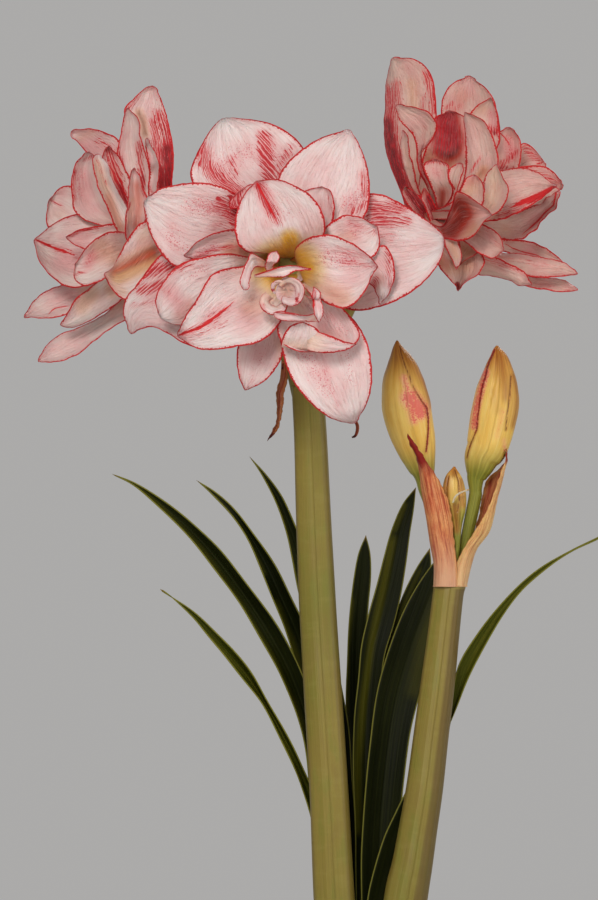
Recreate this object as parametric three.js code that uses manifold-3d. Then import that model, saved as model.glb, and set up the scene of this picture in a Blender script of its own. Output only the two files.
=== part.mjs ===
// Potted double amaryllis: pot, soil, bulb, two flower stalks, strap leaves,
// three open double flowers and three buds. Millimetres, +Z up, origin at the
// centre of the pot's flat bottom, front of the plant towards -Y.
import * as THREE from "three";
import { mergeVertices } from "three/addons/utils/BufferGeometryUtils.js";
import Module from "manifold-3d";

const wasm = await Module();
wasm.setup();

// ---- driving dimensions (mm) ----
const POT_HEIGHT = 145;
const POT_TOP_RADIUS = 84;
const POT_FOOT_RADIUS = 57;
const POT_WALL = 6;
const POT_FLOOR = 8;
const RIM_HEIGHT = 30;
const RIM_STEP = 4.5;
const SOIL_TOP = 126;
const BULB_BOTTOM = 80;
const NECK_TOP = 184.4;
const GAP = 0.4;
const TEPAL_THICKNESS = 1.0;
const PETALOID_THICKNESS = 0.8;
const LEAF_THICKNESS = 2.2;
const BRACT_THICKNESS = 0.9;
const HUB_RADIUS = 2.6;

// ---- materials ----
const mat = (color, roughness, metalness = 0) =>
  new THREE.MeshStandardMaterial({ color, roughness, metalness, side: THREE.FrontSide });

const root = new THREE.Group();
root.name = "potted_amaryllis";
const add = (name, geometry, material) => {
  geometry.computeVertexNormals();
  const mesh = new THREE.Mesh(geometry, material);
  mesh.name = name;
  root.add(mesh);
  return mesh;
};

// ---- helpers ----
const parse = (s) => s.split(" ").map((p) => new THREE.Vector3(...p.split(",").map(Number)));

const fromArrays = (vertices, index) => {
  const g = new THREE.BufferGeometry();
  g.setAttribute("position", new THREE.Float32BufferAttribute(vertices, 3));
  g.setIndex(index);
  return g;
};

// A thin closed sheet from rows of points that end in one tip point.
const sheet = (pts, across, thickness) => {
  const rows = (pts.length - 1) / across;
  const at = (i, j) => pts[i * across + j];
  const tip = pts[rows * across];
  const faces = [];
  for (let i = 0; i < rows - 1; i++)
    for (let j = 0; j < across - 1; j++) {
      const a = i * across + j;
      faces.push([a, a + 1, a + across + 1], [a, a + across + 1, a + across]);
    }
  for (let j = 0; j < across - 1; j++)
    faces.push([(rows - 1) * across + j, (rows - 1) * across + j + 1, rows * across]);
  const n = pts.map(() => new THREE.Vector3());
  const ab = new THREE.Vector3();
  const ac = new THREE.Vector3();
  for (const [a, b, c] of faces) {
    ab.subVectors(pts[b], pts[a]);
    ac.subVectors(pts[c], pts[a]);
    const f = new THREE.Vector3().crossVectors(ab, ac).normalize();
    n[a].add(f); n[b].add(f); n[c].add(f);
  }
  n.forEach((v) => v.normalize());
  const count = pts.length;
  const vertices = [];
  pts.forEach((p, k) => { const q = p.clone().addScaledVector(n[k], thickness / 2); vertices.push(q.x, q.y, q.z); });
  pts.forEach((p, k) => { const q = p.clone().addScaledVector(n[k], -thickness / 2); vertices.push(q.x, q.y, q.z); });
  const index = [];
  for (const [a, b, c] of faces) index.push(a, b, c, a + count, c + count, b + count);
  const rim = [];
  for (let j = 0; j < across; j++) rim.push(j);
  for (let i = 1; i < rows; i++) rim.push(i * across + across - 1);
  rim.push(rows * across);
  for (let i = rows - 1; i > 0; i--) rim.push(i * across);
  for (let k = 0; k < rim.length; k++) {
    const a = rim[k];
    const b = rim[(k + 1) % rim.length];
    index.push(b, a, a + count, b, a + count, b + count);
  }
  return orient(fromArrays(vertices, index));
};

// Turns every triangle over when the closed mesh is inside out.
const orient = (g) => {
  const p = g.getAttribute("position");
  const ix = g.getIndex().array;
  let volume = 0;
  const a = new THREE.Vector3(), b = new THREE.Vector3(), c = new THREE.Vector3();
  for (let i = 0; i < ix.length; i += 3) {
    a.fromBufferAttribute(p, ix[i]); b.fromBufferAttribute(p, ix[i + 1]); c.fromBufferAttribute(p, ix[i + 2]);
    volume += a.dot(b.cross(c));
  }
  if (volume < 0) {
    const out = Array.from(ix);
    for (let i = 0; i < out.length; i += 3) [out[i + 1], out[i + 2]] = [out[i + 2], out[i + 1]];
    g.setIndex(out);
  }
  return g;
};

// A closed oval stem along stations [x, y, z, half width, half depth].
const stem = (stations, sides, steps) => {
  const path = new THREE.CatmullRomCurve3(stations.map((s) => new THREE.Vector3(s[0], s[1], s[2])), false, "centripetal");
  const rings = [];
  const n = steps;
  const m = stations.length - 1;
  for (let i = 0; i <= n; i++) {
    const t = i / n;
    const p = path.getPoint(t);
    const k = Math.min(Math.floor(t * m), m - 1);
    const f = t * m - k;
    const hw = THREE.MathUtils.lerp(stations[k][3], stations[k + 1][3], f);
    const hd = THREE.MathUtils.lerp(stations[k][4], stations[k + 1][4], f);
    const tan = path.getTangent(t);
    const side = new THREE.Vector3(0, 1, 0).cross(tan);
    if (side.lengthSq() < 1e-4) side.set(1, 0, 0);
    side.normalize();
    const depth = new THREE.Vector3().crossVectors(tan, side).normalize();
    const ring = [];
    for (let j = 0; j < sides; j++) {
      const a = (j / sides) * Math.PI * 2;
      ring.push(p.clone().addScaledVector(side, Math.cos(a) * hw).addScaledVector(depth, Math.sin(a) * hd));
    }
    rings.push({ ring, p });
  }
  const vertices = [];
  rings.forEach(({ ring }) => ring.forEach((q) => vertices.push(q.x, q.y, q.z)));
  const c0 = vertices.length / 3;
  vertices.push(rings[0].p.x, rings[0].p.y, rings[0].p.z);
  const c1 = c0 + 1;
  vertices.push(rings[n].p.x, rings[n].p.y, rings[n].p.z);
  const index = [];
  for (let i = 0; i < n; i++)
    for (let j = 0; j < sides; j++) {
      const a = i * sides + j, b = i * sides + ((j + 1) % sides);
      index.push(a, b, b + sides, a, b + sides, a + sides);
    }
  for (let j = 0; j < sides; j++) {
    index.push(c0, (j + 1) % sides, j);
    index.push(c1, n * sides + j, n * sides + ((j + 1) % sides));
  }
  return orient(fromArrays(vertices, index));
};

// ---- booleans ----
const toManifold = (g) => {
  const p = g.getAttribute("position");
  const ix = g.getIndex() ? Array.from(g.getIndex().array) : Array.from({ length: p.count }, (_, i) => i);
  const map = new Map();
  const verts = [];
  const remap = [];
  for (let i = 0; i < p.count; i++) {
    const key = [p.getX(i), p.getY(i), p.getZ(i)].map((v) => Math.round(v * 1e4)).join(",");
    if (!map.has(key)) { map.set(key, verts.length / 3); verts.push(p.getX(i), p.getY(i), p.getZ(i)); }
    remap.push(map.get(key));
  }
  const tri = [];
  for (let i = 0; i < ix.length; i += 3) {
    const [a, b, c] = [remap[ix[i]], remap[ix[i + 1]], remap[ix[i + 2]]];
    if (a !== b && b !== c && a !== c) tri.push(a, b, c);
  }
  return new wasm.Manifold(new wasm.Mesh({ numProp: 3, vertProperties: new Float32Array(verts), triVerts: new Uint32Array(tri) }));
};
const fromManifold = (m) => {
  const mesh = m.getMesh();
  return fromArrays(Array.from(mesh.vertProperties), Array.from(mesh.triVerts));
};
const union = (list) => {
  let m = toManifold(list[0]);
  for (let i = 1; i < list.length; i++) m = m.add(toManifold(list[i]));
  return m;
};

const largest = (m) => m.decompose().reduce((a, b) => (b.volume() > a.volume() ? b : a));
// Closes up slivers after a union and keeps the one real body.
const tidy = (m) => {
  let body = largest(m);
  for (const step of [0.02, 0.008, 0.003]) {
    const merged = mergeVertices(fromManifold(body), step);
    const ix = merged.getIndex().array;
    const index = [];
    for (let i = 0; i < ix.length; i += 3)
      if (ix[i] !== ix[i + 1] && ix[i + 1] !== ix[i + 2] && ix[i] !== ix[i + 2]) index.push(ix[i], ix[i + 1], ix[i + 2]);
    merged.setIndex(index);
    try {
      const again = largest(toManifold(merged));
      if (Math.abs(again.volume() - body.volume()) < 0.002 * body.volume()) return again;
    } catch (e) {
      continue;
    }
  }
  return body;
};

// ---- shapes given by their own points (mm) ----
const PETALS = [
  { name: "front_tepal_top_left", across: 4, points: "-44.6,-51.0,643.6 -42.0,-51.1,644.3 -39.5,-51.3,645.0 -36.9,-52.0,645.7 -55.6,-68.1,657.2 -47.4,-65.1,659.1 -39.2,-64.8,660.9 -31.0,-67.9,662.5 -67.8,-78.2,669.2 -54.4,-74.7,672.8 -41.0,-74.7,676.2 -27.5,-77.3,679.4 -82.7,-80.1,676.6 -65.1,-76.7,683.4 -47.4,-76.5,689.9 -29.8,-78.4,696.2 -94.2,-80.4,686.6 -75.8,-77.0,694.5 -57.3,-76.6,702.2 -38.8,-76.8,709.8 -90.6,-79.6,701.0 -77.8,-76.7,706.6 -64.9,-76.2,711.9 -52.1,-75.2,717.4 -83.9,-73.5,713.2 -77.8,-75.2,715.2 -71.7,-75.2,717.4 -65.7,-73.7,719.7 -76.5,-64.9,720.9" },
  { name: "front_tepal_top_right", across: 4, points: "-40.2,-54.6,645.6 -37.8,-55.6,645.2 -35.5,-56.0,644.8 -33.1,-56.8,644.4 -43.7,-71.7,659.9 -35.7,-69.8,657.1 -27.8,-69.7,654.2 -19.8,-71.4,651.3 -47.4,-86.5,673.5 -34.1,-83.3,668.6 -20.7,-83.2,663.4 -7.4,-85.7,658.2 -46.7,-88.4,687.6 -30.9,-84.8,681.7 -15.0,-84.7,675.6 0.9,-87.5,669.3 -38.6,-87.8,698.5 -25.0,-84.9,693.4 -11.4,-84.8,688.1 2.2,-86.7,682.7 -28.3,-86.0,706.3 -18.8,-84.4,702.7 -9.3,-84.2,699.0 0.2,-84.0,695.3 -17.6,-83.9,710.8 -13.0,-83.2,709.2 -8.4,-83.0,707.6 -3.8,-81.9,706.1 -8.9,-76.7,713.6" },
  { name: "front_tepal_right", across: 4, points: "-34.2,-53.0,643.5 -34.6,-53.6,641.6 -34.9,-53.7,639.8 -35.3,-53.9,638.0 -20.8,-66.2,654.0 -21.4,-65.4,644.4 -22.1,-65.6,634.7 -22.7,-67.8,625.0 -10.8,-74.9,666.9 -9.9,-72.9,650.2 -9.1,-73.1,633.3 -8.3,-76.2,616.4 -0.2,-79.9,678.6 2.5,-77.3,658.5 5.1,-77.5,638.2 7.7,-81.0,617.8 14.1,-82.0,676.0 16.7,-80.1,658.8 19.3,-80.2,641.4 21.7,-83.1,623.9 26.6,-81.7,669.0 28.8,-81.0,657.0 30.9,-81.1,645.0 33.0,-82.6,632.8 37.1,-79.4,661.6 38.2,-79.6,655.6 39.4,-79.6,649.6 40.5,-79.8,643.6 42.5,-77.2,653.5" },
  { name: "front_tepal_bottom", across: 4, points: "-44.0,-59.5,636.6 -41.5,-59.2,636.6 -38.9,-59.4,636.6 -36.4,-59.4,636.6 -46.8,-77.6,618.9 -39.2,-74.4,620.9 -31.5,-73.7,622.9 -23.8,-75.4,624.8 -46.2,-88.4,602.0 -34.4,-85.4,606.3 -22.6,-84.4,610.7 -10.8,-87.0,614.9 -42.9,-92.5,586.4 -29.0,-89.6,591.9 -15.1,-89.3,597.4 -1.3,-92.6,602.8 -36.0,-94.2,573.1 -23.0,-91.6,578.4 -10.1,-91.5,583.6 2.7,-94.3,588.7 -26.4,-93.3,562.9 -16.6,-92.1,567.0 -6.8,-92.1,571.0 2.9,-93.5,575.1 -15.5,-87.2,556.5 -10.5,-88.8,558.8 -5.6,-88.9,561.1 -0.6,-88.7,563.4 -5.8,-81.9,555.5" },
  { name: "front_tepal_bottom_left", across: 4, points: "-47.8,-56.9,636.8 -45.5,-56.5,636.4 -43.1,-56.0,636.1 -40.7,-55.8,635.7 -54.6,-71.2,626.5 -50.0,-68.7,625.4 -45.3,-68.3,624.1 -40.7,-70.3,622.8 -60.9,-82.4,616.7 -54.4,-79.2,614.8 -47.8,-78.7,612.8 -41.2,-80.4,610.7 -65.8,-84.6,607.0 -58.1,-81.0,604.6 -50.3,-80.5,602.0 -42.6,-82.1,599.4 -68.6,-86.2,597.0 -61.0,-82.0,594.5 -53.3,-81.5,591.9 -45.7,-82.3,589.2 -69.2,-86.9,587.5 -63.2,-82.5,585.3 -57.2,-81.8,583.1 -51.2,-81.6,580.9 -67.5,-85.0,579.0 -64.5,-81.5,577.9 -61.5,-80.9,576.8 -58.4,-79.8,575.6 -64.9,-79.0,573.0" },
  { name: "front_tepal_left_low", across: 4, points: "-47.3,-52.0,643.0 -46.9,-51.9,641.4 -46.6,-52.1,639.7 -46.2,-52.4,638.1 -66.5,-61.2,646.1 -63.6,-59.4,639.1 -60.6,-59.2,632.0 -57.5,-61.2,624.8 -85.1,-67.0,648.8 -79.8,-65.2,636.8 -74.3,-65.3,624.7 -68.9,-68.7,612.6 -103.1,-71.3,649.8 -95.5,-69.5,633.7 -87.8,-69.8,617.6 -80.1,-74.2,601.3 -116.3,-74.9,639.6 -108.7,-73.3,625.4 -100.9,-73.8,611.1 -93.1,-78.8,596.6 -126.3,-74.5,627.0 -119.4,-74.6,619.0 -112.5,-75.3,611.1 -105.4,-80.5,603.0 -130.5,-72.2,614.1 -126.1,-73.3,611.8 -121.8,-73.9,609.5 -117.3,-78.3,607.2 -126.6,-70.0,603.7" },
  { name: "front_tepal_left", across: 4, points: "-46.7,-56.2,645.5 -47.1,-55.4,643.9 -47.5,-54.6,642.3 -47.8,-54.8,640.7 -54.5,-72.4,658.5 -57.7,-69.9,653.0 -60.9,-68.8,647.3 -64.0,-70.7,641.4 -62.7,-81.9,671.0 -68.4,-78.1,660.9 -74.0,-77.5,650.7 -79.6,-80.2,640.2 -73.3,-89.0,680.3 -80.4,-84.3,666.6 -87.5,-83.5,652.6 -94.4,-86.7,638.4 -86.7,-88.7,684.2 -93.7,-85.1,670.6 -100.5,-84.7,656.9 -107.3,-87.3,642.9 -99.9,-86.9,683.6 -104.8,-85.3,673.9 -109.7,-85.2,664.1 -114.5,-86.5,654.3 -111.3,-85.4,680.7 -113.6,-85.3,675.8 -115.9,-85.2,670.8 -118.2,-85.4,665.8 -118.8,-76.5,675.6" },
  { name: "front_tepal_inner_left_low", across: 4, points: "-46.7,-68.7,640.0 -45.0,-67.6,638.4 -43.4,-67.2,636.8 -41.8,-67.7,635.1 -59.0,-94.4,640.1 -53.2,-91.3,633.2 -47.4,-90.4,626.3 -41.6,-92.5,619.1 -71.0,-102.6,638.2 -63.3,-98.1,627.7 -55.5,-97.8,616.9 -47.6,-102.2,605.9 -81.8,-108.8,634.0 -74.1,-103.5,622.1 -66.3,-103.7,609.9 -58.4,-109.1,597.5 -87.7,-108.0,624.9 -82.3,-103.5,615.2 -76.8,-103.6,605.3 -71.2,-108.0,595.3 -93.4,-106.1,616.2 -90.1,-102.8,608.9 -86.8,-103.0,601.5 -83.3,-106.5,594.0 -98.2,-103.8,608.3 -96.8,-102.2,604.5 -95.4,-102.3,600.6 -93.9,-104.5,596.7 -101.1,-96.2,601.8" },
  { name: "front_tepal_fold_left", group: "front_inner_tepals", across: 4, points: "-43.86,-57.46,642.01 -42.26,-57.46,642.31 -40.66,-57.46,642.71 -38.96,-57.46,643.11 -54.9,-73.7,651.6 -55.5,-70.6,648.4 -56.1,-69.0,645.1 -56.8,-68.4,641.7 -63.0,-84.4,656.2 -63.7,-79.8,651.4 -64.2,-78.7,646.3 -64.8,-76.9,641.2 -71.5,-93.5,659.0 -71.9,-87.9,653.2 -72.2,-86.8,647.1 -72.5,-84.5,641.1 -80.1,-95.8,656.7 -80.1,-89.6,651.9 -80.0,-88.5,646.8 -79.9,-85.8,641.8 -87.8,-96.1,653.6 -87.5,-90.4,650.0 -87.1,-89.3,646.2 -86.8,-86.9,642.4 -93.6,-94.9,649.0 -93.4,-90.6,647.2 -93.2,-89.8,645.1 -92.9,-88.9,643.1 -97.2,-93.8,644.5" },
  { name: "front_tepal_inner_left", across: 4, points: "-47.2,-65.9,643.4 -47.0,-65.2,641.8 -46.9,-62.6,640.3 -46.7,-62.8,638.6 -61.7,-83.4,644.5 -60.8,-80.8,641.5 -59.8,-79.2,638.4 -58.9,-76.0,635.3 -75.5,-98.8,645.8 -73.3,-95.2,640.1 -71.1,-93.9,634.2 -69.0,-89.6,628.5 -88.8,-100.0,643.2 -85.3,-96.4,636.1 -81.8,-95.2,628.8 -78.4,-90.6,621.7 -100.9,-100.4,638.9 -96.2,-96.8,630.8 -91.4,-95.7,622.6 -86.7,-91.2,614.5 -108.6,-100.4,629.7 -104.1,-96.8,622.7 -99.6,-95.8,615.6 -95.1,-91.3,608.6 -112.5,-99.4,619.7 -109.7,-96.0,615.9 -106.9,-95.0,612.1 -104.1,-90.8,608.3 -110.2,-90.2,612.1" },
  { name: "front_tepal_inner_top", across: 4, points: "-44.0,-66.9,644.9 -41.8,-66.9,645.3 -39.6,-69.3,645.5 -37.5,-71.2,645.8 -54.3,-89.3,646.5 -45.0,-83.4,648.1 -35.6,-84.9,649.3 -26.3,-92.9,650.2 -64.4,-102.4,646.7 -50.2,-96.1,651.6 -36.0,-96.9,656.1 -21.8,-102.0,660.3 -69.5,-108.3,654.4 -54.9,-101.3,660.3 -40.1,-101.4,665.8 -25.4,-105.5,671.0 -69.5,-109.5,663.7 -57.5,-103.5,669.0 -45.3,-103.4,674.0 -33.2,-107.0,678.6 -67.1,-107.9,672.3 -58.9,-103.8,676.2 -50.7,-103.7,679.9 -42.4,-106.4,683.3 -63.1,-104.3,679.5 -59.3,-102.0,681.4 -55.4,-102.0,683.2 -51.6,-103.7,684.9 -58.7,-101.3,684.0" },
  { name: "front_tepal_inner_right", across: 4, points: "-37.5,-73.2,643.0 -36.7,-70.1,641.5 -36.0,-67.9,640.0 -35.3,-67.1,638.4 -35.9,-100.5,650.6 -34.3,-93.8,643.1 -32.7,-91.3,635.3 -31.2,-94.4,627.2 -27.5,-114.5,654.1 -26.1,-108.0,643.0 -24.8,-106.5,631.5 -23.4,-110.6,619.7 -18.4,-117.0,654.3 -17.0,-110.2,641.8 -15.6,-109.5,629.0 -14.4,-115.2,616.0 -10.2,-116.6,651.3 -8.7,-110.8,640.7 -7.2,-110.5,629.8 -5.7,-115.8,618.7 -3.3,-114.9,647.2 -2.2,-110.6,640.2 -1.2,-110.4,633.0 -0.4,-114.5,625.6 2.5,-110.8,642.8 2.7,-108.3,639.7 2.9,-108.2,636.4 3.0,-110.7,633.0 6.0,-106.7,638.5" },
  { name: "front_tepal_square", group: "front_inner_tepals", across: 4, points: "-43.70,-57.20,642.39 -42.10,-57.20,642.69 -40.50,-57.20,643.09 -38.80,-57.20,643.49 -35.8,-71.1,653.3 -32.6,-69.5,652.4 -29.5,-69.6,651.4 -26.4,-71.3,650.3 -34.9,-80.2,660.1 -30.5,-78.3,658.8 -26.1,-77.9,657.4 -21.7,-80.6,655.8 -34.4,-87.3,666.7 -29.0,-85.6,665.2 -23.7,-85.8,663.6 -18.4,-89.2,661.7 -34.6,-89.3,673.3 -28.6,-87.6,671.8 -22.7,-88.0,670.2 -16.8,-92.0,668.3 -33.6,-90.4,679.1 -28.2,-88.8,677.8 -22.7,-89.1,676.4 -17.3,-93.4,674.7 -28.4,-90.7,681.1 -25.5,-89.4,680.8 -22.7,-89.8,680.4 -19.9,-94.2,679.7 -24.1,-90.6,681.6" },
  { name: "front_tepal_mid_right", group: "front_inner_tepals", across: 4, points: "-43.54,-56.95,642.32 -41.94,-56.95,642.62 -40.34,-56.95,643.02 -38.64,-56.95,643.42 -29.5,-78.2,651.3 -27.6,-78.2,647.9 -25.7,-79.1,644.5 -23.8,-80.4,641.1 -24.2,-82.9,657.6 -21.0,-80.8,652.4 -17.9,-81.0,647.0 -14.7,-82.9,641.5 -18.7,-94.4,662.8 -14.5,-91.4,655.8 -10.3,-91.4,648.6 -6.1,-93.2,641.3 -12.0,-95.9,666.2 -7.3,-92.5,658.5 -2.7,-92.3,650.7 1.9,-94.1,642.8 -4.9,-96.4,665.7 -1.0,-93.1,660.2 2.9,-92.9,654.4 6.7,-94.6,648.6 1.0,-95.8,663.1 3.0,-93.3,660.7 5.0,-93.2,658.1 7.0,-94.5,655.5 5.2,-95.1,660.5" },
  { name: "front_tepal_right_fold", across: 4, points: "-32.0,-60.0,639.9 -32.4,-60.4,638.9 -32.8,-60.8,638.0 -33.1,-60.8,637.1 -18.3,-77.5,641.2 -20.8,-75.9,638.2 -23.3,-76.5,635.0 -25.8,-78.8,631.7 -5.3,-87.5,643.6 -9.6,-84.6,638.5 -13.9,-85.3,633.2 -18.3,-87.7,627.8 5.4,-91.9,649.5 0.2,-88.5,641.8 -5.2,-88.4,634.0 -10.5,-88.7,626.1 13.3,-92.8,645.9 7.8,-90.3,640.0 2.3,-89.7,634.1 -3.3,-87.4,628.3 15.5,-90.3,634.9 11.3,-90.6,633.0 7.1,-90.2,631.1 3.0,-86.8,629.4 12.6,-87.7,625.3 10.3,-88.8,624.7 8.0,-88.7,624.2 5.7,-87.0,623.8 7.6,-84.8,619.3" },
  { name: "front_tepal_speckled", group: "front_inner_tepals", across: 4, points: "-43.78,-57.29,642.24 -42.18,-57.29,642.54 -40.58,-57.29,642.94 -38.88,-57.29,643.34 -50.4,-70.3,652.8 -49.7,-68.3,653.0 -49.0,-68.3,653.2 -48.3,-70.9,653.1 -55.3,-79.2,659.8 -54.2,-78.0,659.9 -53.1,-78.1,660.0 -52.0,-80.2,659.9 -60.3,-86.3,666.4 -58.5,-85.3,666.6 -56.8,-85.3,666.7 -55.0,-86.9,666.7 -66.8,-88.4,670.5 -63.5,-87.5,671.7 -60.3,-87.5,672.8 -57.0,-88.5,673.8 -73.5,-89.7,671.1 -68.4,-88.9,674.3 -63.4,-88.9,677.5 -58.3,-89.4,680.6 -70.6,-90.0,676.9 -67.9,-89.7,678.9 -65.2,-89.7,681.0 -62.5,-89.9,683.1 -66.3,-90.0,680.0" },
  { name: "front_tepal_inner_bottom", across: 4, points: "-44.0,-63.3,635.9 -41.1,-62.8,636.1 -38.2,-63.1,636.3 -35.3,-63.2,636.4 -47.8,-77.6,625.7 -40.4,-75.7,626.7 -33.0,-75.9,627.7 -25.6,-78.1,628.5 -48.8,-88.7,615.4 -38.1,-85.5,617.4 -27.3,-85.7,619.2 -16.6,-89.4,620.9 -47.7,-99.7,605.6 -34.7,-95.4,608.1 -21.8,-95.7,610.4 -8.9,-101.0,612.5 -44.3,-102.3,597.3 -30.8,-96.4,599.6 -17.2,-96.6,601.6 -3.7,-102.9,603.4 -37.0,-102.4,593.6 -27.4,-96.8,594.6 -17.8,-96.9,595.3 -8.3,-102.6,596.0 -29.4,-100.8,593.3 -25.2,-96.9,593.6 -21.0,-96.9,593.9 -16.8,-100.9,594.0 -23.6,-99.7,593.1" },
  { name: "front_petaloid_1", group: "front_petaloids", across: 3, points: "-44.06,-92.95,635.31 -41.86,-92.95,635.31 -39.76,-92.95,635.31 -55.6,-103.6,648.9 -54.8,-101.2,643.9 -53.9,-99.2,638.9 -62.6,-113.4,646.2 -60.6,-111.1,641.0 -58.6,-109.2,635.7 -65.1,-114.8,637.9 -62.9,-112.7,634.4 -60.7,-110.6,630.9 -66.7,-113.3,630.3 -64.6,-111.6,628.4 -62.4,-110.3,626.6 -65.5,-110.6,624.6" },
  { name: "front_petaloid_2", group: "front_petaloids", across: 3, points: "-43.90,-92.70,635.69 -41.70,-92.70,635.69 -39.60,-92.70,635.69 -51.4,-103.2,637.7 -49.0,-103.1,638.4 -46.5,-102.6,639.0 -52.8,-116.9,640.4 -49.2,-116.7,641.0 -45.6,-118.2,641.4 -52.3,-116.6,643.9 -48.8,-116.5,644.2 -45.4,-118.7,644.4 -50.5,-116.3,646.6 -48.6,-116.3,646.7 -46.7,-119.0,646.7 -48.5,-116.2,648.1" },
  { name: "front_petaloid_3", group: "front_petaloids", across: 3, points: "-43.74,-92.45,635.62 -41.54,-92.45,635.62 -39.44,-92.45,635.62 -47.4,-113.3,635.3 -47.0,-111.7,633.9 -46.7,-111.7,632.4 -51.1,-121.7,636.4 -50.8,-119.7,634.6 -50.6,-119.7,632.7 -54.9,-121.8,636.1 -54.6,-119.8,634.3 -54.3,-119.8,632.4 -58.1,-121.7,634.8 -57.9,-119.6,633.6 -57.6,-119.7,632.2 -60.0,-121.6,633.0" },
  { name: "front_petaloid_4", group: "front_petaloids", across: 3, points: "-43.98,-92.78,635.54 -41.78,-92.78,635.54 -39.68,-92.78,635.54 -43.5,-111.0,638.0 -42.4,-110.4,636.4 -41.3,-110.4,634.9 -39.3,-121.3,638.6 -38.5,-120.3,637.0 -37.8,-120.3,635.4 -35.3,-121.8,638.0 -34.8,-120.8,636.9 -34.4,-120.8,635.6 -31.7,-121.1,637.1 -31.5,-120.1,636.5 -31.3,-120.1,636.0 -29.0,-120.6,636.2" },
  { name: "front_petaloid_5", group: "front_petaloids", across: 3, points: "-43.82,-92.53,635.46 -41.62,-92.53,635.46 -39.52,-92.53,635.46 -49.7,-103.6,632.0 -43.5,-96.4,630.9 -37.3,-98.1,629.4 -52.3,-111.3,628.2 -44.9,-103.8,626.8 -37.6,-104.1,625.0 -50.6,-114.3,624.1 -45.1,-107.6,623.0 -39.6,-108.1,621.5 -47.7,-115.0,621.5 -45.2,-110.1,620.8 -42.7,-110.8,619.8 -45.4,-112.8,619.7" },
  { name: "front_petaloid_6", group: "front_petaloids", across: 3, points: "-44.06,-92.87,635.38 -41.86,-92.87,635.38 -39.76,-92.87,635.38 -41.9,-101.9,633.7 -40.2,-100.4,631.0 -38.5,-100.6,628.3 -36.0,-106.7,631.3 -36.7,-108.8,628.1 -37.4,-111.3,624.9 -32.8,-109.4,626.2 -35.9,-110.3,624.4 -39.0,-111.0,622.5 -34.2,-117.0,621.1 -36.6,-114.2,620.7 -38.9,-111.8,620.2 -37.4,-116.6,618.5" },
  { name: "front_petaloid_7", group: "front_petaloids", across: 3, points: "-43.90,-92.62,635.31 -41.70,-92.62,635.31 -39.60,-92.62,635.31 -53.2,-103.7,628.1 -49.0,-100.4,625.3 -44.8,-102.6,622.4 -56.6,-114.0,623.8 -50.3,-108.7,621.4 -43.8,-109.1,618.7 -56.5,-119.5,619.1 -50.7,-113.5,617.4 -44.9,-113.6,615.5 -53.0,-120.4,616.4 -50.4,-115.9,615.7 -47.8,-115.9,614.9 -50.1,-119.5,614.7" },
  { name: "front_petaloid_8", group: "front_petaloids", across: 3, points: "-43.74,-92.95,635.69 -41.54,-92.95,635.69 -39.44,-92.95,635.69 -46.6,-98.9,619.6 -40.0,-99.1,619.2 -33.3,-100.1,618.8 -50.2,-112.1,613.5 -39.1,-112.2,613.5 -28.0,-112.3,613.6 -47.0,-112.4,608.8 -36.8,-112.4,609.2 -26.6,-112.4,609.7 -41.3,-112.4,608.2 -36.8,-112.4,608.2 -32.3,-112.4,608.2 -36.9,-112.3,608.1" },
  { name: "front_petaloid_9", group: "front_petaloids", across: 3, points: "-43.98,-92.70,635.62 -41.78,-92.70,635.62 -39.68,-92.70,635.62 -34.6,-106.9,624.4 -31.5,-104.6,625.5 -28.4,-105.3,626.5 -31.7,-118.5,618.6 -28.0,-115.6,620.0 -24.3,-116.0,621.3 -29.8,-124.3,613.2 -26.5,-119.9,614.4 -23.2,-119.8,615.4 -27.7,-121.1,608.7 -25.5,-118.1,609.5 -23.3,-118.0,610.2 -24.8,-115.9,606.4" },
  { name: "front_petaloid_10", group: "front_petaloids", across: 3, points: "-43.82,-92.45,635.54 -41.62,-92.45,635.54 -39.52,-92.45,635.54 -34.3,-118.6,625.3 -32.0,-120.2,625.1 -29.8,-123.6,624.8 -31.4,-129.5,621.7 -29.1,-128.8,621.5 -26.9,-130.0,621.2 -29.2,-132.8,621.3 -26.8,-131.2,621.7 -24.4,-131.7,622.0 -28.5,-133.9,624.7 -26.9,-132.0,625.1 -25.2,-132.2,625.4 -27.5,-134.7,627.2" },
  { name: "left_tepal_top", across: 4, points: "-109.2,0.6,660.9 -107.4,0.6,660.9 -105.5,0.6,660.9 -103.6,0.6,660.9 -117.6,17.6,676.4 -113.7,19.7,676.7 -109.8,19.8,676.7 -105.8,18.4,676.7 -123.3,30.1,692.4 -118.4,34.4,692.5 -113.3,34.4,692.3 -108.0,30.4,691.8 -127.1,32.3,707.6 -120.7,38.6,707.5 -113.9,38.9,706.9 -107.0,34.6,705.9 -130.9,32.6,721.8 -123.7,40.4,721.5 -116.1,40.8,720.6 -108.4,36.5,719.2 -135.5,32.6,734.7 -127.7,41.1,734.2 -119.5,41.6,733.0 -111.2,37.4,731.3 -127.6,32.1,743.4 -123.4,38.7,743.4 -119.0,39.1,742.8 -114.5,35.4,741.7 -119.3,27.0,747.6" },
  { name: "left_tepal_top_fold", group: "left_inner_tepals", across: 4, points: "-108.16,-11.06,659.21 -107.96,-11.06,657.51 -107.76,-11.06,655.81 -107.56,-11.06,654.11 -123.4,1.7,669.6 -120.4,5.3,671.1 -117.2,5.8,672.4 -113.8,2.8,673.5 -131.4,5.6,680.6 -127.1,11.1,682.7 -122.4,11.2,684.4 -117.5,5.3,685.7 -136.5,7.0,692.4 -131.2,13.4,694.7 -125.5,13.6,696.5 -119.5,7.4,697.8 -138.2,6.9,704.4 -133.2,12.5,706.4 -127.9,12.4,707.9 -122.4,6.1,708.8 -136.9,6.8,715.7 -133.2,10.8,717.2 -129.3,10.5,718.4 -125.1,4.2,719.0 -135.0,6.7,725.7 -132.4,8.6,726.7 -129.6,8.1,727.6 -126.7,2.3,727.9 -132.5,6.5,733.1" },
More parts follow.
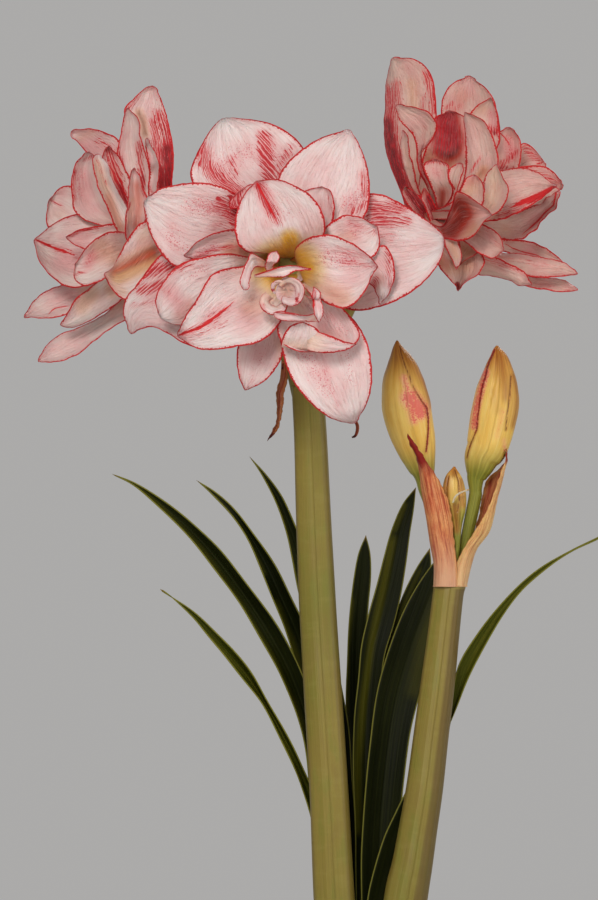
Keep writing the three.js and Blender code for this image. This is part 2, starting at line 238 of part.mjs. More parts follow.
  { name: "left_tepal_up_left", across: 4, points: "-111.7,6.0,660.1 -112.8,5.6,659.1 -113.9,5.6,658.2 -115.0,5.6,657.2 -120.0,22.8,674.4 -121.7,23.9,672.5 -123.3,23.3,670.5 -124.8,20.8,668.4 -126.5,29.1,688.2 -128.8,31.8,685.6 -131.0,31.3,682.8 -132.9,25.3,679.6 -131.5,32.2,701.9 -134.3,35.3,698.7 -136.8,34.9,695.2 -139.1,28.5,691.2 -136.1,29.7,714.5 -138.8,32.9,710.8 -141.3,32.5,706.8 -143.5,26.1,702.4 -146.0,25.6,721.3 -147.8,28.8,717.8 -149.4,28.4,714.1 -150.7,22.0,709.8 -156.8,19.7,723.2 -158.0,22.7,720.2 -158.9,22.4,717.0 -159.6,16.6,713.3 -164.6,16.9,719.5" },
  { name: "left_tepal_inner_up_left", across: 4, points: "-113.4,-6.5,657.1 -112.7,-6.4,657.9 -112.0,-6.0,658.6 -111.2,-5.9,659.4 -128.2,-1.4,661.3 -126.3,1.7,662.5 -124.1,0.9,663.4 -121.8,-5.3,664.1 -142.4,-0.9,665.2 -139.1,4.3,667.1 -135.4,4.0,668.6 -131.5,-3.0,669.8 -155.7,-0.7,669.6 -150.9,5.7,672.3 -145.6,5.4,674.7 -139.9,-3.0,676.4 -162.6,-1.3,680.0 -157.3,4.1,682.0 -151.6,3.8,683.6 -145.6,-4.7,684.6 -163.1,-3.8,692.3 -158.7,0.2,693.0 -154.0,-0.3,693.3 -148.8,-8.8,693.1 -159.6,-6.4,702.7 -156.5,-3.4,702.6 -153.2,-4.1,702.2 -149.4,-12.5,701.1 -152.4,-8.7,706.9" },
  { name: "left_tepal_back", across: 4, points: "-112.9,7.7,657.9 -112.8,7.2,656.8 -112.8,6.9,655.6 -112.8,6.7,654.5 -125.9,21.6,663.0 -126.4,22.2,660.7 -126.8,21.9,658.4 -127.2,20.7,656.1 -137.9,27.9,668.4 -139.0,29.8,664.9 -140.0,29.7,661.4 -140.9,27.5,657.7 -148.0,32.3,676.0 -150.1,35.6,670.9 -152.1,35.5,665.6 -153.9,32.1,660.1 -156.7,32.7,684.0 -160.0,36.9,677.0 -163.1,36.9,669.8 -166.0,32.6,662.3 -164.5,32.4,691.4 -168.9,36.3,683.0 -173.0,36.2,674.3 -176.9,32.4,665.4 -173.4,32.3,688.7 -175.7,35.2,684.3 -177.9,35.2,679.7 -179.8,32.3,674.9 -178.1,32.3,682.7" },
  { name: "left_tepal_left", across: 4, points: "-111.5,1.3,658.7 -111.5,0.9,656.8 -111.5,0.8,654.9 -111.5,0.8,653.0 -123.8,7.9,665.3 -124.3,4.4,658.6 -124.8,2.1,652.1 -125.0,-5.1,645.3 -136.4,11.3,669.8 -137.2,5.4,659.4 -138.0,2.6,649.2 -138.7,-5.1,638.8 -148.5,11.4,673.8 -149.5,2.8,660.1 -150.9,0.3,646.8 -152.0,-8.4,633.2 -160.2,7.3,673.6 -161.8,-0.3,659.6 -163.7,-2.5,645.9 -165.2,-11.2,631.9 -170.4,1.8,669.7 -172.0,-4.3,659.5 -173.8,-6.2,649.5 -175.2,-14.8,639.3 -178.2,-4.6,663.6 -179.1,-8.6,658.7 -180.2,-10.2,653.9 -180.9,-18.6,648.8 -183.5,-10.0,658.0" },
  { name: "left_tepal_low_1", across: 4, points: "-113.8,3.5,653.2 -113.4,3.6,652.1 -113.1,3.7,651.0 -112.7,3.6,649.8 -128.1,12.3,648.6 -126.9,10.1,646.1 -125.8,9.4,643.7 -124.6,6.3,641.1 -141.7,17.3,643.5 -139.8,13.0,639.9 -138.1,11.8,636.4 -136.2,5.6,632.8 -154.6,19.8,638.3 -152.3,14.5,634.0 -150.2,13.0,629.9 -147.8,6.7,625.5 -167.2,18.3,634.7 -164.6,13.4,629.7 -162.2,12.0,624.9 -159.5,5.6,619.8 -178.6,15.3,630.7 -176.0,11.2,625.7 -173.6,9.9,620.8 -170.8,3.5,615.7 -186.6,10.2,623.3 -184.9,7.7,620.5 -183.4,6.6,617.7 -181.5,0.9,614.7 -190.1,3.3,615.6" },
  { name: "left_tepal_low_2", across: 4, points: "-112.3,-6.8,652.6 -111.7,-6.9,651.1 -111.2,-6.9,649.6 -110.6,-6.9,648.1 -123.1,-24.4,647.5 -121.8,-21.3,644.8 -120.4,-20.7,641.9 -119.0,-19.3,639.0 -133.4,-35.7,642.1 -131.4,-30.5,638.4 -129.2,-29.4,634.4 -127.1,-25.4,630.5 -142.8,-40.2,636.1 -140.4,-33.8,631.8 -137.7,-32.5,627.1 -135.2,-28.2,622.6 -151.4,-38.1,629.7 -149.1,-32.6,625.4 -146.5,-31.4,621.0 -144.1,-27.1,616.6 -159.5,-34.5,623.7 -157.3,-30.6,619.7 -155.0,-29.5,615.6 -152.8,-25.3,611.6 -164.1,-29.7,615.9 -163.2,-27.8,613.5 -162.2,-27.1,611.0 -161.4,-23.5,608.6 -168.0,-25.3,610.1" },
  { name: "left_tepal_bottom", across: 4, points: "-113.7,0.1,649.6 -112.2,0.2,648.9 -110.7,0.2,648.2 -109.2,0.2,647.4 -123.8,-4.4,637.8 -121.1,-5.9,635.8 -118.4,-6.4,633.8 -115.6,-9.6,631.8 -134.0,-5.3,626.7 -130.8,-9.4,623.9 -127.7,-10.6,621.3 -124.4,-16.8,618.4 -144.6,-5.3,617.0 -142.1,-9.5,614.7 -139.8,-10.8,612.5 -137.2,-17.2,610.2 -156.7,-5.2,610.4 -154.2,-9.5,607.5 -151.8,-10.8,604.8 -149.1,-17.2,601.9 -168.7,-5.2,605.8 -165.7,-9.5,601.7 -162.9,-10.8,597.7 -159.8,-17.2,593.5 -177.5,-6.1,598.6 -175.4,-9.8,595.6 -173.6,-10.9,592.7 -171.4,-16.7,589.7 -180.9,-15.2,590.5" },
  { name: "left_tepal_near", across: 4, points: "-105.1,-20.8,658.5 -104.4,-20.4,656.3 -103.7,-20.1,654.1 -102.9,-19.9,651.9 -111.2,-42.9,663.8 -109.5,-44.2,656.1 -107.7,-44.4,648.5 -105.9,-47.4,640.7 -119.3,-58.1,665.6 -116.9,-59.5,654.6 -114.5,-60.0,643.5 -111.9,-65.1,632.3 -125.8,-61.6,660.0 -123.4,-63.4,648.4 -121.0,-64.3,636.9 -118.4,-70.6,625.2 -130.4,-63.1,652.9 -129.1,-65.1,642.4 -127.9,-66.0,632.0 -126.5,-71.4,621.5 -133.4,-63.4,645.7 -133.7,-65.5,638.7 -134.0,-66.2,631.7 -134.2,-70.1,624.7 -137.3,-62.1,639.8 -137.9,-64.0,636.8 -138.6,-64.5,633.8 -139.2,-66.4,630.8 -141.6,-63.0,636.5" },
  { name: "left_inner_1", group: "left_inner_tepals", across: 4, points: "-108.00,-10.80,659.59 -107.80,-10.80,657.89 -107.60,-10.80,656.19 -107.40,-10.80,654.49 -121.3,-16.5,661.9 -121.7,-15.6,660.1 -122.0,-15.2,658.2 -122.3,-16.3,656.3 -129.6,-21.1,664.8 -130.2,-19.0,662.1 -130.7,-18.9,659.2 -131.1,-20.9,656.2 -137.8,-26.5,665.8 -138.5,-23.7,662.2 -138.9,-23.7,658.4 -139.3,-26.4,654.5 -146.0,-27.0,665.1 -146.5,-23.8,661.0 -146.9,-23.8,656.6 -147.1,-27.0,652.1 -153.5,-26.7,663.9 -154.1,-23.7,660.1 -154.4,-23.7,656.1 -154.6,-26.7,652.0 -160.0,-26.1,661.4 -160.4,-23.6,659.5 -160.6,-23.6,657.4 -160.7,-26.1,655.1 -164.6,-25.6,658.8" },
  { name: "left_inner_2", group: "left_inner_tepals", across: 4, points: "-107.84,-10.54,659.52 -107.64,-10.54,657.82 -107.44,-10.54,656.12 -107.24,-10.54,654.42 -121.0,-23.2,658.6 -120.9,-22.2,654.8 -120.7,-23.1,650.9 -120.4,-25.7,646.9 -129.5,-35.0,660.2 -129.6,-32.4,654.5 -129.5,-33.1,648.5 -129.3,-37.6,642.4 -137.6,-48.2,660.6 -137.7,-44.2,653.0 -137.6,-44.8,645.1 -137.1,-51.3,636.9 -145.2,-50.8,657.5 -145.5,-45.7,649.5 -145.5,-46.2,641.1 -145.1,-53.7,632.5 -151.2,-50.1,652.4 -152.4,-45.2,645.5 -153.2,-45.6,638.3 -153.6,-52.6,630.8 -155.6,-47.9,646.9 -157.0,-44.0,643.5 -158.1,-44.3,639.9 -158.9,-50.4,636.1 -158.4,-46.3,642.2" },
  { name: "left_inner_3", group: "left_inner_tepals", across: 4, points: "-108.08,-10.89,659.44 -107.88,-10.89,657.74 -107.68,-10.89,656.04 -107.48,-10.89,654.34 -129.1,-40.7,652.7 -127.5,-37.4,654.9 -125.8,-36.6,657.0 -124.3,-32.3,659.3 -135.3,-50.7,660.8 -133.1,-44.3,663.3 -130.6,-42.3,665.5 -128.5,-34.3,668.1 -139.4,-53.7,670.4 -137.2,-46.9,672.5 -134.9,-44.9,674.3 -132.8,-36.4,676.5 -143.3,-51.1,680.0 -141.3,-44.5,681.7 -139.1,-42.6,683.0 -137.2,-34.0,684.8 -147.2,-46.9,689.2 -145.1,-40.5,690.5 -142.8,-38.6,691.5 -140.8,-30.1,693.0 -149.9,-42.2,697.8 -148.0,-36.4,698.7 -145.8,-34.7,699.3 -144.0,-26.3,700.4 -147.5,-34.9,704.1" },
  { name: "left_inner_4", group: "left_inner_tepals", across: 4, points: "-107.92,-10.63,659.36 -107.72,-10.63,657.66 -107.52,-10.63,655.96 -107.32,-10.63,654.26 -123.9,-47.1,651.3 -121.9,-43.6,654.4 -119.7,-43.3,657.4 -117.5,-44.6,660.2 -130.2,-56.2,656.4 -126.7,-49.9,660.0 -122.9,-49.4,663.4 -119.0,-52.9,666.4 -130.3,-58.5,665.3 -126.3,-52.1,668.3 -122.0,-51.7,670.9 -117.6,-55.8,673.2 -129.3,-57.3,674.0 -126.2,-50.9,676.4 -122.8,-50.5,678.2 -119.2,-54.8,679.8 -128.7,-55.3,682.3 -126.5,-48.9,683.9 -124.0,-48.6,685.1 -121.4,-52.9,685.9 -128.4,-52.1,689.9 -126.9,-46.4,690.8 -125.1,-46.1,691.3 -123.2,-50.2,691.5 -126.1,-45.7,695.3" },
  { name: "left_inner_5", group: "left_inner_tepals", across: 4, points: "-108.16,-10.97,659.28 -107.96,-10.97,657.58 -107.76,-10.97,655.88 -107.56,-10.97,654.18 -116.4,-2.3,668.5 -115.2,-2.5,668.8 -113.9,-3.4,669.1 -112.6,-5.1,669.3 -119.3,0.7,677.7 -118.0,0.5,678.1 -116.6,-0.9,678.3 -115.1,-4.4,678.5 -120.5,0.7,686.7 -118.8,0.5,687.1 -117.0,-0.5,687.4 -115.1,-5.9,687.4 -119.9,0.6,695.3 -117.9,0.5,695.6 -115.9,-0.4,695.9 -113.7,-6.7,695.8 -120.3,-4.2,702.9 -118.5,-4.2,703.2 -116.6,-5.1,703.5 -114.5,-11.1,703.4 -121.7,-2.5,710.2 -120.4,-2.5,710.3 -119.1,-3.2,710.5 -117.7,-8.2,710.2 -120.7,-6.8,715.1" },
  { name: "right_tepal_top", across: 4, points: "25.0,30.0,676.8 27.7,30.7,677.3 30.4,32.2,677.8 33.1,34.0,678.3 20.9,43.8,692.4 26.5,40.3,693.3 32.3,41.4,694.5 38.0,42.5,695.8 15.7,55.8,707.0 24.2,46.7,708.5 32.8,46.9,710.7 41.5,46.8,712.8 13.4,62.4,721.6 23.2,50.2,723.5 33.3,49.2,726.4 43.3,46.4,729.1 13.5,63.8,735.4 23.0,52.2,737.9 32.8,50.9,741.4 42.4,48.1,744.8 14.1,63.3,748.1 22.2,53.1,751.1 30.6,51.9,755.1 38.9,50.3,759.0 15.5,60.7,759.1 19.7,53.4,761.1 24.0,52.5,763.6 28.3,51.8,766.3 18.3,56.9,767.1" },
  { name: "right_tepal_top_2", group: "right_tepals_upper", across: 4, points: "28.54,11.94,678.61 29.84,11.94,678.41 31.14,11.94,678.21 32.44,11.94,678.01 34.5,26.4,691.1 39.8,28.4,689.8 45.1,28.2,688.2 50.1,23.4,686.4 40.2,42.1,705.8 48.1,47.5,703.9 55.7,47.8,701.6 63.0,41.0,698.8 44.0,40.2,718.9 54.1,45.4,716.5 64.0,45.5,713.7 73.5,37.3,710.2 45.4,45.6,732.5 56.9,49.5,730.2 68.2,49.4,727.6 79.2,42.0,724.3 47.2,47.9,744.9 57.2,50.0,743.0 67.1,49.8,740.9 76.6,43.8,738.2 54.7,49.5,753.0 60.0,50.4,751.9 65.2,50.1,750.7 70.3,46.1,749.1 62.9,50.5,755.7" },
  { name: "right_tepal_red", group: "right_tepals_upper", across: 4, points: "28.70,12.20,678.99 30.00,12.20,678.79 31.30,12.20,678.59 32.60,12.20,678.39 32.1,11.1,687.0 37.0,12.3,686.0 42.0,12.2,685.0 46.8,10.1,683.8 32.7,16.0,697.4 39.7,18.1,696.1 46.7,18.0,694.6 53.6,14.8,692.9 34.2,19.4,707.2 42.1,22.2,706.1 49.9,22.0,704.8 57.5,18.1,703.1 36.9,21.4,716.2 44.2,24.6,715.5 51.5,24.5,714.6 58.6,20.2,713.4 39.5,21.2,724.3 45.9,24.2,724.1 52.3,24.1,723.6 58.4,20.0,722.8 43.2,19.6,730.7 47.3,22.1,730.9 51.3,22.0,730.8 55.2,18.4,730.4 48.9,18.3,732.0" },
  { name: "right_tepal_inner_top", across: 4, points: "34.3,5.1,675.7 35.8,5.0,675.0 37.3,4.8,674.2 38.8,4.7,673.5 45.4,0.1,678.8 47.9,-2.4,677.8 50.4,-3.3,677.0 52.8,-5.6,676.1 53.8,-3.9,685.8 57.5,-7.8,684.5 61.3,-9.0,683.4 65.0,-14.2,682.0 56.5,-6.2,696.1 62.0,-10.5,694.8 67.6,-11.7,693.8 73.0,-17.1,692.4 56.9,-5.2,706.5 62.8,-9.5,706.0 68.9,-10.7,705.8 74.7,-16.1,705.2 56.5,-3.5,716.4 61.6,-7.7,716.5 66.8,-8.9,717.0 71.8,-14.2,717.0 55.4,-1.7,725.1 58.8,-5.3,725.4 62.4,-6.4,726.0 65.7,-11.1,726.2 58.6,-3.5,730.8" },
  { name: "right_tepal_up_right", group: "right_tepals_outer", across: 4, points: "38.04,9.74,676.71 38.24,9.74,675.41 38.34,9.74,674.11 38.54,9.74,672.81 46.2,15.2,681.1 47.8,16.3,679.8 49.5,16.1,678.4 51.0,14.1,676.8 57.3,19.8,686.5 59.8,21.9,684.9 62.2,21.8,683.0 64.5,18.6,681.0 67.0,24.5,693.5 70.4,27.8,691.8 73.5,27.8,689.9 76.5,23.9,687.7 73.5,25.2,702.3 77.9,29.4,700.6 82.1,29.4,698.6 86.0,25.2,696.3 74.8,25.0,712.5 80.2,28.9,711.0 85.3,28.9,709.2 90.2,24.9,707.1 77.3,25.0,721.1 81.4,27.9,720.3 85.4,27.9,719.1 89.2,24.9,717.7 83.8,25.0,723.9" },
  { name: "right_tepal_back_right", group: "right_tepals_upper", across: 4, points: "28.86,12.46,678.92 30.16,12.46,678.72 31.46,12.46,678.52 32.76,12.46,678.32 48.9,25.7,683.3 49.3,25.0,681.3 49.8,24.4,679.3 50.2,22.3,677.2 61.4,33.9,690.1 62.0,34.6,687.1 62.6,34.2,684.0 63.2,31.9,680.8 72.8,42.5,697.9 73.7,44.0,694.1 74.5,43.8,690.2 75.2,41.6,686.1 82.6,44.0,705.9 83.8,46.1,701.4 84.8,46.0,696.7 85.7,43.8,691.9 89.4,43.9,715.4 91.6,45.9,709.2 93.8,45.8,702.8 95.8,43.8,696.3 98.4,43.6,713.5 100.6,45.0,709.4 102.7,45.0,705.1 104.6,43.2,700.7 103.2,43.2,706.9" },
  { name: "right_tepal_right", across: 4, points: "36.4,-0.0,674.8 36.8,0.1,673.5 37.1,0.0,672.2 37.5,-0.0,670.9 48.6,-11.0,679.4 48.9,-14.8,675.6 49.3,-16.0,672.0 49.6,-19.6,668.1 60.1,-17.4,684.9 60.5,-23.6,678.6 61.0,-25.0,672.8 61.5,-29.8,666.7 69.8,-22.7,692.2 70.7,-30.1,683.6 71.9,-31.7,675.5 72.9,-37.1,667.1 80.7,-24.7,696.6 81.5,-30.9,687.8 82.6,-32.3,679.3 83.6,-36.9,670.7 91.6,-27.4,696.2 91.9,-31.3,689.4 92.4,-32.1,682.8 92.8,-35.0,676.1 100.3,-29.7,691.3 100.4,-31.4,688.1 100.5,-31.8,684.9 100.6,-33.1,681.7 106.9,-24.0,687.1" },
  { name: "right_tepal_right_back", group: "right_tepals_outer", across: 4, points: "38.20,10.00,677.09 38.40,10.00,675.79 38.50,10.00,674.49 38.70,10.00,673.19 49.4,8.4,683.1 49.9,8.9,680.3 50.4,8.7,677.5 50.8,6.8,674.6 61.9,8.0,689.7 62.5,9.1,685.5 63.0,8.9,681.1 63.5,6.8,676.6 74.1,7.3,695.3 74.7,9.0,689.8 75.3,9.0,684.1 75.7,6.8,678.2 86.3,6.8,699.5 86.7,9.0,693.1 87.0,9.0,686.5 87.2,6.8,679.7 98.2,6.9,701.0 98.2,8.8,694.7 98.2,8.8,688.2 98.0,6.8,681.5 107.9,7.2,696.9 107.8,8.7,692.9 107.7,8.7,688.8 107.4,7.1,684.6 112.2,2.8,689.6" },
  { name: "right_tepal_mid_right", group: "right_tepals_outer", across: 4, points: "38.36,10.26,677.02 38.56,10.26,675.72 38.66,10.26,674.42 38.86,10.26,673.12 49.5,3.2,672.2 50.3,1.3,669.6 51.1,0.6,667.2 51.8,-2.4,664.6 62.1,1.2,672.1 63.3,-0.9,668.5 64.6,-1.7,664.9 65.7,-6.0,661.1 74.0,-1.1,672.3 75.8,-3.3,667.7 77.6,-4.2,663.3 79.1,-9.1,658.6 85.3,-1.3,674.0 87.5,-3.5,669.4 89.7,-4.4,664.9 91.7,-9.7,660.1 95.5,-1.6,677.5 97.2,-3.6,674.6 98.9,-4.5,671.8 100.4,-9.5,668.7 103.6,-1.9,682.7 104.9,-3.6,680.9 106.3,-4.3,679.2 107.5,-8.4,677.3 110.0,-3.8,685.8" },
  { name: "right_tepal_low_back", group: "right_tepals_low", across: 4, points: "34.24,14.04,671.71 34.44,14.04,670.11 34.64,14.04,668.61 34.74,14.04,667.11 49.2,16.3,668.8 48.9,17.2,667.1 48.5,17.3,665.3 48.1,15.9,663.5 62.4,20.1,665.0 61.8,21.2,662.8 61.1,21.2,660.6 60.4,19.3,658.2 75.1,23.5,661.5 74.4,24.6,659.3 73.6,24.5,657.1 72.8,22.4,654.7 87.5,24.8,660.4 86.6,25.9,657.8 85.7,25.8,655.1 84.7,23.6,652.2 98.7,24.2,658.0 97.8,25.1,655.4 96.9,25.0,652.7 95.8,23.0,650.0 107.9,23.4,653.0 107.2,23.9,651.3 106.5,23.8,649.6 105.7,22.1,647.8 113.7,23.1,647.5" },
  { name: "right_tepal_low_1", across: 4, points: "35.6,8.3,671.5 35.4,8.7,670.0 35.2,9.1,668.5 35.0,8.9,667.0 49.7,8.3,664.7 49.0,5.9,662.2 48.3,5.6,659.8 47.5,3.6,657.4 63.4,9.0,658.2 62.4,5.4,655.1 61.5,4.6,652.3 60.4,1.1,649.3 76.7,9.1,652.4 75.7,4.9,649.3 74.8,3.9,646.5 73.7,-0.3,643.5 90.5,8.0,651.1 89.2,4.1,647.1 88.2,3.2,643.4 87.0,-0.6,639.5 103.0,4.8,648.9 101.9,1.8,645.0 100.9,1.0,641.3 99.7,-1.9,637.5 113.9,0.9,645.7 113.0,-0.7,643.0 112.2,-1.1,640.5 111.3,-2.8,637.9 120.2,-2.0,639.5" },
  { name: "right_tepal_low_2", group: "right_tepals_low", across: 4, points: "34.40,14.30,672.09 34.60,14.30,670.49 34.80,14.30,668.99 34.90,14.30,667.49 48.3,12.6,660.6 47.8,12.5,659.0 47.4,12.3,657.3 46.8,9.8,655.6 61.9,15.8,652.5 61.4,14.2,650.7 60.8,13.6,649.1 60.2,10.0,647.2 75.4,17.6,645.4 74.8,15.5,643.6 74.3,14.8,642.0 73.6,10.6,640.1 88.8,16.5,640.1 88.2,14.3,638.3 87.7,13.6,636.7 87.0,9.8,634.8 102.0,14.3,638.4 101.3,12.2,636.1 100.7,11.6,633.8 99.9,8.6,631.5 113.7,11.6,636.5 113.0,9.6,634.2 112.5,9.2,631.9 111.8,7.6,629.6 121.0,7.1,630.9" },
  { name: "right_tepal_low_inner", across: 4, points: "34.4,6.4,668.0 33.6,6.2,666.5 32.8,5.1,664.9 32.1,4.6,663.4 44.6,-10.0,661.9 43.3,-10.1,659.4 41.9,-10.6,656.9 40.6,-8.7,654.5 54.5,-22.5,656.1 52.7,-21.7,652.9 50.9,-21.5,649.7 49.2,-17.5,646.6 64.1,-24.6,650.9 62.2,-23.0,647.4 60.3,-22.4,643.9 58.6,-17.3,640.6 74.0,-25.4,647.5 72.2,-24.0,644.3 70.3,-23.4,640.9 68.7,-18.6,637.8 82.6,-25.5,642.9 81.1,-24.6,640.4 79.6,-24.1,637.8 78.2,-20.1,635.4 89.9,-25.1,638.3 88.7,-24.8,636.3 87.5,-24.5,634.2 86.5,-21.9,632.3 93.3,-19.9,632.5" },
  { name: "right_tepal_bottom", across: 4, points: "27.7,8.9,670.4 30.0,9.6,670.4 32.2,7.2,670.3 34.4,5.6,670.2 29.9,-2.5,662.1 34.7,-4.2,663.3 39.5,-5.9,664.5 44.1,-10.1,665.6 32.8,-12.5,654.5 39.6,-15.9,656.5 46.5,-17.8,658.6 53.2,-23.0,660.6 36.7,-20.3,648.0 44.8,-24.4,650.1 53.0,-26.1,652.3 60.9,-32.3,654.3 41.2,-24.9,642.5 49.2,-29.3,643.6 57.3,-30.9,644.8 65.2,-37.6,645.7 45.6,-28.1,637.8 51.0,-32.2,637.7 56.6,-33.6,637.8 61.9,-39.7,637.6 49.0,-31.3,632.9 51.0,-34.3,633.1 53.1,-35.3,633.4 55.0,-40.4,633.5 51.4,-33.7,629.1" },
  { name: "right_inner_1", group: "right_inner_tepals", across: 4, points: "33.04,-2.75,673.61 33.24,-2.75,672.01 33.44,-2.75,670.31 33.64,-2.75,668.61 31.0,-15.4,684.1 32.2,-18.0,684.3 33.4,-18.0,684.7 34.7,-18.9,685.1 29.7,-25.3,694.8 30.7,-27.5,695.1 31.7,-28.1,695.5 32.6,-31.8,695.7 28.5,-32.0,705.2 30.0,-35.1,705.5 31.6,-34.8,706.0 33.1,-39.2,706.1 26.3,-38.8,714.8 30.6,-40.7,714.5 35.0,-41.1,714.3 39.3,-46.1,713.7 20.3,-45.2,722.0 26.5,-44.8,722.4 32.7,-45.2,722.9 38.7,-50.3,722.8 18.8,-48.4,728.5 23.2,-47.0,728.6 27.6,-47.4,728.4 31.8,-52.5,727.8 25.3,-51.0,729.8" },
  { name: "right_inner_2", group: "right_inner_tepals", across: 4, points: "33.20,-2.50,673.99 33.40,-2.50,672.39 33.60,-2.50,670.69 33.80,-2.50,668.99 27.2,-3.1,680.4 28.9,-5.0,680.4 30.7,-5.5,680.5 32.5,-7.4,680.6 24.3,-8.4,688.2 26.5,-10.5,688.3 28.8,-11.0,688.6 31.0,-13.2,688.7 21.6,-12.6,695.7 24.1,-14.8,695.9 26.6,-15.3,696.3 29.1,-17.5,696.5 20.3,-15.9,703.1 22.6,-18.1,703.4 25.0,-18.6,703.7 27.3,-20.8,704.0 19.9,-18.1,710.2 21.7,-20.1,710.4 23.6,-20.6,710.8 25.5,-22.6,711.0 18.0,-19.8,716.3 20.0,-21.3,716.6 22.1,-21.7,716.9 24.1,-23.3,717.2 20.1,-21.3,720.5" },
  { name: "right_inner_3", group: "right_inner_tepals", across: 4, points: "33.36,-2.25,673.92 33.56,-2.25,672.32 33.76,-2.25,670.62 33.96,-2.25,668.92 33.6,-8.5,677.6 36.7,-8.4,677.0 39.7,-9.1,676.3 42.7,-10.9,675.6 33.5,-12.5,684.3 38.0,-11.2,683.2 42.4,-12.1,681.9 46.7,-14.7,680.5 32.1,-17.6,690.6 37.5,-14.8,689.4 42.8,-15.6,688.0 48.0,-18.9,686.5 30.8,-22.2,696.5 37.3,-18.4,695.3 43.7,-19.0,693.7 49.9,-22.6,691.9 33.2,-25.8,700.7 39.2,-21.5,699.8 45.0,-21.9,698.6 50.7,-25.2,697.1 38.5,-27.9,700.9 41.3,-24.1,700.9 43.9,-24.3,700.5 46.5,-26.9,700.0 42.5,-29.6,700.4" },
  { name: "right_inner_4", group: "right_inner_tepals", across: 4, points: "33.12,-2.58,673.84 33.32,-2.58,672.24 33.52,-2.58,670.54 33.72,-2.58,668.84 41.6,-22.3,677.4 42.6,-20.3,677.2 43.6,-20.0,677.0 44.6,-20.1,676.8 45.1,-31.0,683.4 47.1,-28.8,682.8 49.0,-28.5,682.1 50.9,-28.5,681.4 46.3,-36.4,690.1 49.0,-34.2,689.5 51.6,-34.0,688.7 54.3,-34.0,688.0 48.5,-39.0,695.8 51.0,-37.2,695.5 53.3,-36.9,695.1 55.6,-36.9,694.7 52.6,-39.0,698.9" },
  { name: "right_inner_5", group: "right_inner_tepals", across: 4, points: "33.28,-2.33,673.76 33.48,-2.33,672.16 33.68,-2.33,670.46 33.88,-2.33,668.76 41.3,-29.6,675.2 41.7,-26.7,671.4 42.0,-26.7,667.5 42.1,-30.5,663.3 46.0,-44.4,679.5 46.8,-39.2,673.0 47.3,-39.0,666.2 47.5,-45.3,658.9 51.0,-57.0,683.0 52.0,-49.7,674.4 52.7,-49.4,665.4 53.1,-57.6,655.9 56.5,-63.4,679.0 57.6,-55.0,672.1 58.4,-54.7,664.6 58.8,-64.1,656.5 61.6,-65.5,675.2 62.5,-57.6,670.7 63.0,-57.5,665.7 63.1,-66.3,660.1 65.6,-65.7,671.2 66.1,-59.7,669.3 66.3,-59.3,667.1 66.1,-66.6,664.3 68.4,-65.8,667.7" },
  { name: "right_inner_6", group: "right_inner_tepals", across: 4, points: "33.04,-2.67,673.68 33.24,-2.67,672.08 33.44,-2.67,670.38 33.64,-2.67,668.68 45.7,-23.7,674.4 46.8,-20.9,673.6 47.8,-20.9,672.5 48.8,-20.5,671.5 52.1,-33.5,677.5 54.2,-31.0,675.9 56.1,-30.8,674.3 57.9,-32.9,672.4 54.4,-37.2,684.1 57.7,-34.9,682.4 60.9,-34.9,680.6 64.0,-37.9,678.5 57.1,-38.2,689.8 60.1,-36.3,688.8 63.1,-36.3,687.7 65.9,-38.6,686.4 62.0,-37.1,691.3" },
  { name: "right_inner_7", group: "right_inner_tepals", across: 4, points: "33.20,-2.42,673.61 33.40,-2.42,672.01 33.60,-2.42,670.31 33.80,-2.42,668.61 48.6,-36.0,672.9 50.5,-34.5,671.5 52.1,-37.4,669.9 53.7,-39.6,668.3 58.0,-53.2,675.5 61.4,-48.9,673.7 64.5,-49.7,671.5 67.5,-54.0,669.1 63.6,-62.0,682.9 68.5,-55.9,681.4 73.0,-56.1,679.4 77.2,-61.6,677.1 66.3,-63.5,691.5 69.7,-58.6,690.9 72.9,-58.7,689.9 75.8,-63.6,688.5 71.0,-63.6,696.6" },
  { name: "right_inner_8", group: "right_inner_tepals", across: 4, points: "33.36,-2.75,673.99 33.56,-2.75,672.39 33.76,-2.75,670.69 33.96,-2.75,668.99 45.1,-19.7,669.8 44.5,-17.8,667.9 43.7,-21.1,665.6 42.9,-25.1,663.4 52.6,-31.5,668.0 51.8,-28.5,665.3 50.7,-30.1,662.2 49.5,-35.1,659.0 59.7,-42.5,666.2 58.5,-38.9,662.4 57.1,-39.7,658.5 55.4,-45.0,654.2 66.5,-46.2,664.0 64.9,-42.1,659.5 63.1,-42.6,654.7 61.0,-48.1,649.7 72.1,-47.7,660.1 70.6,-43.8,655.8 68.8,-44.1,651.2 66.8,-49.2,646.4 75.2,-47.7,655.0 74.5,-44.8,652.5 73.7,-44.9,649.8 72.6,-49.0,646.9 76.0,-47.5,650.3" },
  { name: "right_inner_9", group: "right_inner_tepals", across: 4, points: "33.12,-2.50,673.92 33.32,-2.50,672.32 33.52,-2.50,670.62 33.72,-2.50,668.92 36.0,-27.7,662.7 37.3,-25.7,663.1 38.5,-25.8,663.2 39.7,-28.4,663.3 40.1,-41.2,655.8 41.9,-39.0,656.3 43.6,-39.2,656.7 45.2,-43.0,656.8 43.9,-49.4,649.5 46.2,-47.3,650.1 48.3,-47.5,650.6 50.2,-51.8,650.9 47.4,-53.6,644.0 49.3,-51.7,644.3 51.0,-51.9,644.4 52.7,-55.4,644.4 50.2,-54.7,639.9" },
];
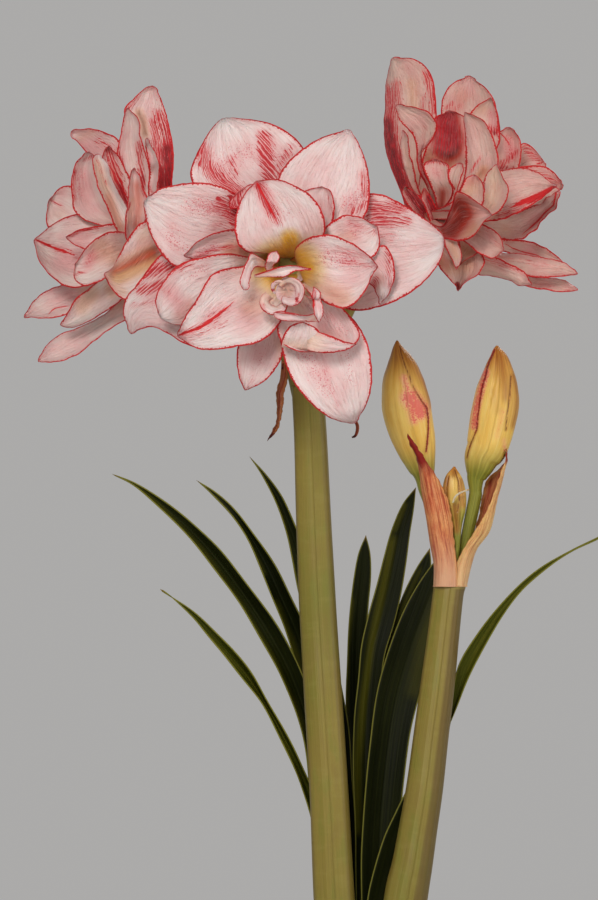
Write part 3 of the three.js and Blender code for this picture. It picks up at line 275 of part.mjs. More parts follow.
const LEAVES = [
  { name: "leaf_1", across: 3, points: "-13.9,9.4,185.4 -6.0,9.9,185.4 1.9,11.2,185.4 -19.1,11.6,222.9 -11.0,15.8,222.8 -2.9,13.9,223.6 -23.0,13.7,261.7 -15.1,19.0,262.0 -7.3,16.0,263.5 -26.0,14.7,300.1 -18.8,20.3,301.0 -11.7,15.2,303.1 -28.6,15.5,338.0 -22.4,20.4,339.4 -16.4,14.9,341.8 -33.1,12.7,375.1 -28.1,17.6,376.9 -23.1,11.7,379.6 -44.2,6.3,409.8 -39.4,11.7,412.2 -34.6,5.4,415.3 -60.8,0.1,440.8 -56.0,5.9,443.8 -51.0,-0.2,447.3 -78.9,-7.8,469.4 -75.4,-2.2,472.0 -71.7,-7.9,475.0 -98.8,-13.1,494.2 -96.3,-10.0,496.6 -93.6,-13.1,499.1 -119.9,-19.4,514.2 -118.7,-18.0,515.8 -117.3,-19.4,517.4 -139.3,-24.5,527.7" },
  { name: "leaf_2", across: 3, points: "-11.0,13.7,185.4 -4.0,13.8,185.4 3.1,14.0,185.4 -14.1,17.6,219.5 -6.8,20.9,219.4 0.5,17.7,220.3 -16.5,21.7,255.7 -9.4,26.2,255.9 -2.3,21.3,257.3 -18.7,24.6,291.6 -11.9,30.2,292.0 -5.3,24.1,293.9 -21.3,26.4,327.0 -14.8,31.3,327.9 -8.5,25.4,330.0 -24.5,24.1,362.0 -18.5,29.0,363.3 -12.5,23.0,365.7 -31.1,19.9,395.6 -24.9,25.2,397.5 -18.7,19.0,400.1 -39.4,14.2,427.9 -33.9,19.9,429.9 -28.3,13.9,432.6 -50.8,7.7,457.6 -46.4,12.1,459.7 -41.9,7.5,462.1 -62.2,3.2,485.4 -59.7,5.2,487.0 -57.2,3.1,488.7 -77.0,-2.1,508.7 -75.9,-1.2,509.7 -74.9,-2.2,510.6 -93.3,-6.4,524.3" },
  { name: "leaf_3", across: 3, points: "-9.3,17.4,185.4 -2.5,17.2,185.4 4.3,17.1,185.4 -11.0,23.1,219.1 -4.2,26.1,218.9 2.6,22.6,219.7 -12.5,28.6,255.5 -5.9,33.0,255.4 0.6,28.1,256.6 -14.0,34.5,291.4 -7.7,40.0,291.6 -1.6,34.2,293.0 -16.0,35.3,327.4 -9.8,41.1,327.9 -3.7,34.7,329.6 -18.8,34.4,362.8 -12.5,40.1,363.6 -6.2,34.0,365.4 -22.8,32.8,397.2 -16.5,37.8,398.4 -10.2,32.7,400.3 -28.4,30.8,430.2 -22.8,35.1,431.7 -17.2,30.8,433.6 -36.3,25.0,461.7 -30.7,28.3,463.4 -25.1,25.0,465.4 -42.7,20.4,491.6 -39.3,22.6,493.0 -36.0,20.3,494.5 -51.8,16.6,518.2 -50.3,17.6,519.0 -48.9,16.6,519.9 -64.0,13.6,537.6" },
  { name: "leaf_4", across: 3, points: "-16.3,-2.9,185.4 -9.0,-1.8,185.4 -1.7,-0.2,185.4 -18.4,1.0,216.9 -11.5,3.0,216.9 -4.7,1.0,217.5 -20.7,1.9,248.0 -14.1,5.4,248.1 -7.7,0.1,249.4 -23.1,2.7,278.7 -17.0,7.3,278.8 -11.0,2.1,280.3 -26.0,3.7,308.7 -21.0,8.7,309.0 -16.1,3.9,310.5 -30.9,3.4,337.9 -28.0,8.3,338.1 -25.1,4.6,339.2 -41.1,-6.9,365.7 -39.4,-2.0,365.8 -37.7,-5.6,366.6 -53.3,-14.0,391.3 -51.9,-9.1,391.6 -50.4,-13.6,392.7 -66.6,-22.9,415.0 -64.6,-18.2,416.0 -62.6,-22.7,417.5 -81.0,-30.1,436.0 -79.8,-27.8,436.9 -78.6,-30.0,438.0 -97.1,-39.0,453.0 -96.4,-37.9,453.8 -95.5,-38.9,454.7 -111.9,-46.4,465.0" },
  { name: "leaf_5", across: 3, points: "-5.8,23.9,185.4 0.4,23.5,185.4 6.6,23.3,185.4 -5.0,28.7,212.9 1.0,31.9,212.3 6.8,27.6,213.0 -3.9,35.2,244.0 1.5,39.0,243.4 6.8,34.2,244.0 -2.8,41.4,274.9 2.0,45.0,274.3 6.6,40.6,274.7 -3.3,41.8,306.0 1.4,45.6,305.4 5.9,41.5,305.7 -4.9,41.8,336.5 0.1,45.6,335.9 5.0,41.7,336.0 -7.0,42.2,366.2 -1.4,45.2,365.7 4.1,42.2,365.7 -9.1,40.9,395.1 -2.9,43.5,394.6 3.1,40.9,394.5 -8.5,38.2,423.0 -3.0,40.3,422.6 2.4,38.2,422.4 -6.7,36.6,449.4 -1.6,38.1,449.0 3.4,36.6,448.7 -3.7,35.7,473.6 0.8,36.4,473.3 5.4,35.7,473.0 2.3,35.0,492.6" },
  { name: "leaf_6", across: 3, points: "-7.2,2.8,185.4 0.1,3.1,185.4 7.4,3.5,185.4 -5.9,5.0,220.0 1.2,7.5,219.4 8.2,4.8,219.6 -4.6,9.7,254.3 2.3,12.7,253.4 9.2,9.4,253.5 -3.7,12.2,288.5 3.1,15.9,287.3 9.8,12.7,287.1 -4.2,14.9,322.1 2.5,18.9,320.8 9.0,15.5,320.2 -5.1,17.8,355.0 1.8,21.6,353.6 8.7,18.0,352.8 -4.8,21.3,387.2 2.4,24.4,385.6 9.5,21.4,384.5 -1.8,24.4,418.4 5.0,27.0,416.7 11.6,24.5,415.4 3.9,27.4,448.0 11.3,29.6,446.1 18.6,27.4,444.4 11.3,30.5,475.9 18.0,32.0,474.0 24.7,30.5,472.2 19.0,33.6,501.5 23.6,34.3,500.0 28.1,33.6,498.4 30.9,36.2,519.9" },
  { name: "leaf_7", across: 3, points: "-4.9,6.7,185.4 2.4,6.6,185.4 9.7,6.5,185.4 -3.8,8.8,215.9 3.8,11.5,215.2 11.2,8.3,215.5 -2.6,13.0,246.9 5.1,16.9,245.8 12.7,13.0,245.9 -1.6,16.8,277.6 6.3,20.7,276.3 14.0,16.4,276.1 -1.4,19.6,307.9 7.0,23.5,306.4 15.1,19.4,305.9 -1.1,22.7,337.6 7.8,26.4,336.0 16.5,22.5,335.1 0.7,26.3,366.6 9.7,29.3,364.8 18.5,26.1,363.6 4.8,29.4,394.6 13.2,32.0,392.7 21.5,29.3,391.2 11.0,32.2,421.3 18.5,34.4,419.4 26.0,32.2,417.7 18.6,34.6,446.2 25.1,36.1,444.4 31.6,34.6,442.8 28.1,36.8,468.4 33.0,37.6,467.1 37.8,36.8,465.7 38.9,38.8,485.1" },
  { name: "leaf_8", across: 3, points: "-3.4,-4.4,185.4 4.2,-1.0,185.4 11.8,0.9,185.4 -2.4,-4.2,218.4 5.7,1.3,217.2 13.7,0.1,216.9 -1.6,-1.0,249.8 6.9,5.1,248.1 15.2,3.8,247.5 -1.2,1.6,280.8 7.7,8.1,278.8 16.5,6.1,277.9 -0.8,4.1,311.4 9.3,10.5,309.0 19.1,7.8,307.7 0.5,7.3,341.2 11.1,13.2,338.6 21.5,9.1,337.0 3.3,10.9,370.3 14.1,16.1,367.4 24.7,12.3,365.4 7.3,15.0,398.4 18.4,19.4,395.3 29.3,15.9,392.7 13.7,19.5,425.0 25.5,22.8,421.5 37.3,19.7,418.3 23.1,23.2,449.5 34.3,25.4,446.0 45.3,23.0,442.6 35.4,26.5,470.5 42.6,27.6,468.1 49.7,26.3,465.9 48.8,29.4,485.3" },
  { name: "leaf_9", across: 3, points: "0.4,-10.6,185.4 7.6,-9.7,185.4 14.9,-9.1,185.4 0.8,-11.0,207.8 8.5,-8.1,206.8 16.2,-7.8,206.3 1.2,-10.0,227.8 9.4,-5.7,226.1 17.6,-7.0,225.4 1.5,-9.2,247.5 10.4,-4.5,245.3 19.2,-6.0,244.1 1.3,-8.5,266.8 11.1,-3.7,264.2 20.8,-5.1,262.5 1.7,-7.4,285.7 12.5,-2.7,282.7 23.2,-4.3,280.5 5.0,-5.7,303.8 15.9,-0.9,300.3 26.6,-3.4,297.8 10.4,-3.8,320.8 20.5,0.8,317.2 30.3,-2.6,314.5 17.4,-2.0,336.6 25.8,1.8,333.2 34.1,-1.7,330.6 24.9,-0.1,351.1 31.4,2.6,348.2 37.7,-0.5,345.9 33.7,1.5,363.5 37.5,2.9,361.6 41.2,1.5,359.9 43.3,3.5,371.6" },
  { name: "leaf_10", across: 3, points: "-1.8,-7.6,185.4 5.5,-7.0,185.4 12.7,-6.5,185.4 3.4,-4.5,223.3 11.2,-2.1,222.8 18.9,-2.8,222.7 8.8,-1.4,259.3 17.3,1.6,258.6 25.7,-0.1,258.5 15.4,2.2,294.6 24.3,6.6,293.6 33.1,3.6,293.5 25.1,6.7,328.5 32.8,11.4,327.8 40.3,7.5,328.0 36.0,10.8,361.5 40.9,13.7,361.6 45.5,8.3,362.5 49.8,7.4,393.0 49.7,9.7,394.5 49.4,4.7,396.5 61.8,-0.4,424.0 59.6,3.0,426.2 57.1,-0.7,428.8 77.7,-9.6,451.6 76.7,-6.6,452.9 75.5,-9.1,454.4 97.8,-17.5,473.4 97.8,-15.4,473.8 97.6,-16.9,474.3 121.0,-24.8,487.8 120.8,-23.8,488.3 120.5,-24.5,488.9 140.0,-30.8,499.1" },
];
const STEMS = {
  scape_flowering: [[-9.8, -20.0, 187.0, 9.42, 8.87], [-12.0, -16.0, 235.5, 10.83, 9.44], [-15.5, -12.0, 290.5, 11.41, 10.02], [-18.8, -10.0, 318.1, 11.53, 10.03], [-18.7, -8.0, 345.8, 11.32, 10.04], [-20.2, -6.0, 367.9, 10.61, 9.77], [-23.5, -4.0, 401.3, 10.06, 9.50], [-24.1, -3.0, 434.8, 10.06, 9.23], [-25.5, -2.0, 457.1, 9.79, 8.95], [-26.6, -1.0, 479.4, 9.24, 8.68], [-28.3, 0.0, 513.0, 8.68, 8.12], [-30.2, 0.0, 546.6, 8.40, 7.84], [-31.1, 0.0, 569.0, 8.68, 8.12], [-31.4, 0.0, 576.8, 8.68, 8.12]],
  scape_budding: [[12.4, -20.0, 187.0, 9.98, 8.87], [16.9, -18.0, 241.3, 11.10, 9.99], [23.4, -16.0, 291.0, 12.05, 10.28], [27.0, -14.0, 318.6, 11.40, 10.01], [31.5, -12.0, 346.2, 11.13, 10.02], [37.5, -9.0, 373.8, 10.87, 9.76], [40.3, -7.0, 401.5, 9.77, 9.21], [42.6, -6.0, 412.6, 9.66, 8.93], [45.2, -4.0, 434.8, 8.94, 8.66], [47.2, -2.0, 457.1, 8.73, 8.39], [48.3, -1.0, 464.6, 8.51, 8.12]],
  stem_front: [[-31.9, -1.0, 571.2, 6.16, 6.16], [-33.0, -5.0, 584.6, 5.03, 5.03], [-36.4, -16.0, 599.3, 3.89, 3.89], [-39.2, -28.0, 613.9, 3.75, 3.75], [-40.8, -37.0, 624.5, 4.67, 4.67], [-41.6, -42.0, 630.9, 5.10, 5.10], [-41.9, -45.5, 636.2, 4.49, 4.49], [-41.9, -47.0, 638.9, 3.83, 3.83]],
  stem_left: [[-34.2, 1.0, 571.3, 5.60, 5.60], [-40.9, 3.0, 590.4, 4.21, 4.21], [-56.6, 4.0, 616.8, 3.70, 3.70], [-75.6, 2.0, 639.7, 3.70, 3.70], [-86.8, 0.0, 648.5, 4.93, 4.93], [-93.5, -1.0, 652.4, 5.26, 5.26], [-97.9, -2.0, 654.6, 4.48, 4.48], [-100.7, -2.0, 655.7, 3.92, 3.92]],
  stem_right: [[-28.6, 1.0, 571.3, 5.60, 5.60], [-20.7, 5.0, 591.5, 4.21, 4.21], [-7.2, 8.0, 622.0, 3.71, 3.71], [6.3, 9.0, 646.8, 3.71, 3.71], [12.0, 9.0, 656.9, 4.84, 4.84], [15.3, 9.0, 661.9, 5.18, 5.18], [18.2, 9.0, 665.9, 4.50, 4.50], [19.8, 9.0, 668.7, 3.94, 3.94]],
  bud_left: [[46.7, 6.0, 467.4, 2.58, 2.58], [46.2, 7.0, 476.4, 2.70, 2.70], [42.9, 8.5, 493.2, 2.81, 2.81], [38.4, 9.5, 508.4, 3.04, 3.04], [35.1, 9.5, 518.5, 3.49, 3.49], [34.2, 9.5, 524.1, 4.22, 4.16], [33.8, 9.2, 528.6, 6.64, 6.19], [32.4, 9.0, 534.2, 8.61, 7.88], [30.8, 8.6, 539.9, 10.40, 9.56], [29.0, 8.2, 546.6, 11.92, 10.96], [27.1, 8.0, 553.4, 12.88, 11.81], [25.4, 8.0, 560.7, 13.49, 12.37], [24.5, 8.0, 566.3, 13.66, 12.54], [23.5, 8.0, 573.6, 12.65, 11.69], [22.7, 8.0, 580.4, 11.36, 10.46], [22.1, 8.0, 587.1, 9.00, 8.43], [21.1, 8.0, 592.7, 6.30, 5.90], [19.8, 8.0, 598.3, 2.81, 2.70], [19.3, 8.0, 602.6, 0.45, 0.45]],
  bud_right: [[53.1, 4.0, 467.5, 2.69, 2.58], [54.2, 4.0, 476.5, 3.03, 2.92], [57.3, 3.4, 487.7, 3.25, 3.14], [60.3, 3.0, 501.7, 3.48, 3.37], [62.9, 3.0, 514.6, 3.59, 3.48], [63.1, 3.0, 518.6, 3.48, 3.48], [63.1, 3.0, 524.2, 4.49, 4.37], [63.8, 3.0, 527.0, 5.78, 5.50], [64.9, 3.0, 530.9, 7.74, 7.29], [66.5, 3.0, 536.5, 9.81, 9.09], [69.3, 2.6, 542.1, 11.49, 10.43], [71.2, 2.2, 549.4, 12.33, 11.32], [72.9, 2.0, 557.8, 12.89, 11.77], [74.6, 2.0, 566.2, 12.89, 11.77], [75.3, 2.0, 573.5, 12.00, 10.99], [75.9, 2.0, 580.2, 10.26, 9.53], [76.1, 2.0, 587.0, 7.74, 7.29], [76.0, 2.0, 592.6, 5.33, 5.05], [75.3, 2.0, 597.1, 2.41, 2.35], [75.2, 2.0, 599.6, 0.45, 0.45]],
  bud_small: [[51.7, -3.0, 467.8, 1.34, 1.34], [52.2, -3.2, 479.5, 1.45, 1.45], [52.5, -2.6, 490.7, 1.68, 1.68], [52.6, -1.6, 499.0, 2.46, 2.35], [52.3, -0.8, 506.3, 5.04, 4.25], [51.5, -0.6, 513.0, 6.05, 5.26], [50.9, -0.6, 519.7, 5.71, 5.04], [50.7, -0.6, 525.3, 4.25, 3.81], [51.2, -0.6, 529.0, 0.67, 0.67]],
  bracteole: [[49.9, -10.0, 511.7, 0.50, 0.50], [51.1, -10.6, 514.8, 0.56, 0.56], [53.8, -10.8, 517.1, 0.56, 0.56], [56.6, -10.4, 518.2, 0.50, 0.50], [58.9, -9.6, 518.9, 0.39, 0.39]],
  dried_bract_right: [[-9.6, -4.0, 566.7, 0.78, 0.78], [-6.2, -6.0, 560.0, 0.89, 0.67], [-3.5, -7.0, 555.5, 0.95, 0.67], [-3.2, -7.0, 552.2, 0.95, 0.67], [-4.3, -7.0, 549.1, 0.78, 0.56], [-6.3, -7.0, 548.0, 0.45, 0.45]],
};
const BRACTS = [
  { name: "spathe_left", across: 5, points: "41.6,4.0,466.4 39.7,-1.5,466.6 41.7,-6.5,466.8 46.7,-7.8,466.8 51.8,-5.5,466.7 41.6,3.0,476.5 39.9,-3.0,476.7 41.7,-8.5,476.9 46.6,-9.5,476.9 51.8,-6.8,476.8 39.8,2.0,487.7 37.7,-4.0,487.9 39.9,-10.0,488.1 45.5,-11.0,488.1 51.2,-7.6,488.0 37.6,2.5,501.8 35.4,-4.0,501.9 37.7,-11.0,502.0 43.8,-12.0,502.0 49.8,-8.6,502.0 34.8,1.6,515.8 32.8,-4.5,515.9 35.4,-12.0,516.0 41.5,-13.0,516.0 47.7,-10.0,515.9 33.6,-1.0,527.0 31.6,-6.0,527.0 33.7,-13.0,527.1 38.1,-14.0,527.1 42.7,-11.6,527.1 31.7,-6.4,536.5 30.2,-9.0,536.5 32.0,-14.0,536.6 34.2,-15.0,536.6 37.0,-13.0,536.5 27.6,-12.0,543.2 26.8,-13.0,543.2 28.1,-15.0,543.2 29.2,-15.5,543.2 30.9,-14.5,543.2 25.3,-15.0,548.8" },
  { name: "spathe_right", across: 5, points: "53.2,-5.5,466.7 55.7,-6.5,466.8 58.4,-2.0,466.6 58.2,5.0,466.3 54.7,9.0,466.2 53.2,-6.2,476.8 56.2,-7.0,476.8 60.3,-2.0,476.7 60.2,5.0,476.4 56.5,10.0,476.3 56.3,-6.5,486.3 59.6,-7.0,486.3 63.5,-1.5,486.2 63.0,5.0,486.0 58.8,11.0,485.8 61.8,-6.5,495.2 65.2,-6.5,495.2 70.2,-1.0,495.1 68.6,6.0,494.9 62.7,11.0,494.8 67.7,-6.0,504.7 69.7,-5.5,504.7 73.0,-1.0,504.6 70.9,6.0,504.5 65.5,11.0,504.4 72.0,-5.0,514.2 73.1,-4.5,514.2 75.0,-0.5,514.1 72.7,8.0,514.0 67.3,12.0,514.0 75.4,-4.0,524.2 76.3,-3.0,524.2 77.9,1.5,524.2 75.6,9.5,524.1 70.1,13.0,524.1 78.8,-2.8,533.2 79.3,-2.0,533.2 80.1,0.0,533.2 80.0,4.0,533.1 79.2,7.4,533.1 79.8,-4.4,538.2 80.2,-4.0,538.2 80.7,-2.4,538.2 80.7,-0.6,538.2 80.6,0.6,538.2 79.8,-5.4,541.8" },
  { name: "dried_bract_left", across: 3, points: "-45.9,-3.0,589.6 -44.5,-4.4,589.6 -43.1,-3.6,589.6 -46.5,-3.4,581.3 -45.1,-5.0,581.2 -43.7,-4.0,581.2 -48.7,-3.0,574.5 -46.5,-5.0,574.5 -44.4,-4.2,574.5 -48.7,-3.0,566.7 -47.0,-5.0,566.7 -45.3,-4.4,566.7 -48.8,-3.4,558.9 -47.6,-5.2,558.9 -46.7,-4.4,558.9 -50.9,-4.4,552.2 -49.8,-5.4,552.2 -48.7,-5.0,552.2 -53.4,-5.0,546.0" },
];

// ---- pot ----
const v2 = (x, y) => new THREE.Vector2(x, y);
const potOuter = (z) => POT_FOOT_RADIUS + ((POT_TOP_RADIUS - RIM_STEP - 2.5 - POT_FOOT_RADIUS) * z) / POT_HEIGHT;
const potInner = (z) => potOuter(z) - POT_WALL;
const rimStart = POT_HEIGHT - RIM_HEIGHT;
const lathe = (profile, segments) => {
  const g = new THREE.LatheGeometry(profile, segments);
  g.rotateX(Math.PI / 2);
  g.deleteAttribute("uv");
  g.deleteAttribute("normal");
  return g;
};
const potProfile = [
  v2(0, 0), v2(POT_FOOT_RADIUS - 1.5, 0), v2(POT_FOOT_RADIUS, 1.5),
  v2(potOuter(rimStart - 1), rimStart - 1), v2(potOuter(rimStart) + RIM_STEP - 0.8, rimStart), v2(potOuter(rimStart) + RIM_STEP, rimStart + 1.2),
  v2(POT_TOP_RADIUS, POT_HEIGHT - 3), v2(POT_TOP_RADIUS - 2, POT_HEIGHT), v2(potInner(POT_HEIGHT) + 2, POT_HEIGHT),
  v2(potInner(POT_HEIGHT), POT_HEIGHT - 2), v2(potInner(POT_FLOOR + 3), POT_FLOOR + 3), v2(potInner(POT_FLOOR) - 3, POT_FLOOR), v2(0, POT_FLOOR),
];
add("pot", orient(mergeIndex(lathe(potProfile, 36))), mat(0xa9603f, 0.85));

// ---- bulb and soil ----
const bulbProfile = [
  [0, BULB_BOTTOM], [14, BULB_BOTTOM + 0.6], [30, BULB_BOTTOM + 6], [43, BULB_BOTTOM + 17], [50.5, BULB_BOTTOM + 32], [53, BULB_BOTTOM + 46],
  [51.5, BULB_BOTTOM + 59], [46.5, BULB_BOTTOM + 71], [39.5, BULB_BOTTOM + 82], [33.5, BULB_BOTTOM + 91], [30.2, BULB_BOTTOM + 98], [29, NECK_TOP], [0, NECK_TOP],
];
add("bulb", orient(mergeIndex(lathe(bulbProfile.map(([r, z]) => v2(r, z)), 36))), mat(0x7a4a2a, 0.8));
const pocket = bulbProfile.slice(0, 6).map(([r, z]) => v2(r === 0 ? 0 : r + GAP * 0.8, z - GAP)).reverse();
const soilProfile = [
  v2(0, POT_FLOOR + GAP), v2(potInner(POT_FLOOR) - 3 - GAP, POT_FLOOR + GAP), v2(potInner(POT_FLOOR + 3) - GAP, POT_FLOOR + 3 + GAP),
  v2(potInner(SOIL_TOP - 2) - GAP, SOIL_TOP - 2), v2(potInner(SOIL_TOP - 2) - 5, SOIL_TOP - 0.5), v2(60, SOIL_TOP + 0.4), ...pocket,
];
add("soil", orient(mergeIndex(lathe(soilProfile, 32))), mat(0x2c1e15, 0.95));

// ---- stalks ----
const stalk = union([
  stem(STEMS.scape_flowering, 12, 16), stem(STEMS.stem_front, 9, 8), stem(STEMS.stem_left, 9, 9), stem(STEMS.stem_right, 9, 9),
]);
add("scape_flowering", fromManifold(stalk), mat(0x8c823c, 0.5));
add("scape_budding", stem(STEMS.scape_budding, 12, 14), mat(0x8c823c, 0.5));

// ---- leaves ----
const LEAF_COLORS = { leaf_4: 0x4b5014, leaf_9: 0x3c3414 };
for (const leaf of LEAVES) add(leaf.name, sheet(parse(leaf.points), leaf.across, LEAF_THICKNESS), mat(LEAF_COLORS[leaf.name] ?? 0x1c2410, 0.45));

// ---- flowers ----
const FLOWER_COLORS = { front: 0xe1c3bc, left: 0xd8b0a4, right: 0xddb8ac };
const groups = new Map();
for (const petal of PETALS) {
  const thickness = petal.name.includes("petaloid") ? PETALOID_THICKNESS : TEPAL_THICKNESS;
  const solid = sheet(parse(petal.points), petal.across, thickness);
  const color = FLOWER_COLORS[petal.name.split("_")[0]];
  if (!petal.group) add(petal.name, solid, mat(color, 0.55));
  else {
    if (!groups.has(petal.group)) groups.set(petal.group, []);
    groups.get(petal.group).push({ petal, solid });
  }
}
for (const [name, members] of groups) {
  const first = parse(members[0].petal.points).slice(0, members[0].petal.across);
  const centre = first[0].clone().add(first[first.length - 1]).multiplyScalar(0.5);
  const hub = new THREE.IcosahedronGeometry(HUB_RADIUS, 1);
  hub.translate(centre.x, centre.y, centre.z);
  add(name, fromManifold(tidy(union([mergeIndex(hub), ...members.map((m) => m.solid)]))), mat(FLOWER_COLORS[name.split("_")[0]], 0.55));
}

// ---- buds and their bracts ----
add("bud_left", stem(STEMS.bud_left, 12, 19), mat(0xd2a550, 0.5));
add("bud_right", stem(STEMS.bud_right, 12, 19), mat(0xd2a850, 0.5));
add("bud_small", stem(STEMS.bud_small, 9, 9), mat(0xa88a30, 0.5));
add("bracteole", stem(STEMS.bracteole, 5, 6), mat(0xe6dcc0, 0.6));
add("dried_bract_right", stem(STEMS.dried_bract_right, 5, 7), mat(0x8c3219, 0.8));
const BRACT_COLORS = { spathe_left: 0xcd7d5f, spathe_right: 0xd7a56e, dried_bract_left: 0x8c3219 };
for (const b of BRACTS) add(b.name, sheet(parse(b.points), b.across, BRACT_THICKNESS), mat(BRACT_COLORS[b.name], 0.7));

// Joins equal corner points into one indexed mesh and drops empty triangles.
function mergeIndex(g) {
  const p = g.getAttribute("position");
  const ix = g.getIndex() ? g.getIndex().array : Array.from({ length: p.count }, (_, i) => i);
  const map = new Map();
  const verts = [];
  const remap = [];
  for (let i = 0; i < p.count; i++) {
    const key = [p.getX(i), p.getY(i), p.getZ(i)].map((v) => Math.round(v * 1e4) + 0).join(",");
    if (!map.has(key)) { map.set(key, verts.length / 3); verts.push(p.getX(i), p.getY(i), p.getZ(i)); }
    remap.push(map.get(key));
  }
  const index = [];
  for (let i = 0; i < ix.length; i += 3) {
    const [a, b, c] = [remap[ix[i]], remap[ix[i + 1]], remap[ix[i + 2]]];
    if (a !== b && b !== c && a !== c) index.push(a, b, c);
  }
  return fromArrays(verts, index);
}

export default root;
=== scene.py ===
# Potted double amaryllis: petals, stalks, leaves, buds, bulb, soil and pot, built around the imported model.
# Shapes are worked out in millimetres and written to the meshes in metres.
import math

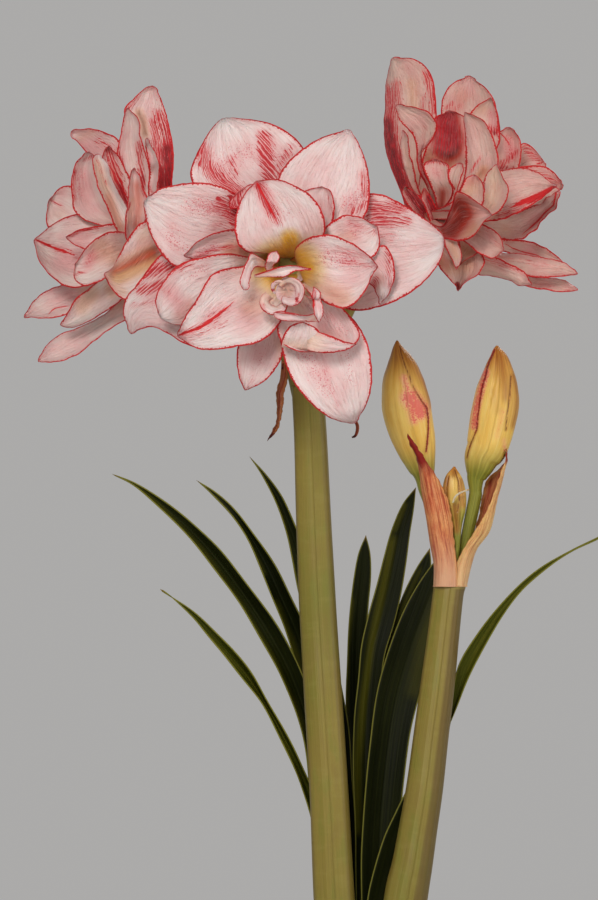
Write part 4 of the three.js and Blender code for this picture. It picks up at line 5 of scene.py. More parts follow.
import bpy
import numpy as np
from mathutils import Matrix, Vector


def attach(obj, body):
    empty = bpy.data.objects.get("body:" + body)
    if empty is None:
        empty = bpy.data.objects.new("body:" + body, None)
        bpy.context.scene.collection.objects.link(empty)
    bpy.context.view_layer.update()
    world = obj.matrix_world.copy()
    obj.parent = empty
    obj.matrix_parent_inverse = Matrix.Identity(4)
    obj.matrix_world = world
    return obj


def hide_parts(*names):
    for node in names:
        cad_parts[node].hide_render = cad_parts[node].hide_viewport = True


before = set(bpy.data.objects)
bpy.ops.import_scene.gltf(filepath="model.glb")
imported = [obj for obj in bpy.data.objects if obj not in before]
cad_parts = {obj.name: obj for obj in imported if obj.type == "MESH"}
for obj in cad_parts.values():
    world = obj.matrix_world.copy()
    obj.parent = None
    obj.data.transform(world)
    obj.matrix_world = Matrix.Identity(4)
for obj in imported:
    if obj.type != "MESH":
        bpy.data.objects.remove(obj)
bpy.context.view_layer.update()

# ---------------------------------------------------------------- point nets (mm)
# name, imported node, points across, rows from base to tip and the tip itself
PETALS = [
    ("front_tepal_top_left", "front_tepal_top_left", 5, "-44.6,-51.0,643.6 -42.7,-51.1,644.1 -40.8,-51.2,644.7 -38.8,-51.5,645.2 -36.9,-52.0,645.7 -51.1,-63.5,652.0 -46.6,-60.9,653.1 -42.1,-60.0,654.1 -37.6,-60.7,655.0 -33.1,-62.7,655.9 -58.1,-70.1,659.9 -51.1,-67.4,661.6 -44.0,-66.5,663.2 -36.9,-67.3,664.7 -29.9,-69.9,666.1 -65.4,-77.1,667.1 -56.0,-74.3,669.5 -46.6,-73.3,671.9 -37.2,-74.1,674.1 -27.9,-76.5,676.2 -73.5,-79.3,673.2 -62.0,-76.3,676.7 -50.5,-75.4,680.1 -39.0,-76.1,683.4 -27.5,-78.1,686.5 -82.8,-80.1,676.6 -69.6,-77.2,681.7 -56.3,-76.2,686.7 -43.1,-76.8,691.6 -29.8,-78.4,696.4 -91.1,-80.3,681.2 -77.0,-77.5,687.3 -62.8,-76.5,693.3 -48.6,-76.9,699.2 -34.4,-77.9,705.0 -94.4,-80.3,689.5 -81.2,-77.5,695.2 -67.8,-76.6,700.7 -54.5,-76.5,706.2 -41.1,-76.3,711.7 -92.0,-76.6,698.2 -81.2,-76.5,702.7 -70.4,-76.5,707.2 -59.6,-76.2,711.7 -48.9,-75.5,716.2 -88.4,-75.2,705.7 -80.5,-75.9,708.8 -72.7,-76.1,712.0 -64.8,-75.7,715.2 -56.9,-74.7,718.5 -84.4,-73.7,712.3 -79.4,-75.0,714.0 -74.5,-75.5,715.8 -69.5,-75.1,717.6 -64.6,-73.9,719.6 -80.4,-72.0,717.6 -78.1,-72.8,718.1 -75.9,-73.0,718.8 -73.6,-72.8,719.4 -71.4,-72.1,720.1 -76.5,-64.9,720.9"),
    ("front_tepal_top_right", "front_tepal_top_right", 5, "-40.2,-54.6,645.6 -38.4,-55.4,645.3 -36.7,-55.8,645.0 -34.9,-56.2,644.7 -33.1,-56.8,644.4 -42.3,-65.5,654.3 -38.0,-64.7,652.9 -33.6,-64.5,651.5 -29.3,-64.9,650.0 -25.0,-66.0,648.5 -44.5,-74.3,662.9 -37.7,-72.4,660.4 -30.8,-71.8,657.9 -24.0,-72.3,655.4 -17.1,-73.9,652.8 -46.9,-85.8,670.8 -37.6,-83.3,667.4 -28.2,-82.5,663.9 -18.9,-83.2,660.3 -9.6,-85.1,656.6 -47.9,-87.5,679.4 -36.7,-84.6,675.3 -25.5,-83.7,671.0 -14.3,-84.4,666.7 -3.2,-86.7,662.2 -46.7,-88.4,687.7 -34.8,-85.4,683.3 -22.9,-84.4,678.8 -11.0,-85.2,674.1 0.9,-87.5,669.4 -42.3,-88.3,694.6 -31.2,-85.5,690.5 -20.1,-84.6,686.2 -9.0,-85.3,681.8 2.1,-87.4,677.4 -36.7,-87.5,700.1 -27.0,-85.3,696.5 -17.3,-84.6,692.8 -7.7,-84.9,689.0 2.0,-86.0,685.2 -30.7,-86.4,704.7 -22.8,-84.9,701.8 -14.9,-84.4,698.7 -7.0,-84.4,695.7 0.9,-84.4,692.6 -24.6,-85.3,708.2 -18.7,-84.3,706.0 -12.8,-83.9,703.8 -7.0,-83.8,701.5 -1.1,-83.3,699.3 -18.5,-84.1,710.5 -14.7,-83.5,709.2 -11.0,-83.3,707.9 -7.2,-83.0,706.6 -3.5,-82.1,705.3 -13.0,-82.5,712.2 -11.3,-82.2,711.7 -9.7,-82.2,711.1 -8.0,-82.1,710.6 -6.3,-81.5,710.1 -8.9,-76.7,713.6"),
    ("front_tepal_right", "front_tepal_right", 5, "-34.2,-53.0,643.5 -34.5,-53.5,642.1 -34.8,-53.7,640.7 -35.0,-53.8,639.4 -35.3,-53.9,638.0 -25.9,-61.4,649.8 -26.4,-61.1,644.8 -26.8,-61.1,639.9 -27.3,-61.6,634.9 -27.7,-62.9,629.9 -18.4,-68.3,656.5 -18.8,-67.4,648.0 -19.2,-67.2,639.6 -19.6,-67.9,631.0 -20.0,-70.0,622.4 -12.5,-73.4,664.4 -12.2,-71.9,652.7 -11.9,-71.5,640.9 -11.6,-72.4,629.1 -11.3,-74.9,617.2 -6.7,-77.3,672.0 -5.3,-75.4,658.1 -4.1,-74.8,644.1 -2.8,-75.8,630.0 -1.5,-78.6,615.9 -0.1,-79.9,678.6 1.9,-77.7,663.6 3.9,-77.0,648.4 5.9,-78.0,633.2 7.8,-81.1,617.9 8.6,-81.5,678.3 10.6,-79.5,664.2 12.6,-78.8,649.9 14.5,-79.8,635.5 16.4,-82.6,621.1 16.6,-82.1,674.8 18.6,-80.7,662.5 20.4,-80.2,650.2 22.3,-81.0,637.8 24.1,-83.2,625.4 23.9,-81.9,670.7 25.7,-81.1,660.8 27.4,-80.9,650.7 29.1,-81.4,640.7 30.7,-82.9,630.6 30.4,-81.0,666.3 31.9,-80.7,658.9 33.3,-80.6,651.4 34.7,-80.9,644.0 36.1,-81.8,636.5 36.3,-79.6,662.1 37.2,-79.7,657.3 38.2,-79.7,652.4 39.1,-79.8,647.6 40.1,-80.1,642.7 40.7,-78.1,657.7 41.1,-78.3,655.5 41.5,-78.3,653.3 41.8,-78.3,651.0 42.2,-78.4,648.8 42.5,-77.2,653.5"),
    ("front_tepal_bottom", "front_tepal_bottom", 5, "-44.0,-59.5,636.6 -42.1,-59.3,636.6 -40.2,-59.3,636.6 -38.3,-59.4,636.6 -36.4,-59.4,636.6 -46.1,-71.7,625.8 -41.8,-69.3,626.7 -37.5,-68.3,627.6 -33.2,-68.5,628.4 -28.8,-69.5,629.2 -46.9,-80.0,615.2 -40.4,-77.4,617.2 -33.9,-76.2,619.1 -27.4,-76.4,620.9 -21.0,-78.1,622.7 -46.5,-86.5,605.1 -38.2,-83.9,608.1 -29.8,-82.6,611.0 -21.5,-82.8,614.0 -13.1,-84.9,616.8 -45.2,-90.7,595.4 -35.4,-88.3,599.2 -25.6,-87.0,603.0 -15.8,-87.5,606.8 -6.1,-90.0,610.4 -42.9,-92.6,586.3 -32.5,-90.1,590.4 -22.0,-89.1,594.6 -11.6,-89.8,598.7 -1.2,-92.6,602.7 -39.3,-93.7,578.0 -29.0,-91.4,582.2 -18.7,-90.5,586.3 -8.5,-91.2,590.4 1.7,-94.0,594.4 -34.3,-94.5,571.0 -24.9,-92.3,574.8 -15.6,-91.5,578.6 -6.3,-92.1,582.4 3.0,-94.3,586.1 -28.7,-92.4,565.0 -20.7,-92.2,568.3 -12.7,-92.0,571.6 -4.8,-92.5,574.8 3.2,-93.9,578.1 -22.7,-90.6,560.2 -16.5,-91.3,562.8 -10.3,-91.4,565.4 -4.1,-91.7,568.1 2.1,-92.4,570.7 -16.4,-87.7,556.9 -12.4,-89.0,558.7 -8.3,-89.4,560.5 -4.2,-89.4,562.4 -0.2,-89.3,564.2 -10.3,-84.1,555.6 -8.6,-84.9,556.4 -6.8,-85.1,557.3 -5.0,-85.0,558.2 -3.2,-84.8,559.1 -5.8,-81.9,555.5"),
    ("front_tepal_bottom_left", "front_tepal_bottom_left", 5, "-47.8,-56.9,636.8 -46.0,-56.6,636.5 -44.3,-56.2,636.2 -42.5,-55.9,636.0 -40.7,-55.8,635.7 -52.0,-66.0,630.5 -49.2,-64.5,629.9 -46.3,-63.8,629.2 -43.5,-64.0,628.5 -40.7,-65.2,627.8 -55.9,-73.4,624.4 -52.2,-71.1,623.4 -48.4,-70.1,622.4 -44.6,-70.5,621.3 -40.8,-72.3,620.2 -59.7,-81.7,618.5 -55.1,-79.1,617.1 -50.4,-78.0,615.8 -45.8,-78.4,614.3 -41.1,-80.0,612.8 -63.2,-83.5,612.8 -57.9,-80.6,611.2 -52.5,-79.5,609.5 -47.1,-79.8,607.7 -41.7,-81.3,605.9 -65.8,-84.7,606.9 -60.1,-81.6,605.1 -54.2,-80.4,603.2 -48.4,-80.8,601.3 -42.6,-82.1,599.3 -67.7,-85.6,601.0 -61.8,-82.3,599.1 -55.9,-81.1,597.1 -50.0,-81.3,595.1 -44.1,-82.3,593.1 -68.9,-86.4,595.2 -63.4,-82.8,593.3 -57.8,-81.6,591.4 -52.2,-81.7,589.4 -46.5,-82.2,587.5 -69.3,-86.9,589.6 -64.5,-83.2,587.9 -59.6,-81.9,586.2 -54.7,-81.8,584.4 -49.8,-81.8,582.6 -68.8,-86.7,584.3 -65.0,-83.0,583.0 -61.2,-81.8,581.5 -57.4,-81.6,580.1 -53.5,-81.1,578.6 -67.7,-85.3,579.6 -65.3,-82.3,578.8 -62.8,-81.2,577.8 -60.3,-80.9,576.9 -57.8,-80.1,576.0 -66.2,-81.6,575.7 -65.1,-80.2,575.3 -64.0,-79.9,574.9 -62.9,-79.9,574.5 -61.9,-79.3,574.1 -64.9,-79.0,573.0"),
    ("front_tepal_left_low", "front_tepal_left_low", 5, "-47.3,-52.0,643.0 -47.0,-52.0,641.8 -46.7,-52.0,640.5 -46.5,-52.2,639.3 -46.2,-52.4,638.1 -59.0,-58.3,644.9 -57.6,-56.9,641.2 -56.1,-56.4,637.5 -54.6,-56.7,633.7 -53.1,-57.8,629.9 -70.5,-62.6,646.7 -67.9,-61.1,640.6 -65.3,-60.5,634.5 -62.6,-61.0,628.4 -59.9,-63.0,622.1 -81.7,-66.1,648.3 -78.0,-64.5,640.0 -74.3,-63.9,631.7 -70.5,-64.8,623.3 -66.7,-67.4,614.8 -92.6,-69.0,649.5 -87.9,-67.4,639.2 -83.2,-66.9,628.8 -78.4,-67.9,618.4 -73.6,-71.2,607.9 -103.2,-71.4,649.8 -97.5,-69.9,637.7 -91.8,-69.3,625.6 -86.0,-70.5,613.4 -80.2,-74.2,601.2 -112.1,-73.6,645.0 -106.0,-72.2,632.8 -99.9,-71.7,620.6 -93.6,-73.0,608.3 -87.3,-77.0,596.0 -118.2,-75.4,637.1 -112.6,-74.1,627.3 -107.0,-73.7,617.5 -101.3,-75.1,607.6 -95.6,-79.4,597.6 -123.9,-74.7,629.6 -118.7,-74.6,622.6 -113.4,-74.6,615.6 -108.1,-76.1,608.6 -102.8,-80.5,601.4 -129.4,-73.8,622.8 -124.5,-74.2,618.4 -119.6,-74.3,614.1 -114.6,-75.7,609.6 -109.5,-80.1,605.1 -130.8,-72.4,615.1 -127.2,-73.3,613.2 -123.6,-73.5,611.2 -120.0,-74.8,609.2 -116.3,-78.6,607.2 -128.6,-71.0,608.4 -127.1,-71.5,607.7 -125.5,-71.6,607.0 -124.0,-72.0,606.3 -122.4,-73.6,605.6 -126.6,-70.0,603.7"),
    ("front_tepal_left", "front_tepal_left", 5, "-46.7,-56.2,645.5 -47.0,-55.6,644.3 -47.3,-55.0,643.1 -47.6,-54.7,641.9 -47.8,-54.8,640.7 -51.4,-72.6,653.1 -53.0,-71.1,650.1 -54.6,-70.1,647.1 -56.1,-70.0,644.1 -57.6,-71.2,640.9 -56.2,-75.0,661.2 -59.0,-72.7,656.4 -61.8,-71.4,651.4 -64.6,-71.5,646.4 -67.3,-73.4,641.3 -61.1,-80.4,668.7 -65.1,-77.5,661.8 -69.0,-76.2,654.8 -72.9,-76.6,647.7 -76.7,-78.8,640.5 -66.4,-85.0,675.7 -71.3,-81.4,666.8 -76.2,-79.9,657.9 -81.0,-80.4,648.8 -85.8,-83.0,639.6 -73.4,-89.0,680.3 -78.8,-85.1,670.1 -84.1,-83.4,659.6 -89.3,-84.0,649.0 -94.5,-86.8,638.4 -81.3,-89.3,683.1 -86.8,-85.7,672.4 -92.2,-84.3,661.6 -97.6,-84.9,650.6 -102.9,-87.4,639.5 -89.3,-88.3,684.3 -94.2,-85.7,674.7 -99.2,-84.7,664.9 -104.0,-85.2,655.0 -108.8,-87.2,645.1 -97.0,-87.2,683.9 -101.0,-85.6,676.0 -105.1,-85.0,667.9 -109.1,-85.3,659.8 -113.1,-86.7,651.7 -104.1,-86.3,682.8 -107.1,-85.5,676.7 -110.2,-85.1,670.7 -113.2,-85.3,664.5 -116.2,-86.1,658.4 -110.5,-85.5,681.1 -112.4,-85.3,677.0 -114.3,-85.2,673.0 -116.1,-85.2,669.0 -118.0,-85.5,664.9 -115.3,-84.7,677.9 -116.2,-84.7,676.1 -117.1,-84.7,674.4 -118.1,-84.7,672.6 -119.0,-84.7,670.8 -118.8,-76.5,675.6"),
    ("front_tepal_inner_left_low", "front_tepal_inner_left_low", 5, "-46.7,-68.7,640.0 -45.4,-67.9,638.8 -44.2,-67.4,637.6 -43.0,-67.3,636.4 -41.8,-67.7,635.1 -54.2,-87.4,640.5 -50.9,-85.4,636.7 -47.6,-84.4,632.9 -44.3,-84.5,629.1 -41.0,-85.7,625.2 -61.6,-97.7,639.6 -56.8,-94.8,633.8 -52.0,-93.5,628.0 -47.2,-93.9,622.1 -42.4,-96.0,616.0 -68.8,-101.3,638.5 -63.2,-97.7,631.1 -57.5,-96.4,623.5 -51.8,-97.3,615.9 -46.1,-100.5,608.1 -75.8,-105.4,637.1 -69.8,-101.2,628.5 -63.8,-99.8,619.7 -57.7,-101.2,610.7 -51.6,-105.3,601.7 -81.9,-108.9,634.0 -76.1,-104.4,625.1 -70.3,-103.0,616.0 -64.4,-104.7,606.8 -58.5,-109.1,597.5 -85.8,-108.7,628.7 -81.0,-104.5,620.8 -76.1,-103.1,612.7 -71.1,-104.6,604.5 -66.2,-108.7,596.2 -88.8,-107.7,623.2 -85.1,-104.0,616.2 -81.3,-102.9,609.2 -77.4,-104.2,602.0 -73.5,-107.7,594.8 -92.1,-106.6,618.1 -89.3,-103.6,612.2 -86.4,-102.6,606.2 -83.5,-103.7,600.1 -80.6,-106.9,594.0 -95.4,-105.4,613.4 -93.4,-103.1,608.8 -91.4,-102.3,604.0 -89.4,-103.3,599.2 -87.3,-105.9,594.3 -97.9,-104.0,608.9 -96.8,-102.6,605.8 -95.6,-102.1,602.7 -94.4,-102.8,599.5 -93.1,-104.7,596.3 -99.8,-100.4,604.8 -99.3,-99.8,603.4 -98.8,-99.6,602.1 -98.3,-99.9,600.8 -97.7,-100.6,599.4 -101.1,-96.2,601.8"),
    ("front_tepal_fold_left", "front_inner_tepals", 5, "-43.7,-57.2,642.2 -42.5,-57.2,642.5 -41.3,-57.2,642.7 -40.1,-57.2,643.0 -38.8,-57.2,643.3 -50.6,-68.0,647.9 -50.4,-66.4,646.5 -50.2,-65.6,645.1 -50.0,-65.1,643.7 -49.8,-64.8,642.3 -56.6,-76.6,652.6 -57.1,-73.7,649.9 -57.6,-72.2,647.2 -58.0,-71.5,644.4 -58.5,-70.7,641.5 -61.5,-82.9,655.4 -62.0,-79.2,652.0 -62.5,-77.7,648.4 -62.9,-77.0,644.8 -63.3,-75.6,641.2 -66.3,-91.0,657.8 -66.8,-86.8,653.7 -67.2,-85.2,649.5 -67.6,-84.5,645.2 -68.0,-82.8,641.0 -71.6,-93.5,659.0 -71.9,-88.8,654.7 -72.1,-87.2,650.2 -72.3,-86.4,645.6 -72.6,-84.5,641.1 -76.8,-95.1,657.8 -76.9,-90.0,653.9 -76.9,-88.3,649.8 -77.0,-87.5,645.6 -77.0,-85.3,641.4 -81.6,-96.1,656.2 -81.6,-90.8,652.8 -81.5,-89.1,649.2 -81.3,-88.3,645.5 -81.2,-86.0,641.9 -86.1,-96.2,654.4 -86.0,-91.2,651.6 -85.7,-89.5,648.5 -85.5,-88.8,645.4 -85.3,-86.7,642.3 -90.1,-95.8,652.2 -89.9,-91.3,649.9 -89.6,-89.8,647.4 -89.3,-89.2,644.9 -89.0,-87.5,642.4 -93.2,-95.0,649.5 -93.1,-91.3,648.0 -92.9,-90.0,646.3 -92.7,-89.6,644.6 -92.4,-88.7,642.9 -95.6,-94.2,646.6 -95.5,-92.4,646.0 -95.4,-91.9,645.3 -95.3,-91.9,644.6 -95.2,-91.6,643.8 -97.2,-93.8,644.5"),
    ("front_tepal_inner_left", "front_tepal_inner_left", 5, "-47.2,-65.9,643.4 -47.1,-65.4,642.2 -47.0,-63.9,641.0 -46.8,-62.6,639.9 -46.7,-62.8,638.6 -56.1,-77.1,644.0 -55.6,-75.4,642.2 -55.2,-74.1,640.5 -54.7,-72.7,638.7 -54.2,-70.7,636.9 -64.7,-86.1,644.9 -63.8,-83.8,642.2 -62.9,-82.6,639.5 -62.1,-81.2,636.8 -61.2,-78.3,634.1 -72.9,-98.3,645.8 -71.5,-95.5,641.9 -70.0,-94.3,637.8 -68.6,-92.9,633.7 -67.2,-89.4,629.8 -81.1,-99.5,644.9 -79.1,-96.4,640.2 -77.0,-95.2,635.3 -75.0,-93.8,630.4 -72.9,-90.1,625.7 -88.9,-100.0,643.2 -86.3,-96.9,637.8 -83.7,-95.8,632.4 -81.0,-94.5,627.0 -78.4,-90.7,621.6 -96.4,-100.3,641.2 -93.2,-97.2,635.3 -90.0,-96.2,629.3 -86.7,-94.8,623.4 -83.6,-91.0,617.5 -102.7,-100.5,637.4 -99.1,-97.4,631.4 -95.5,-96.3,625.3 -91.8,-95.0,619.2 -88.2,-91.2,613.2 -107.1,-100.5,631.9 -103.7,-97.4,626.4 -100.1,-96.4,620.8 -96.6,-95.1,615.2 -93.1,-91.4,609.7 -110.5,-100.2,626.3 -107.5,-97.2,621.7 -104.4,-96.2,617.0 -101.3,-94.9,612.3 -98.3,-91.3,607.7 -112.4,-99.5,620.5 -110.2,-96.7,617.4 -107.9,-95.7,614.3 -105.6,-94.5,611.2 -103.4,-90.9,608.1 -111.4,-98.0,615.4 -110.5,-95.6,614.1 -109.4,-94.9,612.8 -108.4,-93.9,611.4 -107.5,-90.7,610.2 -110.2,-90.2,612.1"),
    ("front_tepal_inner_top", "front_tepal_inner_top", 5, "-44.0,-66.9,644.9 -42.3,-66.9,645.2 -40.7,-68.1,645.4 -39.1,-69.7,645.6 -37.5,-71.2,645.8 -50.2,-81.6,646.3 -45.2,-78.5,646.9 -40.2,-78.3,647.3 -35.2,-81.1,647.6 -30.2,-86.6,647.7 -56.5,-92.5,646.2 -48.5,-87.5,647.9 -40.5,-86.6,649.4 -32.4,-89.3,650.7 -24.4,-95.2,651.8 -62.6,-100.3,646.0 -52.5,-95.1,649.4 -42.2,-93.9,652.5 -32.0,-96.0,655.4 -21.8,-100.6,658.1 -67.6,-105.6,649.1 -56.4,-100.0,653.4 -45.1,-98.5,657.4 -33.9,-100.2,661.2 -22.6,-104.1,664.9 -69.5,-108.3,654.4 -58.6,-102.4,658.9 -47.5,-100.7,663.2 -36.5,-102.1,667.2 -25.4,-105.5,671.1 -69.9,-109.5,660.0 -59.9,-103.8,664.3 -49.9,-102.1,668.4 -39.8,-103.4,672.3 -29.7,-106.6,676.0 -69.3,-109.3,665.4 -60.7,-104.6,669.3 -52.1,-103.1,672.9 -43.5,-104.2,676.3 -34.9,-107.1,679.6 -67.8,-108.4,670.5 -61.0,-104.6,673.7 -54.1,-103.5,676.7 -47.2,-104.3,679.6 -40.3,-106.7,682.3 -65.9,-106.8,675.0 -60.8,-103.9,677.6 -55.8,-102.9,680.0 -50.7,-103.6,682.2 -45.7,-105.6,684.4 -63.5,-104.6,679.0 -60.3,-102.6,680.6 -57.2,-101.9,682.1 -54.0,-102.4,683.5 -50.8,-103.9,684.9 -60.8,-102.6,682.0 -59.4,-101.7,682.6 -58.1,-101.4,683.3 -56.7,-101.6,683.8 -55.4,-102.3,684.4 -58.7,-101.3,684.0"),
    ("front_tepal_inner_right", "front_tepal_inner_right", 5, "-37.5,-73.2,643.0 -36.9,-70.9,641.9 -36.4,-69.0,640.8 -35.8,-67.7,639.6 -35.3,-67.1,638.4 -38.1,-91.1,648.0 -36.9,-86.9,644.0 -35.7,-84.3,639.9 -34.5,-83.6,635.6 -33.2,-85.1,631.3 -34.3,-103.6,651.7 -33.1,-98.2,645.4 -32.0,-95.2,638.9 -30.8,-95.0,632.2 -29.7,-97.9,625.4 -29.2,-113.4,653.7 -28.1,-108.0,645.8 -27.1,-105.3,637.6 -26.0,-105.7,629.3 -25.0,-109.1,620.9 -23.7,-116.1,654.6 -22.7,-110.5,645.6 -21.7,-108.0,636.5 -20.8,-108.8,627.1 -19.9,-113.1,617.7 -18.3,-117.0,654.3 -17.3,-111.4,645.0 -16.2,-109.1,635.5 -15.2,-110.4,625.8 -14.3,-115.2,615.9 -13.3,-117.1,652.8 -12.2,-111.7,644.0 -11.0,-109.7,635.1 -9.9,-111.1,625.9 -8.8,-115.8,616.7 -8.8,-116.4,650.6 -7.7,-111.8,643.2 -6.6,-110.1,635.5 -5.5,-111.3,627.7 -4.5,-115.6,619.8 -4.8,-115.5,648.2 -3.8,-111.6,642.3 -3.0,-110.2,636.3 -2.1,-111.3,630.1 -1.3,-115.0,623.9 -1.1,-113.8,645.7 -0.6,-110.7,641.5 -0.1,-109.6,637.2 0.4,-110.5,632.8 0.8,-113.5,628.3 2.1,-111.3,643.2 2.3,-109.0,640.6 2.5,-108.2,638.0 2.6,-108.9,635.2 2.7,-111.1,632.4 4.4,-108.4,640.6 4.5,-107.4,639.5 4.6,-107.1,638.3 4.6,-107.4,637.2 4.7,-108.4,636.0 6.0,-106.7,638.5"),
    ("front_tepal_square", "front_inner_tepals", 5, "-43.7,-57.2,642.2 -42.5,-57.2,642.5 -41.3,-57.2,642.7 -40.1,-57.2,643.0 -38.8,-57.2,643.3 -38.9,-66.7,649.0 -37.0,-65.5,648.7 -35.0,-65.2,648.3 -33.1,-65.5,647.9 -31.2,-66.4,647.5 -35.6,-73.6,654.8 -33.0,-72.2,654.0 -30.4,-71.7,653.2 -27.8,-72.3,652.3 -25.3,-73.9,651.3 -35.1,-78.9,658.9 -31.9,-77.3,657.9 -28.7,-76.6,656.9 -25.6,-77.1,655.8 -22.5,-79.2,654.7 -34.7,-85.3,662.8 -31.0,-83.7,661.7 -27.4,-83.1,660.6 -23.8,-83.9,659.4 -20.2,-86.8,658.0 -34.4,-87.3,666.8 -30.4,-85.9,665.6 -26.3,-85.3,664.5 -22.3,-86.3,663.2 -18.3,-89.2,661.8 -34.3,-88.6,670.7 -30.0,-87.1,669.6 -25.7,-86.7,668.4 -21.4,-87.7,667.1 -17.1,-91.0,665.7 -34.7,-89.6,674.4 -30.2,-88.1,673.4 -25.7,-87.7,672.2 -21.2,-88.9,670.9 -16.7,-92.3,669.5 -34.4,-90.2,678.0 -30.1,-88.8,677.0 -25.7,-88.3,675.9 -21.4,-89.6,674.6 -17.0,-93.2,673.3 -31.8,-90.5,680.0 -28.3,-89.2,679.3 -24.8,-88.8,678.6 -21.3,-90.0,677.7 -17.9,-93.7,676.7 -28.8,-90.7,681.0 -26.5,-89.6,680.7 -24.2,-89.2,680.4 -21.8,-90.4,680.0 -19.5,-94.1,679.4 -26.1,-90.6,681.4 -25.1,-90.1,681.3 -24.1,-89.8,681.2 -23.1,-90.3,681.1 -22.1,-92.3,680.8 -24.1,-90.6,681.6"),
    ("front_tepal_mid_right", "front_inner_tepals", 5, "-43.7,-57.2,642.2 -42.5,-57.2,642.5 -41.3,-57.2,642.7 -40.1,-57.2,643.0 -38.8,-57.2,643.3 -35.0,-71.9,647.7 -33.6,-71.8,646.2 -32.3,-72.0,644.8 -31.0,-72.6,643.3 -29.6,-73.7,641.8 -28.4,-72.3,653.1 -26.7,-71.8,650.3 -25.1,-71.9,647.4 -23.4,-72.7,644.5 -21.8,-74.0,641.6 -25.2,-80.4,656.6 -23.0,-78.9,652.9 -20.8,-78.6,649.2 -18.6,-79.2,645.4 -16.4,-80.8,641.6 -22.1,-93.1,659.6 -19.4,-91.0,655.1 -16.6,-90.4,650.5 -13.9,-91.0,645.8 -11.2,-92.6,641.1 -18.7,-94.4,662.8 -15.5,-91.9,657.6 -12.4,-91.1,652.3 -9.2,-91.7,646.8 -6.1,-93.2,641.4 -14.8,-95.3,665.2 -11.4,-92.6,659.5 -7.9,-91.7,653.7 -4.5,-92.2,647.9 -1.2,-93.8,641.9 -10.6,-96.1,666.4 -7.1,-93.2,660.8 -3.6,-92.2,655.1 -0.2,-92.7,649.4 3.2,-94.2,643.5 -6.4,-96.4,666.1 -3.3,-93.5,661.5 -0.2,-92.6,656.7 2.9,-93.1,651.9 6.0,-94.5,647.0 -2.7,-96.2,664.9 -0.1,-93.7,661.6 2.4,-92.8,658.1 4.9,-93.3,654.6 7.3,-94.6,651.0 0.6,-95.8,663.3 2.2,-93.7,661.3 3.9,-93.0,659.3 5.5,-93.4,657.1 7.1,-94.5,654.9 3.3,-95.3,661.7 4.0,-94.3,660.9 4.8,-94.0,660.0 5.5,-94.3,659.1 6.2,-94.7,658.2 5.2,-95.1,660.5"),
    ("front_tepal_right_fold", "front_tepal_right_fold", 5, "-32.0,-60.0,639.9 -32.3,-60.3,639.2 -32.6,-60.6,638.5 -32.9,-60.8,637.8 -33.1,-60.8,637.1 -23.6,-71.6,640.6 -24.9,-70.7,639.0 -26.1,-70.7,637.3 -27.4,-71.3,635.5 -28.6,-72.5,633.8 -15.5,-79.9,641.7 -17.7,-78.3,639.0 -19.9,-78.0,636.3 -22.0,-79.1,633.6 -24.2,-81.2,630.8 -7.7,-85.9,643.1 -10.7,-83.7,639.6 -13.7,-83.3,635.9 -16.7,-84.3,632.2 -19.7,-86.6,628.5 -0.3,-89.8,645.1 -4.0,-87.2,640.6 -7.7,-86.6,636.1 -11.4,-87.3,631.4 -15.1,-88.6,626.7 5.5,-92.0,649.6 1.5,-89.1,643.8 -2.5,-88.3,638.0 -6.5,-88.5,632.0 -10.5,-88.7,626.1 10.7,-93.0,649.9 6.6,-90.2,644.3 2.4,-89.4,638.6 -1.9,-89.1,632.9 -6.1,-88.1,627.2 14.2,-92.1,643.9 10.1,-90.6,640.1 6.1,-90.2,636.4 2.0,-89.5,632.6 -2.0,-87.1,628.9 15.5,-90.6,637.4 12.1,-90.6,635.6 8.6,-90.7,633.8 5.1,-89.7,632.0 1.7,-86.7,630.3 15.0,-89.6,631.2 12.3,-90.2,630.3 9.7,-90.3,629.3 7.0,-89.5,628.4 4.4,-87.0,627.6 13.0,-87.9,625.9 11.1,-88.9,625.5 9.2,-89.2,625.0 7.4,-88.7,624.6 5.5,-87.1,624.2 10.0,-86.0,622.0 9.1,-86.5,621.8 8.3,-86.6,621.7 7.5,-86.4,621.5 6.7,-85.8,621.3 7.6,-84.8,619.3"),
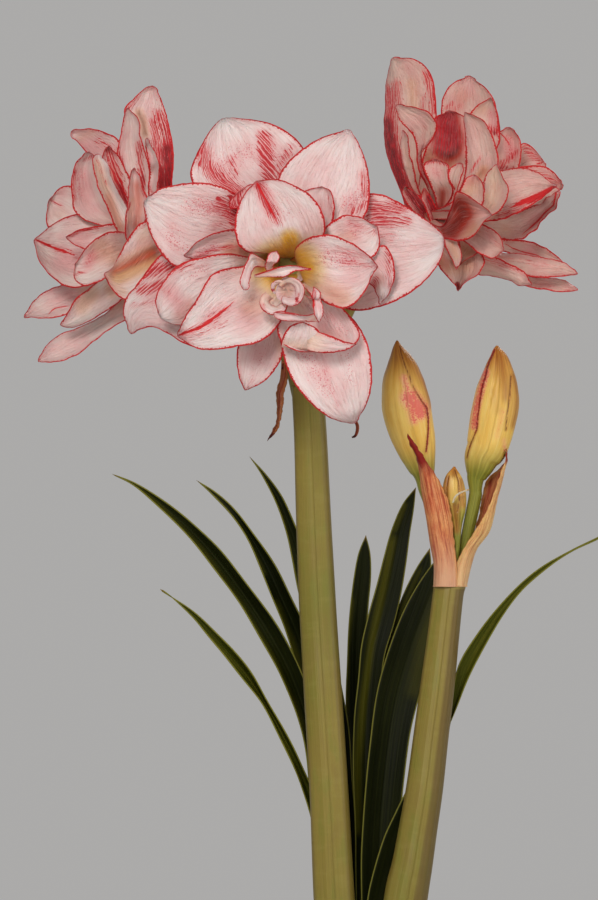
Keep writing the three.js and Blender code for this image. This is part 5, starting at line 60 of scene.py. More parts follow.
    ("front_tepal_speckled", "front_inner_tepals", 5, "-43.7,-57.2,642.2 -42.5,-57.2,642.5 -41.3,-57.2,642.7 -40.1,-57.2,643.0 -38.8,-57.2,643.3 -47.8,-65.9,648.6 -47.0,-65.0,648.8 -46.2,-64.6,649.0 -45.4,-65.0,649.2 -44.6,-66.3,649.3 -51.4,-72.7,654.3 -50.9,-71.3,654.4 -50.3,-70.8,654.6 -49.7,-71.4,654.6 -49.1,-73.5,654.5 -54.4,-77.9,658.5 -53.6,-76.8,658.6 -52.9,-76.4,658.7 -52.1,-77.0,658.7 -51.3,-78.9,658.6 -57.4,-84.3,662.4 -56.4,-83.3,662.5 -55.4,-83.0,662.6 -54.3,-83.5,662.6 -53.3,-85.1,662.6 -60.3,-86.3,666.5 -59.0,-85.5,666.6 -57.7,-85.2,666.7 -56.4,-85.6,666.8 -55.1,-86.9,666.8 -63.8,-87.6,669.8 -61.9,-86.9,670.2 -60.1,-86.6,670.5 -58.2,-86.9,670.7 -56.4,-87.9,671.0 -68.2,-88.7,670.1 -65.5,-88.0,671.4 -62.7,-87.7,672.7 -60.0,-88.0,673.9 -57.2,-88.7,675.1 -72.4,-89.4,669.9 -68.8,-88.8,672.2 -65.3,-88.5,674.5 -61.7,-88.7,676.8 -58.1,-89.3,679.1 -73.4,-89.8,673.5 -69.8,-89.3,675.8 -66.2,-89.1,678.2 -62.5,-89.2,680.5 -58.9,-89.6,682.7 -71.0,-90.0,676.5 -68.8,-89.7,678.2 -66.5,-89.6,679.9 -64.3,-89.6,681.6 -62.1,-89.9,683.2 -68.3,-90.0,678.6 -67.4,-89.9,679.3 -66.5,-89.8,680.1 -65.6,-89.8,680.8 -64.6,-89.9,681.5 -66.3,-90.0,680.0"),
    ("front_tepal_inner_bottom", "front_tepal_inner_bottom", 5, "-44.0,-63.3,635.9 -41.8,-63.0,636.1 -39.6,-63.0,636.2 -37.5,-63.1,636.3 -35.3,-63.2,636.4 -46.3,-71.9,629.7 -42.1,-70.8,630.2 -37.9,-70.6,630.7 -33.6,-71.1,631.2 -29.4,-72.2,631.6 -48.4,-80.3,623.5 -42.2,-78.4,624.4 -36.0,-77.9,625.3 -29.8,-78.7,626.1 -23.7,-80.8,626.9 -48.9,-94.2,617.0 -41.2,-91.6,618.4 -33.6,-90.9,619.6 -25.9,-92.0,620.9 -18.3,-94.9,622.0 -48.3,-98.5,611.1 -39.6,-95.3,612.8 -30.8,-94.4,614.4 -22.0,-95.8,616.0 -13.2,-99.4,617.4 -47.6,-99.7,605.5 -38.0,-96.0,607.4 -28.2,-94.9,609.2 -18.5,-96.6,610.9 -8.9,-101.0,612.5 -46.3,-101.4,600.3 -36.1,-96.8,602.1 -25.9,-95.4,603.9 -15.6,-97.3,605.6 -5.4,-102.3,607.2 -43.1,-102.5,596.2 -33.2,-97.4,597.7 -23.2,-95.8,599.1 -13.2,-97.7,600.4 -3.4,-103.0,601.6 -38.8,-102.5,594.0 -30.7,-97.7,594.9 -22.6,-96.1,595.7 -14.5,-97.8,596.4 -6.4,-102.9,597.0 -34.3,-101.9,593.3 -28.5,-97.6,593.9 -22.7,-96.3,594.3 -17.0,-97.7,594.6 -11.3,-102.1,594.9 -30.0,-101.0,593.3 -26.5,-97.5,593.6 -23.1,-96.4,593.8 -19.6,-97.6,594.0 -16.2,-101.1,594.1 -26.3,-100.1,593.3 -24.8,-98.5,593.4 -23.4,-98.0,593.5 -21.9,-98.5,593.6 -20.5,-100.2,593.6 -23.6,-99.7,593.1"),
    ("left_tepal_top_fold", "left_inner_tepals", 5, "-108.0,-10.8,659.4 -107.8,-10.8,658.1 -107.7,-10.8,656.8 -107.5,-10.8,655.6 -107.4,-10.8,654.3 -117.5,-2.4,665.6 -116.0,-0.5,665.8 -114.5,0.3,666.0 -112.9,-0.1,666.1 -111.3,-1.7,666.1 -125.3,2.7,671.8 -122.8,6.1,673.1 -120.2,7.4,674.3 -117.5,6.7,675.3 -114.6,3.7,676.2 -130.1,5.0,678.4 -127.0,9.3,680.0 -123.8,10.9,681.4 -120.4,9.4,682.5 -116.9,4.4,683.4 -134.0,6.6,685.4 -130.4,11.6,687.1 -126.6,13.5,688.6 -122.6,11.9,689.8 -118.5,6.7,690.8 -136.6,7.0,692.5 -132.6,12.4,694.3 -128.4,14.3,695.8 -124.0,12.7,697.0 -119.5,7.4,697.9 -137.9,6.9,699.6 -134.0,12.1,701.3 -129.8,13.9,702.7 -125.5,12.1,703.8 -121.0,6.8,704.6 -138.2,6.9,706.6 -134.6,11.3,708.1 -130.9,12.9,709.3 -127.0,11.1,710.2 -122.9,5.7,710.8 -137.4,6.9,713.2 -134.5,10.5,714.5 -131.4,11.8,715.5 -128.1,10.0,716.2 -124.8,4.6,716.7 -135.9,6.8,719.3 -133.3,9.6,720.4 -130.6,10.5,721.3 -127.8,8.8,722.0 -124.8,3.5,722.4 -135.1,6.7,724.9 -133.0,8.4,725.8 -130.8,9.0,726.5 -128.6,7.3,727.1 -126.1,2.1,727.3 -133.9,6.6,729.8 -133.0,7.3,730.1 -132.0,7.6,730.4 -130.9,6.9,730.7 -129.8,4.5,730.7 -132.5,6.5,733.1"),
    ("left_tepal_inner_up_left", "left_tepal_inner_up_left", 5, "-113.4,-6.5,657.1 -112.9,-6.4,657.7 -112.3,-6.2,658.2 -111.8,-6.0,658.8 -111.2,-5.9,659.4 -122.5,-2.2,659.7 -121.4,-0.5,660.5 -120.3,0.0,661.2 -119.1,-0.3,661.8 -117.8,-1.3,662.4 -131.3,-1.2,662.1 -129.6,1.9,663.1 -127.8,2.8,664.0 -126.0,1.7,664.8 -124.1,-0.9,665.4 -139.8,-0.9,664.4 -137.5,3.2,665.8 -135.1,4.5,666.9 -132.5,2.9,667.9 -129.8,-2.1,668.7 -147.9,-0.9,667.0 -145.0,4.1,668.7 -142.0,5.7,670.2 -138.7,3.4,671.4 -135.1,-3.5,672.3 -155.8,-0.7,669.6 -152.2,4.7,671.7 -148.3,6.5,673.6 -144.3,4.1,675.2 -139.9,-3.0,676.5 -161.5,-0.8,674.9 -157.4,4.3,676.9 -153.1,6.0,678.6 -148.6,3.6,680.0 -143.8,-3.5,681.1 -162.9,-1.7,682.4 -159.1,2.6,683.7 -155.0,4.1,684.9 -150.8,1.7,685.7 -146.2,-5.5,686.2 -163.3,-3.3,689.5 -159.8,0.3,690.3 -156.2,1.5,690.9 -152.3,-0.8,691.2 -148.1,-8.0,691.2 -162.4,-4.6,696.2 -159.5,-1.5,696.5 -156.5,-0.5,696.6 -153.2,-2.9,696.5 -149.7,-10.0,696.0 -160.1,-6.2,701.9 -157.7,-3.6,701.9 -155.2,-2.7,701.7 -152.5,-5.1,701.3 -149.6,-12.2,700.5 -156.2,-7.6,705.7 -154.8,-6.4,705.6 -153.3,-5.9,705.4 -151.8,-7.2,705.1 -150.0,-11.2,704.6 -152.4,-8.7,706.9"),
    ("left_tepal_back", "left_tepal_back", 5, "-112.9,7.7,657.9 -112.8,7.3,657.1 -112.8,7.0,656.2 -112.8,6.8,655.3 -112.8,6.7,654.5 -120.8,16.4,661.1 -121.0,16.5,659.7 -121.2,16.5,658.3 -121.4,16.1,656.9 -121.6,15.5,655.5 -128.5,23.5,664.0 -129.0,24.3,662.2 -129.4,24.4,660.3 -129.8,23.9,658.3 -130.1,22.7,656.3 -135.8,27.1,667.2 -136.5,28.5,664.8 -137.2,28.9,662.4 -137.8,28.3,659.9 -138.4,26.6,657.3 -142.3,30.1,671.3 -143.4,32.2,668.3 -144.5,32.9,665.1 -145.4,32.0,661.9 -146.3,29.8,658.6 -148.0,32.3,676.1 -149.7,35.1,672.3 -151.2,36.0,668.3 -152.6,35.0,664.3 -153.9,32.1,660.1 -153.2,32.8,680.9 -155.4,36.1,676.3 -157.5,37.2,671.5 -159.4,36.0,666.6 -161.2,32.6,661.6 -158.1,32.7,685.5 -160.9,36.3,680.0 -163.5,37.4,674.3 -165.9,36.2,668.5 -168.2,32.6,662.5 -162.5,32.5,690.1 -165.8,35.9,683.9 -168.9,37.0,677.4 -171.9,35.9,670.8 -174.7,32.4,664.1 -168.0,32.4,691.7 -171.0,35.3,686.1 -173.8,36.3,680.4 -176.5,35.3,674.5 -179.0,32.3,668.5 -172.9,32.3,689.2 -174.8,34.8,685.6 -176.6,35.6,681.9 -178.3,34.8,678.1 -179.9,32.3,674.1 -175.9,32.3,685.4 -176.8,33.5,683.9 -177.6,33.9,682.4 -178.3,33.5,680.8 -179.0,32.3,679.1 -178.1,32.3,682.7"),
    ("left_tepal_left", "left_tepal_left", 5, "-111.5,1.3,658.7 -111.5,1.0,657.3 -111.5,0.9,655.8 -111.5,0.8,654.4 -111.5,0.8,653.0 -119.0,5.3,662.8 -119.2,3.5,659.1 -119.4,2.5,655.6 -119.7,1.7,652.0 -119.9,0.2,648.5 -126.5,8.8,666.5 -126.8,5.5,660.8 -127.3,3.9,655.2 -127.7,2.3,649.7 -128.1,-1.1,644.0 -134.1,10.7,669.1 -134.6,6.2,661.7 -135.2,4.2,654.5 -135.8,1.9,647.3 -136.2,-3.6,640.0 -141.5,12.1,671.4 -142.1,5.7,662.5 -142.9,3.1,653.9 -143.6,0.3,645.2 -144.1,-7.0,636.4 -148.5,11.4,673.8 -149.3,4.1,663.4 -150.3,1.5,653.4 -151.3,-1.1,643.4 -152.1,-8.4,633.2 -155.6,9.3,674.2 -156.6,2.4,663.3 -157.8,-0.1,652.6 -159.0,-2.6,642.0 -160.0,-10.0,631.3 -162.3,6.3,673.2 -163.5,0.1,662.9 -165.0,-2.1,652.9 -166.4,-4.6,642.9 -167.5,-11.9,632.7 -168.3,3.1,670.9 -169.4,-2.4,662.4 -170.9,-4.3,654.1 -172.2,-6.7,645.8 -173.3,-14.0,637.2 -173.4,-0.3,667.7 -174.5,-4.9,661.3 -175.7,-6.5,655.1 -176.9,-8.9,648.9 -177.8,-16.0,642.4 -177.6,-4.0,664.1 -178.4,-7.6,660.1 -179.3,-8.8,656.2 -180.1,-11.2,652.2 -180.6,-18.3,648.0 -181.0,-7.6,660.6 -181.3,-9.2,658.9 -181.7,-9.6,657.2 -182.0,-11.5,655.5 -182.0,-17.7,653.5 -183.5,-10.0,658.0"),
    ("left_tepal_low_1", "left_tepal_low_1", 5, "-113.8,3.5,653.2 -113.5,3.6,652.4 -113.3,3.6,651.5 -113.0,3.7,650.7 -112.7,3.6,649.8 -122.6,9.4,650.5 -121.9,8.2,649.0 -121.3,7.8,647.5 -120.6,7.3,646.0 -120.0,5.6,644.5 -131.1,13.5,647.6 -130.0,11.3,645.5 -129.1,10.5,643.5 -128.1,9.5,641.4 -127.0,6.5,639.3 -139.2,16.4,644.5 -137.9,13.2,641.9 -136.7,12.1,639.4 -135.4,10.4,636.9 -134.0,5.3,634.3 -147.0,18.8,641.2 -145.5,14.7,638.2 -144.0,13.3,635.4 -142.6,11.5,632.6 -141.0,6.2,629.7 -154.7,19.8,638.2 -152.9,15.3,635.0 -151.3,13.8,631.9 -149.7,12.0,628.8 -147.9,6.7,625.5 -162.3,19.2,636.1 -160.3,14.9,632.5 -158.6,13.4,629.0 -156.8,11.6,625.5 -154.8,6.2,621.9 -169.5,17.8,634.2 -167.5,13.8,630.3 -165.6,12.4,626.6 -163.8,10.6,622.8 -161.6,5.2,618.9 -176.3,16.0,632.0 -174.2,12.4,628.1 -172.3,11.2,624.2 -170.4,9.4,620.4 -168.2,4.0,616.4 -181.9,13.9,628.4 -180.0,10.8,625.0 -178.4,9.8,621.8 -176.6,8.0,618.4 -174.7,2.7,615.0 -186.1,10.8,624.0 -184.7,8.5,621.7 -183.5,7.7,619.4 -182.2,6.0,617.1 -180.7,0.8,614.7 -188.6,6.2,619.2 -188.0,5.3,618.2 -187.4,5.1,617.2 -186.8,4.4,616.2 -186.1,2.0,615.2 -190.1,3.3,615.6"),
    ("left_tepal_low_2", "left_tepal_low_2", 5, "-112.3,-6.8,652.6 -111.9,-6.9,651.5 -111.5,-6.9,650.4 -111.0,-6.9,649.3 -110.6,-6.9,648.1 -118.9,-18.1,649.5 -118.2,-16.4,647.8 -117.3,-15.9,646.1 -116.5,-15.7,644.3 -115.7,-15.0,642.5 -125.4,-27.0,646.5 -124.3,-23.9,644.3 -123.1,-22.9,641.9 -121.9,-22.4,639.5 -120.7,-21.0,637.2 -131.5,-33.6,643.2 -130.2,-29.5,640.6 -128.6,-28.2,637.7 -127.1,-27.1,634.9 -125.7,-23.8,632.1 -137.3,-38.7,639.7 -135.7,-33.7,636.7 -133.9,-32.1,633.5 -132.1,-30.9,630.2 -130.4,-27.4,627.1 -142.9,-40.2,636.1 -141.1,-34.8,632.8 -139.1,-33.0,629.4 -137.1,-31.8,626.0 -135.2,-28.2,622.6 -148.0,-39.3,632.3 -146.3,-34.2,629.0 -144.3,-32.5,625.6 -142.3,-31.3,622.2 -140.5,-27.7,618.8 -153.0,-37.5,628.6 -151.3,-33.0,625.4 -149.4,-31.6,622.1 -147.5,-30.4,618.8 -145.8,-26.7,615.6 -157.9,-35.3,625.2 -156.2,-31.7,622.1 -154.4,-30.5,618.9 -152.5,-29.3,615.7 -150.8,-25.7,612.6 -161.2,-33.0,620.9 -159.9,-30.2,618.3 -158.5,-29.3,615.6 -157.1,-28.1,612.9 -155.8,-24.6,610.2 -163.7,-30.1,616.5 -162.9,-28.4,614.6 -162.1,-27.8,612.6 -161.4,-26.7,610.6 -160.7,-23.3,608.7 -166.2,-27.2,612.8 -165.9,-26.5,611.9 -165.6,-26.3,610.9 -165.3,-25.8,609.9 -165.0,-24.4,609.0 -168.0,-25.3,610.1"),
    ("left_tepal_bottom", "left_tepal_bottom", 5, "-113.7,0.1,649.6 -112.6,0.2,649.1 -111.4,0.2,648.5 -110.3,0.2,648.0 -109.2,0.2,647.4 -119.9,-3.1,642.4 -118.1,-3.8,641.2 -116.4,-4.1,640.1 -114.6,-4.6,638.9 -112.9,-6.3,637.7 -126.0,-5.6,635.3 -123.8,-7.1,633.7 -121.6,-7.6,632.1 -119.5,-8.6,630.5 -117.2,-11.7,628.7 -132.1,-5.4,628.7 -129.7,-8.7,626.7 -127.3,-9.8,624.7 -125.0,-11.5,622.7 -122.4,-16.6,620.6 -138.2,-5.3,622.3 -136.0,-8.8,620.4 -133.9,-10.0,618.5 -131.7,-11.7,616.6 -129.5,-17.0,614.6 -144.7,-5.3,616.9 -142.8,-8.9,615.2 -141.1,-10.0,613.5 -139.3,-11.8,611.9 -137.3,-17.2,610.1 -151.8,-5.2,612.7 -150.0,-8.8,610.9 -148.3,-10.0,609.1 -146.5,-11.8,607.3 -144.6,-17.3,605.4 -159.0,-5.2,609.5 -157.0,-8.8,607.1 -155.1,-10.0,604.8 -153.2,-11.8,602.5 -151.1,-17.2,600.1 -166.1,-5.2,607.1 -163.8,-8.8,604.0 -161.7,-10.0,601.1 -159.6,-11.8,598.1 -157.2,-17.2,595.0 -172.2,-5.3,603.6 -170.1,-8.9,600.6 -168.1,-10.1,597.6 -166.1,-11.8,594.7 -163.8,-17.2,591.6 -177.0,-5.6,599.3 -175.3,-9.0,596.9 -173.8,-10.1,594.5 -172.2,-11.9,592.2 -170.4,-17.0,589.8 -179.6,-11.0,594.4 -178.8,-12.4,593.3 -178.1,-12.8,592.2 -177.4,-13.5,591.1 -176.5,-15.9,590.0 -180.9,-15.2,590.5"),
    ("left_tepal_near", "left_tepal_near", 5, "-105.1,-20.8,658.5 -104.6,-20.5,656.8 -104.0,-20.2,655.2 -103.5,-20.0,653.5 -102.9,-19.9,651.9 -108.7,-34.5,661.9 -107.6,-35.6,657.6 -106.5,-35.8,653.4 -105.5,-36.2,649.1 -104.3,-37.7,644.8 -112.8,-46.3,664.6 -111.4,-47.4,658.1 -110.0,-47.6,651.7 -108.5,-48.4,645.3 -107.0,-51.4,638.7 -117.7,-56.1,665.7 -116.0,-57.4,657.7 -114.3,-57.6,649.8 -112.5,-58.7,641.8 -110.7,-62.7,633.7 -122.5,-60.1,663.9 -120.5,-61.5,655.3 -118.6,-61.8,646.7 -116.7,-63.3,638.1 -114.6,-68.1,629.3 -125.9,-61.6,659.9 -124.0,-63.2,651.2 -122.3,-63.6,642.6 -120.4,-65.3,634.0 -118.5,-70.6,625.2 -128.7,-62.7,655.8 -127.3,-64.3,647.4 -126.0,-64.8,639.1 -124.6,-66.4,630.7 -123.0,-71.4,622.2 -131.1,-63.3,651.5 -130.4,-65.0,644.0 -129.7,-65.6,636.6 -129.0,-66.9,629.1 -128.2,-71.3,621.5 -132.8,-63.5,647.3 -132.8,-65.3,641.3 -132.8,-65.8,635.4 -132.8,-67.0,629.4 -132.7,-70.6,623.4 -134.7,-63.1,643.4 -135.0,-64.8,639.2 -135.4,-65.3,635.1 -135.8,-66.2,631.0 -136.1,-69.0,626.7 -136.9,-62.3,640.2 -137.4,-63.9,637.7 -137.9,-64.4,635.2 -138.4,-65.0,632.8 -138.8,-66.7,630.3 -139.6,-61.6,638.0 -139.8,-63.0,636.9 -140.1,-63.5,635.8 -140.4,-63.8,634.8 -140.6,-64.5,633.8 -141.6,-63.0,636.5"),
    ("left_inner_1", "left_inner_tepals", 5, "-108.0,-10.8,659.4 -107.8,-10.8,658.1 -107.7,-10.8,656.8 -107.5,-10.8,655.6 -107.4,-10.8,654.3 -116.1,-14.3,660.9 -116.2,-13.8,659.6 -116.4,-13.5,658.3 -116.4,-13.6,656.9 -116.5,-14.1,655.5 -122.8,-23.6,662.3 -123.1,-22.6,660.8 -123.4,-22.0,659.3 -123.7,-22.2,657.7 -123.9,-23.4,656.0 -127.8,-24.5,664.2 -128.2,-22.9,662.3 -128.6,-22.3,660.3 -129.0,-22.7,658.2 -129.3,-24.3,656.1 -132.8,-26.0,665.3 -133.3,-24.0,663.0 -133.8,-23.3,660.6 -134.1,-23.9,658.1 -134.4,-25.9,655.5 -137.9,-26.5,665.8 -138.4,-24.2,663.1 -138.8,-23.4,660.3 -139.1,-24.1,657.4 -139.3,-26.5,654.5 -142.8,-26.9,665.6 -143.2,-24.3,662.7 -143.6,-23.4,659.6 -143.9,-24.2,656.5 -144.1,-26.8,653.2 -147.4,-27.0,664.8 -147.8,-24.3,661.7 -148.2,-23.4,658.5 -148.4,-24.3,655.2 -148.5,-27.0,651.7 -151.9,-26.9,664.2 -152.3,-24.2,661.2 -152.6,-23.4,658.1 -152.8,-24.2,654.9 -153.0,-26.8,651.7 -156.0,-26.5,663.2 -156.4,-24.1,660.8 -156.7,-23.3,658.2 -156.9,-24.1,655.5 -157.0,-26.5,652.8 -159.5,-26.2,661.7 -159.9,-24.0,660.1 -160.1,-23.3,658.4 -160.3,-24.0,656.6 -160.3,-26.1,654.8 -162.5,-25.8,660.0 -162.6,-24.8,659.3 -162.7,-24.4,658.6 -162.8,-24.8,657.9 -162.8,-25.8,657.1 -164.6,-25.6,658.8"),
    ("left_inner_2", "left_inner_tepals", 5, "-108.0,-10.8,659.4 -107.8,-10.8,658.1 -107.7,-10.8,656.8 -107.5,-10.8,655.6 -107.4,-10.8,654.3 -115.9,-18.3,658.9 -115.8,-17.7,656.7 -115.7,-17.8,654.4 -115.6,-18.5,652.1 -115.4,-19.8,649.8 -122.8,-26.1,658.9 -122.8,-24.9,655.8 -122.7,-24.9,652.6 -122.6,-26.1,649.3 -122.4,-28.6,646.0 -127.9,-33.2,659.9 -128.0,-31.2,655.9 -128.0,-30.8,651.8 -127.9,-32.2,647.6 -127.7,-35.8,643.3 -132.7,-42.8,660.7 -132.8,-40.0,655.7 -132.8,-39.3,650.6 -132.7,-41.1,645.4 -132.5,-45.5,640.0 -137.6,-48.2,660.6 -137.7,-44.8,654.9 -137.7,-43.8,649.0 -137.5,-45.8,643.0 -137.2,-51.3,636.9 -142.4,-50.2,659.1 -142.5,-46.2,653.1 -142.5,-44.9,647.0 -142.3,-47.1,640.6 -141.9,-53.3,634.1 -146.4,-51.0,656.6 -146.8,-46.6,650.7 -147.0,-45.2,644.6 -147.0,-47.4,638.4 -146.7,-53.8,631.9 -150.0,-50.5,653.6 -150.7,-46.2,648.2 -151.2,-44.9,642.5 -151.5,-47.0,636.7 -151.6,-53.1,630.8 -153.0,-49.3,650.6 -154.1,-45.5,646.2 -155.0,-44.3,641.6 -155.7,-46.2,636.9 -156.2,-51.9,632.0 -155.3,-48.1,647.3 -156.4,-44.7,644.6 -157.4,-43.6,641.7 -158.2,-45.4,638.7 -158.8,-50.6,635.5 -157.1,-47.0,644.4 -157.6,-45.4,643.2 -158.1,-44.7,642.0 -158.5,-45.6,640.7 -158.7,-48.2,639.4 -158.4,-46.3,642.2"),
    ("left_inner_4", "left_inner_tepals", 5, "-108.0,-10.8,659.4 -107.8,-10.8,658.1 -107.7,-10.8,656.8 -107.5,-10.8,655.6 -107.4,-10.8,654.3 -117.5,-38.8,654.0 -116.5,-37.7,655.0 -115.5,-37.3,655.9 -114.4,-37.4,656.7 -113.4,-38.1,657.6 -125.9,-47.8,651.6 -124.1,-45.5,654.1 -122.3,-44.7,656.6 -120.4,-45.0,659.0 -118.4,-46.3,661.3 -129.7,-54.8,654.8 -127.3,-49.9,657.6 -124.8,-48.1,660.3 -122.1,-49.0,662.8 -119.3,-52.0,665.2 -130.7,-57.7,660.0 -127.7,-52.3,662.6 -124.6,-50.5,665.0 -121.3,-51.5,667.1 -118.0,-54.7,669.1 -130.3,-58.5,665.4 -127.3,-53.1,667.6 -124.2,-51.2,669.7 -121.0,-52.3,671.5 -117.6,-55.8,673.2 -129.7,-58.0,670.6 -127.1,-52.6,672.6 -124.3,-50.7,674.3 -121.4,-51.8,675.8 -118.4,-55.4,677.2 -129.1,-57.0,675.6 -127.0,-51.5,677.3 -124.6,-49.7,678.7 -122.1,-50.9,680.0 -119.5,-54.4,681.0 -128.7,-55.8,680.4 -127.0,-50.4,681.8 -125.1,-48.6,682.9 -123.1,-49.8,683.8 -120.9,-53.3,684.5 -128.5,-54.5,685.0 -127.1,-49.2,686.1 -125.5,-47.4,686.9 -123.7,-48.5,687.5 -121.9,-52.0,688.0 -128.4,-52.8,689.2 -127.2,-47.6,690.1 -125.9,-45.9,690.6 -124.5,-47.0,691.0 -122.9,-50.4,691.1 -127.6,-48.6,693.0 -127.0,-46.3,693.3 -126.3,-45.5,693.5 -125.5,-46.3,693.6 -124.7,-48.7,693.5 -126.1,-45.7,695.3"),
    ("left_inner_5", "left_inner_tepals", 5, "-108.0,-10.8,659.4 -107.8,-10.8,658.1 -107.7,-10.8,656.8 -107.5,-10.8,655.6 -107.4,-10.8,654.3 -113.1,-5.6,664.9 -112.5,-5.7,664.6 -111.9,-5.9,664.2 -111.3,-6.4,663.8 -110.6,-7.3,663.4 -117.2,-0.9,670.5 -116.3,-1.1,670.7 -115.3,-1.5,670.9 -114.3,-2.4,671.1 -113.2,-4.3,671.3 -118.9,0.8,676.0 -117.9,0.6,676.3 -116.9,0.2,676.5 -115.8,-1.2,676.7 -114.7,-4.0,676.8 -120.0,0.7,681.4 -119.0,0.6,681.7 -117.9,0.2,682.0 -116.8,-1.3,682.1 -115.7,-5.0,682.2 -120.5,0.7,686.7 -119.2,0.6,687.0 -117.9,0.4,687.3 -116.6,-1.3,687.5 -115.1,-5.9,687.4 -120.2,0.7,691.9 -118.7,0.6,692.2 -117.2,0.4,692.4 -115.7,-1.4,692.6 -114.0,-6.5,692.4 -119.8,-0.1,696.8 -118.3,-0.2,697.1 -116.9,-0.3,697.3 -115.3,-2.1,697.5 -113.7,-7.5,697.3 -120.1,-4.0,701.2 -118.6,-4.1,701.4 -117.2,-4.1,701.7 -115.6,-5.9,701.8 -114.0,-11.1,701.7 -120.9,-3.1,705.6 -119.6,-3.1,705.8 -118.3,-3.1,706.0 -117.0,-4.7,706.1 -115.6,-9.5,706.0 -121.6,-2.9,709.6 -120.6,-2.9,709.7 -119.6,-2.9,709.9 -118.6,-4.4,709.9 -117.4,-8.7,709.7 -121.7,-6.3,712.8 -121.1,-6.3,712.8 -120.5,-6.2,712.9 -119.9,-6.8,712.9 -119.2,-8.9,712.7 -120.7,-6.8,715.1"),
    ("right_tepal_top", "right_tepal_top", 5, "25.0,30.0,676.8 27.0,30.5,677.2 29.0,31.5,677.5 31.0,32.7,677.9 33.1,34.0,678.3 22.8,38.5,686.4 26.1,36.9,686.9 29.4,37.2,687.5 32.8,38.4,688.2 36.2,39.1,688.9 19.7,46.3,695.5 24.4,42.5,696.2 29.2,42.2,697.2 34.1,43.3,698.4 38.9,43.6,699.4 16.6,53.2,704.3 22.6,46.7,705.2 28.7,45.5,706.6 34.8,46.4,708.2 41.0,46.1,709.7 14.3,59.7,713.1 21.2,50.1,714.2 28.3,47.7,715.9 35.4,48.0,717.8 42.5,46.7,719.6 13.4,62.5,721.7 20.7,52.1,723.1 28.2,49.2,725.0 35.8,48.9,727.2 43.3,46.4,729.2 13.3,63.6,730.0 20.6,53.4,731.6 28.0,50.4,733.8 35.4,49.9,736.3 42.8,47.3,738.6 13.7,63.9,737.9 20.7,54.2,739.7 27.8,51.3,742.3 35.0,50.8,745.0 42.2,48.6,747.6 14.0,63.6,745.3 20.4,54.6,747.4 27.0,51.8,750.2 33.7,51.5,753.2 40.3,50.0,756.0 14.4,62.7,752.1 19.6,54.7,754.2 24.9,52.2,756.9 30.3,51.9,759.8 35.7,50.9,762.5 15.3,61.1,758.3 18.7,54.6,759.8 22.2,52.5,761.8 25.7,52.3,763.9 29.3,51.7,766.0 16.8,58.4,763.4 18.3,55.6,764.1 19.8,54.8,765.0 21.4,54.8,765.9 22.9,54.5,766.8 18.3,56.9,767.1"),
    ("right_tepal_top_2", "right_tepals_upper", 5, "28.7,12.2,678.8 29.7,12.2,678.6 30.6,12.2,678.5 31.6,12.2,678.3 32.6,12.2,678.2 32.2,21.0,686.3 35.1,22.0,685.6 37.9,22.4,684.9 40.7,21.6,684.0 43.4,19.1,683.1 35.6,27.9,694.1 40.1,30.1,693.0 44.5,30.9,691.7 48.8,29.6,690.3 53.0,25.2,688.7 39.4,44.4,703.5 44.9,48.1,702.1 50.4,49.7,700.6 55.8,48.3,698.8 61.0,42.8,696.8 42.1,42.2,711.2 48.7,46.7,709.8 55.1,48.6,708.0 61.4,46.8,706.0 67.4,40.2,703.7 44.0,39.7,719.0 51.6,44.0,717.2 59.2,45.8,715.3 66.5,43.8,713.0 73.5,36.8,710.3 45.4,43.8,727.1 53.9,47.6,725.3 62.2,49.2,723.3 70.4,47.2,721.0 78.3,40.5,718.3 45.4,46.1,734.9 54.0,49.0,733.3 62.5,50.2,731.5 71.0,48.3,729.5 79.1,42.3,727.0 46.3,47.5,742.2 54.3,49.5,740.8 62.2,50.3,739.2 70.0,48.7,737.3 77.5,43.4,735.2 49.3,48.5,748.4 55.9,49.9,747.2 62.4,50.5,745.9 68.9,49.0,744.4 75.2,44.5,742.7 53.9,49.3,752.6 58.3,50.2,751.8 62.6,50.5,750.8 66.9,49.4,749.7 71.0,45.9,748.4 59.1,50.0,754.6 60.9,50.4,754.2 62.8,50.6,753.7 64.6,50.2,753.3 66.3,48.5,752.6 62.9,50.5,755.7"),
    ("right_tepal_up_right", "right_tepals_outer", 5, "38.2,10.0,676.9 38.3,10.0,675.9 38.5,10.0,674.9 38.6,10.0,674.0 38.7,10.0,673.0 43.0,13.1,679.5 43.9,13.7,678.5 44.7,13.9,677.5 45.4,13.5,676.5 46.2,12.4,675.4 48.6,16.3,682.2 50.0,17.4,681.1 51.4,17.8,680.0 52.7,17.1,678.8 53.9,15.1,677.5 55.3,19.1,685.4 57.1,20.7,684.2 58.8,21.3,682.9 60.5,20.4,681.5 62.1,17.8,680.0 61.5,21.9,689.3 63.6,24.1,688.0 65.7,24.8,686.6 67.8,23.8,685.1 69.7,20.9,683.5 67.1,24.5,693.6 69.6,27.3,692.3 72.0,28.3,691.0 74.4,27.2,689.4 76.6,24.0,687.7 71.6,25.1,698.4 74.5,28.5,697.2 77.3,29.7,695.9 80.0,28.5,694.3 82.6,25.0,692.6 73.9,25.2,704.2 77.5,28.8,703.0 80.9,30.0,701.6 84.2,28.8,700.0 87.4,25.2,698.1 74.6,25.1,710.2 78.6,28.5,709.1 82.6,29.6,707.8 86.3,28.5,706.2 89.9,25.0,704.5 74.9,25.0,715.9 78.9,28.0,714.9 82.8,29.0,713.8 86.6,27.9,712.5 90.3,24.8,711.0 76.8,25.0,720.6 80.1,27.5,719.9 83.4,28.3,719.1 86.5,27.5,718.1 89.5,24.9,716.9 80.6,25.0,723.0 82.2,26.2,722.7 83.7,26.6,722.3 85.2,26.2,721.8 86.6,25.0,721.3 83.8,25.0,723.9"),
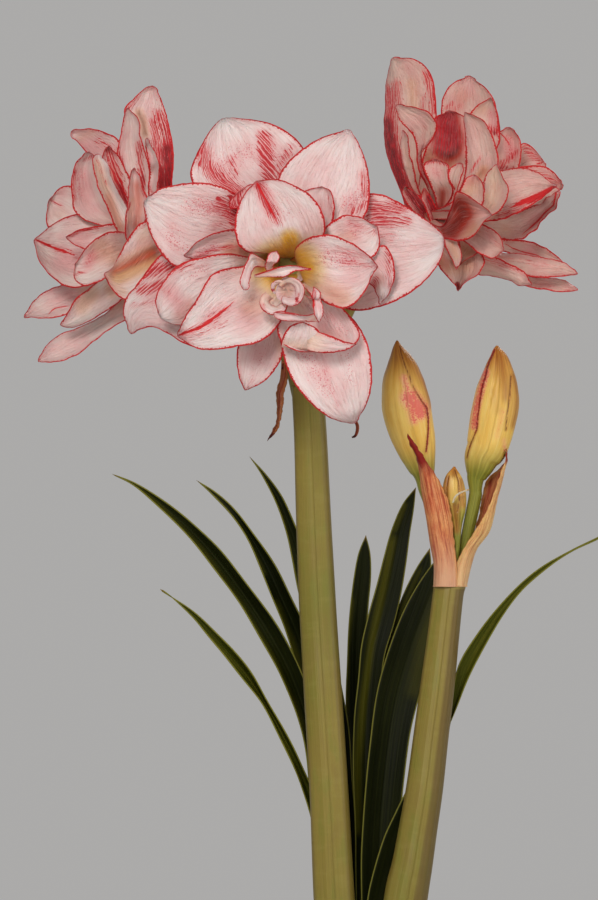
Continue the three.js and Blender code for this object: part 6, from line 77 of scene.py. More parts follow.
    ("right_tepal_back_right", "right_tepals_upper", 5, "28.7,12.2,678.8 29.7,12.2,678.6 30.6,12.2,678.5 31.6,12.2,678.3 32.6,12.2,678.2 40.9,20.4,681.5 41.5,20.1,680.6 42.2,19.8,679.6 42.7,19.2,678.6 43.3,17.7,677.6 51.6,27.9,684.7 52.0,27.6,683.0 52.3,27.3,681.4 52.7,26.5,679.7 53.0,24.7,677.9 59.1,32.7,688.8 59.6,33.1,686.7 60.0,33.1,684.5 60.4,32.3,682.3 60.8,30.4,680.1 66.2,38.3,693.3 66.8,39.2,690.7 67.4,39.4,688.2 67.9,38.6,685.5 68.3,36.7,682.8 72.9,42.5,697.9 73.6,43.8,695.1 74.2,44.2,692.2 74.7,43.5,689.2 75.2,41.6,686.1 78.9,43.7,702.6 79.7,45.3,699.5 80.4,45.8,696.3 81.0,45.2,693.0 81.6,43.3,689.6 84.3,44.1,707.5 85.2,45.8,704.0 86.1,46.4,700.4 86.9,45.8,696.7 87.6,43.9,692.9 87.9,44.0,713.3 89.4,45.7,709.0 90.8,46.3,704.6 92.2,45.6,700.1 93.5,43.9,695.5 92.8,43.8,716.8 94.5,45.3,712.1 96.1,45.8,707.4 97.7,45.2,702.5 99.2,43.6,697.6 97.9,43.6,714.1 99.5,44.8,710.8 101.1,45.3,707.3 102.6,44.7,703.8 104.0,43.2,700.2 101.1,43.4,710.1 102.3,44.0,708.7 103.4,44.1,707.2 104.4,43.7,705.7 105.5,42.5,704.2 103.2,43.2,706.9"),
    ("right_tepal_right", "right_tepal_right", 5, "36.4,-0.0,674.8 36.7,0.1,673.9 37.0,0.0,672.9 37.2,-0.0,671.9 37.5,-0.0,670.9 43.8,-6.8,677.7 44.1,-8.9,675.5 44.4,-9.7,673.4 44.6,-10.6,671.3 44.9,-12.9,669.2 50.6,-24.5,679.6 50.8,-28.3,676.3 51.1,-29.6,673.2 51.4,-30.8,670.2 51.6,-34.2,666.9 58.1,-16.5,683.7 58.3,-21.4,679.3 58.6,-23.1,675.2 59.0,-24.4,671.1 59.3,-28.3,666.9 64.2,-19.4,687.8 64.6,-25.2,682.3 65.2,-27.2,677.1 65.8,-28.6,671.9 66.3,-32.9,666.6 69.9,-22.7,692.2 70.5,-29.0,685.7 71.4,-31.1,679.6 72.3,-32.6,673.5 73.0,-37.1,667.2 76.1,-23.7,695.6 76.8,-29.7,688.7 77.7,-31.6,682.1 78.7,-33.1,675.6 79.4,-37.4,668.9 82.8,-25.2,696.9 83.3,-30.1,690.4 84.0,-31.7,684.2 84.8,-32.9,678.0 85.4,-36.5,671.6 89.2,-26.9,696.7 89.5,-30.5,691.1 90.0,-31.7,685.7 90.4,-32.7,680.3 90.8,-35.4,674.8 94.9,-28.2,694.8 95.1,-30.8,690.5 95.3,-31.7,686.4 95.5,-32.4,682.2 95.7,-34.4,678.0 99.7,-29.5,691.8 99.7,-31.1,689.1 99.8,-31.6,686.5 100.0,-32.1,683.9 100.0,-33.3,681.2 103.6,-30.7,688.7 103.6,-31.4,687.6 103.6,-31.6,686.5 103.7,-31.7,685.4 103.7,-32.2,684.3 106.9,-24.0,687.1"),
    ("right_tepal_right_back", "right_tepals_outer", 5, "38.2,10.0,676.9 38.3,10.0,675.9 38.5,10.0,674.9 38.6,10.0,674.0 38.7,10.0,673.0 45.1,9.8,680.7 45.4,10.0,679.1 45.7,10.1,677.4 45.9,9.6,675.7 46.1,8.2,674.0 52.1,8.3,684.6 52.5,8.9,682.3 52.9,9.1,679.9 53.2,8.5,677.5 53.5,6.8,675.1 59.5,8.1,688.6 60.0,8.9,685.6 60.4,9.2,682.5 60.8,8.6,679.4 61.1,6.8,676.3 66.9,7.8,692.1 67.4,8.9,688.5 67.8,9.2,684.9 68.2,8.6,681.2 68.5,6.8,677.4 74.2,7.3,695.4 74.7,8.8,691.2 75.1,9.2,687.0 75.5,8.6,682.6 75.7,6.8,678.2 81.4,7.0,698.1 81.8,8.7,693.5 82.2,9.2,688.8 82.5,8.6,684.0 82.7,6.8,679.1 88.5,6.8,700.1 88.8,8.6,695.2 89.1,9.2,690.2 89.2,8.6,685.2 89.3,6.8,680.0 95.5,6.8,701.0 95.6,8.5,696.1 95.7,9.1,691.2 95.7,8.5,686.2 95.6,6.8,681.1 102.1,7.0,700.4 102.0,8.5,696.0 101.9,9.0,691.5 101.7,8.5,687.0 101.5,6.9,682.3 107.3,7.2,697.5 107.3,8.5,694.3 107.1,8.9,691.0 106.9,8.4,687.7 106.7,7.0,684.3 110.6,6.1,693.2 110.6,6.7,691.7 110.6,6.9,690.1 110.6,6.7,688.5 110.6,6.1,686.9 112.2,2.8,689.6"),
    ("right_tepal_mid_right", "right_tepals_outer", 5, "38.2,10.0,676.9 38.3,10.0,675.9 38.5,10.0,674.9 38.6,10.0,674.0 38.7,10.0,673.0 45.2,6.5,674.1 45.5,5.0,672.5 46.0,4.6,671.0 46.4,4.0,669.4 46.7,2.2,667.9 52.2,2.7,672.1 52.9,1.0,670.0 53.5,0.5,668.0 54.2,-0.5,666.0 54.8,-3.4,663.8 59.7,1.5,672.1 60.6,-0.3,669.5 61.5,-0.8,667.0 62.4,-2.0,664.4 63.1,-5.5,661.7 67.0,-0.8,672.1 68.1,-2.6,669.0 69.2,-3.2,666.1 70.3,-4.5,663.1 71.2,-8.4,659.9 74.1,-1.1,672.3 75.4,-2.9,668.8 76.8,-3.5,665.5 78.1,-4.9,662.1 79.2,-9.1,658.6 80.9,-1.3,673.0 82.5,-3.1,669.3 84.1,-3.7,665.6 85.6,-5.2,661.9 87.0,-9.5,658.0 87.3,-1.4,674.6 88.9,-3.2,671.3 90.5,-3.8,668.2 92.1,-5.3,665.0 93.5,-9.8,661.6 93.3,-1.5,676.6 94.6,-3.2,674.1 96.1,-3.8,671.7 97.4,-5.3,669.3 98.6,-9.7,666.6 98.6,-1.6,679.0 99.7,-3.3,677.2 100.9,-3.8,675.5 102.0,-5.2,673.8 102.9,-9.2,671.8 103.0,-1.8,682.2 104.0,-3.3,680.8 105.1,-3.8,679.5 106.1,-5.0,678.1 107.0,-8.5,676.6 106.9,-2.3,684.8 107.5,-3.4,684.0 108.2,-3.7,683.3 108.8,-4.2,682.5 109.4,-5.9,681.7 110.0,-3.8,685.8"),
    ("right_tepal_low_back", "right_tepals_low", 5, "34.4,14.3,671.9 34.5,14.3,670.7 34.7,14.3,669.6 34.8,14.3,668.5 34.9,14.3,667.3 43.4,15.4,670.0 43.3,15.9,668.8 43.2,16.2,667.6 43.1,15.8,666.3 43.0,14.6,665.0 52.0,17.3,668.0 51.7,18.1,666.6 51.4,18.5,665.2 51.1,18.1,663.8 50.7,16.8,662.3 59.9,19.6,665.7 59.5,20.5,664.1 59.1,20.8,662.5 58.6,20.4,660.8 58.0,18.8,659.1 67.6,21.6,663.5 67.1,22.5,661.8 66.6,22.9,660.1 66.1,22.4,658.4 65.5,20.7,656.6 75.1,23.5,661.5 74.6,24.4,659.9 74.1,24.8,658.2 73.5,24.2,656.5 72.8,22.5,654.7 82.6,24.5,660.4 82.0,25.5,658.6 81.4,25.8,656.9 80.7,25.2,655.0 80.0,23.5,653.1 89.7,24.8,660.4 89.1,25.7,658.3 88.4,26.0,656.2 87.7,25.4,654.1 86.9,23.7,651.9 96.3,24.4,658.9 95.7,25.3,656.9 95.0,25.5,654.9 94.2,25.0,652.8 93.4,23.3,650.6 102.2,23.9,656.5 101.5,24.6,654.6 100.9,24.8,652.8 100.2,24.3,650.9 99.4,22.7,648.9 107.2,23.4,653.5 106.7,23.9,652.1 106.2,24.1,650.7 105.6,23.6,649.3 105.0,22.1,647.8 111.2,23.3,650.2 110.9,23.4,649.6 110.6,23.5,648.9 110.3,23.1,648.3 110.0,22.0,647.6 113.7,23.1,647.5"),
    ("right_tepal_low_1", "right_tepal_low_1", 5, "35.6,8.3,671.5 35.4,8.6,670.4 35.3,8.9,669.2 35.2,9.1,668.1 35.0,8.9,667.0 44.2,7.6,667.3 43.8,6.4,665.7 43.4,6.1,664.2 43.0,5.9,662.6 42.6,4.6,661.0 52.6,8.5,663.3 52.0,6.2,661.3 51.4,5.6,659.4 50.8,5.0,657.4 50.2,3.0,655.5 60.9,8.8,659.4 60.1,6.0,657.2 59.4,5.1,655.0 58.7,4.3,652.9 57.9,1.5,650.6 68.8,9.1,655.4 68.0,5.8,653.2 67.4,4.7,651.0 66.7,3.7,648.9 65.9,0.4,646.7 76.8,9.1,652.3 76.0,5.5,650.0 75.3,4.4,647.9 74.7,3.2,645.7 73.8,-0.3,643.4 85.1,8.5,651.7 84.2,5.1,648.9 83.4,4.0,646.2 82.6,2.8,643.6 81.7,-0.6,640.8 92.9,7.7,650.7 92.0,4.5,647.7 91.2,3.5,644.8 90.4,2.5,641.9 89.5,-0.6,638.9 100.2,4.9,649.3 99.3,2.2,646.4 98.5,1.3,643.5 97.7,0.4,640.6 96.8,-2.3,637.7 107.0,3.0,647.9 106.2,0.8,645.2 105.5,0.0,642.6 104.7,-0.7,640.0 103.9,-2.9,637.4 113.1,1.2,646.1 112.4,-0.3,644.0 111.8,-0.8,641.9 111.1,-1.3,639.9 110.4,-2.8,637.8 117.4,-0.7,642.5 117.1,-1.3,641.5 116.8,-1.5,640.6 116.5,-1.7,639.7 116.1,-2.3,638.7 120.2,-2.0,639.5"),
    ("right_tepal_low_2", "right_tepals_low", 5, "34.4,14.3,671.9 34.5,14.3,670.7 34.7,14.3,669.6 34.8,14.3,668.5 34.9,14.3,667.3 42.9,13.3,665.0 42.7,13.2,663.8 42.6,13.2,662.6 42.4,12.8,661.4 42.2,11.4,660.2 51.2,13.2,658.8 50.8,12.8,657.5 50.5,12.8,656.3 50.1,12.1,655.1 49.6,9.8,653.7 59.4,15.1,653.9 58.9,14.0,652.6 58.6,13.7,651.4 58.2,12.8,650.1 57.7,9.9,648.7 67.5,16.8,649.4 67.0,15.2,648.1 66.6,14.8,646.8 66.2,13.7,645.5 65.7,10.4,644.1 75.5,17.6,645.3 75.0,15.8,644.0 74.7,15.3,642.8 74.2,14.1,641.5 73.7,10.6,640.1 83.4,17.1,641.9 83.0,15.4,640.6 82.6,14.8,639.4 82.2,13.7,638.1 81.6,10.2,636.7 91.3,16.1,639.4 90.8,14.3,638.0 90.4,13.7,636.7 90.0,12.7,635.4 89.4,9.6,634.0 99.0,14.8,638.4 98.5,13.0,636.8 98.0,12.4,635.2 97.6,11.6,633.7 97.0,8.9,632.0 106.3,13.5,638.2 105.8,11.7,636.3 105.3,11.2,634.5 104.8,10.4,632.7 104.2,8.2,630.8 112.9,11.8,636.8 112.3,10.2,635.0 111.9,9.6,633.2 111.4,9.1,631.5 110.9,7.6,629.7 117.9,10.1,633.8 117.5,8.6,632.8 117.3,8.1,631.9 117.0,7.9,630.9 116.8,7.3,630.0 121.0,7.1,630.9"),
    ("right_tepal_low_inner", "right_tepal_low_inner", 5, "34.4,6.4,668.0 33.8,6.2,666.8 33.2,5.6,665.7 32.6,4.9,664.5 32.1,4.6,663.4 40.7,-3.2,664.3 39.8,-3.2,662.7 39.0,-3.8,661.1 38.1,-3.9,659.5 37.3,-3.1,658.0 46.8,-11.1,660.8 45.7,-10.9,658.8 44.6,-11.3,656.7 43.5,-11.0,654.7 42.4,-9.0,652.8 52.6,-22.0,657.1 51.3,-21.4,654.8 50.0,-21.5,652.4 48.7,-20.8,650.1 47.5,-17.8,647.9 58.4,-23.4,653.8 57.1,-22.4,651.3 55.6,-22.2,648.8 54.3,-21.1,646.3 53.0,-17.1,643.9 64.2,-24.6,650.9 62.8,-23.2,648.3 61.3,-22.9,645.6 59.9,-21.7,643.0 58.6,-17.3,640.5 70.2,-25.2,648.9 68.7,-23.9,646.3 67.3,-23.5,643.6 65.9,-22.2,641.0 64.6,-18.0,638.5 75.7,-25.4,646.7 74.4,-24.3,644.4 73.0,-24.0,642.0 71.7,-22.8,639.7 70.6,-18.8,637.5 80.7,-25.4,643.9 79.5,-24.6,641.9 78.3,-24.4,639.9 77.2,-23.3,637.9 76.1,-19.7,636.0 85.6,-25.4,641.7 84.5,-24.8,639.9 83.3,-24.7,638.0 82.2,-23.7,636.2 81.3,-20.6,634.4 89.5,-25.2,638.9 88.6,-24.9,637.2 87.6,-24.8,635.6 86.7,-24.1,634.0 85.8,-21.7,632.5 91.8,-22.3,635.2 91.4,-22.2,634.4 90.9,-22.1,633.5 90.5,-21.8,632.7 90.1,-21.0,631.9 93.3,-19.9,632.5"),
    ("right_inner_8", "right_inner_tepals", 5, "33.2,-2.5,673.8 33.4,-2.5,672.6 33.5,-2.5,671.3 33.7,-2.5,670.1 33.8,-2.5,668.8 40.5,-12.9,671.3 40.3,-12.0,670.0 40.0,-12.6,668.5 39.7,-14.3,667.0 39.4,-16.4,665.5 46.7,-22.7,669.4 46.2,-20.8,667.8 45.7,-21.6,666.1 45.0,-24.2,664.3 44.3,-27.7,662.5 51.2,-29.7,668.3 50.6,-27.3,666.4 49.9,-27.3,664.3 49.2,-29.6,662.1 48.3,-33.6,659.8 55.5,-37.7,667.1 54.8,-34.9,664.8 53.9,-34.6,662.3 53.0,-36.6,659.7 52.0,-40.9,657.0 59.7,-42.6,666.2 58.8,-39.5,663.4 57.8,-38.8,660.5 56.7,-40.6,657.4 55.5,-45.1,654.2 63.9,-45.0,665.0 62.8,-41.7,661.9 61.6,-40.8,658.6 60.3,-42.5,655.1 58.9,-47.1,651.5 67.7,-46.7,663.4 66.5,-43.2,660.0 65.1,-42.2,656.4 63.7,-43.9,652.7 62.0,-48.5,648.8 70.9,-47.6,661.1 69.8,-44.1,657.8 68.5,-43.1,654.3 67.0,-44.7,650.7 65.5,-49.2,646.9 73.6,-47.8,658.5 72.6,-44.7,655.5 71.5,-43.8,652.4 70.3,-45.2,649.2 69.0,-49.3,645.8 75.1,-47.7,655.5 74.5,-45.2,653.4 73.9,-44.3,651.3 73.1,-45.5,649.0 72.2,-49.1,646.6 75.6,-47.5,652.5 75.4,-46.3,651.6 75.1,-45.9,650.7 74.8,-46.5,649.8 74.4,-48.2,648.8 76.0,-47.5,650.3"),
    ("front_petaloid_1", "front_petaloids", 4, "-53.5,-84.0,641.9 -53.2,-84.0,641.0 -52.8,-84.0,640.1 -52.5,-84.0,639.2 -57.2,-98.5,644.0 -56.8,-97.9,642.1 -56.3,-97.7,640.2 -55.8,-97.1,638.3 -61.1,-109.7,645.3 -60.3,-108.9,642.8 -59.5,-108.6,640.3 -58.8,-107.8,637.8 -63.3,-114.2,641.4 -62.4,-113.3,639.3 -61.5,-113.0,637.2 -60.7,-112.1,635.1 -64.9,-115.9,637.4 -63.8,-115.0,635.7 -62.7,-114.8,633.9 -61.6,-113.9,632.2 -66.1,-116.8,633.6 -64.8,-116.0,632.2 -63.4,-115.8,630.8 -62.0,-114.9,629.4 -67.3,-116.4,630.2 -65.5,-115.7,629.1 -63.7,-115.6,628.0 -61.9,-114.9,626.8 -66.4,-114.5,627.3 -65.5,-114.2,626.8 -64.5,-114.1,626.2 -63.5,-113.8,625.6 -65.1,-113.0,625.5"),
    ("front_petaloid_2", "front_petaloids", 4, "-52.5,-84.0,635.4 -51.0,-84.0,636.1 -49.6,-84.0,636.9 -48.2,-84.0,637.6 -53.6,-101.1,636.7 -52.2,-101.1,637.2 -50.8,-101.1,637.7 -49.4,-101.1,638.1 -54.1,-105.4,638.7 -52.4,-105.5,639.0 -50.6,-105.5,639.2 -48.9,-105.5,639.5 -53.3,-113.7,640.5 -51.3,-113.7,640.3 -49.3,-113.7,640.2 -47.4,-113.7,640.1 -52.6,-114.0,642.5 -50.5,-113.9,642.1 -48.4,-113.9,641.8 -46.4,-113.9,641.4 -51.9,-114.3,644.4 -49.9,-114.0,643.9 -47.9,-114.0,643.4 -45.9,-114.0,642.9 -50.4,-114.6,645.4 -49.1,-114.1,645.0 -47.7,-114.0,644.7 -46.4,-114.0,644.3 -48.9,-114.8,645.7 -48.3,-114.1,645.6 -47.7,-114.0,645.5 -47.2,-114.0,645.3 -47.7,-115.0,646.0"),
    ("front_petaloid_3", "front_petaloids", 4, "-59.6,-117.0,633.3 -59.4,-117.0,632.9 -59.3,-117.0,632.5 -59.1,-117.0,632.1 -54.9,-120.2,634.6 -54.7,-119.0,633.8 -54.6,-118.8,632.9 -54.4,-117.9,632.1 -50.5,-122.1,636.0 -50.2,-120.5,634.7 -50.0,-120.1,633.3 -49.8,-119.2,632.0 -46.2,-123.3,637.2 -45.9,-121.5,635.5 -45.6,-121.1,633.7 -45.4,-120.3,631.8 -42.0,-123.8,638.0 -41.8,-122.0,636.4 -41.6,-121.8,634.6 -41.4,-121.8,632.8 -38.0,-123.8,638.0 -38.1,-122.2,637.0 -38.1,-122.0,635.9 -38.1,-122.0,634.9 -34.4,-122.4,637.5 -34.5,-121.6,636.8 -34.5,-121.5,636.0 -34.5,-121.5,635.2 -31.3,-121.6,636.6 -31.3,-121.3,636.3 -31.4,-121.2,636.0 -31.4,-121.2,635.6 -29.1,-121.0,635.9"),
    ("front_petaloid_8", "front_petaloids", 4, "-24.7,-98.0,615.0 -25.0,-98.0,613.1 -25.4,-98.0,611.1 -25.7,-98.0,609.2 -28.4,-110.6,613.1 -28.8,-109.1,611.8 -29.3,-108.8,610.4 -29.7,-108.2,609.0 -32.1,-115.6,612.2 -32.6,-113.8,611.1 -33.0,-113.5,610.0 -33.5,-112.6,608.9 -35.7,-117.6,612.6 -36.2,-115.8,611.4 -36.6,-115.5,610.1 -37.1,-114.6,608.9 -39.1,-118.5,613.0 -39.6,-116.7,611.7 -40.1,-116.3,610.2 -40.6,-115.4,608.9 -42.2,-118.9,613.5 -42.8,-117.2,612.0 -43.3,-116.8,610.5 -43.8,-116.0,609.1 -45.1,-118.6,614.2 -45.7,-117.0,612.7 -46.2,-116.7,611.2 -46.7,-116.0,609.7 -47.7,-117.1,613.9 -48.0,-116.0,613.0 -48.3,-115.8,612.2 -48.6,-115.5,611.3 -49.3,-116.0,613.1"),
    ("front_petaloid_9", "front_petaloids", 4, "-35.8,-86.0,630.0 -34.2,-86.0,630.3 -32.6,-86.0,630.7 -31.0,-86.0,631.0 -32.9,-99.7,627.1 -31.2,-99.3,627.4 -29.5,-99.2,627.8 -27.8,-98.6,628.2 -30.4,-116.9,623.7 -28.8,-116.1,624.0 -27.1,-115.9,624.4 -25.4,-115.0,624.7 -29.0,-118.9,620.5 -27.5,-117.7,620.8 -25.9,-117.4,621.0 -24.4,-116.5,621.2 -28.6,-120.3,617.2 -26.9,-118.6,617.5 -25.2,-118.3,617.7 -23.5,-117.4,617.9 -28.2,-120.9,614.2 -26.5,-119.1,614.4 -24.7,-118.8,614.6 -23.0,-118.0,614.7 -27.4,-120.3,611.5 -26.0,-119.0,611.6 -24.7,-118.7,611.7 -23.3,-118.1,611.8 -26.3,-118.0,609.4 -25.6,-117.5,609.4 -24.9,-117.4,609.4 -24.2,-117.1,609.5 -25.3,-116.0,608.0"),
    ("front_petaloid_10", "front_petaloids", 4, "-33.7,-104.0,624.3 -32.7,-104.0,623.3 -31.6,-104.0,622.2 -30.5,-104.0,621.2 -32.3,-113.4,622.7 -31.0,-113.1,621.8 -29.8,-113.0,620.8 -28.6,-112.6,619.8 -30.8,-118.1,621.4 -29.4,-117.5,620.9 -28.0,-117.3,620.4 -26.6,-116.6,620.0 -29.4,-121.8,620.5 -28.0,-120.9,620.7 -26.5,-120.7,620.8 -25.0,-119.8,621.0 -29.1,-122.9,622.0 -27.5,-122.0,622.3 -25.9,-121.8,622.5 -24.2,-120.9,622.7 -29.0,-123.0,623.6 -27.6,-122.1,623.8 -26.2,-121.9,624.1 -24.8,-121.2,624.3 -28.6,-122.6,624.9 -27.8,-121.7,625.1 -26.9,-121.6,625.3 -26.0,-121.2,625.5 -28.2,-122.3,626.2 -27.9,-121.4,626.2 -27.5,-121.2,626.3 -27.2,-121.1,626.4 -28.0,-122.0,627.0"),
    ("left_inner_6", "left_inner_tepals", 5, "-118.1,-2.0,658.5 -117.0,-2.0,659.3 -115.8,-2.0,660.2 -114.7,-2.0,661.0 -113.6,-2.0,661.8 -124.9,2.8,663.2 -123.2,3.5,664.3 -121.6,3.7,665.5 -119.9,3.5,666.6 -118.2,2.8,667.7 -131.0,4.3,668.0 -128.8,5.5,669.5 -126.5,5.9,670.9 -124.2,5.5,672.3 -121.9,4.3,673.7 -135.2,5.1,674.2 -132.7,6.7,675.7 -130.0,7.2,677.2 -127.3,6.7,678.5 -124.6,5.1,679.8 -138.3,5.3,680.8 -135.6,7.3,682.2 -132.9,8.0,683.5 -130.1,7.3,684.7 -127.2,5.4,685.8 -141.0,4.8,687.1 -138.3,7.0,688.3 -135.5,7.7,689.5 -132.7,7.0,690.5 -129.7,4.8,691.4 -143.4,3.8,693.1 -140.7,6.0,694.2 -137.9,6.8,695.1 -135.1,6.0,695.9 -132.2,3.8,696.7 -145.1,2.6,698.9 -142.6,4.9,699.8 -140.0,5.6,700.5 -137.3,4.9,701.1 -134.5,2.8,701.6 -146.4,1.1,704.3 -144.1,3.3,704.9 -141.8,4.1,705.3 -139.4,3.5,705.7 -137.0,1.6,705.9 -144.8,-1.3,708.6 -143.7,0.9,708.9 -142.4,1.7,709.0 -141.2,1.1,709.1 -139.8,-0.5,709.0 -142.1,-3.0,711.0"),
    ("right_tepal_red", "right_tepals_upper", 5, "27.8,12.0,677.3 29.5,12.0,677.6 31.2,12.0,677.9 32.9,12.0,678.2 34.6,12.0,678.5 30.4,12.0,684.6 33.7,12.0,683.7 36.9,12.0,682.7 40.2,11.6,681.7 43.4,10.4,680.7 31.7,12.1,692.0 36.8,12.1,689.9 41.8,12.1,687.9 46.8,11.6,685.9 51.8,10.2,683.7 32.6,13.6,699.3 38.7,13.6,697.2 44.8,13.6,695.0 50.8,13.1,692.9 56.9,11.6,690.6 34.1,18.6,706.6 40.3,18.8,704.8 46.5,18.9,703.0 52.7,18.4,701.1 58.8,16.9,699.2 36.0,16.5,712.9 41.8,17.2,711.6 47.6,17.4,710.1 53.3,16.9,708.6 59.0,15.4,707.1 37.8,18.7,719.3 43.2,19.4,718.3 48.5,19.7,717.2 53.9,19.2,716.1 59.1,17.7,714.9 38.8,18.1,725.2 43.9,18.9,724.5 49.0,19.1,723.7 54.0,18.7,722.9 59.0,17.3,722.1 41.7,17.7,729.6 45.9,18.4,729.4 50.0,18.7,729.2 54.2,18.3,728.9 58.3,17.1,728.5 46.2,17.3,731.4 48.0,18.0,731.5 49.9,18.3,731.6 51.7,18.0,731.5 53.4,17.1,731.5 49.4,17.0,732.7"),
    ("right_tepal_inner_top", "right_tepal_inner_top", 5, "34.3,5.0,674.6 35.3,5.0,674.2 36.3,5.0,673.8 37.3,5.0,673.4 38.3,5.0,672.9 42.1,0.7,677.2 43.7,-0.0,676.8 45.2,-0.3,676.5 46.8,-0.6,676.2 48.4,-1.7,675.8 49.0,-3.7,681.0 51.1,-5.2,680.8 53.2,-5.7,680.7 55.3,-7.0,680.5 57.2,-11.1,680.1 54.1,-4.7,686.8 57.1,-7.6,686.3 60.1,-8.5,685.9 63.1,-10.0,685.4 66.0,-14.3,684.8 56.6,-6.0,693.9 60.6,-9.0,693.4 64.6,-9.9,693.0 68.6,-11.4,692.6 72.4,-15.9,692.0 57.4,-5.6,701.2 61.8,-8.7,701.1 66.3,-9.7,701.1 70.8,-11.2,701.1 75.0,-15.7,700.9 57.4,-4.8,708.2 61.5,-7.8,708.6 65.7,-8.9,709.1 69.8,-10.4,709.6 73.8,-14.9,709.8 57.2,-3.2,714.9 60.6,-6.2,715.6 64.2,-7.2,716.5 67.7,-8.7,717.3 71.1,-13.1,717.9 56.8,-1.7,721.0 59.3,-4.6,721.8 61.9,-5.6,722.8 64.4,-7.0,723.7 66.7,-11.4,724.3 56.4,-1.0,726.4 57.5,-3.8,726.7 58.8,-4.7,727.2 59.9,-6.1,727.6 61.0,-10.3,727.8 56.7,-2.0,730.1"),
    ("right_tepal_bottom", "right_tepal_bottom", 5, "27.6,6.0,670.7 29.3,6.0,671.0 31.0,6.0,671.3 32.7,6.0,671.6 34.4,6.0,671.9 32.7,-4.9,667.2 35.1,-3.2,667.7 37.4,-2.6,668.2 39.6,-3.4,668.5 41.8,-5.6,668.8 35.7,-14.7,661.8 39.0,-12.1,662.7 42.3,-11.3,663.4 45.4,-12.5,664.1 48.5,-16.3,664.6 37.0,-23.9,655.8 41.5,-20.8,656.9 45.8,-19.8,657.9 50.1,-21.3,658.7 54.2,-26.0,659.3 37.8,-30.1,650.0 43.5,-26.7,651.5 49.2,-25.5,652.9 54.8,-27.3,654.1 60.1,-32.6,655.0 39.3,-34.3,644.8 45.8,-30.6,646.2 52.2,-29.4,647.5 58.4,-31.4,648.6 64.4,-37.2,649.5 41.8,-37.6,640.4 48.0,-33.8,641.2 54.1,-32.6,642.0 60.0,-34.6,642.5 65.7,-40.6,642.9 45.0,-38.6,636.9 49.6,-35.0,637.3 54.1,-33.8,637.6 58.5,-35.7,637.8 62.7,-41.3,637.7 48.1,-38.3,633.9 50.7,-35.4,634.2 53.3,-34.4,634.4 55.7,-36.0,634.5 58.0,-40.7,634.4 50.3,-37.4,630.9 51.3,-35.4,631.1 52.3,-34.7,631.3 53.2,-35.9,631.4 54.0,-39.6,631.4 51.9,-37.0,628.6"),
    ("right_inner_1", "right_inner_tepals", 5, "34.1,-2.0,674.1 34.4,-2.0,673.0 34.6,-2.0,671.9 34.9,-2.0,670.8 35.2,-2.0,669.7 37.2,-10.9,680.8 38.0,-10.9,680.1 38.8,-10.9,679.4 39.6,-11.0,678.7 40.4,-11.3,678.0 34.6,-19.7,687.6 35.3,-19.7,687.5 36.0,-19.7,687.4 36.7,-19.9,687.3 37.4,-20.6,687.2 30.7,-27.7,693.6 31.3,-27.7,694.1 31.9,-27.7,694.6 32.4,-28.1,695.1 33.0,-29.4,695.6 29.0,-34.5,700.2 29.8,-34.5,701.3 30.5,-34.5,702.4 31.3,-35.2,703.4 31.9,-37.2,704.3 28.4,-40.0,706.7 30.7,-40.1,707.8 32.9,-40.1,708.9 35.2,-41.0,710.0 37.4,-43.9,710.8 26.7,-44.4,712.7 30.0,-44.8,714.2 33.3,-45.0,715.6 36.5,-46.1,717.0 39.7,-49.7,718.2 22.7,-48.2,717.2 25.9,-49.0,719.1 29.1,-49.3,721.0 32.3,-50.6,722.9 35.4,-54.3,724.5 18.9,-48.8,721.3 21.3,-49.9,722.9 23.8,-50.3,724.6 26.3,-51.3,726.2 28.7,-54.6,727.7 17.5,-48.9,726.1 18.7,-50.2,726.7 19.9,-50.7,727.4 21.1,-51.6,728.1 22.3,-54.2,728.6 17.7,-49.0,729.7"),
    ("right_inner_2", "right_inner_tepals", 5, "33.5,-2.0,674.1 34.4,-2.0,674.1 35.2,-2.0,674.1 36.0,-2.0,674.1 36.9,-2.0,674.1 31.8,-4.6,679.8 32.4,-5.2,679.7 33.1,-5.5,679.6 33.7,-5.5,679.5 34.4,-5.8,679.5 28.7,-7.2,684.6 29.5,-8.4,684.5 30.3,-8.8,684.5 31.1,-9.0,684.5 31.8,-9.5,684.5 25.5,-10.3,689.1 26.5,-11.9,689.1 27.6,-12.4,689.3 28.7,-12.7,689.4 29.7,-13.5,689.5 23.1,-12.8,693.9 24.5,-14.8,694.0 26.0,-15.4,694.2 27.4,-15.9,694.5 28.8,-17.4,694.6 21.4,-15.3,698.6 22.9,-17.4,698.8 24.4,-18.1,699.0 25.9,-18.8,699.3 27.3,-21.0,699.4 20.4,-16.5,703.4 21.7,-18.7,703.5 23.2,-19.5,703.7 24.6,-20.2,704.0 26.0,-22.5,704.1 20.0,-17.3,708.0 21.3,-19.5,708.1 22.6,-20.2,708.3 23.8,-20.8,708.5 25.1,-22.9,708.6 20.4,-18.0,712.2 21.5,-19.9,712.3 22.7,-20.5,712.5 23.9,-21.1,712.8 25.0,-23.0,712.9 21.0,-18.6,715.9 21.5,-20.2,715.9 22.1,-20.8,716.0 22.7,-21.3,716.1 23.2,-23.0,716.1 21.5,-19.0,718.5"),
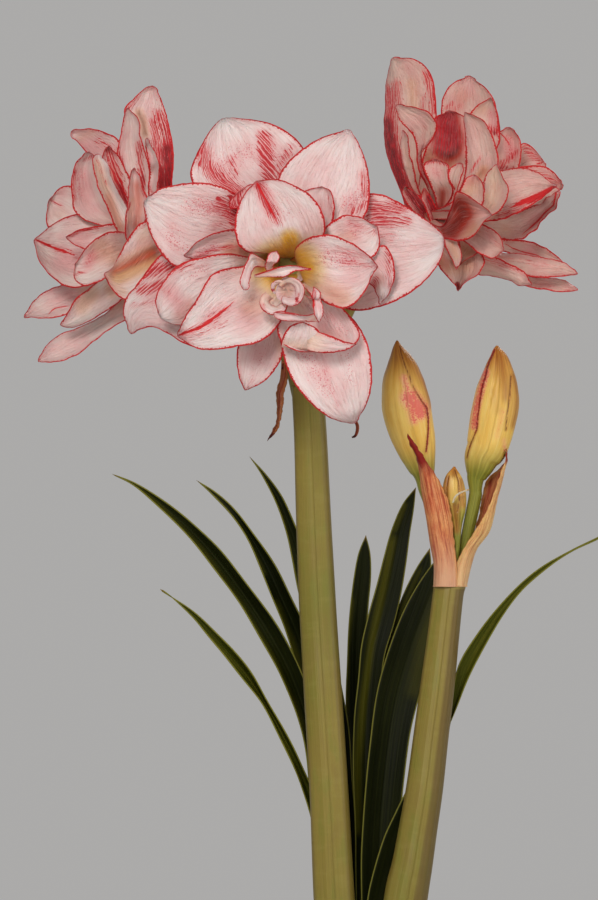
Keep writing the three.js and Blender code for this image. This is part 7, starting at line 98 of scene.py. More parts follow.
    ("right_inner_3", "right_inner_tepals", 5, "34.1,-2.0,673.0 34.4,-2.0,671.9 34.6,-2.0,670.8 34.9,-2.0,669.7 35.2,-2.0,668.6 39.4,-7.0,669.4 40.0,-8.0,668.5 40.6,-8.4,667.7 41.2,-8.7,666.9 41.7,-9.9,666.0 42.4,-12.0,670.4 43.6,-13.5,669.4 44.9,-14.0,668.4 46.2,-14.7,667.5 47.4,-16.9,666.5 40.4,-17.0,675.8 42.3,-18.3,675.0 44.1,-18.7,674.3 46.0,-19.8,673.5 47.7,-23.0,672.6 39.4,-21.0,681.2 42.1,-21.8,680.5 44.8,-22.1,679.9 47.5,-23.3,679.1 50.1,-27.1,678.2 37.3,-25.2,686.1 40.7,-25.5,685.6 44.2,-25.6,685.2 47.6,-26.8,684.6 50.9,-30.4,683.9 35.0,-28.4,690.7 38.3,-28.0,690.3 41.6,-27.8,689.9 44.8,-28.9,689.4 47.9,-32.2,688.7 33.2,-29.1,695.3 36.7,-28.3,695.0 40.2,-28.0,694.7 43.6,-28.9,694.2 47.0,-31.8,693.6 33.2,-29.5,699.4 36.6,-28.4,699.2 40.0,-28.0,699.0 43.3,-28.8,698.6 46.6,-31.2,698.1 36.9,-29.8,700.6 38.4,-28.5,700.6 39.9,-28.0,700.5 41.3,-28.6,700.3 42.7,-30.5,700.0 39.7,-30.0,701.3"),
    ("right_inner_4", "right_inner_tepals", 5, "34.1,-2.0,673.0 34.4,-2.0,672.2 34.6,-2.0,671.3 34.9,-2.0,670.5 35.2,-2.0,669.7 38.6,-11.1,674.0 39.0,-10.7,673.1 39.4,-10.5,672.2 39.8,-10.7,671.3 40.2,-11.3,670.4 43.0,-18.6,675.2 43.5,-17.9,674.3 44.0,-17.7,673.4 44.5,-18.0,672.5 45.0,-19.1,671.5 46.2,-24.6,678.0 46.8,-23.9,677.2 47.4,-23.6,676.3 48.0,-24.2,675.4 48.5,-25.8,674.4 48.3,-28.4,681.7 48.8,-27.6,681.1 49.3,-27.3,680.3 49.7,-28.1,679.6 50.1,-30.4,678.7 48.4,-31.2,685.8 49.2,-30.5,685.2 49.9,-30.2,684.6 50.6,-31.1,683.8 51.2,-34.0,683.0 46.5,-32.5,689.5 48.0,-31.7,689.0 49.5,-31.5,688.5 51.0,-32.5,687.9 52.3,-35.5,687.2 46.0,-33.0,693.3 47.9,-32.4,692.9 49.9,-32.2,692.4 51.7,-33.1,691.9 53.5,-35.8,691.2 47.5,-33.1,696.5 49.4,-32.7,696.2 51.3,-32.5,695.8 53.2,-33.3,695.4 55.0,-35.5,694.8 50.2,-33.0,698.1 51.3,-32.8,698.1 52.4,-32.8,698.1 53.4,-33.4,698.0 54.4,-35.2,697.9 52.3,-33.0,699.1"),
    ("right_inner_5", "right_inner_tepals", 5, "34.0,-4.0,674.0 34.3,-4.0,672.6 34.6,-4.0,671.2 34.9,-4.0,669.8 35.1,-4.0,668.4 37.5,-25.5,666.5 37.7,-24.2,665.6 37.8,-23.7,664.6 37.9,-24.0,663.7 38.0,-24.9,662.6 42.8,-39.4,664.2 42.6,-36.1,662.8 42.3,-35.0,661.3 41.9,-35.7,659.7 41.4,-37.7,658.0 45.6,-50.1,669.5 46.0,-44.4,666.4 46.1,-42.5,663.1 46.2,-43.8,659.6 46.1,-47.8,655.9 47.4,-56.4,675.4 48.6,-50.1,670.7 49.5,-47.9,665.6 50.3,-49.7,660.3 50.9,-55.0,654.8 49.3,-61.3,681.1 51.1,-54.6,675.1 52.8,-52.3,668.8 54.2,-54.3,662.1 55.5,-60.3,655.3 53.9,-65.5,679.9 55.5,-59.0,674.8 56.9,-56.8,669.3 58.2,-58.8,663.5 59.2,-64.6,657.5 58.5,-67.5,676.7 59.6,-62.0,673.1 60.5,-60.1,669.2 61.3,-61.9,665.1 61.8,-67.3,660.7 62.9,-68.1,673.8 63.4,-63.7,671.6 63.7,-62.2,669.3 63.9,-63.7,666.7 63.9,-68.5,664.0 66.4,-67.5,670.9 66.7,-64.3,669.9 66.8,-63.3,668.8 66.9,-64.4,667.5 66.8,-68.0,666.1 68.4,-67.0,668.2"),
    ("right_inner_6", "right_inner_tepals", 5, "35.2,-2.0,674.1 35.5,-2.0,673.0 35.8,-2.0,671.9 36.0,-2.0,670.8 36.3,-2.0,669.7 38.9,-16.2,674.5 39.7,-16.2,673.3 40.5,-16.2,672.1 41.3,-16.6,670.8 42.1,-17.7,669.5 42.6,-25.6,675.2 43.9,-25.6,673.9 45.2,-25.6,672.5 46.5,-26.2,671.2 47.7,-28.1,669.7 46.1,-32.3,676.5 47.9,-32.3,675.0 49.8,-32.3,673.5 51.5,-33.1,672.0 53.2,-35.5,670.4 49.2,-35.4,678.6 51.6,-35.4,676.9 54.0,-35.4,675.2 56.3,-36.3,673.4 58.6,-39.0,671.5 51.5,-37.8,681.4 54.5,-37.8,679.6 57.5,-37.8,677.8 60.4,-38.8,675.9 63.2,-41.7,673.9 52.8,-38.9,684.7 56.1,-38.9,683.2 59.5,-38.9,681.6 62.7,-39.9,680.0 65.9,-42.8,678.2 54.4,-39.0,687.7 57.4,-39.0,686.6 60.3,-39.0,685.5 63.2,-39.9,684.3 65.9,-42.7,683.1 55.9,-38.6,690.4 58.3,-38.6,689.8 60.6,-38.6,689.1 62.9,-39.4,688.4 65.1,-41.7,687.5 58.3,-38.2,691.7 59.4,-38.2,691.5 60.6,-38.2,691.2 61.6,-38.9,690.9 62.6,-40.7,690.5 60.3,-38.0,692.2"),
    ("right_inner_7", "right_inner_tepals", 5, "34.1,-3.0,674.1 34.3,-3.0,673.1 34.6,-3.0,672.1 34.9,-3.0,671.1 35.2,-3.0,670.2 40.7,-21.0,673.5 41.4,-21.0,672.3 42.0,-21.0,671.1 42.6,-21.4,669.9 43.2,-22.6,668.6 47.3,-34.2,673.1 48.3,-34.2,671.7 49.3,-34.2,670.3 50.2,-34.9,668.8 51.1,-37.1,667.3 53.7,-43.2,671.6 55.0,-43.4,670.2 56.3,-43.4,668.9 57.6,-44.6,667.5 58.7,-48.2,665.9 59.9,-49.7,671.0 61.5,-50.5,670.1 63.1,-50.7,669.1 64.6,-52.0,668.1 66.0,-55.7,666.9 64.1,-53.0,675.2 66.1,-54.8,674.0 68.2,-55.4,672.9 70.3,-56.6,671.7 72.3,-60.4,670.3 64.6,-55.2,681.0 67.6,-57.3,679.6 70.6,-58.0,678.4 73.7,-59.3,677.1 76.5,-63.1,675.7 64.6,-56.7,686.5 67.9,-59.0,685.3 71.3,-59.7,684.3 74.6,-60.9,683.3 77.7,-64.7,682.0 66.1,-58.2,691.3 68.4,-60.1,690.3 70.8,-60.7,689.5 73.2,-61.9,688.6 75.4,-65.6,687.6 69.1,-59.9,694.3 70.1,-61.1,693.8 71.1,-61.5,693.4 72.0,-62.6,692.9 72.8,-66.2,692.2 71.7,-61.0,696.3"),
    ("right_inner_9", "right_inner_tepals", 5, "34.1,-2.0,670.8 34.6,-2.0,671.1 35.2,-2.0,671.3 35.8,-2.0,671.6 36.3,-2.0,671.9 37.0,-16.1,667.2 37.8,-15.0,667.7 38.6,-14.6,668.1 39.4,-14.4,668.5 40.2,-13.8,669.0 39.6,-28.0,663.8 40.7,-26.1,664.4 41.8,-25.5,665.0 42.8,-25.1,665.5 43.9,-23.9,666.1 41.8,-37.5,660.1 43.1,-35.2,660.8 44.4,-34.4,661.4 45.7,-33.9,662.0 47.0,-32.3,662.7 43.2,-44.3,656.2 44.8,-41.6,657.0 46.3,-40.7,657.6 47.8,-40.1,658.2 49.4,-38.2,658.9 43.9,-49.1,652.4 45.8,-46.2,653.2 47.7,-45.2,653.8 49.5,-44.5,654.4 51.4,-42.4,655.1 45.3,-52.4,649.1 47.2,-49.4,649.7 49.0,-48.4,650.2 50.8,-47.6,650.7 52.7,-45.4,651.3 46.7,-54.3,646.1 48.4,-51.5,646.5 49.9,-50.5,646.8 51.5,-49.9,647.1 53.1,-47.8,647.5 48.1,-54.9,643.4 49.2,-52.7,643.6 50.3,-52.0,643.8 51.3,-51.5,643.9 52.4,-49.9,644.1 49.2,-54.8,641.0 49.7,-53.6,641.1 50.2,-53.1,641.2 50.7,-52.8,641.2 51.2,-51.7,641.3 50.0,-55.0,639.2"),
    ("right_inner_10", "right_inner_tepals", 5, "33.0,0.0,672.0 34.0,0.0,671.2 35.0,0.0,670.4 36.0,0.0,669.5 37.0,0.0,668.7 35.8,-5.5,667.3 37.0,-5.3,666.7 38.2,-5.2,666.1 39.4,-5.5,665.4 40.6,-6.1,664.8 38.5,-9.5,662.8 39.9,-9.0,662.5 41.4,-8.8,662.1 42.8,-9.2,661.6 44.2,-10.4,661.1 39.9,-12.6,661.6 41.2,-11.9,661.9 42.6,-11.7,662.2 44.0,-12.2,662.5 45.3,-13.5,662.7 37.8,-13.8,665.9 39.3,-13.1,666.2 40.7,-12.8,666.5 42.1,-13.3,666.8 43.4,-14.8,666.9 36.1,-14.5,670.1 37.6,-13.7,670.4 39.1,-13.5,670.7 40.5,-14.0,671.0 41.9,-15.5,671.2 34.6,-14.9,674.1 36.1,-14.1,674.4 37.6,-13.9,674.8 39.1,-14.4,675.1 40.6,-15.9,675.3 33.1,-15.0,677.9 34.6,-14.2,678.2 36.1,-14.0,678.5 37.5,-14.5,678.8 39.0,-16.0,679.0 31.8,-14.7,681.4 33.2,-13.9,681.7 34.6,-13.7,681.9 35.9,-14.2,682.1 37.2,-15.7,682.3 32.6,-14.3,684.6 33.3,-13.5,684.7 33.9,-13.3,684.8 34.6,-13.8,684.9 35.2,-15.3,684.8 33.7,-14.0,686.7"),
    ("right_inner_11", "right_inner_tepals", 5, "26.4,2.0,672.2 29.5,2.0,670.8 32.5,2.0,669.4 35.6,2.0,668.0 38.7,2.0,666.6 30.0,-1.2,670.2 33.3,-0.8,668.6 36.6,-0.7,667.0 39.9,-0.7,665.4 43.1,-0.7,663.8 33.6,-4.0,668.4 36.3,-3.2,667.7 39.0,-2.9,666.9 41.6,-2.9,666.1 44.3,-2.9,665.3 31.5,-6.0,670.7 34.1,-4.9,670.4 36.6,-4.5,670.1 39.1,-4.5,669.7 41.6,-4.5,669.3 28.6,-7.6,673.1 31.3,-6.2,673.2 33.8,-5.7,673.2 36.4,-5.7,673.2 39.0,-5.7,673.2 26.1,-9.9,675.5 28.7,-8.3,675.9 31.2,-7.7,676.3 33.8,-7.7,676.5 36.3,-7.7,676.8 24.0,-10.3,678.2 26.5,-8.5,678.8 28.9,-7.9,679.3 31.3,-7.9,679.8 33.8,-7.9,680.3 22.5,-10.6,681.0 24.7,-8.7,681.7 26.9,-8.0,682.3 29.1,-8.0,682.8 31.2,-8.0,683.4 21.5,-10.8,683.8 23.3,-8.7,684.4 25.1,-8.0,684.9 26.8,-8.0,685.4 28.5,-8.0,685.9 22.0,-10.9,686.2 22.9,-8.7,686.6 23.8,-8.0,686.8 24.7,-8.0,687.0 25.5,-8.0,687.2 23.2,-11.0,687.7"),
    ("right_bottom_fold", "right_inner_tepals", 5, "35.2,-2.0,668.6 35.8,-2.0,669.1 36.3,-2.0,669.7 36.9,-2.0,670.2 37.4,-2.0,670.8 39.0,-12.4,666.5 40.0,-13.0,666.9 40.9,-13.3,667.3 41.8,-14.1,667.6 42.7,-16.5,667.8 42.8,-20.0,664.8 44.1,-21.2,664.9 45.4,-21.6,665.1 46.7,-22.7,665.2 47.9,-26.1,665.2 46.3,-27.2,662.6 47.9,-28.8,662.5 49.5,-29.3,662.4 51.0,-30.6,662.2 52.5,-34.5,661.9 49.5,-29.0,660.2 51.3,-31.0,659.7 53.1,-31.6,659.3 54.9,-33.0,658.9 56.6,-37.1,658.3 51.7,-30.8,657.1 54.1,-33.0,656.7 56.5,-33.7,656.4 58.9,-35.2,656.1 61.1,-39.6,655.6 52.7,-30.9,653.6 55.5,-33.2,653.1 58.2,-33.9,652.6 61.0,-35.4,652.1 63.5,-39.9,651.4 53.0,-31.2,650.2 54.8,-33.3,649.7 56.7,-34.0,649.3 58.6,-35.5,648.8 60.4,-39.8,648.1 52.6,-31.5,647.1 53.6,-33.4,646.8 54.7,-34.0,646.6 55.8,-35.3,646.3 56.7,-39.0,645.9 52.2,-31.8,644.4 52.5,-33.5,644.2 53.0,-34.0,644.1 53.4,-34.9,644.0 53.7,-37.7,643.7 51.8,-32.0,642.4"),
    ("right_tepal_top_fold", "right_tepals_upper", 5, "59.3,10.0,704.2 60.1,10.0,702.5 61.0,10.0,700.8 61.8,10.0,699.1 62.7,10.0,697.5 59.2,15.2,709.8 61.4,16.2,707.8 63.4,16.6,705.8 65.5,16.4,703.8 67.5,15.8,701.7 59.0,16.4,714.9 62.3,18.3,712.8 65.5,18.9,710.5 68.7,18.5,708.1 71.9,17.4,705.7 58.8,17.1,719.9 63.0,19.5,717.6 67.2,20.3,715.3 71.3,19.7,712.8 75.4,18.1,710.2 58.7,17.6,724.6 63.5,20.3,722.4 68.4,21.2,720.1 73.1,20.5,717.6 77.8,18.6,715.1 59.6,17.9,729.0 64.3,20.8,727.1 68.9,21.8,724.9 73.4,21.1,722.7 77.8,18.9,720.2 61.8,18.0,732.7 65.8,21.0,731.1 69.6,22.0,729.3 73.4,21.2,727.3 77.1,19.0,725.1 64.6,17.9,735.7 67.7,20.7,734.4 70.7,21.6,733.0 73.7,20.9,731.4 76.5,18.8,729.7 67.7,17.9,737.7 69.8,20.2,736.9 71.8,21.0,736.0 73.7,20.4,735.0 75.6,18.5,733.8 70.7,18.0,738.9 71.6,19.8,738.7 72.5,20.4,738.3 73.3,19.8,737.8 74.1,18.2,737.2 72.9,18.0,739.7"),
    ("left_inner_3", "left_inner_tepals", 5, "-118.9,-10.0,654.7 -117.7,-10.0,655.2 -116.6,-10.0,655.8 -115.5,-10.0,656.3 -114.4,-10.0,656.9 -126.3,-34.6,652.5 -125.0,-33.2,653.7 -123.7,-32.7,654.8 -122.4,-31.7,656.0 -121.2,-28.9,657.3 -133.2,-33.5,656.5 -131.3,-31.3,658.3 -129.3,-30.6,659.9 -127.3,-29.3,661.6 -125.4,-25.6,663.5 -136.9,-37.6,663.3 -134.7,-34.8,665.0 -132.4,-33.8,666.6 -130.1,-32.4,668.3 -128.0,-28.1,670.1 -139.8,-37.9,670.4 -137.7,-35.0,671.9 -135.6,-34.0,673.3 -133.4,-32.5,674.7 -131.4,-28.0,676.3 -142.8,-38.1,677.1 -140.8,-35.0,678.4 -138.7,-34.0,679.6 -136.6,-32.5,680.8 -134.7,-28.0,682.2 -145.6,-38.1,683.6 -143.7,-35.0,684.7 -141.6,-34.0,685.6 -139.6,-32.5,686.6 -137.7,-28.0,687.8 -147.5,-37.9,689.9 -145.6,-35.0,690.9 -143.6,-34.0,691.6 -141.6,-32.5,692.5 -139.8,-28.0,693.5 -149.1,-37.7,695.8 -147.3,-34.8,696.6 -145.3,-33.9,697.2 -143.3,-32.4,697.8 -141.5,-28.0,698.7 -149.4,-35.9,701.1 -148.3,-33.2,701.5 -147.1,-32.3,701.7 -145.9,-30.8,702.0 -144.8,-26.5,702.5 -147.3,-30.0,704.5"),
    ("left_tepal_up_left", "left_tepal_up_left", 5, "-111.5,2.0,659.8 -113.5,2.0,658.7 -115.4,2.0,657.6 -117.4,2.0,656.5 -119.4,2.0,655.4 -117.5,12.4,670.1 -119.6,13.2,668.5 -121.7,13.5,666.8 -123.8,13.3,665.2 -125.9,12.5,663.4 -122.9,17.8,680.0 -125.2,19.3,677.9 -127.4,19.7,675.7 -129.7,19.3,673.5 -131.8,17.8,671.2 -127.0,21.1,689.9 -129.6,23.1,687.4 -132.1,23.8,684.7 -134.5,22.9,681.9 -136.9,20.0,679.0 -130.5,22.9,699.6 -133.4,25.2,696.6 -136.2,25.9,693.4 -138.9,24.9,690.1 -141.5,21.9,686.7 -133.7,22.3,708.8 -136.8,24.5,705.3 -139.8,25.3,701.7 -142.8,24.3,697.9 -145.6,21.3,694.0 -138.0,20.5,716.7 -141.1,22.7,712.9 -144.1,23.5,708.9 -147.0,22.5,704.8 -149.8,19.5,700.6 -145.5,18.4,720.6 -147.9,20.6,717.2 -150.2,21.3,713.7 -152.4,20.3,710.1 -154.4,17.4,706.2 -153.0,15.6,722.5 -154.4,17.7,720.0 -155.8,18.4,717.4 -157.0,17.5,714.6 -158.1,14.6,711.7 -159.7,11.9,721.6 -160.4,14.0,720.4 -161.0,14.6,719.0 -161.6,13.7,717.4 -162.0,11.0,715.7 -164.3,12.0,719.6"),
    ("left_tepal_top", "left_tepal_top", 5, "-109.2,0.0,660.8 -107.8,0.0,660.8 -106.4,0.0,660.8 -105.0,0.0,660.8 -103.6,0.0,660.8 -115.4,12.2,672.1 -112.9,13.4,672.3 -110.3,13.8,672.3 -107.7,13.5,672.4 -105.1,12.7,672.3 -120.4,19.9,683.4 -117.1,22.1,683.5 -113.7,22.8,683.5 -110.3,22.3,683.5 -106.9,20.9,683.3 -123.8,23.8,694.6 -119.9,27.4,694.6 -115.9,28.6,694.5 -111.8,27.9,694.2 -107.7,25.8,693.9 -126.6,28.4,705.6 -121.8,32.1,705.5 -116.9,33.3,705.2 -111.9,32.6,704.7 -106.9,30.4,704.1 -129.0,29.8,716.0 -123.8,33.6,715.7 -118.4,34.8,715.2 -112.9,34.1,714.5 -107.4,31.8,713.7 -132.1,30.4,725.7 -126.5,34.2,725.2 -120.8,35.5,724.5 -114.9,34.7,723.6 -109.1,32.4,722.6 -135.4,30.9,734.5 -129.4,34.7,734.0 -123.4,35.9,733.1 -117.2,35.2,732.1 -111.0,32.9,731.0 -130.2,31.5,740.8 -126.1,35.1,740.6 -121.9,36.3,740.0 -117.6,35.6,739.3 -113.3,33.5,738.5 -124.6,32.0,746.0 -122.6,35.5,746.0 -120.5,36.7,745.8 -118.3,36.0,745.3 -116.1,34.0,744.8 -119.6,35.0,748.4"),
    ("right_tepal_right_fill", "right_tepals_outer", 5, "37.9,10.0,674.9 38.0,10.0,674.1 38.2,10.0,673.3 38.3,10.0,672.4 38.4,10.0,671.6 47.0,4.3,675.9 47.2,4.3,674.5 47.4,4.3,673.1 47.7,4.3,671.6 47.9,4.3,670.2 55.9,2.1,677.1 56.2,2.1,675.1 56.5,2.1,673.1 56.9,2.1,671.1 57.2,2.1,669.1 64.6,0.9,678.4 65.0,0.9,675.9 65.4,0.9,673.5 65.8,0.9,671.0 66.2,0.9,668.5 73.0,0.2,679.7 73.5,0.2,676.8 74.0,0.2,673.9 74.5,0.2,671.1 75.0,0.2,668.2 81.0,-0.4,681.3 81.5,-0.4,678.3 82.1,-0.4,675.2 82.7,-0.4,672.1 83.3,-0.4,669.1 88.4,-0.7,683.6 89.0,-0.7,680.6 89.6,-0.7,677.5 90.3,-0.7,674.5 90.9,-0.7,671.5 95.2,-1.1,686.2 95.8,-1.1,683.3 96.4,-1.1,680.5 97.0,-1.1,677.6 97.7,-1.1,674.7 101.1,-1.5,689.3 101.6,-1.5,686.6 102.2,-1.5,684.0 102.7,-1.5,681.3 103.3,-1.5,678.7 106.6,-1.8,688.8 106.9,-1.8,687.4 107.1,-1.8,685.9 107.3,-1.8,684.5 107.5,-1.8,683.0 110.2,-2.0,686.5"),
]
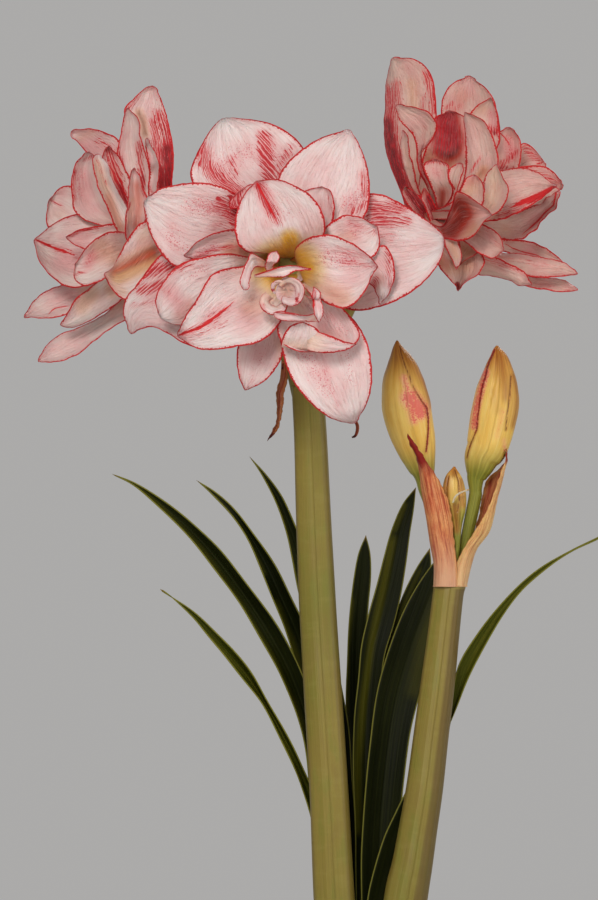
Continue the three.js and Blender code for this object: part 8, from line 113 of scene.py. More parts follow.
LEAVES = [
    ("leaf_1", 5, "-13.9,9.4,181.4 -10.0,9.6,181.4 -6.0,9.9,181.4 -2.1,10.5,181.4 1.9,11.2,181.4 -17.1,10.1,207.8 -13.1,12.6,207.6 -9.1,13.5,207.6 -5.0,13.6,207.7 -1.0,12.2,208.1 -20.1,12.2,231.5 -16.0,15.6,231.3 -12.0,16.8,231.5 -7.9,16.7,231.8 -3.9,14.5,232.5 -22.5,13.5,255.2 -18.5,17.3,255.2 -14.5,18.7,255.5 -10.5,18.4,256.0 -6.6,15.8,256.9 -24.5,14.0,278.9 -20.6,18.3,278.9 -16.8,19.7,279.4 -13.0,19.0,280.1 -9.2,15.5,281.2 -26.2,14.8,302.2 -22.6,19.0,302.5 -19.0,20.4,303.1 -15.4,19.3,304.0 -11.9,15.2,305.2 -27.6,15.5,325.4 -24.3,19.5,325.9 -21.1,20.6,326.6 -17.8,19.4,327.6 -14.6,15.3,329.0 -29.6,15.1,348.4 -26.6,19.1,349.0 -23.8,20.1,349.9 -20.9,18.7,351.0 -18.0,14.4,352.4 -32.4,13.2,371.0 -29.8,17.2,371.8 -27.3,18.1,372.8 -24.7,16.7,374.0 -22.2,12.3,375.5 -37.3,9.6,393.0 -35.1,13.7,393.9 -33.0,14.8,394.9 -30.8,13.3,396.2 -28.6,8.7,397.7 -45.8,5.7,413.5 -43.3,9.9,414.6 -40.8,11.2,416.0 -38.2,9.5,417.5 -35.7,4.9,419.2 -55.9,2.1,432.5 -53.4,6.4,433.9 -50.8,7.7,435.4 -48.3,6.1,437.1 -45.7,1.6,438.9 -66.6,-2.4,450.7 -64.4,2.0,452.1 -62.2,3.3,453.6 -59.9,1.8,455.2 -57.6,-2.6,457.0 -77.9,-7.3,467.9 -76.1,-3.1,469.1 -74.3,-1.7,470.5 -72.4,-3.2,472.0 -70.5,-7.5,473.5 -89.7,-11.3,483.7 -88.2,-7.7,485.0 -86.7,-6.5,486.3 -85.1,-7.7,487.7 -83.4,-11.3,489.1 -102.3,-14.2,497.9 -101.1,-12.1,499.0 -99.9,-11.4,500.2 -98.7,-12.1,501.4 -97.4,-14.2,502.6 -115.0,-18.0,510.5 -114.3,-16.7,511.3 -113.6,-16.2,512.1 -112.9,-16.7,512.9 -112.1,-18.1,513.8 -127.5,-21.6,521.2 -127.2,-21.0,521.6 -127.0,-20.8,522.0 -126.7,-21.0,522.4 -126.4,-21.6,522.8 -139.3,-24.5,527.7"),
    ("leaf_2", 5, "-11.0,13.7,181.4 -7.5,13.7,181.4 -4.0,13.8,181.4 -0.5,13.9,181.4 3.1,14.0,181.4 -13.0,15.5,205.5 -9.3,17.6,205.2 -5.7,18.1,205.3 -2.1,17.6,205.5 1.5,15.6,205.9 -14.7,18.7,227.6 -11.0,21.6,227.4 -7.4,22.4,227.5 -3.7,21.6,227.9 -0.1,18.7,228.6 -16.2,21.2,249.7 -12.5,24.6,249.6 -8.9,25.5,249.8 -5.4,24.4,250.3 -1.8,20.8,251.2 -17.4,22.9,271.7 -13.9,26.9,271.7 -10.5,28.1,272.0 -7.0,26.7,272.6 -3.7,22.4,273.7 -18.8,24.8,293.6 -15.4,29.0,293.6 -12.1,30.3,294.0 -8.8,28.8,294.8 -5.5,24.3,295.9 -20.3,26.2,315.2 -17.0,30.3,315.4 -13.8,31.4,316.0 -10.5,29.9,316.9 -7.4,25.3,318.0 -22.2,26.0,336.8 -19.0,30.0,337.1 -15.8,31.0,337.8 -12.6,29.5,338.8 -9.5,25.0,340.0 -24.1,24.4,358.1 -21.0,28.4,358.7 -18.0,29.4,359.5 -15.0,27.9,360.5 -12.0,23.4,361.8 -27.2,22.0,379.1 -24.2,26.1,379.7 -21.2,27.2,380.6 -18.2,25.6,381.7 -15.3,21.1,383.1 -32.0,19.3,399.3 -28.9,23.5,400.1 -25.7,24.7,401.2 -22.6,23.1,402.4 -19.5,18.5,403.9 -37.0,16.0,419.1 -34.0,20.3,420.0 -31.0,21.6,421.1 -28.1,20.0,422.4 -25.1,15.5,423.9 -42.9,11.8,438.1 -40.3,16.1,439.0 -37.8,17.5,440.1 -35.3,16.0,441.3 -32.8,11.6,442.7 -50.2,7.8,456.0 -48.0,11.4,457.0 -45.7,12.5,458.1 -43.5,11.3,459.3 -41.2,7.6,460.5 -57.0,5.4,473.4 -55.2,7.5,474.3 -53.5,8.2,475.3 -51.7,7.5,476.4 -49.9,5.3,477.5 -64.4,0.7,489.7 -63.3,3.3,490.4 -62.2,4.1,491.2 -61.1,3.3,492.0 -59.9,0.7,492.8 -73.3,-1.0,504.2 -72.6,-0.1,504.7 -72.0,0.2,505.2 -71.3,-0.1,505.8 -70.7,-1.0,506.3 -83.8,-4.0,515.7 -83.5,-3.6,516.1 -83.1,-3.5,516.5 -82.7,-3.6,516.8 -82.4,-4.0,517.2 -93.3,-6.4,524.3"),
    ("leaf_3", 5, "-9.3,17.4,181.4 -5.9,17.3,181.4 -2.5,17.2,181.4 0.9,17.1,181.4 4.3,17.1,181.4 -10.4,20.3,204.9 -6.9,22.2,204.7 -3.5,22.6,204.7 -0.1,22.0,204.9 3.2,19.8,205.3 -11.4,24.6,227.1 -7.9,27.3,226.9 -4.5,27.9,227.0 -1.1,27.0,227.3 2.2,24.0,227.9 -12.2,27.8,249.4 -8.9,31.1,249.2 -5.6,32.0,249.3 -2.3,30.9,249.7 0.9,27.3,250.5 -13.0,32.4,271.4 -9.8,36.2,271.2 -6.6,37.3,271.4 -3.5,35.9,271.9 -0.4,31.9,272.7 -14.1,34.6,293.5 -10.9,38.8,293.3 -7.8,40.1,293.6 -4.7,38.6,294.2 -1.7,34.2,295.1 -15.3,35.2,315.5 -12.1,39.6,315.5 -9.0,41.0,315.8 -6.0,39.3,316.5 -2.9,34.7,317.5 -16.7,35.1,337.4 -13.6,39.5,337.5 -10.5,40.9,337.9 -7.4,39.2,338.6 -4.4,34.5,339.6 -18.5,34.5,358.9 -15.3,38.8,359.2 -12.1,40.2,359.7 -9.0,38.6,360.5 -5.9,34.0,361.5 -20.6,33.6,380.1 -17.4,37.7,380.5 -14.1,39.0,381.2 -11.0,37.5,382.0 -7.8,33.4,383.0 -23.3,32.7,400.9 -20.2,36.4,401.5 -17.1,37.6,402.1 -14.0,36.3,403.0 -10.9,32.5,404.0 -26.7,31.5,421.2 -23.8,34.9,421.8 -20.9,36.0,422.6 -18.0,34.8,423.5 -15.2,31.4,424.5 -31.0,29.9,440.9 -28.1,32.9,441.6 -25.3,33.8,442.4 -22.4,32.8,443.4 -19.6,29.8,444.4 -35.9,25.6,459.9 -33.1,28.1,460.8 -30.2,28.9,461.7 -27.4,28.1,462.7 -24.6,25.6,463.7 -39.7,22.2,478.6 -37.5,24.2,479.4 -35.3,24.9,480.2 -33.1,24.2,481.0 -30.9,22.2,481.9 -43.9,19.7,496.3 -42.4,21.2,497.0 -40.9,21.7,497.6 -39.4,21.2,498.3 -37.9,19.7,499.1 -49.3,17.4,512.7 -48.4,18.3,513.2 -47.5,18.7,513.7 -46.6,18.3,514.2 -45.6,17.4,514.8 -56.7,15.3,526.8 -56.3,15.7,527.1 -55.9,15.9,527.3 -55.5,15.7,527.6 -55.1,15.3,527.9 -64.0,13.6,537.6"),
    ("leaf_4", 5, "-16.3,-2.9,181.4 -12.6,-2.4,181.4 -9.0,-1.8,181.4 -5.3,-1.0,181.4 -1.7,-0.2,181.4 -17.6,0.5,204.7 -14.1,2.0,204.6 -10.5,2.4,204.6 -7.0,2.5,204.7 -3.5,1.6,204.9 -18.9,1.3,223.9 -15.5,3.3,223.7 -12.1,3.7,223.8 -8.7,3.1,224.1 -5.4,0.8,224.6 -20.3,1.8,242.9 -17.0,4.4,242.8 -13.7,5.1,242.9 -10.4,3.7,243.4 -7.2,0.3,244.1 -21.7,2.1,261.8 -18.5,5.4,261.7 -15.3,6.3,261.8 -12.1,4.7,262.4 -9.0,0.8,263.3 -23.3,2.7,280.4 -20.2,6.3,280.3 -17.2,7.4,280.6 -14.2,6.1,281.2 -11.2,2.3,282.0 -25.0,3.5,298.8 -22.2,7.2,298.8 -19.5,8.4,299.1 -16.8,7.1,299.7 -14.1,3.4,300.6 -26.6,3.8,317.0 -24.4,7.5,317.0 -22.3,8.7,317.3 -20.1,7.7,317.9 -18.0,4.3,318.7 -29.2,3.5,334.9 -27.7,7.2,334.9 -26.1,8.4,335.2 -24.6,7.7,335.7 -23.0,4.6,336.4 -34.5,1.8,352.1 -33.2,5.5,352.1 -31.9,6.7,352.4 -30.6,6.2,352.9 -29.4,3.1,353.6 -40.9,-7.6,369.1 -39.9,-3.9,369.2 -38.9,-2.7,369.5 -37.9,-3.3,369.9 -36.9,-6.5,370.5 -48.3,-11.9,384.9 -47.5,-8.2,384.9 -46.7,-6.9,385.2 -45.9,-7.8,385.7 -45.0,-11.2,386.3 -56.6,-16.9,399.7 -55.8,-13.2,399.9 -54.9,-12.0,400.3 -53.9,-13.0,400.9 -53.0,-16.5,401.7 -66.2,-22.4,413.1 -65.0,-18.9,413.7 -63.7,-17.7,414.4 -62.5,-18.8,415.3 -61.2,-22.2,416.4 -75.7,-27.0,425.8 -74.6,-24.3,426.5 -73.4,-23.4,427.3 -72.3,-24.3,428.2 -71.0,-26.8,429.2 -85.3,-31.5,437.6 -84.4,-30.0,438.2 -83.5,-29.5,438.9 -82.6,-30.0,439.7 -81.6,-31.5,440.5 -93.9,-37.0,449.1 -93.5,-36.1,449.4 -93.1,-35.7,449.8 -92.7,-36.0,450.1 -92.2,-37.0,450.5 -103.4,-42.2,458.3 -103.3,-41.8,458.4 -103.2,-41.7,458.5 -103.0,-41.8,458.6 -102.9,-42.2,458.7 -111.9,-46.4,465.0"),
    ("leaf_5", 5, "-5.8,23.9,181.4 -2.7,23.7,181.4 0.4,23.5,181.4 3.5,23.4,181.4 6.6,23.3,181.4 -5.3,26.2,200.7 -2.3,28.2,200.3 0.8,28.6,200.2 3.8,27.7,200.4 6.7,25.3,200.8 -4.8,30.3,219.8 -1.8,33.0,219.4 1.1,33.7,219.2 4.0,32.4,219.4 6.8,29.2,219.9 -4.1,34.2,238.8 -1.4,37.1,238.4 1.4,37.9,238.2 4.1,36.5,238.4 6.8,33.2,238.8 -3.3,39.6,257.6 -0.7,42.5,257.1 1.8,43.3,256.9 4.3,42.0,257.1 6.8,38.6,257.5 -2.7,41.5,276.6 -0.4,44.3,276.2 2.0,45.1,276.0 4.3,43.9,276.1 6.6,40.7,276.4 -2.9,41.8,295.7 -0.6,44.7,295.3 1.7,45.5,295.1 4.0,44.4,295.1 6.2,41.3,295.4 -3.7,41.9,314.6 -1.3,44.7,314.1 1.0,45.7,313.9 3.3,44.6,313.9 5.6,41.6,314.2 -4.7,41.8,333.2 -2.2,44.7,332.7 0.3,45.6,332.5 2.7,44.6,332.5 5.1,41.7,332.7 -5.9,42.0,351.4 -3.2,44.6,351.1 -0.6,45.5,350.9 2.0,44.6,350.8 4.6,41.9,351.0 -7.2,42.2,369.4 -4.4,44.4,369.1 -1.6,45.1,368.9 1.2,44.3,368.8 4.0,42.1,368.9 -8.7,41.5,387.1 -5.6,43.5,386.8 -2.6,44.2,386.6 0.4,43.5,386.6 3.4,41.5,386.6 -9.1,40.1,404.5 -6.1,41.9,404.3 -3.1,42.5,404.1 -0.1,41.9,404.0 2.8,40.1,403.9 -8.5,38.3,421.5 -5.8,39.9,421.2 -3.0,40.5,421.1 -0.3,39.9,420.9 2.4,38.3,420.9 -7.6,37.2,437.9 -5.0,38.6,437.7 -2.4,39.0,437.5 0.2,38.6,437.3 2.7,37.2,437.2 -6.4,36.4,453.6 -3.8,37.5,453.4 -1.3,37.8,453.2 1.3,37.5,453.1 3.8,36.4,452.9 -4.6,35.8,468.5 -2.1,36.5,468.3 0.3,36.7,468.1 2.8,36.5,467.9 5.2,35.8,467.8 -2.0,35.4,482.1 -0.3,35.7,482.0 1.4,35.8,481.8 3.2,35.7,481.7 4.9,35.4,481.6 2.3,35.0,492.6"),
    ("leaf_6", 5, "-7.2,2.8,181.4 -3.6,2.9,181.4 0.1,3.1,181.4 3.7,3.3,181.4 7.4,3.5,181.4 -6.4,3.6,206.5 -2.8,5.4,206.1 0.8,5.8,206.0 4.3,5.5,206.0 7.9,3.7,206.2 -5.7,6.1,227.7 -2.1,8.4,227.2 1.4,8.7,227.0 5.0,8.3,226.9 8.4,5.9,227.1 -4.8,9.0,248.6 -1.3,11.4,248.1 2.1,11.9,247.8 5.6,11.3,247.7 9.0,8.7,247.8 -4.1,10.9,269.5 -0.6,13.5,268.9 2.8,14.2,268.6 6.2,13.6,268.4 9.6,11.0,268.5 -3.7,12.4,290.4 -0.3,15.2,289.7 3.1,16.1,289.2 6.5,15.5,289.0 9.8,12.9,288.9 -4.0,14.0,310.9 -0.6,16.9,310.2 2.8,17.9,309.7 6.1,17.2,309.4 9.4,14.6,309.3 -4.5,15.7,331.3 -1.1,18.7,330.5 2.2,19.6,329.9 5.5,18.9,329.5 8.8,16.2,329.3 -5.0,17.5,351.4 -1.5,20.4,350.6 1.9,21.3,350.0 5.3,20.5,349.5 8.7,17.8,349.2 -5.3,19.4,371.2 -1.7,22.1,370.4 1.9,23.0,369.7 5.4,22.2,369.2 8.9,19.6,368.8 -4.5,21.7,390.7 -0.9,23.9,389.9 2.6,24.7,389.1 6.2,24.0,388.5 9.7,21.8,388.0 -2.5,23.6,409.8 0.9,25.6,409.0 4.2,26.3,408.2 7.6,25.6,407.5 10.8,23.6,406.9 -0.8,25.4,428.6 2.7,27.3,427.7 6.2,27.9,426.8 9.6,27.3,426.1 13.1,25.5,425.4 3.4,27.3,446.5 7.1,28.9,445.5 10.9,29.4,444.5 14.5,28.9,443.6 18.2,27.3,442.8 8.1,29.1,463.7 11.7,30.5,462.7 15.3,31.0,461.8 18.9,30.5,460.8 22.4,29.1,460.0 12.4,31.0,480.4 15.7,32.1,479.5 18.9,32.4,478.5 22.1,32.1,477.6 25.2,31.0,476.7 17.0,32.9,496.2 19.6,33.6,495.3 22.2,33.8,494.5 24.8,33.6,493.6 27.3,32.9,492.8 23.1,34.7,510.1 24.8,35.0,509.5 26.4,35.1,508.9 28.0,35.0,508.3 29.7,34.7,507.6 30.9,36.2,519.9"),
    ("leaf_7", 5, "-4.9,6.7,181.4 -1.3,6.6,181.4 2.4,6.6,181.4 6.0,6.5,181.4 9.7,6.5,181.4 -4.2,7.4,203.7 -0.5,9.2,203.4 3.2,9.5,203.2 6.9,9.0,203.2 10.6,7.0,203.5 -3.5,9.9,222.8 0.3,12.3,222.3 4.1,12.8,222.0 7.9,12.1,222.0 11.6,9.5,222.2 -2.8,12.4,241.8 1.1,15.2,241.1 4.9,16.1,240.7 8.7,15.2,240.6 12.5,12.3,240.8 -2.1,14.8,260.6 1.8,17.7,259.9 5.7,18.7,259.4 9.5,17.6,259.2 13.3,14.6,259.3 -1.5,16.9,279.3 2.4,19.9,278.5 6.3,20.8,278.0 10.2,19.7,277.7 14.1,16.6,277.7 -1.3,18.6,297.9 2.8,21.6,297.0 6.8,22.5,296.4 10.8,21.5,296.1 14.8,18.4,296.0 -1.4,20.5,316.2 2.8,23.4,315.4 7.1,24.3,314.7 11.3,23.3,314.3 15.4,20.3,314.0 -1.2,22.4,334.4 3.2,25.2,333.5 7.6,26.1,332.7 12.0,25.1,332.2 16.3,22.2,331.9 -0.2,24.4,352.2 4.2,27.0,351.3 8.6,27.9,350.5 13.0,26.9,349.9 17.4,24.2,349.4 1.0,26.7,369.8 5.5,28.9,368.8 9.9,29.6,368.0 14.4,28.8,367.3 18.8,26.5,366.7 3.3,28.6,387.0 7.6,30.6,386.0 12.0,31.2,385.1 16.3,30.5,384.3 20.5,28.5,383.6 6.9,30.4,403.6 10.9,32.3,402.6 14.9,32.9,401.7 18.9,32.2,400.9 22.8,30.4,400.2 10.6,32.1,419.8 14.4,33.7,418.8 18.2,34.3,417.9 22.0,33.7,417.1 25.7,32.1,416.3 14.8,33.6,435.4 18.4,35.0,434.5 22.0,35.4,433.5 25.5,35.0,432.7 29.0,33.6,431.9 20.0,35.0,450.1 23.2,36.0,449.2 26.4,36.4,448.4 29.5,36.0,447.6 32.6,35.0,446.8 25.8,36.4,463.8 28.5,37.0,463.0 31.2,37.3,462.3 33.8,37.0,461.6 36.5,36.3,460.8 32.4,37.7,475.8 34.2,38.0,475.4 36.0,38.1,474.9 37.7,38.0,474.4 39.5,37.7,474.0 38.9,38.8,485.1"),
    ("leaf_8", 5, "-3.4,-4.4,181.4 0.4,-2.7,181.4 4.2,-1.0,181.4 8.0,-0.0,181.4 11.8,0.9,181.4 -2.8,-4.9,206.1 1.1,-1.5,205.4 5.1,0.4,204.9 9.0,0.7,204.7 12.9,-1.4,205.0 -2.2,-3.5,225.5 1.9,0.3,224.6 6.0,2.1,224.1 10.1,2.8,223.7 14.1,0.9,223.8 -1.7,-1.5,244.6 2.5,2.7,243.6 6.7,4.5,243.0 10.9,5.1,242.5 15.0,3.2,242.4 -1.4,0.2,263.7 2.9,4.6,262.5 7.2,6.4,261.8 11.5,6.9,261.3 15.6,4.8,261.1 -1.2,1.7,282.5 3.3,6.4,281.3 7.8,8.2,280.5 12.2,8.4,279.8 16.6,6.2,279.5 -0.9,3.1,301.3 3.9,7.9,299.9 8.7,9.6,299.0 13.4,9.6,298.3 18.1,7.1,297.8 -0.5,4.8,319.7 4.6,9.5,318.3 9.7,11.2,317.3 14.8,10.9,316.4 19.8,8.1,315.9 0.3,6.9,337.9 5.6,11.3,336.5 10.8,12.9,335.3 16.1,12.1,334.4 21.2,8.9,333.8 1.9,9.0,355.8 7.2,13.2,354.3 12.5,14.6,353.1 17.7,13.7,352.1 22.9,10.5,351.3 3.7,11.3,373.4 9.1,15.1,371.9 14.5,16.4,370.6 19.8,15.5,369.4 25.1,12.7,368.5 6.0,13.8,390.7 11.5,17.2,389.1 17.0,18.4,387.7 22.4,17.6,386.4 27.7,14.8,385.3 9.0,16.6,407.5 14.8,19.6,405.8 20.5,20.6,404.2 26.2,19.8,402.7 31.8,17.2,401.4 13.2,19.3,423.6 19.1,21.8,421.8 25.1,22.7,420.1 31.0,21.9,418.5 36.8,19.5,416.9 18.6,21.6,438.9 24.5,23.7,437.1 30.3,24.3,435.3 36.1,23.7,433.6 41.8,21.6,432.0 25.0,23.8,453.2 30.4,25.3,451.5 35.8,25.8,449.8 41.1,25.2,448.2 46.5,23.5,446.6 32.5,25.8,466.2 36.7,26.8,464.8 41.0,27.1,463.4 45.2,26.7,462.1 49.3,25.5,460.8 40.7,27.8,477.3 43.0,28.2,476.6 45.2,28.3,475.8 47.5,28.2,475.0 49.7,27.7,474.3 48.8,29.4,485.3"),
    ("leaf_9", 5, "0.4,-10.6,181.4 4.0,-10.2,181.4 7.6,-9.7,181.4 11.3,-9.4,181.4 14.9,-9.1,181.4 0.6,-10.9,199.9 4.4,-9.4,199.5 8.2,-8.8,199.2 12.0,-8.1,198.9 15.7,-8.3,198.8 0.9,-10.9,212.3 4.8,-8.5,211.6 8.7,-7.6,211.1 12.6,-6.9,210.7 16.5,-7.7,210.6 1.1,-10.2,224.5 5.2,-7.3,223.6 9.3,-6.1,222.9 13.3,-5.7,222.4 17.3,-7.2,222.2 1.3,-9.7,236.6 5.6,-6.4,235.5 9.9,-5.2,234.7 14.1,-4.9,234.1 18.3,-6.6,233.7 1.5,-9.1,248.5 6.0,-5.7,247.3 10.5,-4.5,246.4 14.9,-4.1,245.6 19.2,-6.0,245.1 1.4,-8.7,260.4 6.2,-5.2,259.0 10.9,-4.0,258.0 15.6,-3.5,257.0 20.2,-5.4,256.4 1.3,-8.2,272.1 6.4,-4.6,270.6 11.4,-3.4,269.4 16.4,-3.0,268.3 21.4,-4.9,267.5 1.6,-7.6,283.6 7.0,-3.9,282.0 12.3,-2.8,280.7 17.6,-2.4,279.4 22.8,-4.4,278.5 2.9,-6.6,294.9 8.4,-3.0,293.1 13.9,-1.8,291.6 19.4,-1.6,290.3 24.8,-3.9,289.2 5.5,-5.5,305.7 10.9,-1.9,303.9 16.3,-0.7,302.3 21.7,-0.8,300.8 27.0,-3.3,299.7 8.8,-4.3,316.2 14.0,-0.9,314.3 19.1,0.4,312.6 24.3,-0.1,311.1 29.3,-2.8,309.9 12.5,-3.2,326.2 17.3,0.0,324.4 22.1,1.2,322.7 26.9,0.5,321.2 31.6,-2.3,320.0 17.0,-2.1,335.7 21.3,0.8,333.9 25.5,1.8,332.3 29.7,1.0,330.9 33.9,-1.8,329.8 21.4,-1.0,344.8 25.2,1.5,343.2 28.9,2.3,341.7 32.5,1.5,340.4 36.1,-1.1,339.2 26.3,0.1,353.4 29.4,2.1,351.9 32.4,2.6,350.6 35.4,1.9,349.4 38.3,-0.2,348.3 31.5,1.0,361.1 33.8,2.4,360.0 36.0,2.8,358.9 38.3,2.4,357.9 40.5,0.9,356.9 37.8,2.5,367.1 38.9,3.0,366.5 40.0,3.2,365.9 41.0,3.0,365.4 42.1,2.5,364.9 43.3,3.5,371.6"),
    ("leaf_10", 5, "-1.8,-7.6,181.4 1.8,-7.3,181.4 5.5,-7.0,181.4 9.1,-6.8,181.4 12.7,-6.5,181.4 1.4,-6.3,209.1 5.2,-4.4,208.8 8.9,-4.0,208.7 12.7,-3.7,208.6 16.5,-4.4,208.7 4.6,-3.5,231.1 8.6,-1.2,230.7 12.5,-0.9,230.6 16.4,-0.6,230.5 20.3,-1.9,230.7 7.8,-1.8,253.1 12.1,1.0,252.6 16.2,1.2,252.5 20.4,1.4,252.4 24.5,-0.4,252.6 11.3,0.3,274.8 15.8,3.5,274.3 20.2,4.0,274.1 24.6,3.9,274.0 29.0,1.6,274.1 15.7,2.5,296.1 20.3,6.2,295.6 24.7,6.9,295.3 29.1,6.6,295.3 33.5,3.9,295.5 21.4,5.5,316.9 25.6,9.4,316.4 29.8,10.2,316.2 34.0,9.6,316.2 38.0,6.5,316.5 28.1,8.3,337.1 31.7,12.0,336.9 35.2,12.6,336.9 38.6,11.7,337.1 42.0,8.2,337.6 36.1,10.6,356.7 38.4,13.6,356.9 40.7,13.7,357.3 42.9,12.2,357.9 45.0,8.4,358.7 44.1,9.3,376.2 45.1,11.9,376.8 46.0,11.8,377.6 46.9,10.3,378.5 47.6,6.7,379.6 52.1,6.7,395.4 51.7,9.1,396.4 51.2,9.0,397.6 50.6,7.6,398.9 50.0,4.2,400.3 59.8,2.1,414.3 58.4,4.8,415.6 56.8,5.2,417.1 55.2,4.0,418.7 53.5,1.1,420.3 68.5,-3.3,432.2 67.3,-0.7,433.4 66.1,-0.0,434.6 64.8,-1.0,436.0 63.4,-3.4,437.4 78.2,-9.1,448.9 77.4,-6.8,449.8 76.5,-6.1,450.8 75.6,-6.8,451.9 74.6,-8.7,453.0 88.9,-14.1,464.0 88.6,-12.2,464.5 88.3,-11.6,465.1 87.8,-12.1,465.7 87.4,-13.5,466.4 102.1,-18.8,475.7 101.9,-17.3,476.1 101.7,-16.8,476.6 101.4,-17.2,477.1 101.0,-18.2,477.6 116.1,-23.2,484.9 116.0,-22.3,485.2 115.8,-22.0,485.5 115.6,-22.2,485.9 115.3,-22.9,486.2 129.7,-27.4,491.9 129.6,-27.0,492.1 129.5,-26.9,492.4 129.3,-27.0,492.6 129.2,-27.3,492.9 140.0,-30.8,499.1"),
]
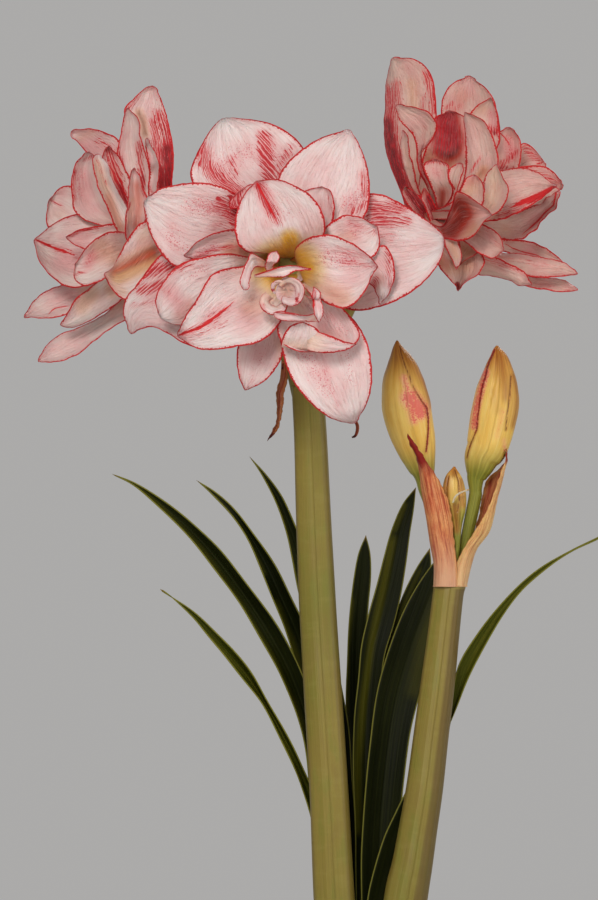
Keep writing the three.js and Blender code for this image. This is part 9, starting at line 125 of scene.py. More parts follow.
# x, y, z, half width, half depth
STEMS = {
    "scape_flowering": [[-10.3, -20.0, 187.0, 9.98, 8.87], [-12.5, -16.0, 235.5, 11.22, 9.44], [-16.2, -12.0, 290.5, 11.30, 10.02], [-18.5, -10.0, 337.6, 10.75, 9.81], [-20.5, -8.0, 373.7, 10.54, 9.48], [-22.6, -6.0, 407.0, 10.44, 9.38], [-24.3, -3.0, 434.8, 10.29, 9.17], [-25.9, -2.0, 462.7, 10.13, 8.95], [-27.7, -1.0, 504.6, 9.63, 8.40], [-29.3, 0.0, 546.6, 9.07, 7.95], [-30.6, 0.0, 569.0, 8.79, 7.95], [-31.0, 0.0, 576.8, 8.68, 7.95]],
    "scape_budding": [[12.4, -20.0, 187.0, 9.98, 8.87], [17.2, -18.0, 241.3, 11.32, 9.99], [23.4, -16.0, 291.0, 11.89, 10.22], [27.1, -15.0, 310.3, 11.12, 10.00], [30.4, -13.0, 329.6, 10.57, 9.79], [34.0, -12.0, 351.7, 10.13, 9.46], [37.5, -9.0, 379.3, 9.70, 9.20], [41.2, -7.0, 407.1, 9.38, 8.93], [44.6, -4.0, 434.8, 8.77, 8.55], [47.3, -2.0, 457.1, 8.45, 8.28], [48.1, -1.2, 462.6, 8.51, 8.28], [48.4, -1.0, 464.7, 8.90, 8.51], [48.5, -1.0, 466.0, 8.62, 8.28]],
    "stem_front": [[-31.9, -1.0, 571.2, 6.16, 6.16], [-33.0, -5.0, 584.6, 5.03, 5.03], [-36.4, -16.0, 599.3, 3.89, 3.89], [-39.2, -28.0, 613.9, 3.75, 3.75], [-40.8, -37.0, 624.5, 4.67, 4.67], [-41.6, -42.0, 630.9, 5.10, 5.10], [-41.9, -45.5, 636.2, 4.49, 4.49], [-41.9, -47.0, 638.9, 3.83, 3.83]],
    "stem_left": [[-34.2, 1.0, 571.3, 5.60, 5.60], [-40.9, 3.0, 590.4, 4.21, 4.21], [-56.6, 4.0, 616.8, 3.70, 3.70], [-75.6, 2.0, 639.7, 3.70, 3.70], [-86.8, 0.0, 648.5, 4.93, 4.93], [-93.5, -1.0, 652.4, 5.26, 5.26], [-97.9, -2.0, 654.6, 4.48, 4.48], [-100.7, -2.0, 655.7, 3.92, 3.92]],
    "stem_right": [[-28.6, 1.0, 571.3, 5.60, 5.60], [-20.7, 5.0, 591.5, 4.21, 4.21], [-7.2, 8.0, 622.0, 3.71, 3.71], [6.3, 9.0, 646.8, 3.71, 3.71], [12.0, 9.0, 656.9, 4.84, 4.84], [15.3, 9.0, 661.9, 5.18, 5.18], [18.2, 9.0, 665.9, 4.50, 4.50], [19.8, 9.0, 668.7, 3.94, 3.94]],
    "bud_left": [[46.7, 6.0, 467.4, 2.58, 2.58], [46.2, 7.0, 476.4, 2.70, 2.70], [42.9, 8.5, 493.2, 2.81, 2.81], [38.4, 9.5, 508.4, 3.04, 3.04], [35.1, 9.5, 518.5, 3.49, 3.49], [34.2, 9.5, 524.1, 4.22, 4.16], [33.8, 9.2, 528.6, 6.64, 6.19], [32.4, 9.0, 534.2, 8.61, 7.88], [30.8, 8.6, 539.9, 10.40, 9.56], [29.0, 8.2, 546.6, 11.92, 10.96], [27.1, 8.0, 553.4, 12.88, 11.81], [25.4, 8.0, 560.7, 13.49, 12.37], [24.5, 8.0, 566.3, 13.66, 12.54], [23.5, 8.0, 573.6, 12.65, 11.69], [22.7, 8.0, 580.4, 11.36, 10.46], [22.1, 8.0, 587.1, 9.00, 8.43], [21.1, 8.0, 592.7, 6.30, 5.90], [19.8, 8.0, 598.3, 2.81, 2.70], [19.3, 8.0, 602.6, 0.45, 0.45]],
    "bud_right": [[53.1, 4.0, 467.5, 2.69, 2.58], [54.2, 4.0, 476.5, 3.03, 2.92], [57.3, 3.4, 487.7, 3.25, 3.14], [60.3, 3.0, 501.7, 3.48, 3.37], [62.9, 3.0, 514.6, 3.59, 3.48], [63.1, 3.0, 518.6, 3.48, 3.48], [63.1, 3.0, 524.2, 4.49, 4.37], [63.8, 3.0, 527.0, 5.78, 5.50], [64.9, 3.0, 530.9, 7.74, 7.29], [66.5, 3.0, 536.5, 9.81, 9.09], [69.3, 2.6, 542.1, 11.49, 10.43], [71.2, 2.2, 549.4, 12.33, 11.32], [72.9, 2.0, 557.8, 12.89, 11.77], [74.6, 2.0, 566.2, 12.89, 11.77], [75.3, 2.0, 573.5, 12.00, 10.99], [75.9, 2.0, 580.2, 10.26, 9.53], [76.1, 2.0, 587.0, 7.74, 7.29], [76.0, 2.0, 592.6, 5.33, 5.05], [75.3, 2.0, 597.1, 2.41, 2.35], [75.2, 2.0, 599.6, 0.45, 0.45]],
    "bud_small": [[51.7, -3.0, 467.8, 1.34, 1.34], [52.2, -3.2, 479.5, 1.45, 1.45], [52.5, -2.6, 490.7, 1.90, 1.68], [52.3, -1.6, 499.0, 3.02, 2.57], [51.8, -0.8, 506.3, 5.37, 4.37], [51.2, -0.6, 513.0, 6.49, 5.26], [50.7, -0.6, 519.7, 6.16, 5.04], [50.6, -0.6, 525.9, 4.48, 3.81], [51.0, -0.6, 530.4, 1.34, 1.23], [51.2, -0.6, 531.7, 0.50, 0.50]],
    "bracteole": [[49.9, -10.0, 511.7, 0.50, 0.50], [51.1, -10.6, 514.8, 0.56, 0.56], [53.8, -10.8, 517.1, 0.56, 0.56], [56.6, -10.4, 518.2, 0.50, 0.50], [58.9, -9.6, 518.9, 0.39, 0.39]],
    "dried_bract_right": [[-9.6, -4.0, 566.7, 0.78, 0.78], [-6.2, -6.0, 560.0, 0.89, 0.67], [-3.5, -7.0, 555.5, 0.95, 0.67], [-3.2, -7.0, 552.2, 0.95, 0.67], [-4.3, -7.0, 549.1, 0.78, 0.56], [-6.3, -7.0, 548.0, 0.45, 0.45]],
}
BRACTS = [
    ("spathe_left", 5, "41.0,3.4,464.3 39.3,-3.4,464.5 41.3,-10.2,464.8 46.6,-11.4,464.8 53.3,-9.2,464.7 41.3,3.0,466.1 39.6,-3.2,466.4 41.5,-9.6,466.6 46.6,-11.0,466.7 53.1,-8.8,466.6 41.6,3.0,476.5 39.7,-3.6,476.7 41.6,-9.6,476.9 46.6,-10.6,476.9 52.3,-8.0,476.9 39.8,2.0,487.7 37.8,-4.0,487.9 39.9,-10.0,488.1 45.5,-11.0,488.1 51.0,-7.6,488.0 37.6,2.5,501.8 35.7,-4.0,501.9 37.7,-11.0,502.0 43.8,-12.0,502.0 49.5,-8.6,502.0 35.7,1.8,511.3 34.0,-4.5,511.4 36.0,-11.6,511.5 41.5,-12.6,511.5 47.8,-9.4,511.5 34.2,0.6,519.7 32.6,-5.0,519.8 34.3,-12.4,519.9 38.7,-13.6,519.9 44.4,-10.6,519.8 32.9,-2.0,527.0 31.7,-7.0,527.0 33.0,-13.4,527.1 36.2,-14.4,527.1 40.2,-12.0,527.1 31.4,-6.0,533.2 30.7,-9.6,533.2 31.7,-14.0,533.2 33.6,-15.0,533.2 36.1,-13.4,533.2 29.5,-10.0,538.2 29.1,-12.0,538.2 29.8,-14.6,538.2 31.1,-15.4,538.2 32.8,-14.4,538.2 26.8,-13.0,543.2 26.6,-13.8,543.2 27.2,-15.2,543.2 28.3,-15.8,543.2 29.6,-15.0,543.2 24.8,-14.6,547.4 24.5,-15.0,547.4 24.8,-15.6,547.4 25.5,-16.0,547.4 26.6,-15.4,547.4 24.5,-15.4,550.2"),
    ("spathe_right", 5, "49.7,-7.4,464.7 53.9,-9.8,464.8 57.8,-3.2,464.5 57.7,5.2,464.2 53.1,9.8,464.0 50.1,-7.2,466.5 54.0,-9.0,466.6 57.8,-3.2,466.4 57.7,5.0,466.1 53.6,9.6,465.9 51.6,-6.8,476.8 55.6,-8.2,476.9 60.1,-2.6,476.7 60.0,5.0,476.4 56.1,10.0,476.3 56.3,-6.5,486.3 59.6,-7.0,486.3 63.5,-1.5,486.2 63.0,5.0,486.0 58.8,11.0,485.8 61.8,-6.5,495.2 65.2,-6.5,495.2 70.2,-1.0,495.1 68.6,6.0,494.9 62.7,11.0,494.8 67.7,-6.0,504.7 69.7,-5.5,504.7 73.0,-1.0,504.6 70.9,6.0,504.5 65.5,11.0,504.4 72.0,-5.0,514.2 73.1,-4.5,514.2 75.0,-0.5,514.1 72.7,8.0,514.0 67.3,12.0,514.0 75.4,-4.0,524.2 76.3,-3.0,524.2 77.9,1.5,524.2 75.6,9.5,524.1 70.1,13.0,524.1 78.8,-2.8,533.2 79.3,-2.0,533.2 80.1,0.0,533.2 80.0,4.0,533.1 79.2,7.4,533.1 79.8,-4.4,538.2 80.2,-4.0,538.2 80.7,-2.4,538.2 80.7,-0.6,538.2 80.6,0.6,538.2 79.8,-5.4,541.8"),
    ("dried_bract_left", 3, "-45.7,-3.0,590.8 -43.9,-4.6,590.7 -42.2,-3.8,590.7 -45.9,-3.2,585.7 -44.0,-5.0,585.7 -42.0,-4.0,585.7 -46.7,-3.2,580.1 -44.4,-5.2,580.1 -42.2,-4.2,580.1 -48.5,-3.0,573.4 -46.2,-5.2,573.4 -44.0,-4.2,573.4 -48.4,-3.0,566.7 -46.5,-5.2,566.7 -44.6,-4.4,566.7 -48.1,-3.2,560.0 -46.8,-5.2,560.0 -45.6,-4.4,560.0 -49.5,-3.8,554.4 -48.2,-5.4,554.4 -47.0,-4.8,554.4 -51.7,-4.4,549.9 -50.6,-5.6,549.9 -49.4,-5.0,549.9 -53.6,-5.0,546.0"),
]
# strokes on the petals as seen from the front: kind, x,z points (mm), radius (mm), strength; the shade strokes and many
# of the peach strokes are painted shade
PAINT = {
    "front_tepal_top_left": [("streak", "-68.9,684.4 -79.0,691.1 -87.4,700.0 -91.3,710.1", 9.0, 1.30), ("streak", "-71.1,685.5 -73.4,703.4", 5.6, 0.70), ("streak", "-51.0,687.7 -53.8,702.3 -55.4,715.7", 8.4, 1.25), ("streak", "-48.7,693.3 -43.7,705.6 -39.8,711.2", 5.0, 0.75), ("streak", "-42.0,696.7 -36.4,703.4", 3.4, 0.55), ("speck", "-77.3,703.4 -63.3,709.0 -49.3,703.4", 15.7, 0.70), ("speck", "-60.5,717.4", 9.0, 0.40), ("pink", "-56.6,693.3", 11.2, 0.35), ("pink", "-79.0,693.3", 10.1, 0.40)],
    "front_tepal_top_right": [("speck", "-9.0,678.8 -0.6,683.2", 11.2, 1.00), ("speck", "-4.5,700.6 -18.5,703.4 -29.7,700.6", 14.6, 0.45), ("streak", "-0.6,695.0 1.7,678.2 -6.2,674.3", 5.0, 0.80), ("pink", "-24.1,697.8", 16.8, 0.20), ("pink", "-6.2,678.2", 9.0, 0.45), ("speck", "-35.3,686.6", 11.2, 0.50)],
    "front_tepal_right": [("streak", "1.7,681.0 7.3,675.4 20.7,676.5", 8.4, 1.20), ("streak", "3.9,668.7 24.1,669.2", 6.2, 1.00), ("streak", "5.0,663.1 16.2,660.8", 4.5, 0.50), ("speck", "16.2,660.8 27.4,655.2", 14.6, 0.55), ("pink", "8.4,670.9", 13.4, 0.55), ("pink", "37.5,658.6", 11.2, 0.15)],
    "front_tepal_bottom": [("speck", "-32.5,595.9 -25.2,582.4 -21.3,574.6", 13.4, 0.80), ("speck", "-10.1,597.0 -6.2,580.2", 10.1, 0.70), ("streak", "-24.1,595.9 -14.0,566.2", 3.9, 0.25), ("speck", "-15.7,569.0", 13.4, 0.50), ("pink", "-25.2,598.1", 16.8, 0.35)],
    "front_tepal_bottom_left": [("speck", "-56.6,595.9 -62.2,580.2", 11.2, 0.60), ("pink", "-55.4,595.9", 13.4, 0.45), ("peach_and_shade", "-46.5,601.5 -44.8,591.4", 5.6, 0.35)],
    "front_tepal_left_low": [("streak", "-120.4,640.7 -113.7,642.9 -105.8,642.9", 7.3, 1.20), ("streak", "-123.8,630.6 -115.9,632.8 -107.0,635.1", 6.7, 1.00), ("streak", "-128.2,621.6 -118.2,623.9", 3.9, 0.45), ("speck", "-119.3,625.0 -105.3,614.9", 12.3, 0.70), ("pink", "-110.9,626.1", 13.4, 0.50)],
    "front_tepal_left": [("crimson", "-68.9,666.4 -71.1,676.5 -73.4,681.0", 3.4, 0.55), ("streak", "-68.9,663.1 -70.0,677.6 -73.4,683.2", 4.5, 1.20), ("streak", "-71.1,673.2 -83.4,676.5", 5.0, 0.90), ("streak", "-71.1,665.3 -81.2,660.8", 3.9, 0.80), ("pink", "-82.3,666.4", 14.6, 0.50), ("streak", "-68.9,664.2 -74.5,673.2 -79.0,679.9", 7.3, 1.15), ("streak", "-70.0,668.7 -82.9,666.4", 4.5, 0.50), ("speck", "-96.9,677.6 -77.8,674.3", 12.3, 0.90), ("speck", "-109.2,660.8 -93.5,649.6", 11.2, 0.90), ("streak", "-83.4,656.4 -98.0,646.3", 4.5, 0.50), ("pink", "-76.7,673.2", 13.4, 0.60), ("pink", "-91.3,655.8", 9.0, 0.30)],
    "front_tepal_inner_left_low": [("pink", "-73.4,619.4 -63.3,616.0", 14.6, 0.55), ("peach_and_shade", "-63.3,621.6 -54.3,625.0", 10.1, 0.40), ("stripe", "-104.4,604.8 -96.9,607.6 -90.7,609.9 -85.1,613.8 -80.6,617.2 -75.0,621.6 -71.1,625.6", 5.0, 1.00), ("streak", "-100.2,601.5 -88.5,606.5 -77.3,612.7", 4.5, 0.50), ("speck", "-77.3,630.6 -64.4,625.0", 12.3, 0.50), ("speck", "-88.5,614.9 -73.4,625.0", 7.8, 0.60), ("peach_and_shade", "-53.2,636.2 -59.9,629.5", 9.0, 0.25), ("pink", "-83.4,614.9", 10.1, 0.40)],
    "front_tepal_fold_left": [("peach_and_shade", "-63.3,655.2 -73.4,651.9", 10.1, 0.80), ("olive", "-59.9,653.0", 4.5, 0.20), ("streak", "-93.5,648.5 -83.4,653.0 -73.4,655.2", 2.8, 0.90), ("streak", "-76.7,654.1 -65.5,656.4", 2.2, 0.60), ("shade", "-63.3,650.8 -73.4,651.9", 7.8, 0.35), ("speck", "-84.6,654.1 -91.3,650.8", 7.3, 1.00), ("streak", "-88.5,649.6 -76.7,646.8", 3.4, 0.50)],
    "front_tepal_inner_left": [("pink", "-102.5,622.2 -108.1,630.6", 10.1, 0.90), ("shade", "-95.8,622.2 -101.4,614.9", 7.8, 0.45), ("speck", "-96.9,639.0 -88.5,641.8", 10.1, 0.80), ("streak", "-108.1,640.7 -95.8,645.2", 3.9, 0.70), ("streak", "-104.7,625.0 -110.9,630.6", 4.5, 0.40)],
    "front_tepal_inner_top": [("crimson", "-58.8,688.8 -54.3,679.9 -51.0,673.2", 3.4, 0.50), ("streak", "-59.9,690.0 -53.2,677.6 -47.6,668.7", 5.0, 0.90), ("speck", "-51.0,677.6 -40.9,673.2", 7.8, 0.70), ("stripe", "-59.9,691.6 -57.1,686.0 -53.8,679.9 -51.0,674.3 -48.2,667.6", 4.5, 0.80), ("streak", "-56.6,686.6 -48.7,673.2", 4.5, 0.60), ("speck", "-56.6,686.6 -43.7,681.0", 11.2, 0.60), ("streak", "-53.2,666.4 -59.9,672.0", 3.9, 0.35), ("streak", "-56.6,690.0 -51.0,677.6 -46.5,669.8", 5.0, 0.80), ("olive", "-42.0,650.8 -40.9,658.6", 9.5, 0.80), ("speck", "-32.5,672.6", 13.4, 0.50), ("pink", "-54.3,678.2", 10.1, 0.45), ("speck", "-68.9,663.1", 9.0, 0.50)],
    "front_tepal_inner_right": [("peach_and_shade", "-25.2,634.0 -18.5,629.5 -11.8,625.0", 11.2, 0.65), ("pink", "-7.3,638.4 -16.2,621.6", 12.3, 0.55), ("peach_and_shade", "-31.9,637.3", 7.8, 0.50), ("olive", "-33.0,639.6", 5.6, 0.35), ("olive", "-36.4,646.3 -30.8,642.9", 9.5, 0.75), ("speck", "-20.7,649.6 -6.2,646.3", 10.1, 1.10), ("streak", "-10.1,646.3 7.3,644.0", 3.9, 0.60), ("streak", "-15.1,654.1 0.6,648.5", 4.5, 0.50), ("pink", "-7.3,646.3", 11.2, 0.35), ("speck", "-12.9,630.6", 9.0, 0.40)],
    "front_tepal_square": [("speck", "-23.0,678.2", 7.8, 0.50), ("shade", "-26.9,665.3", 9.0, 0.40), ("pink", "-24.1,675.4", 10.1, 0.50), ("streak", "-20.2,686.6 -17.4,672.6", 2.8, 0.50)],
    "front_tepal_mid_right": [("speck", "-2.8,663.1", 9.0, 0.80), ("peach_and_shade", "-15.7,658.6 -7.3,660.8", 6.7, 0.30), ("streak", "-7.3,668.7 6.2,663.1", 4.5, 0.60), ("pink", "-6.2,665.3", 11.2, 0.60)],
    "front_tepal_right_fold": [("streak", "14.0,651.9 15.1,634.0", 4.5, 0.70), ("pink", "9.5,646.3", 7.8, 0.60), ("shade", "8.4,636.2 3.9,629.5", 6.7, 0.60), ("crimson", "5.0,631.7 1.7,626.1", 2.8, 0.70), ("streak", "7.3,636.2 1.7,625.0", 3.9, 0.90)],
    "front_tepal_speckled": [("streak", "-73.4,677.6 -68.9,686.6", 4.5, 1.20), ("crimson", "-56.6,682.1", 5.6, 0.35), ("speck", "-68.9,675.4 -66.1,667.0", 11.2, 1.10), ("streak", "-71.1,683.2 -64.4,660.8", 6.7, 1.00), ("crimson", "-73.4,674.3", 5.0, 0.40), ("pink", "-68.9,672.6", 11.2, 0.60)],
    "front_tepal_inner_bottom": [("peach_and_shade", "-37.5,625.0 -35.3,618.3", 9.0, 0.35), ("pink", "-24.1,610.4", 14.6, 0.50), ("shade", "-28.6,606.0 -14.0,602.6", 9.0, 0.45), ("speck", "-18.5,611.0 -10.1,605.4", 9.0, 0.70), ("streak", "-35.3,625.0 -17.4,614.9", 5.0, 0.45)],
    "front_petaloid": [("olive", "-42.0,642.9", 5.6, 0.30)],
    "front_petaloid_1": [("peach_and_shade", "-56.6,645.2", 4.5, 0.25), ("pink", "-65.5,639.0", 5.6, 0.30)],
    "front_petaloid_2": [("pink", "-51.0,646.3", 3.4, 0.15)],
    "front_petaloid_3": [("stripe", "-61.0,638.4 -56.6,640.1 -51.5,641.8 -46.5,643.2", 1.7, 0.30), ("olive", "-40.3,640.7", 2.8, 0.15), ("pink", "-56.6,639.0", 4.5, 0.25), ("streak", "-35.3,643.5 -29.1,642.0", 1.7, 0.60)],
    "front_petaloid_4": [("olive", "-40.9,641.8", 4.5, 0.40), ("streak", "-35.3,643.5 -29.1,642.0", 1.7, 0.70)],
    "front_petaloid_7": [("peach_and_shade", "-48.7,627.2", 4.5, 0.25), ("pink", "-56.6,626.1", 3.4, 0.30)],
    "front_petaloid_8": [("stripe", "-49.8,618.3 -44.2,617.7 -39.8,617.2 -35.3,615.5", 1.7, 0.35), ("peach_and_shade", "-29.7,614.9", 4.5, 0.20)],
    "front_petaloid_9": [("stripe", "-33.0,629.5 -30.2,627.2 -28.0,625.6 -27.4,622.2 -28.6,618.3", 2.2, 0.60), ("pink", "-25.2,621.6", 4.5, 0.50)],
    "front_petaloid_10": [("streak", "-28.0,631.7 -27.4,626.1", 2.2, 0.80)],
    "front_lip_left": [("noline", "-28.6,611.6", 2.8, 0.00), ("shade", "-35.3,608.2", 5.6, 0.12), ("peach_and_shade", "-28.6,605.4", 4.5, 0.25)],
    "front_lip_right": [("pink", "-18.5,599.8", 5.6, 0.15), ("peach_and_shade", "-30.8,603.7", 3.9, 0.45)],
    "left_tepal_top": [("streak", "-108.1,690.0 -108.1,709.0 -113.7,728.0", 7.3, 1.30), ("streak", "-113.7,688.8 -114.8,703.4 -116.5,724.7", 6.2, 1.25), ("crimson", "-108.6,688.8 -108.6,698.9 -109.8,709.0", 6.2, 0.90), ("crimson", "-112.6,688.8 -112.6,698.9", 3.9, 0.70), ("peach_and_shade", "-125.4,729.7 -123.2,724.7 -122.1,718.0", 4.5, 0.90), ("streak", "-133.8,730.8 -129.4,735.9 -126.6,738.7", 3.9, 0.80), ("speck", "-113.7,737.0 -116.5,731.4", 10.1, 0.70), ("speck", "-107.5,714.6", 4.5, 0.70)],
    "left_tepal_top_fold": [("crimson", "-135.5,688.8 -137.2,696.7 -138.3,703.4", 5.0, 0.90), ("streak", "-133.8,686.6 -137.2,698.9 -138.3,707.9", 5.6, 1.00), ("streak", "-124.9,685.5 -124.3,698.9 -125.4,712.4", 3.9, 0.95), ("crimson", "-123.2,686.6 -123.2,693.3", 3.4, 0.70), ("streak", "-131.6,685.5 -132.7,694.4", 3.9, 0.60), ("pink", "-136.1,703.4", 6.7, 0.50), ("pink", "-126.0,709.0", 5.0, 0.40)],
    "left_tepal_up_left": [("pink", "-157.4,711.2 -147.3,709.0", 7.8, 0.75), ("streak", "-148.4,714.6 -142.8,711.2 -138.3,709.0", 5.6, 0.70), ("speck", "-154.0,716.8", 9.0, 0.40), ("shade", "-140.6,704.5 -137.8,696.7", 5.0, 0.50), ("streak", "-142.8,710.1 -138.3,702.3 -136.1,694.4", 4.5, 0.90), ("peach_and_shade", "-151.8,719.1 -158.5,715.7", 5.0, 0.25)],
    "left_tepal_inner_up_left": [("pink", "-156.2,692.2 -154.0,683.2", 8.4, 0.60), ("speck", "-158.5,696.7 -160.7,683.8", 6.7, 0.90), ("streak", "-161.3,697.8 -162.4,688.8 -161.8,681.0", 2.2, 0.70), ("streak", "-156.2,703.4 -151.8,705.6", 2.2, 0.80), ("speck", "-150.1,675.4", 5.6, 0.50)],
    "left_tepal_back": [("pink", "-168.6,685.5", 6.7, 0.60), ("streak", "-175.3,681.6 -171.9,679.3 -168.6,678.2", 1.7, 0.90), ("peach_and_shade", "-169.7,673.2", 7.8, 0.18)],
    "left_tepal_left": [("stripe", "-184.2,659.2 -178.1,656.4 -171.9,653.6 -166.3,651.9 -160.2,649.1", 3.4, 0.80), ("streak", "-178.6,656.9 -166.3,653.0 -159.6,648.5", 2.2, 0.60), ("speck", "-169.7,665.3 -152.9,667.6", 7.8, 0.40), ("pink", "-158.5,646.3 -169.7,646.3", 12.3, 0.65), ("pink", "-164.1,663.1", 7.8, 0.30), ("peach_and_shade", "-142.8,659.7 -140.6,653.0", 7.8, 0.35)],
    "left_tepal_low_1": [("stripe", "-176.4,616.6 -173.0,620.0 -168.6,621.1 -163.0,621.6", 2.2, 0.35), ("pink", "-175.3,623.9 -164.1,627.2", 7.8, 0.50), ("speck", "-172.5,629.5", 6.7, 0.50), ("peach_and_shade", "-155.7,630.6", 7.8, 0.30)],
    "left_tepal_low_2": [("peach_and_shade", "-151.8,628.4 -157.4,621.6", 7.8, 0.62), ("peach_and_shade", "-140.6,630.6 -133.8,636.2", 7.8, 0.60), ("shade", "-138.3,634.0", 7.8, 0.35), ("pink", "-158.5,625.0", 5.6, 0.30)],
    "left_tepal_bottom": [("pink", "-158.5,602.6 -169.7,599.2", 10.1, 0.45), ("peach_and_shade", "-140.6,622.8 -133.8,627.2", 7.8, 0.50), ("streak", "-145.0,617.2 -142.8,619.4 -140.6,620.0", 1.7, 0.90), ("shade", "-133.3,623.3", 6.7, 0.30), ("speck", "-161.3,602.6", 11.2, 0.40)],
    "left_tepal_near": [("olive", "-137.2,637.3 -123.8,642.9 -111.4,648.5", 6.7, 0.20), ("shade", "-137.2,639.6 -122.6,646.8 -111.4,652.4", 6.7, 1.25), ("shade", "-121.5,648.5 -111.4,653.0", 5.0, 0.80), ("peach_and_shade", "-137.2,639.6 -129.4,644.0 -120.4,648.5 -111.4,651.9", 11.2, 1.10), ("peach_and_shade", "-129.4,645.2 -121.5,650.8 -113.7,654.1", 6.7, 1.15), ("peach_and_shade", "-140.6,634.0 -135.0,629.5", 5.6, 0.50), ("peach_and_shade", "-123.8,659.7 -119.3,665.3", 6.7, 0.35), ("shade", "-124.9,655.2 -115.9,659.7", 5.6, 0.35), ("streak", "-120.4,668.7 -124.9,665.3", 2.2, 0.60)],
    "left_inner_1": [("pink", "-154.0,656.4 -159.6,658.6", 6.7, 0.55), ("streak", "-165.2,660.8 -156.2,664.8 -148.4,665.3", 2.2, 0.90), ("speck", "-152.9,663.1", 6.7, 0.60), ("peach_and_shade", "-140.6,659.7", 6.7, 0.30)],
    "left_inner_2": [("shade", "-148.4,648.5 -138.3,655.2", 10.1, 0.38), ("peach_and_shade", "-147.3,655.2 -138.3,648.5", 10.1, 0.50), ("pink", "-154.0,644.0 -151.8,649.6", 5.6, 0.90), ("streak", "-162.4,638.4 -158.5,640.1 -155.1,640.7", 1.7, 0.90), ("speck", "-154.0,646.3 -150.6,651.9", 5.0, 1.00)],
    "left_inner_3": [("peach_and_shade", "-149.5,701.2 -145.0,688.8 -140.6,676.5 -135.0,660.8", 5.0, 0.62), ("shade", "-142.8,683.2 -136.1,666.4", 3.9, 0.40), ("streak", "-149.5,704.5 -143.9,688.8", 1.7, 0.50)],
    "left_inner_4": [("shade", "-126.6,688.8 -125.4,678.2 -127.1,667.0", 6.2, 0.80), ("peach_and_shade", "-129.4,681.0 -131.6,668.7", 3.9, 0.40), ("pink", "-128.2,695.6", 3.4, 0.50), ("crimson", "-128.0,698.6", 1.7, 0.90), ("streak", "-130.5,679.3 -132.7,673.7 -133.3,659.7", 1.4, 1.00), ("streak", "-123.8,687.7 -122.1,683.2", 1.7, 0.80)],
    "left_inner_5": [("streak", "-119.8,709.0 -119.3,697.8", 1.7, 0.40), ("peach_and_shade", "-119.3,681.0 -117.0,675.4", 3.4, 0.20), ("streak", "-119.3,687.7 -117.0,683.2", 2.2, 0.70), ("noline", "-121.0,714.6", 2.8, 0.60)],
    "left_inner_6": [("shade", "-140.6,696.7 -137.2,686.6 -133.8,677.6", 7.8, 0.85), ("streak", "-142.8,709.0 -138.3,695.6 -132.7,677.6", 6.7, 1.00), ("crimson", "-137.2,688.8 -132.2,677.6", 3.9, 0.55), ("peach_and_shade", "-138.3,683.2 -135.0,675.4", 4.5, 0.60)],
    "right_tepal_top": [("crimson", "27.4,677.6 20.7,692.2 16.8,704.5 14.0,719.1 12.9,723.6", 6.7, 0.95), ("streak", "24.1,681.0 18.5,703.4 15.7,720.2 15.1,741.5", 7.8, 1.20), ("streak", "18.5,746.0 19.6,737.0 21.8,729.2", 5.0, 0.90), ("streak", "35.3,751.6 38.6,741.5 39.8,730.3", 4.5, 1.00), ("streak", "34.2,739.2 33.0,730.3", 2.8, 0.60), ("pink", "16.2,739.2", 6.7, 0.50), ("peach_and_shade", "27.4,746.0 28.6,732.5", 5.6, 0.40), ("speck", "23.5,754.9", 6.7, 0.50)],
    "right_tepal_top_2": [("shade", "51.5,732.5 55.4,737.0", 7.8, 0.40), ("pink", "52.1,739.2 59.9,746.0", 9.0, 0.50), ("streak", "46.5,732.5 49.8,734.8", 2.8, 0.90), ("streak", "48.7,730.3 54.3,733.6", 2.8, 0.70), ("peach_and_shade", "54.3,740.4", 7.8, 0.20), ("crimson", "64.4,728.0 59.9,730.3", 2.8, 0.30)],
    "right_tepal_top_fold": [("peach_and_shade", "66.6,732.5 61.0,731.4", 5.6, 0.30), ("pink", "72.2,730.3 73.4,722.4", 4.5, 0.85), ("speck", "72.2,729.2", 5.0, 0.80), ("streak", "71.1,721.3 75.6,719.1", 3.9, 0.90), ("crimson", "73.4,718.5", 2.8, 0.70)],
    "right_tepal_red": [("shade", "44.2,729.2 46.5,719.1 47.6,711.2", 15.7, 2.10), ("crimson", "46.5,730.3 48.7,721.3 49.8,714.6", 11.2, 0.72), ("shade", "39.8,701.2", 7.8, 1.00), ("peach_and_shade", "34.2,705.6 39.8,701.7 47.6,701.7", 6.7, 1.00), ("streak", "41.4,728.0 43.7,709.0", 9.0, 0.70), ("pink", "54.3,725.8 55.4,714.6 55.4,705.6", 2.2, 0.50)],
    "right_tepal_inner_top": [("pink", "62.2,709.0 59.9,720.2", 9.0, 0.40), ("streak", "66.1,705.6 63.3,701.2 60.5,696.7", 1.7, 0.80), ("speck", "68.9,723.0 72.2,709.0", 6.7, 0.50), ("peach_and_shade", "67.8,697.8 64.4,693.3", 5.0, 0.70), ("shade", "67.8,696.7", 3.9, 0.40), ("pink", "71.1,703.4", 5.6, 0.40)],
    "right_tepal_up_right": [("pink", "82.3,710.1", 10.1, 0.70), ("stripe", "76.2,719.1 79.0,716.3 81.2,713.5 82.9,710.7", 2.2, 0.40), ("speck", "81.2,715.7 83.4,705.6", 6.7, 0.90), ("streak", "76.7,700.0 81.2,703.4 85.7,707.9", 3.9, 0.90), ("shade", "76.7,700.0", 5.6, 0.45), ("crimson", "76.7,698.9 84.6,698.9", 2.2, 0.60)],
    "right_tepal_back_right": [("pink", "96.3,706.2", 7.8, 0.60), ("streak", "90.7,710.1 99.1,702.3", 4.5, 0.80), ("shade", "90.2,703.4", 6.7, 0.40)],
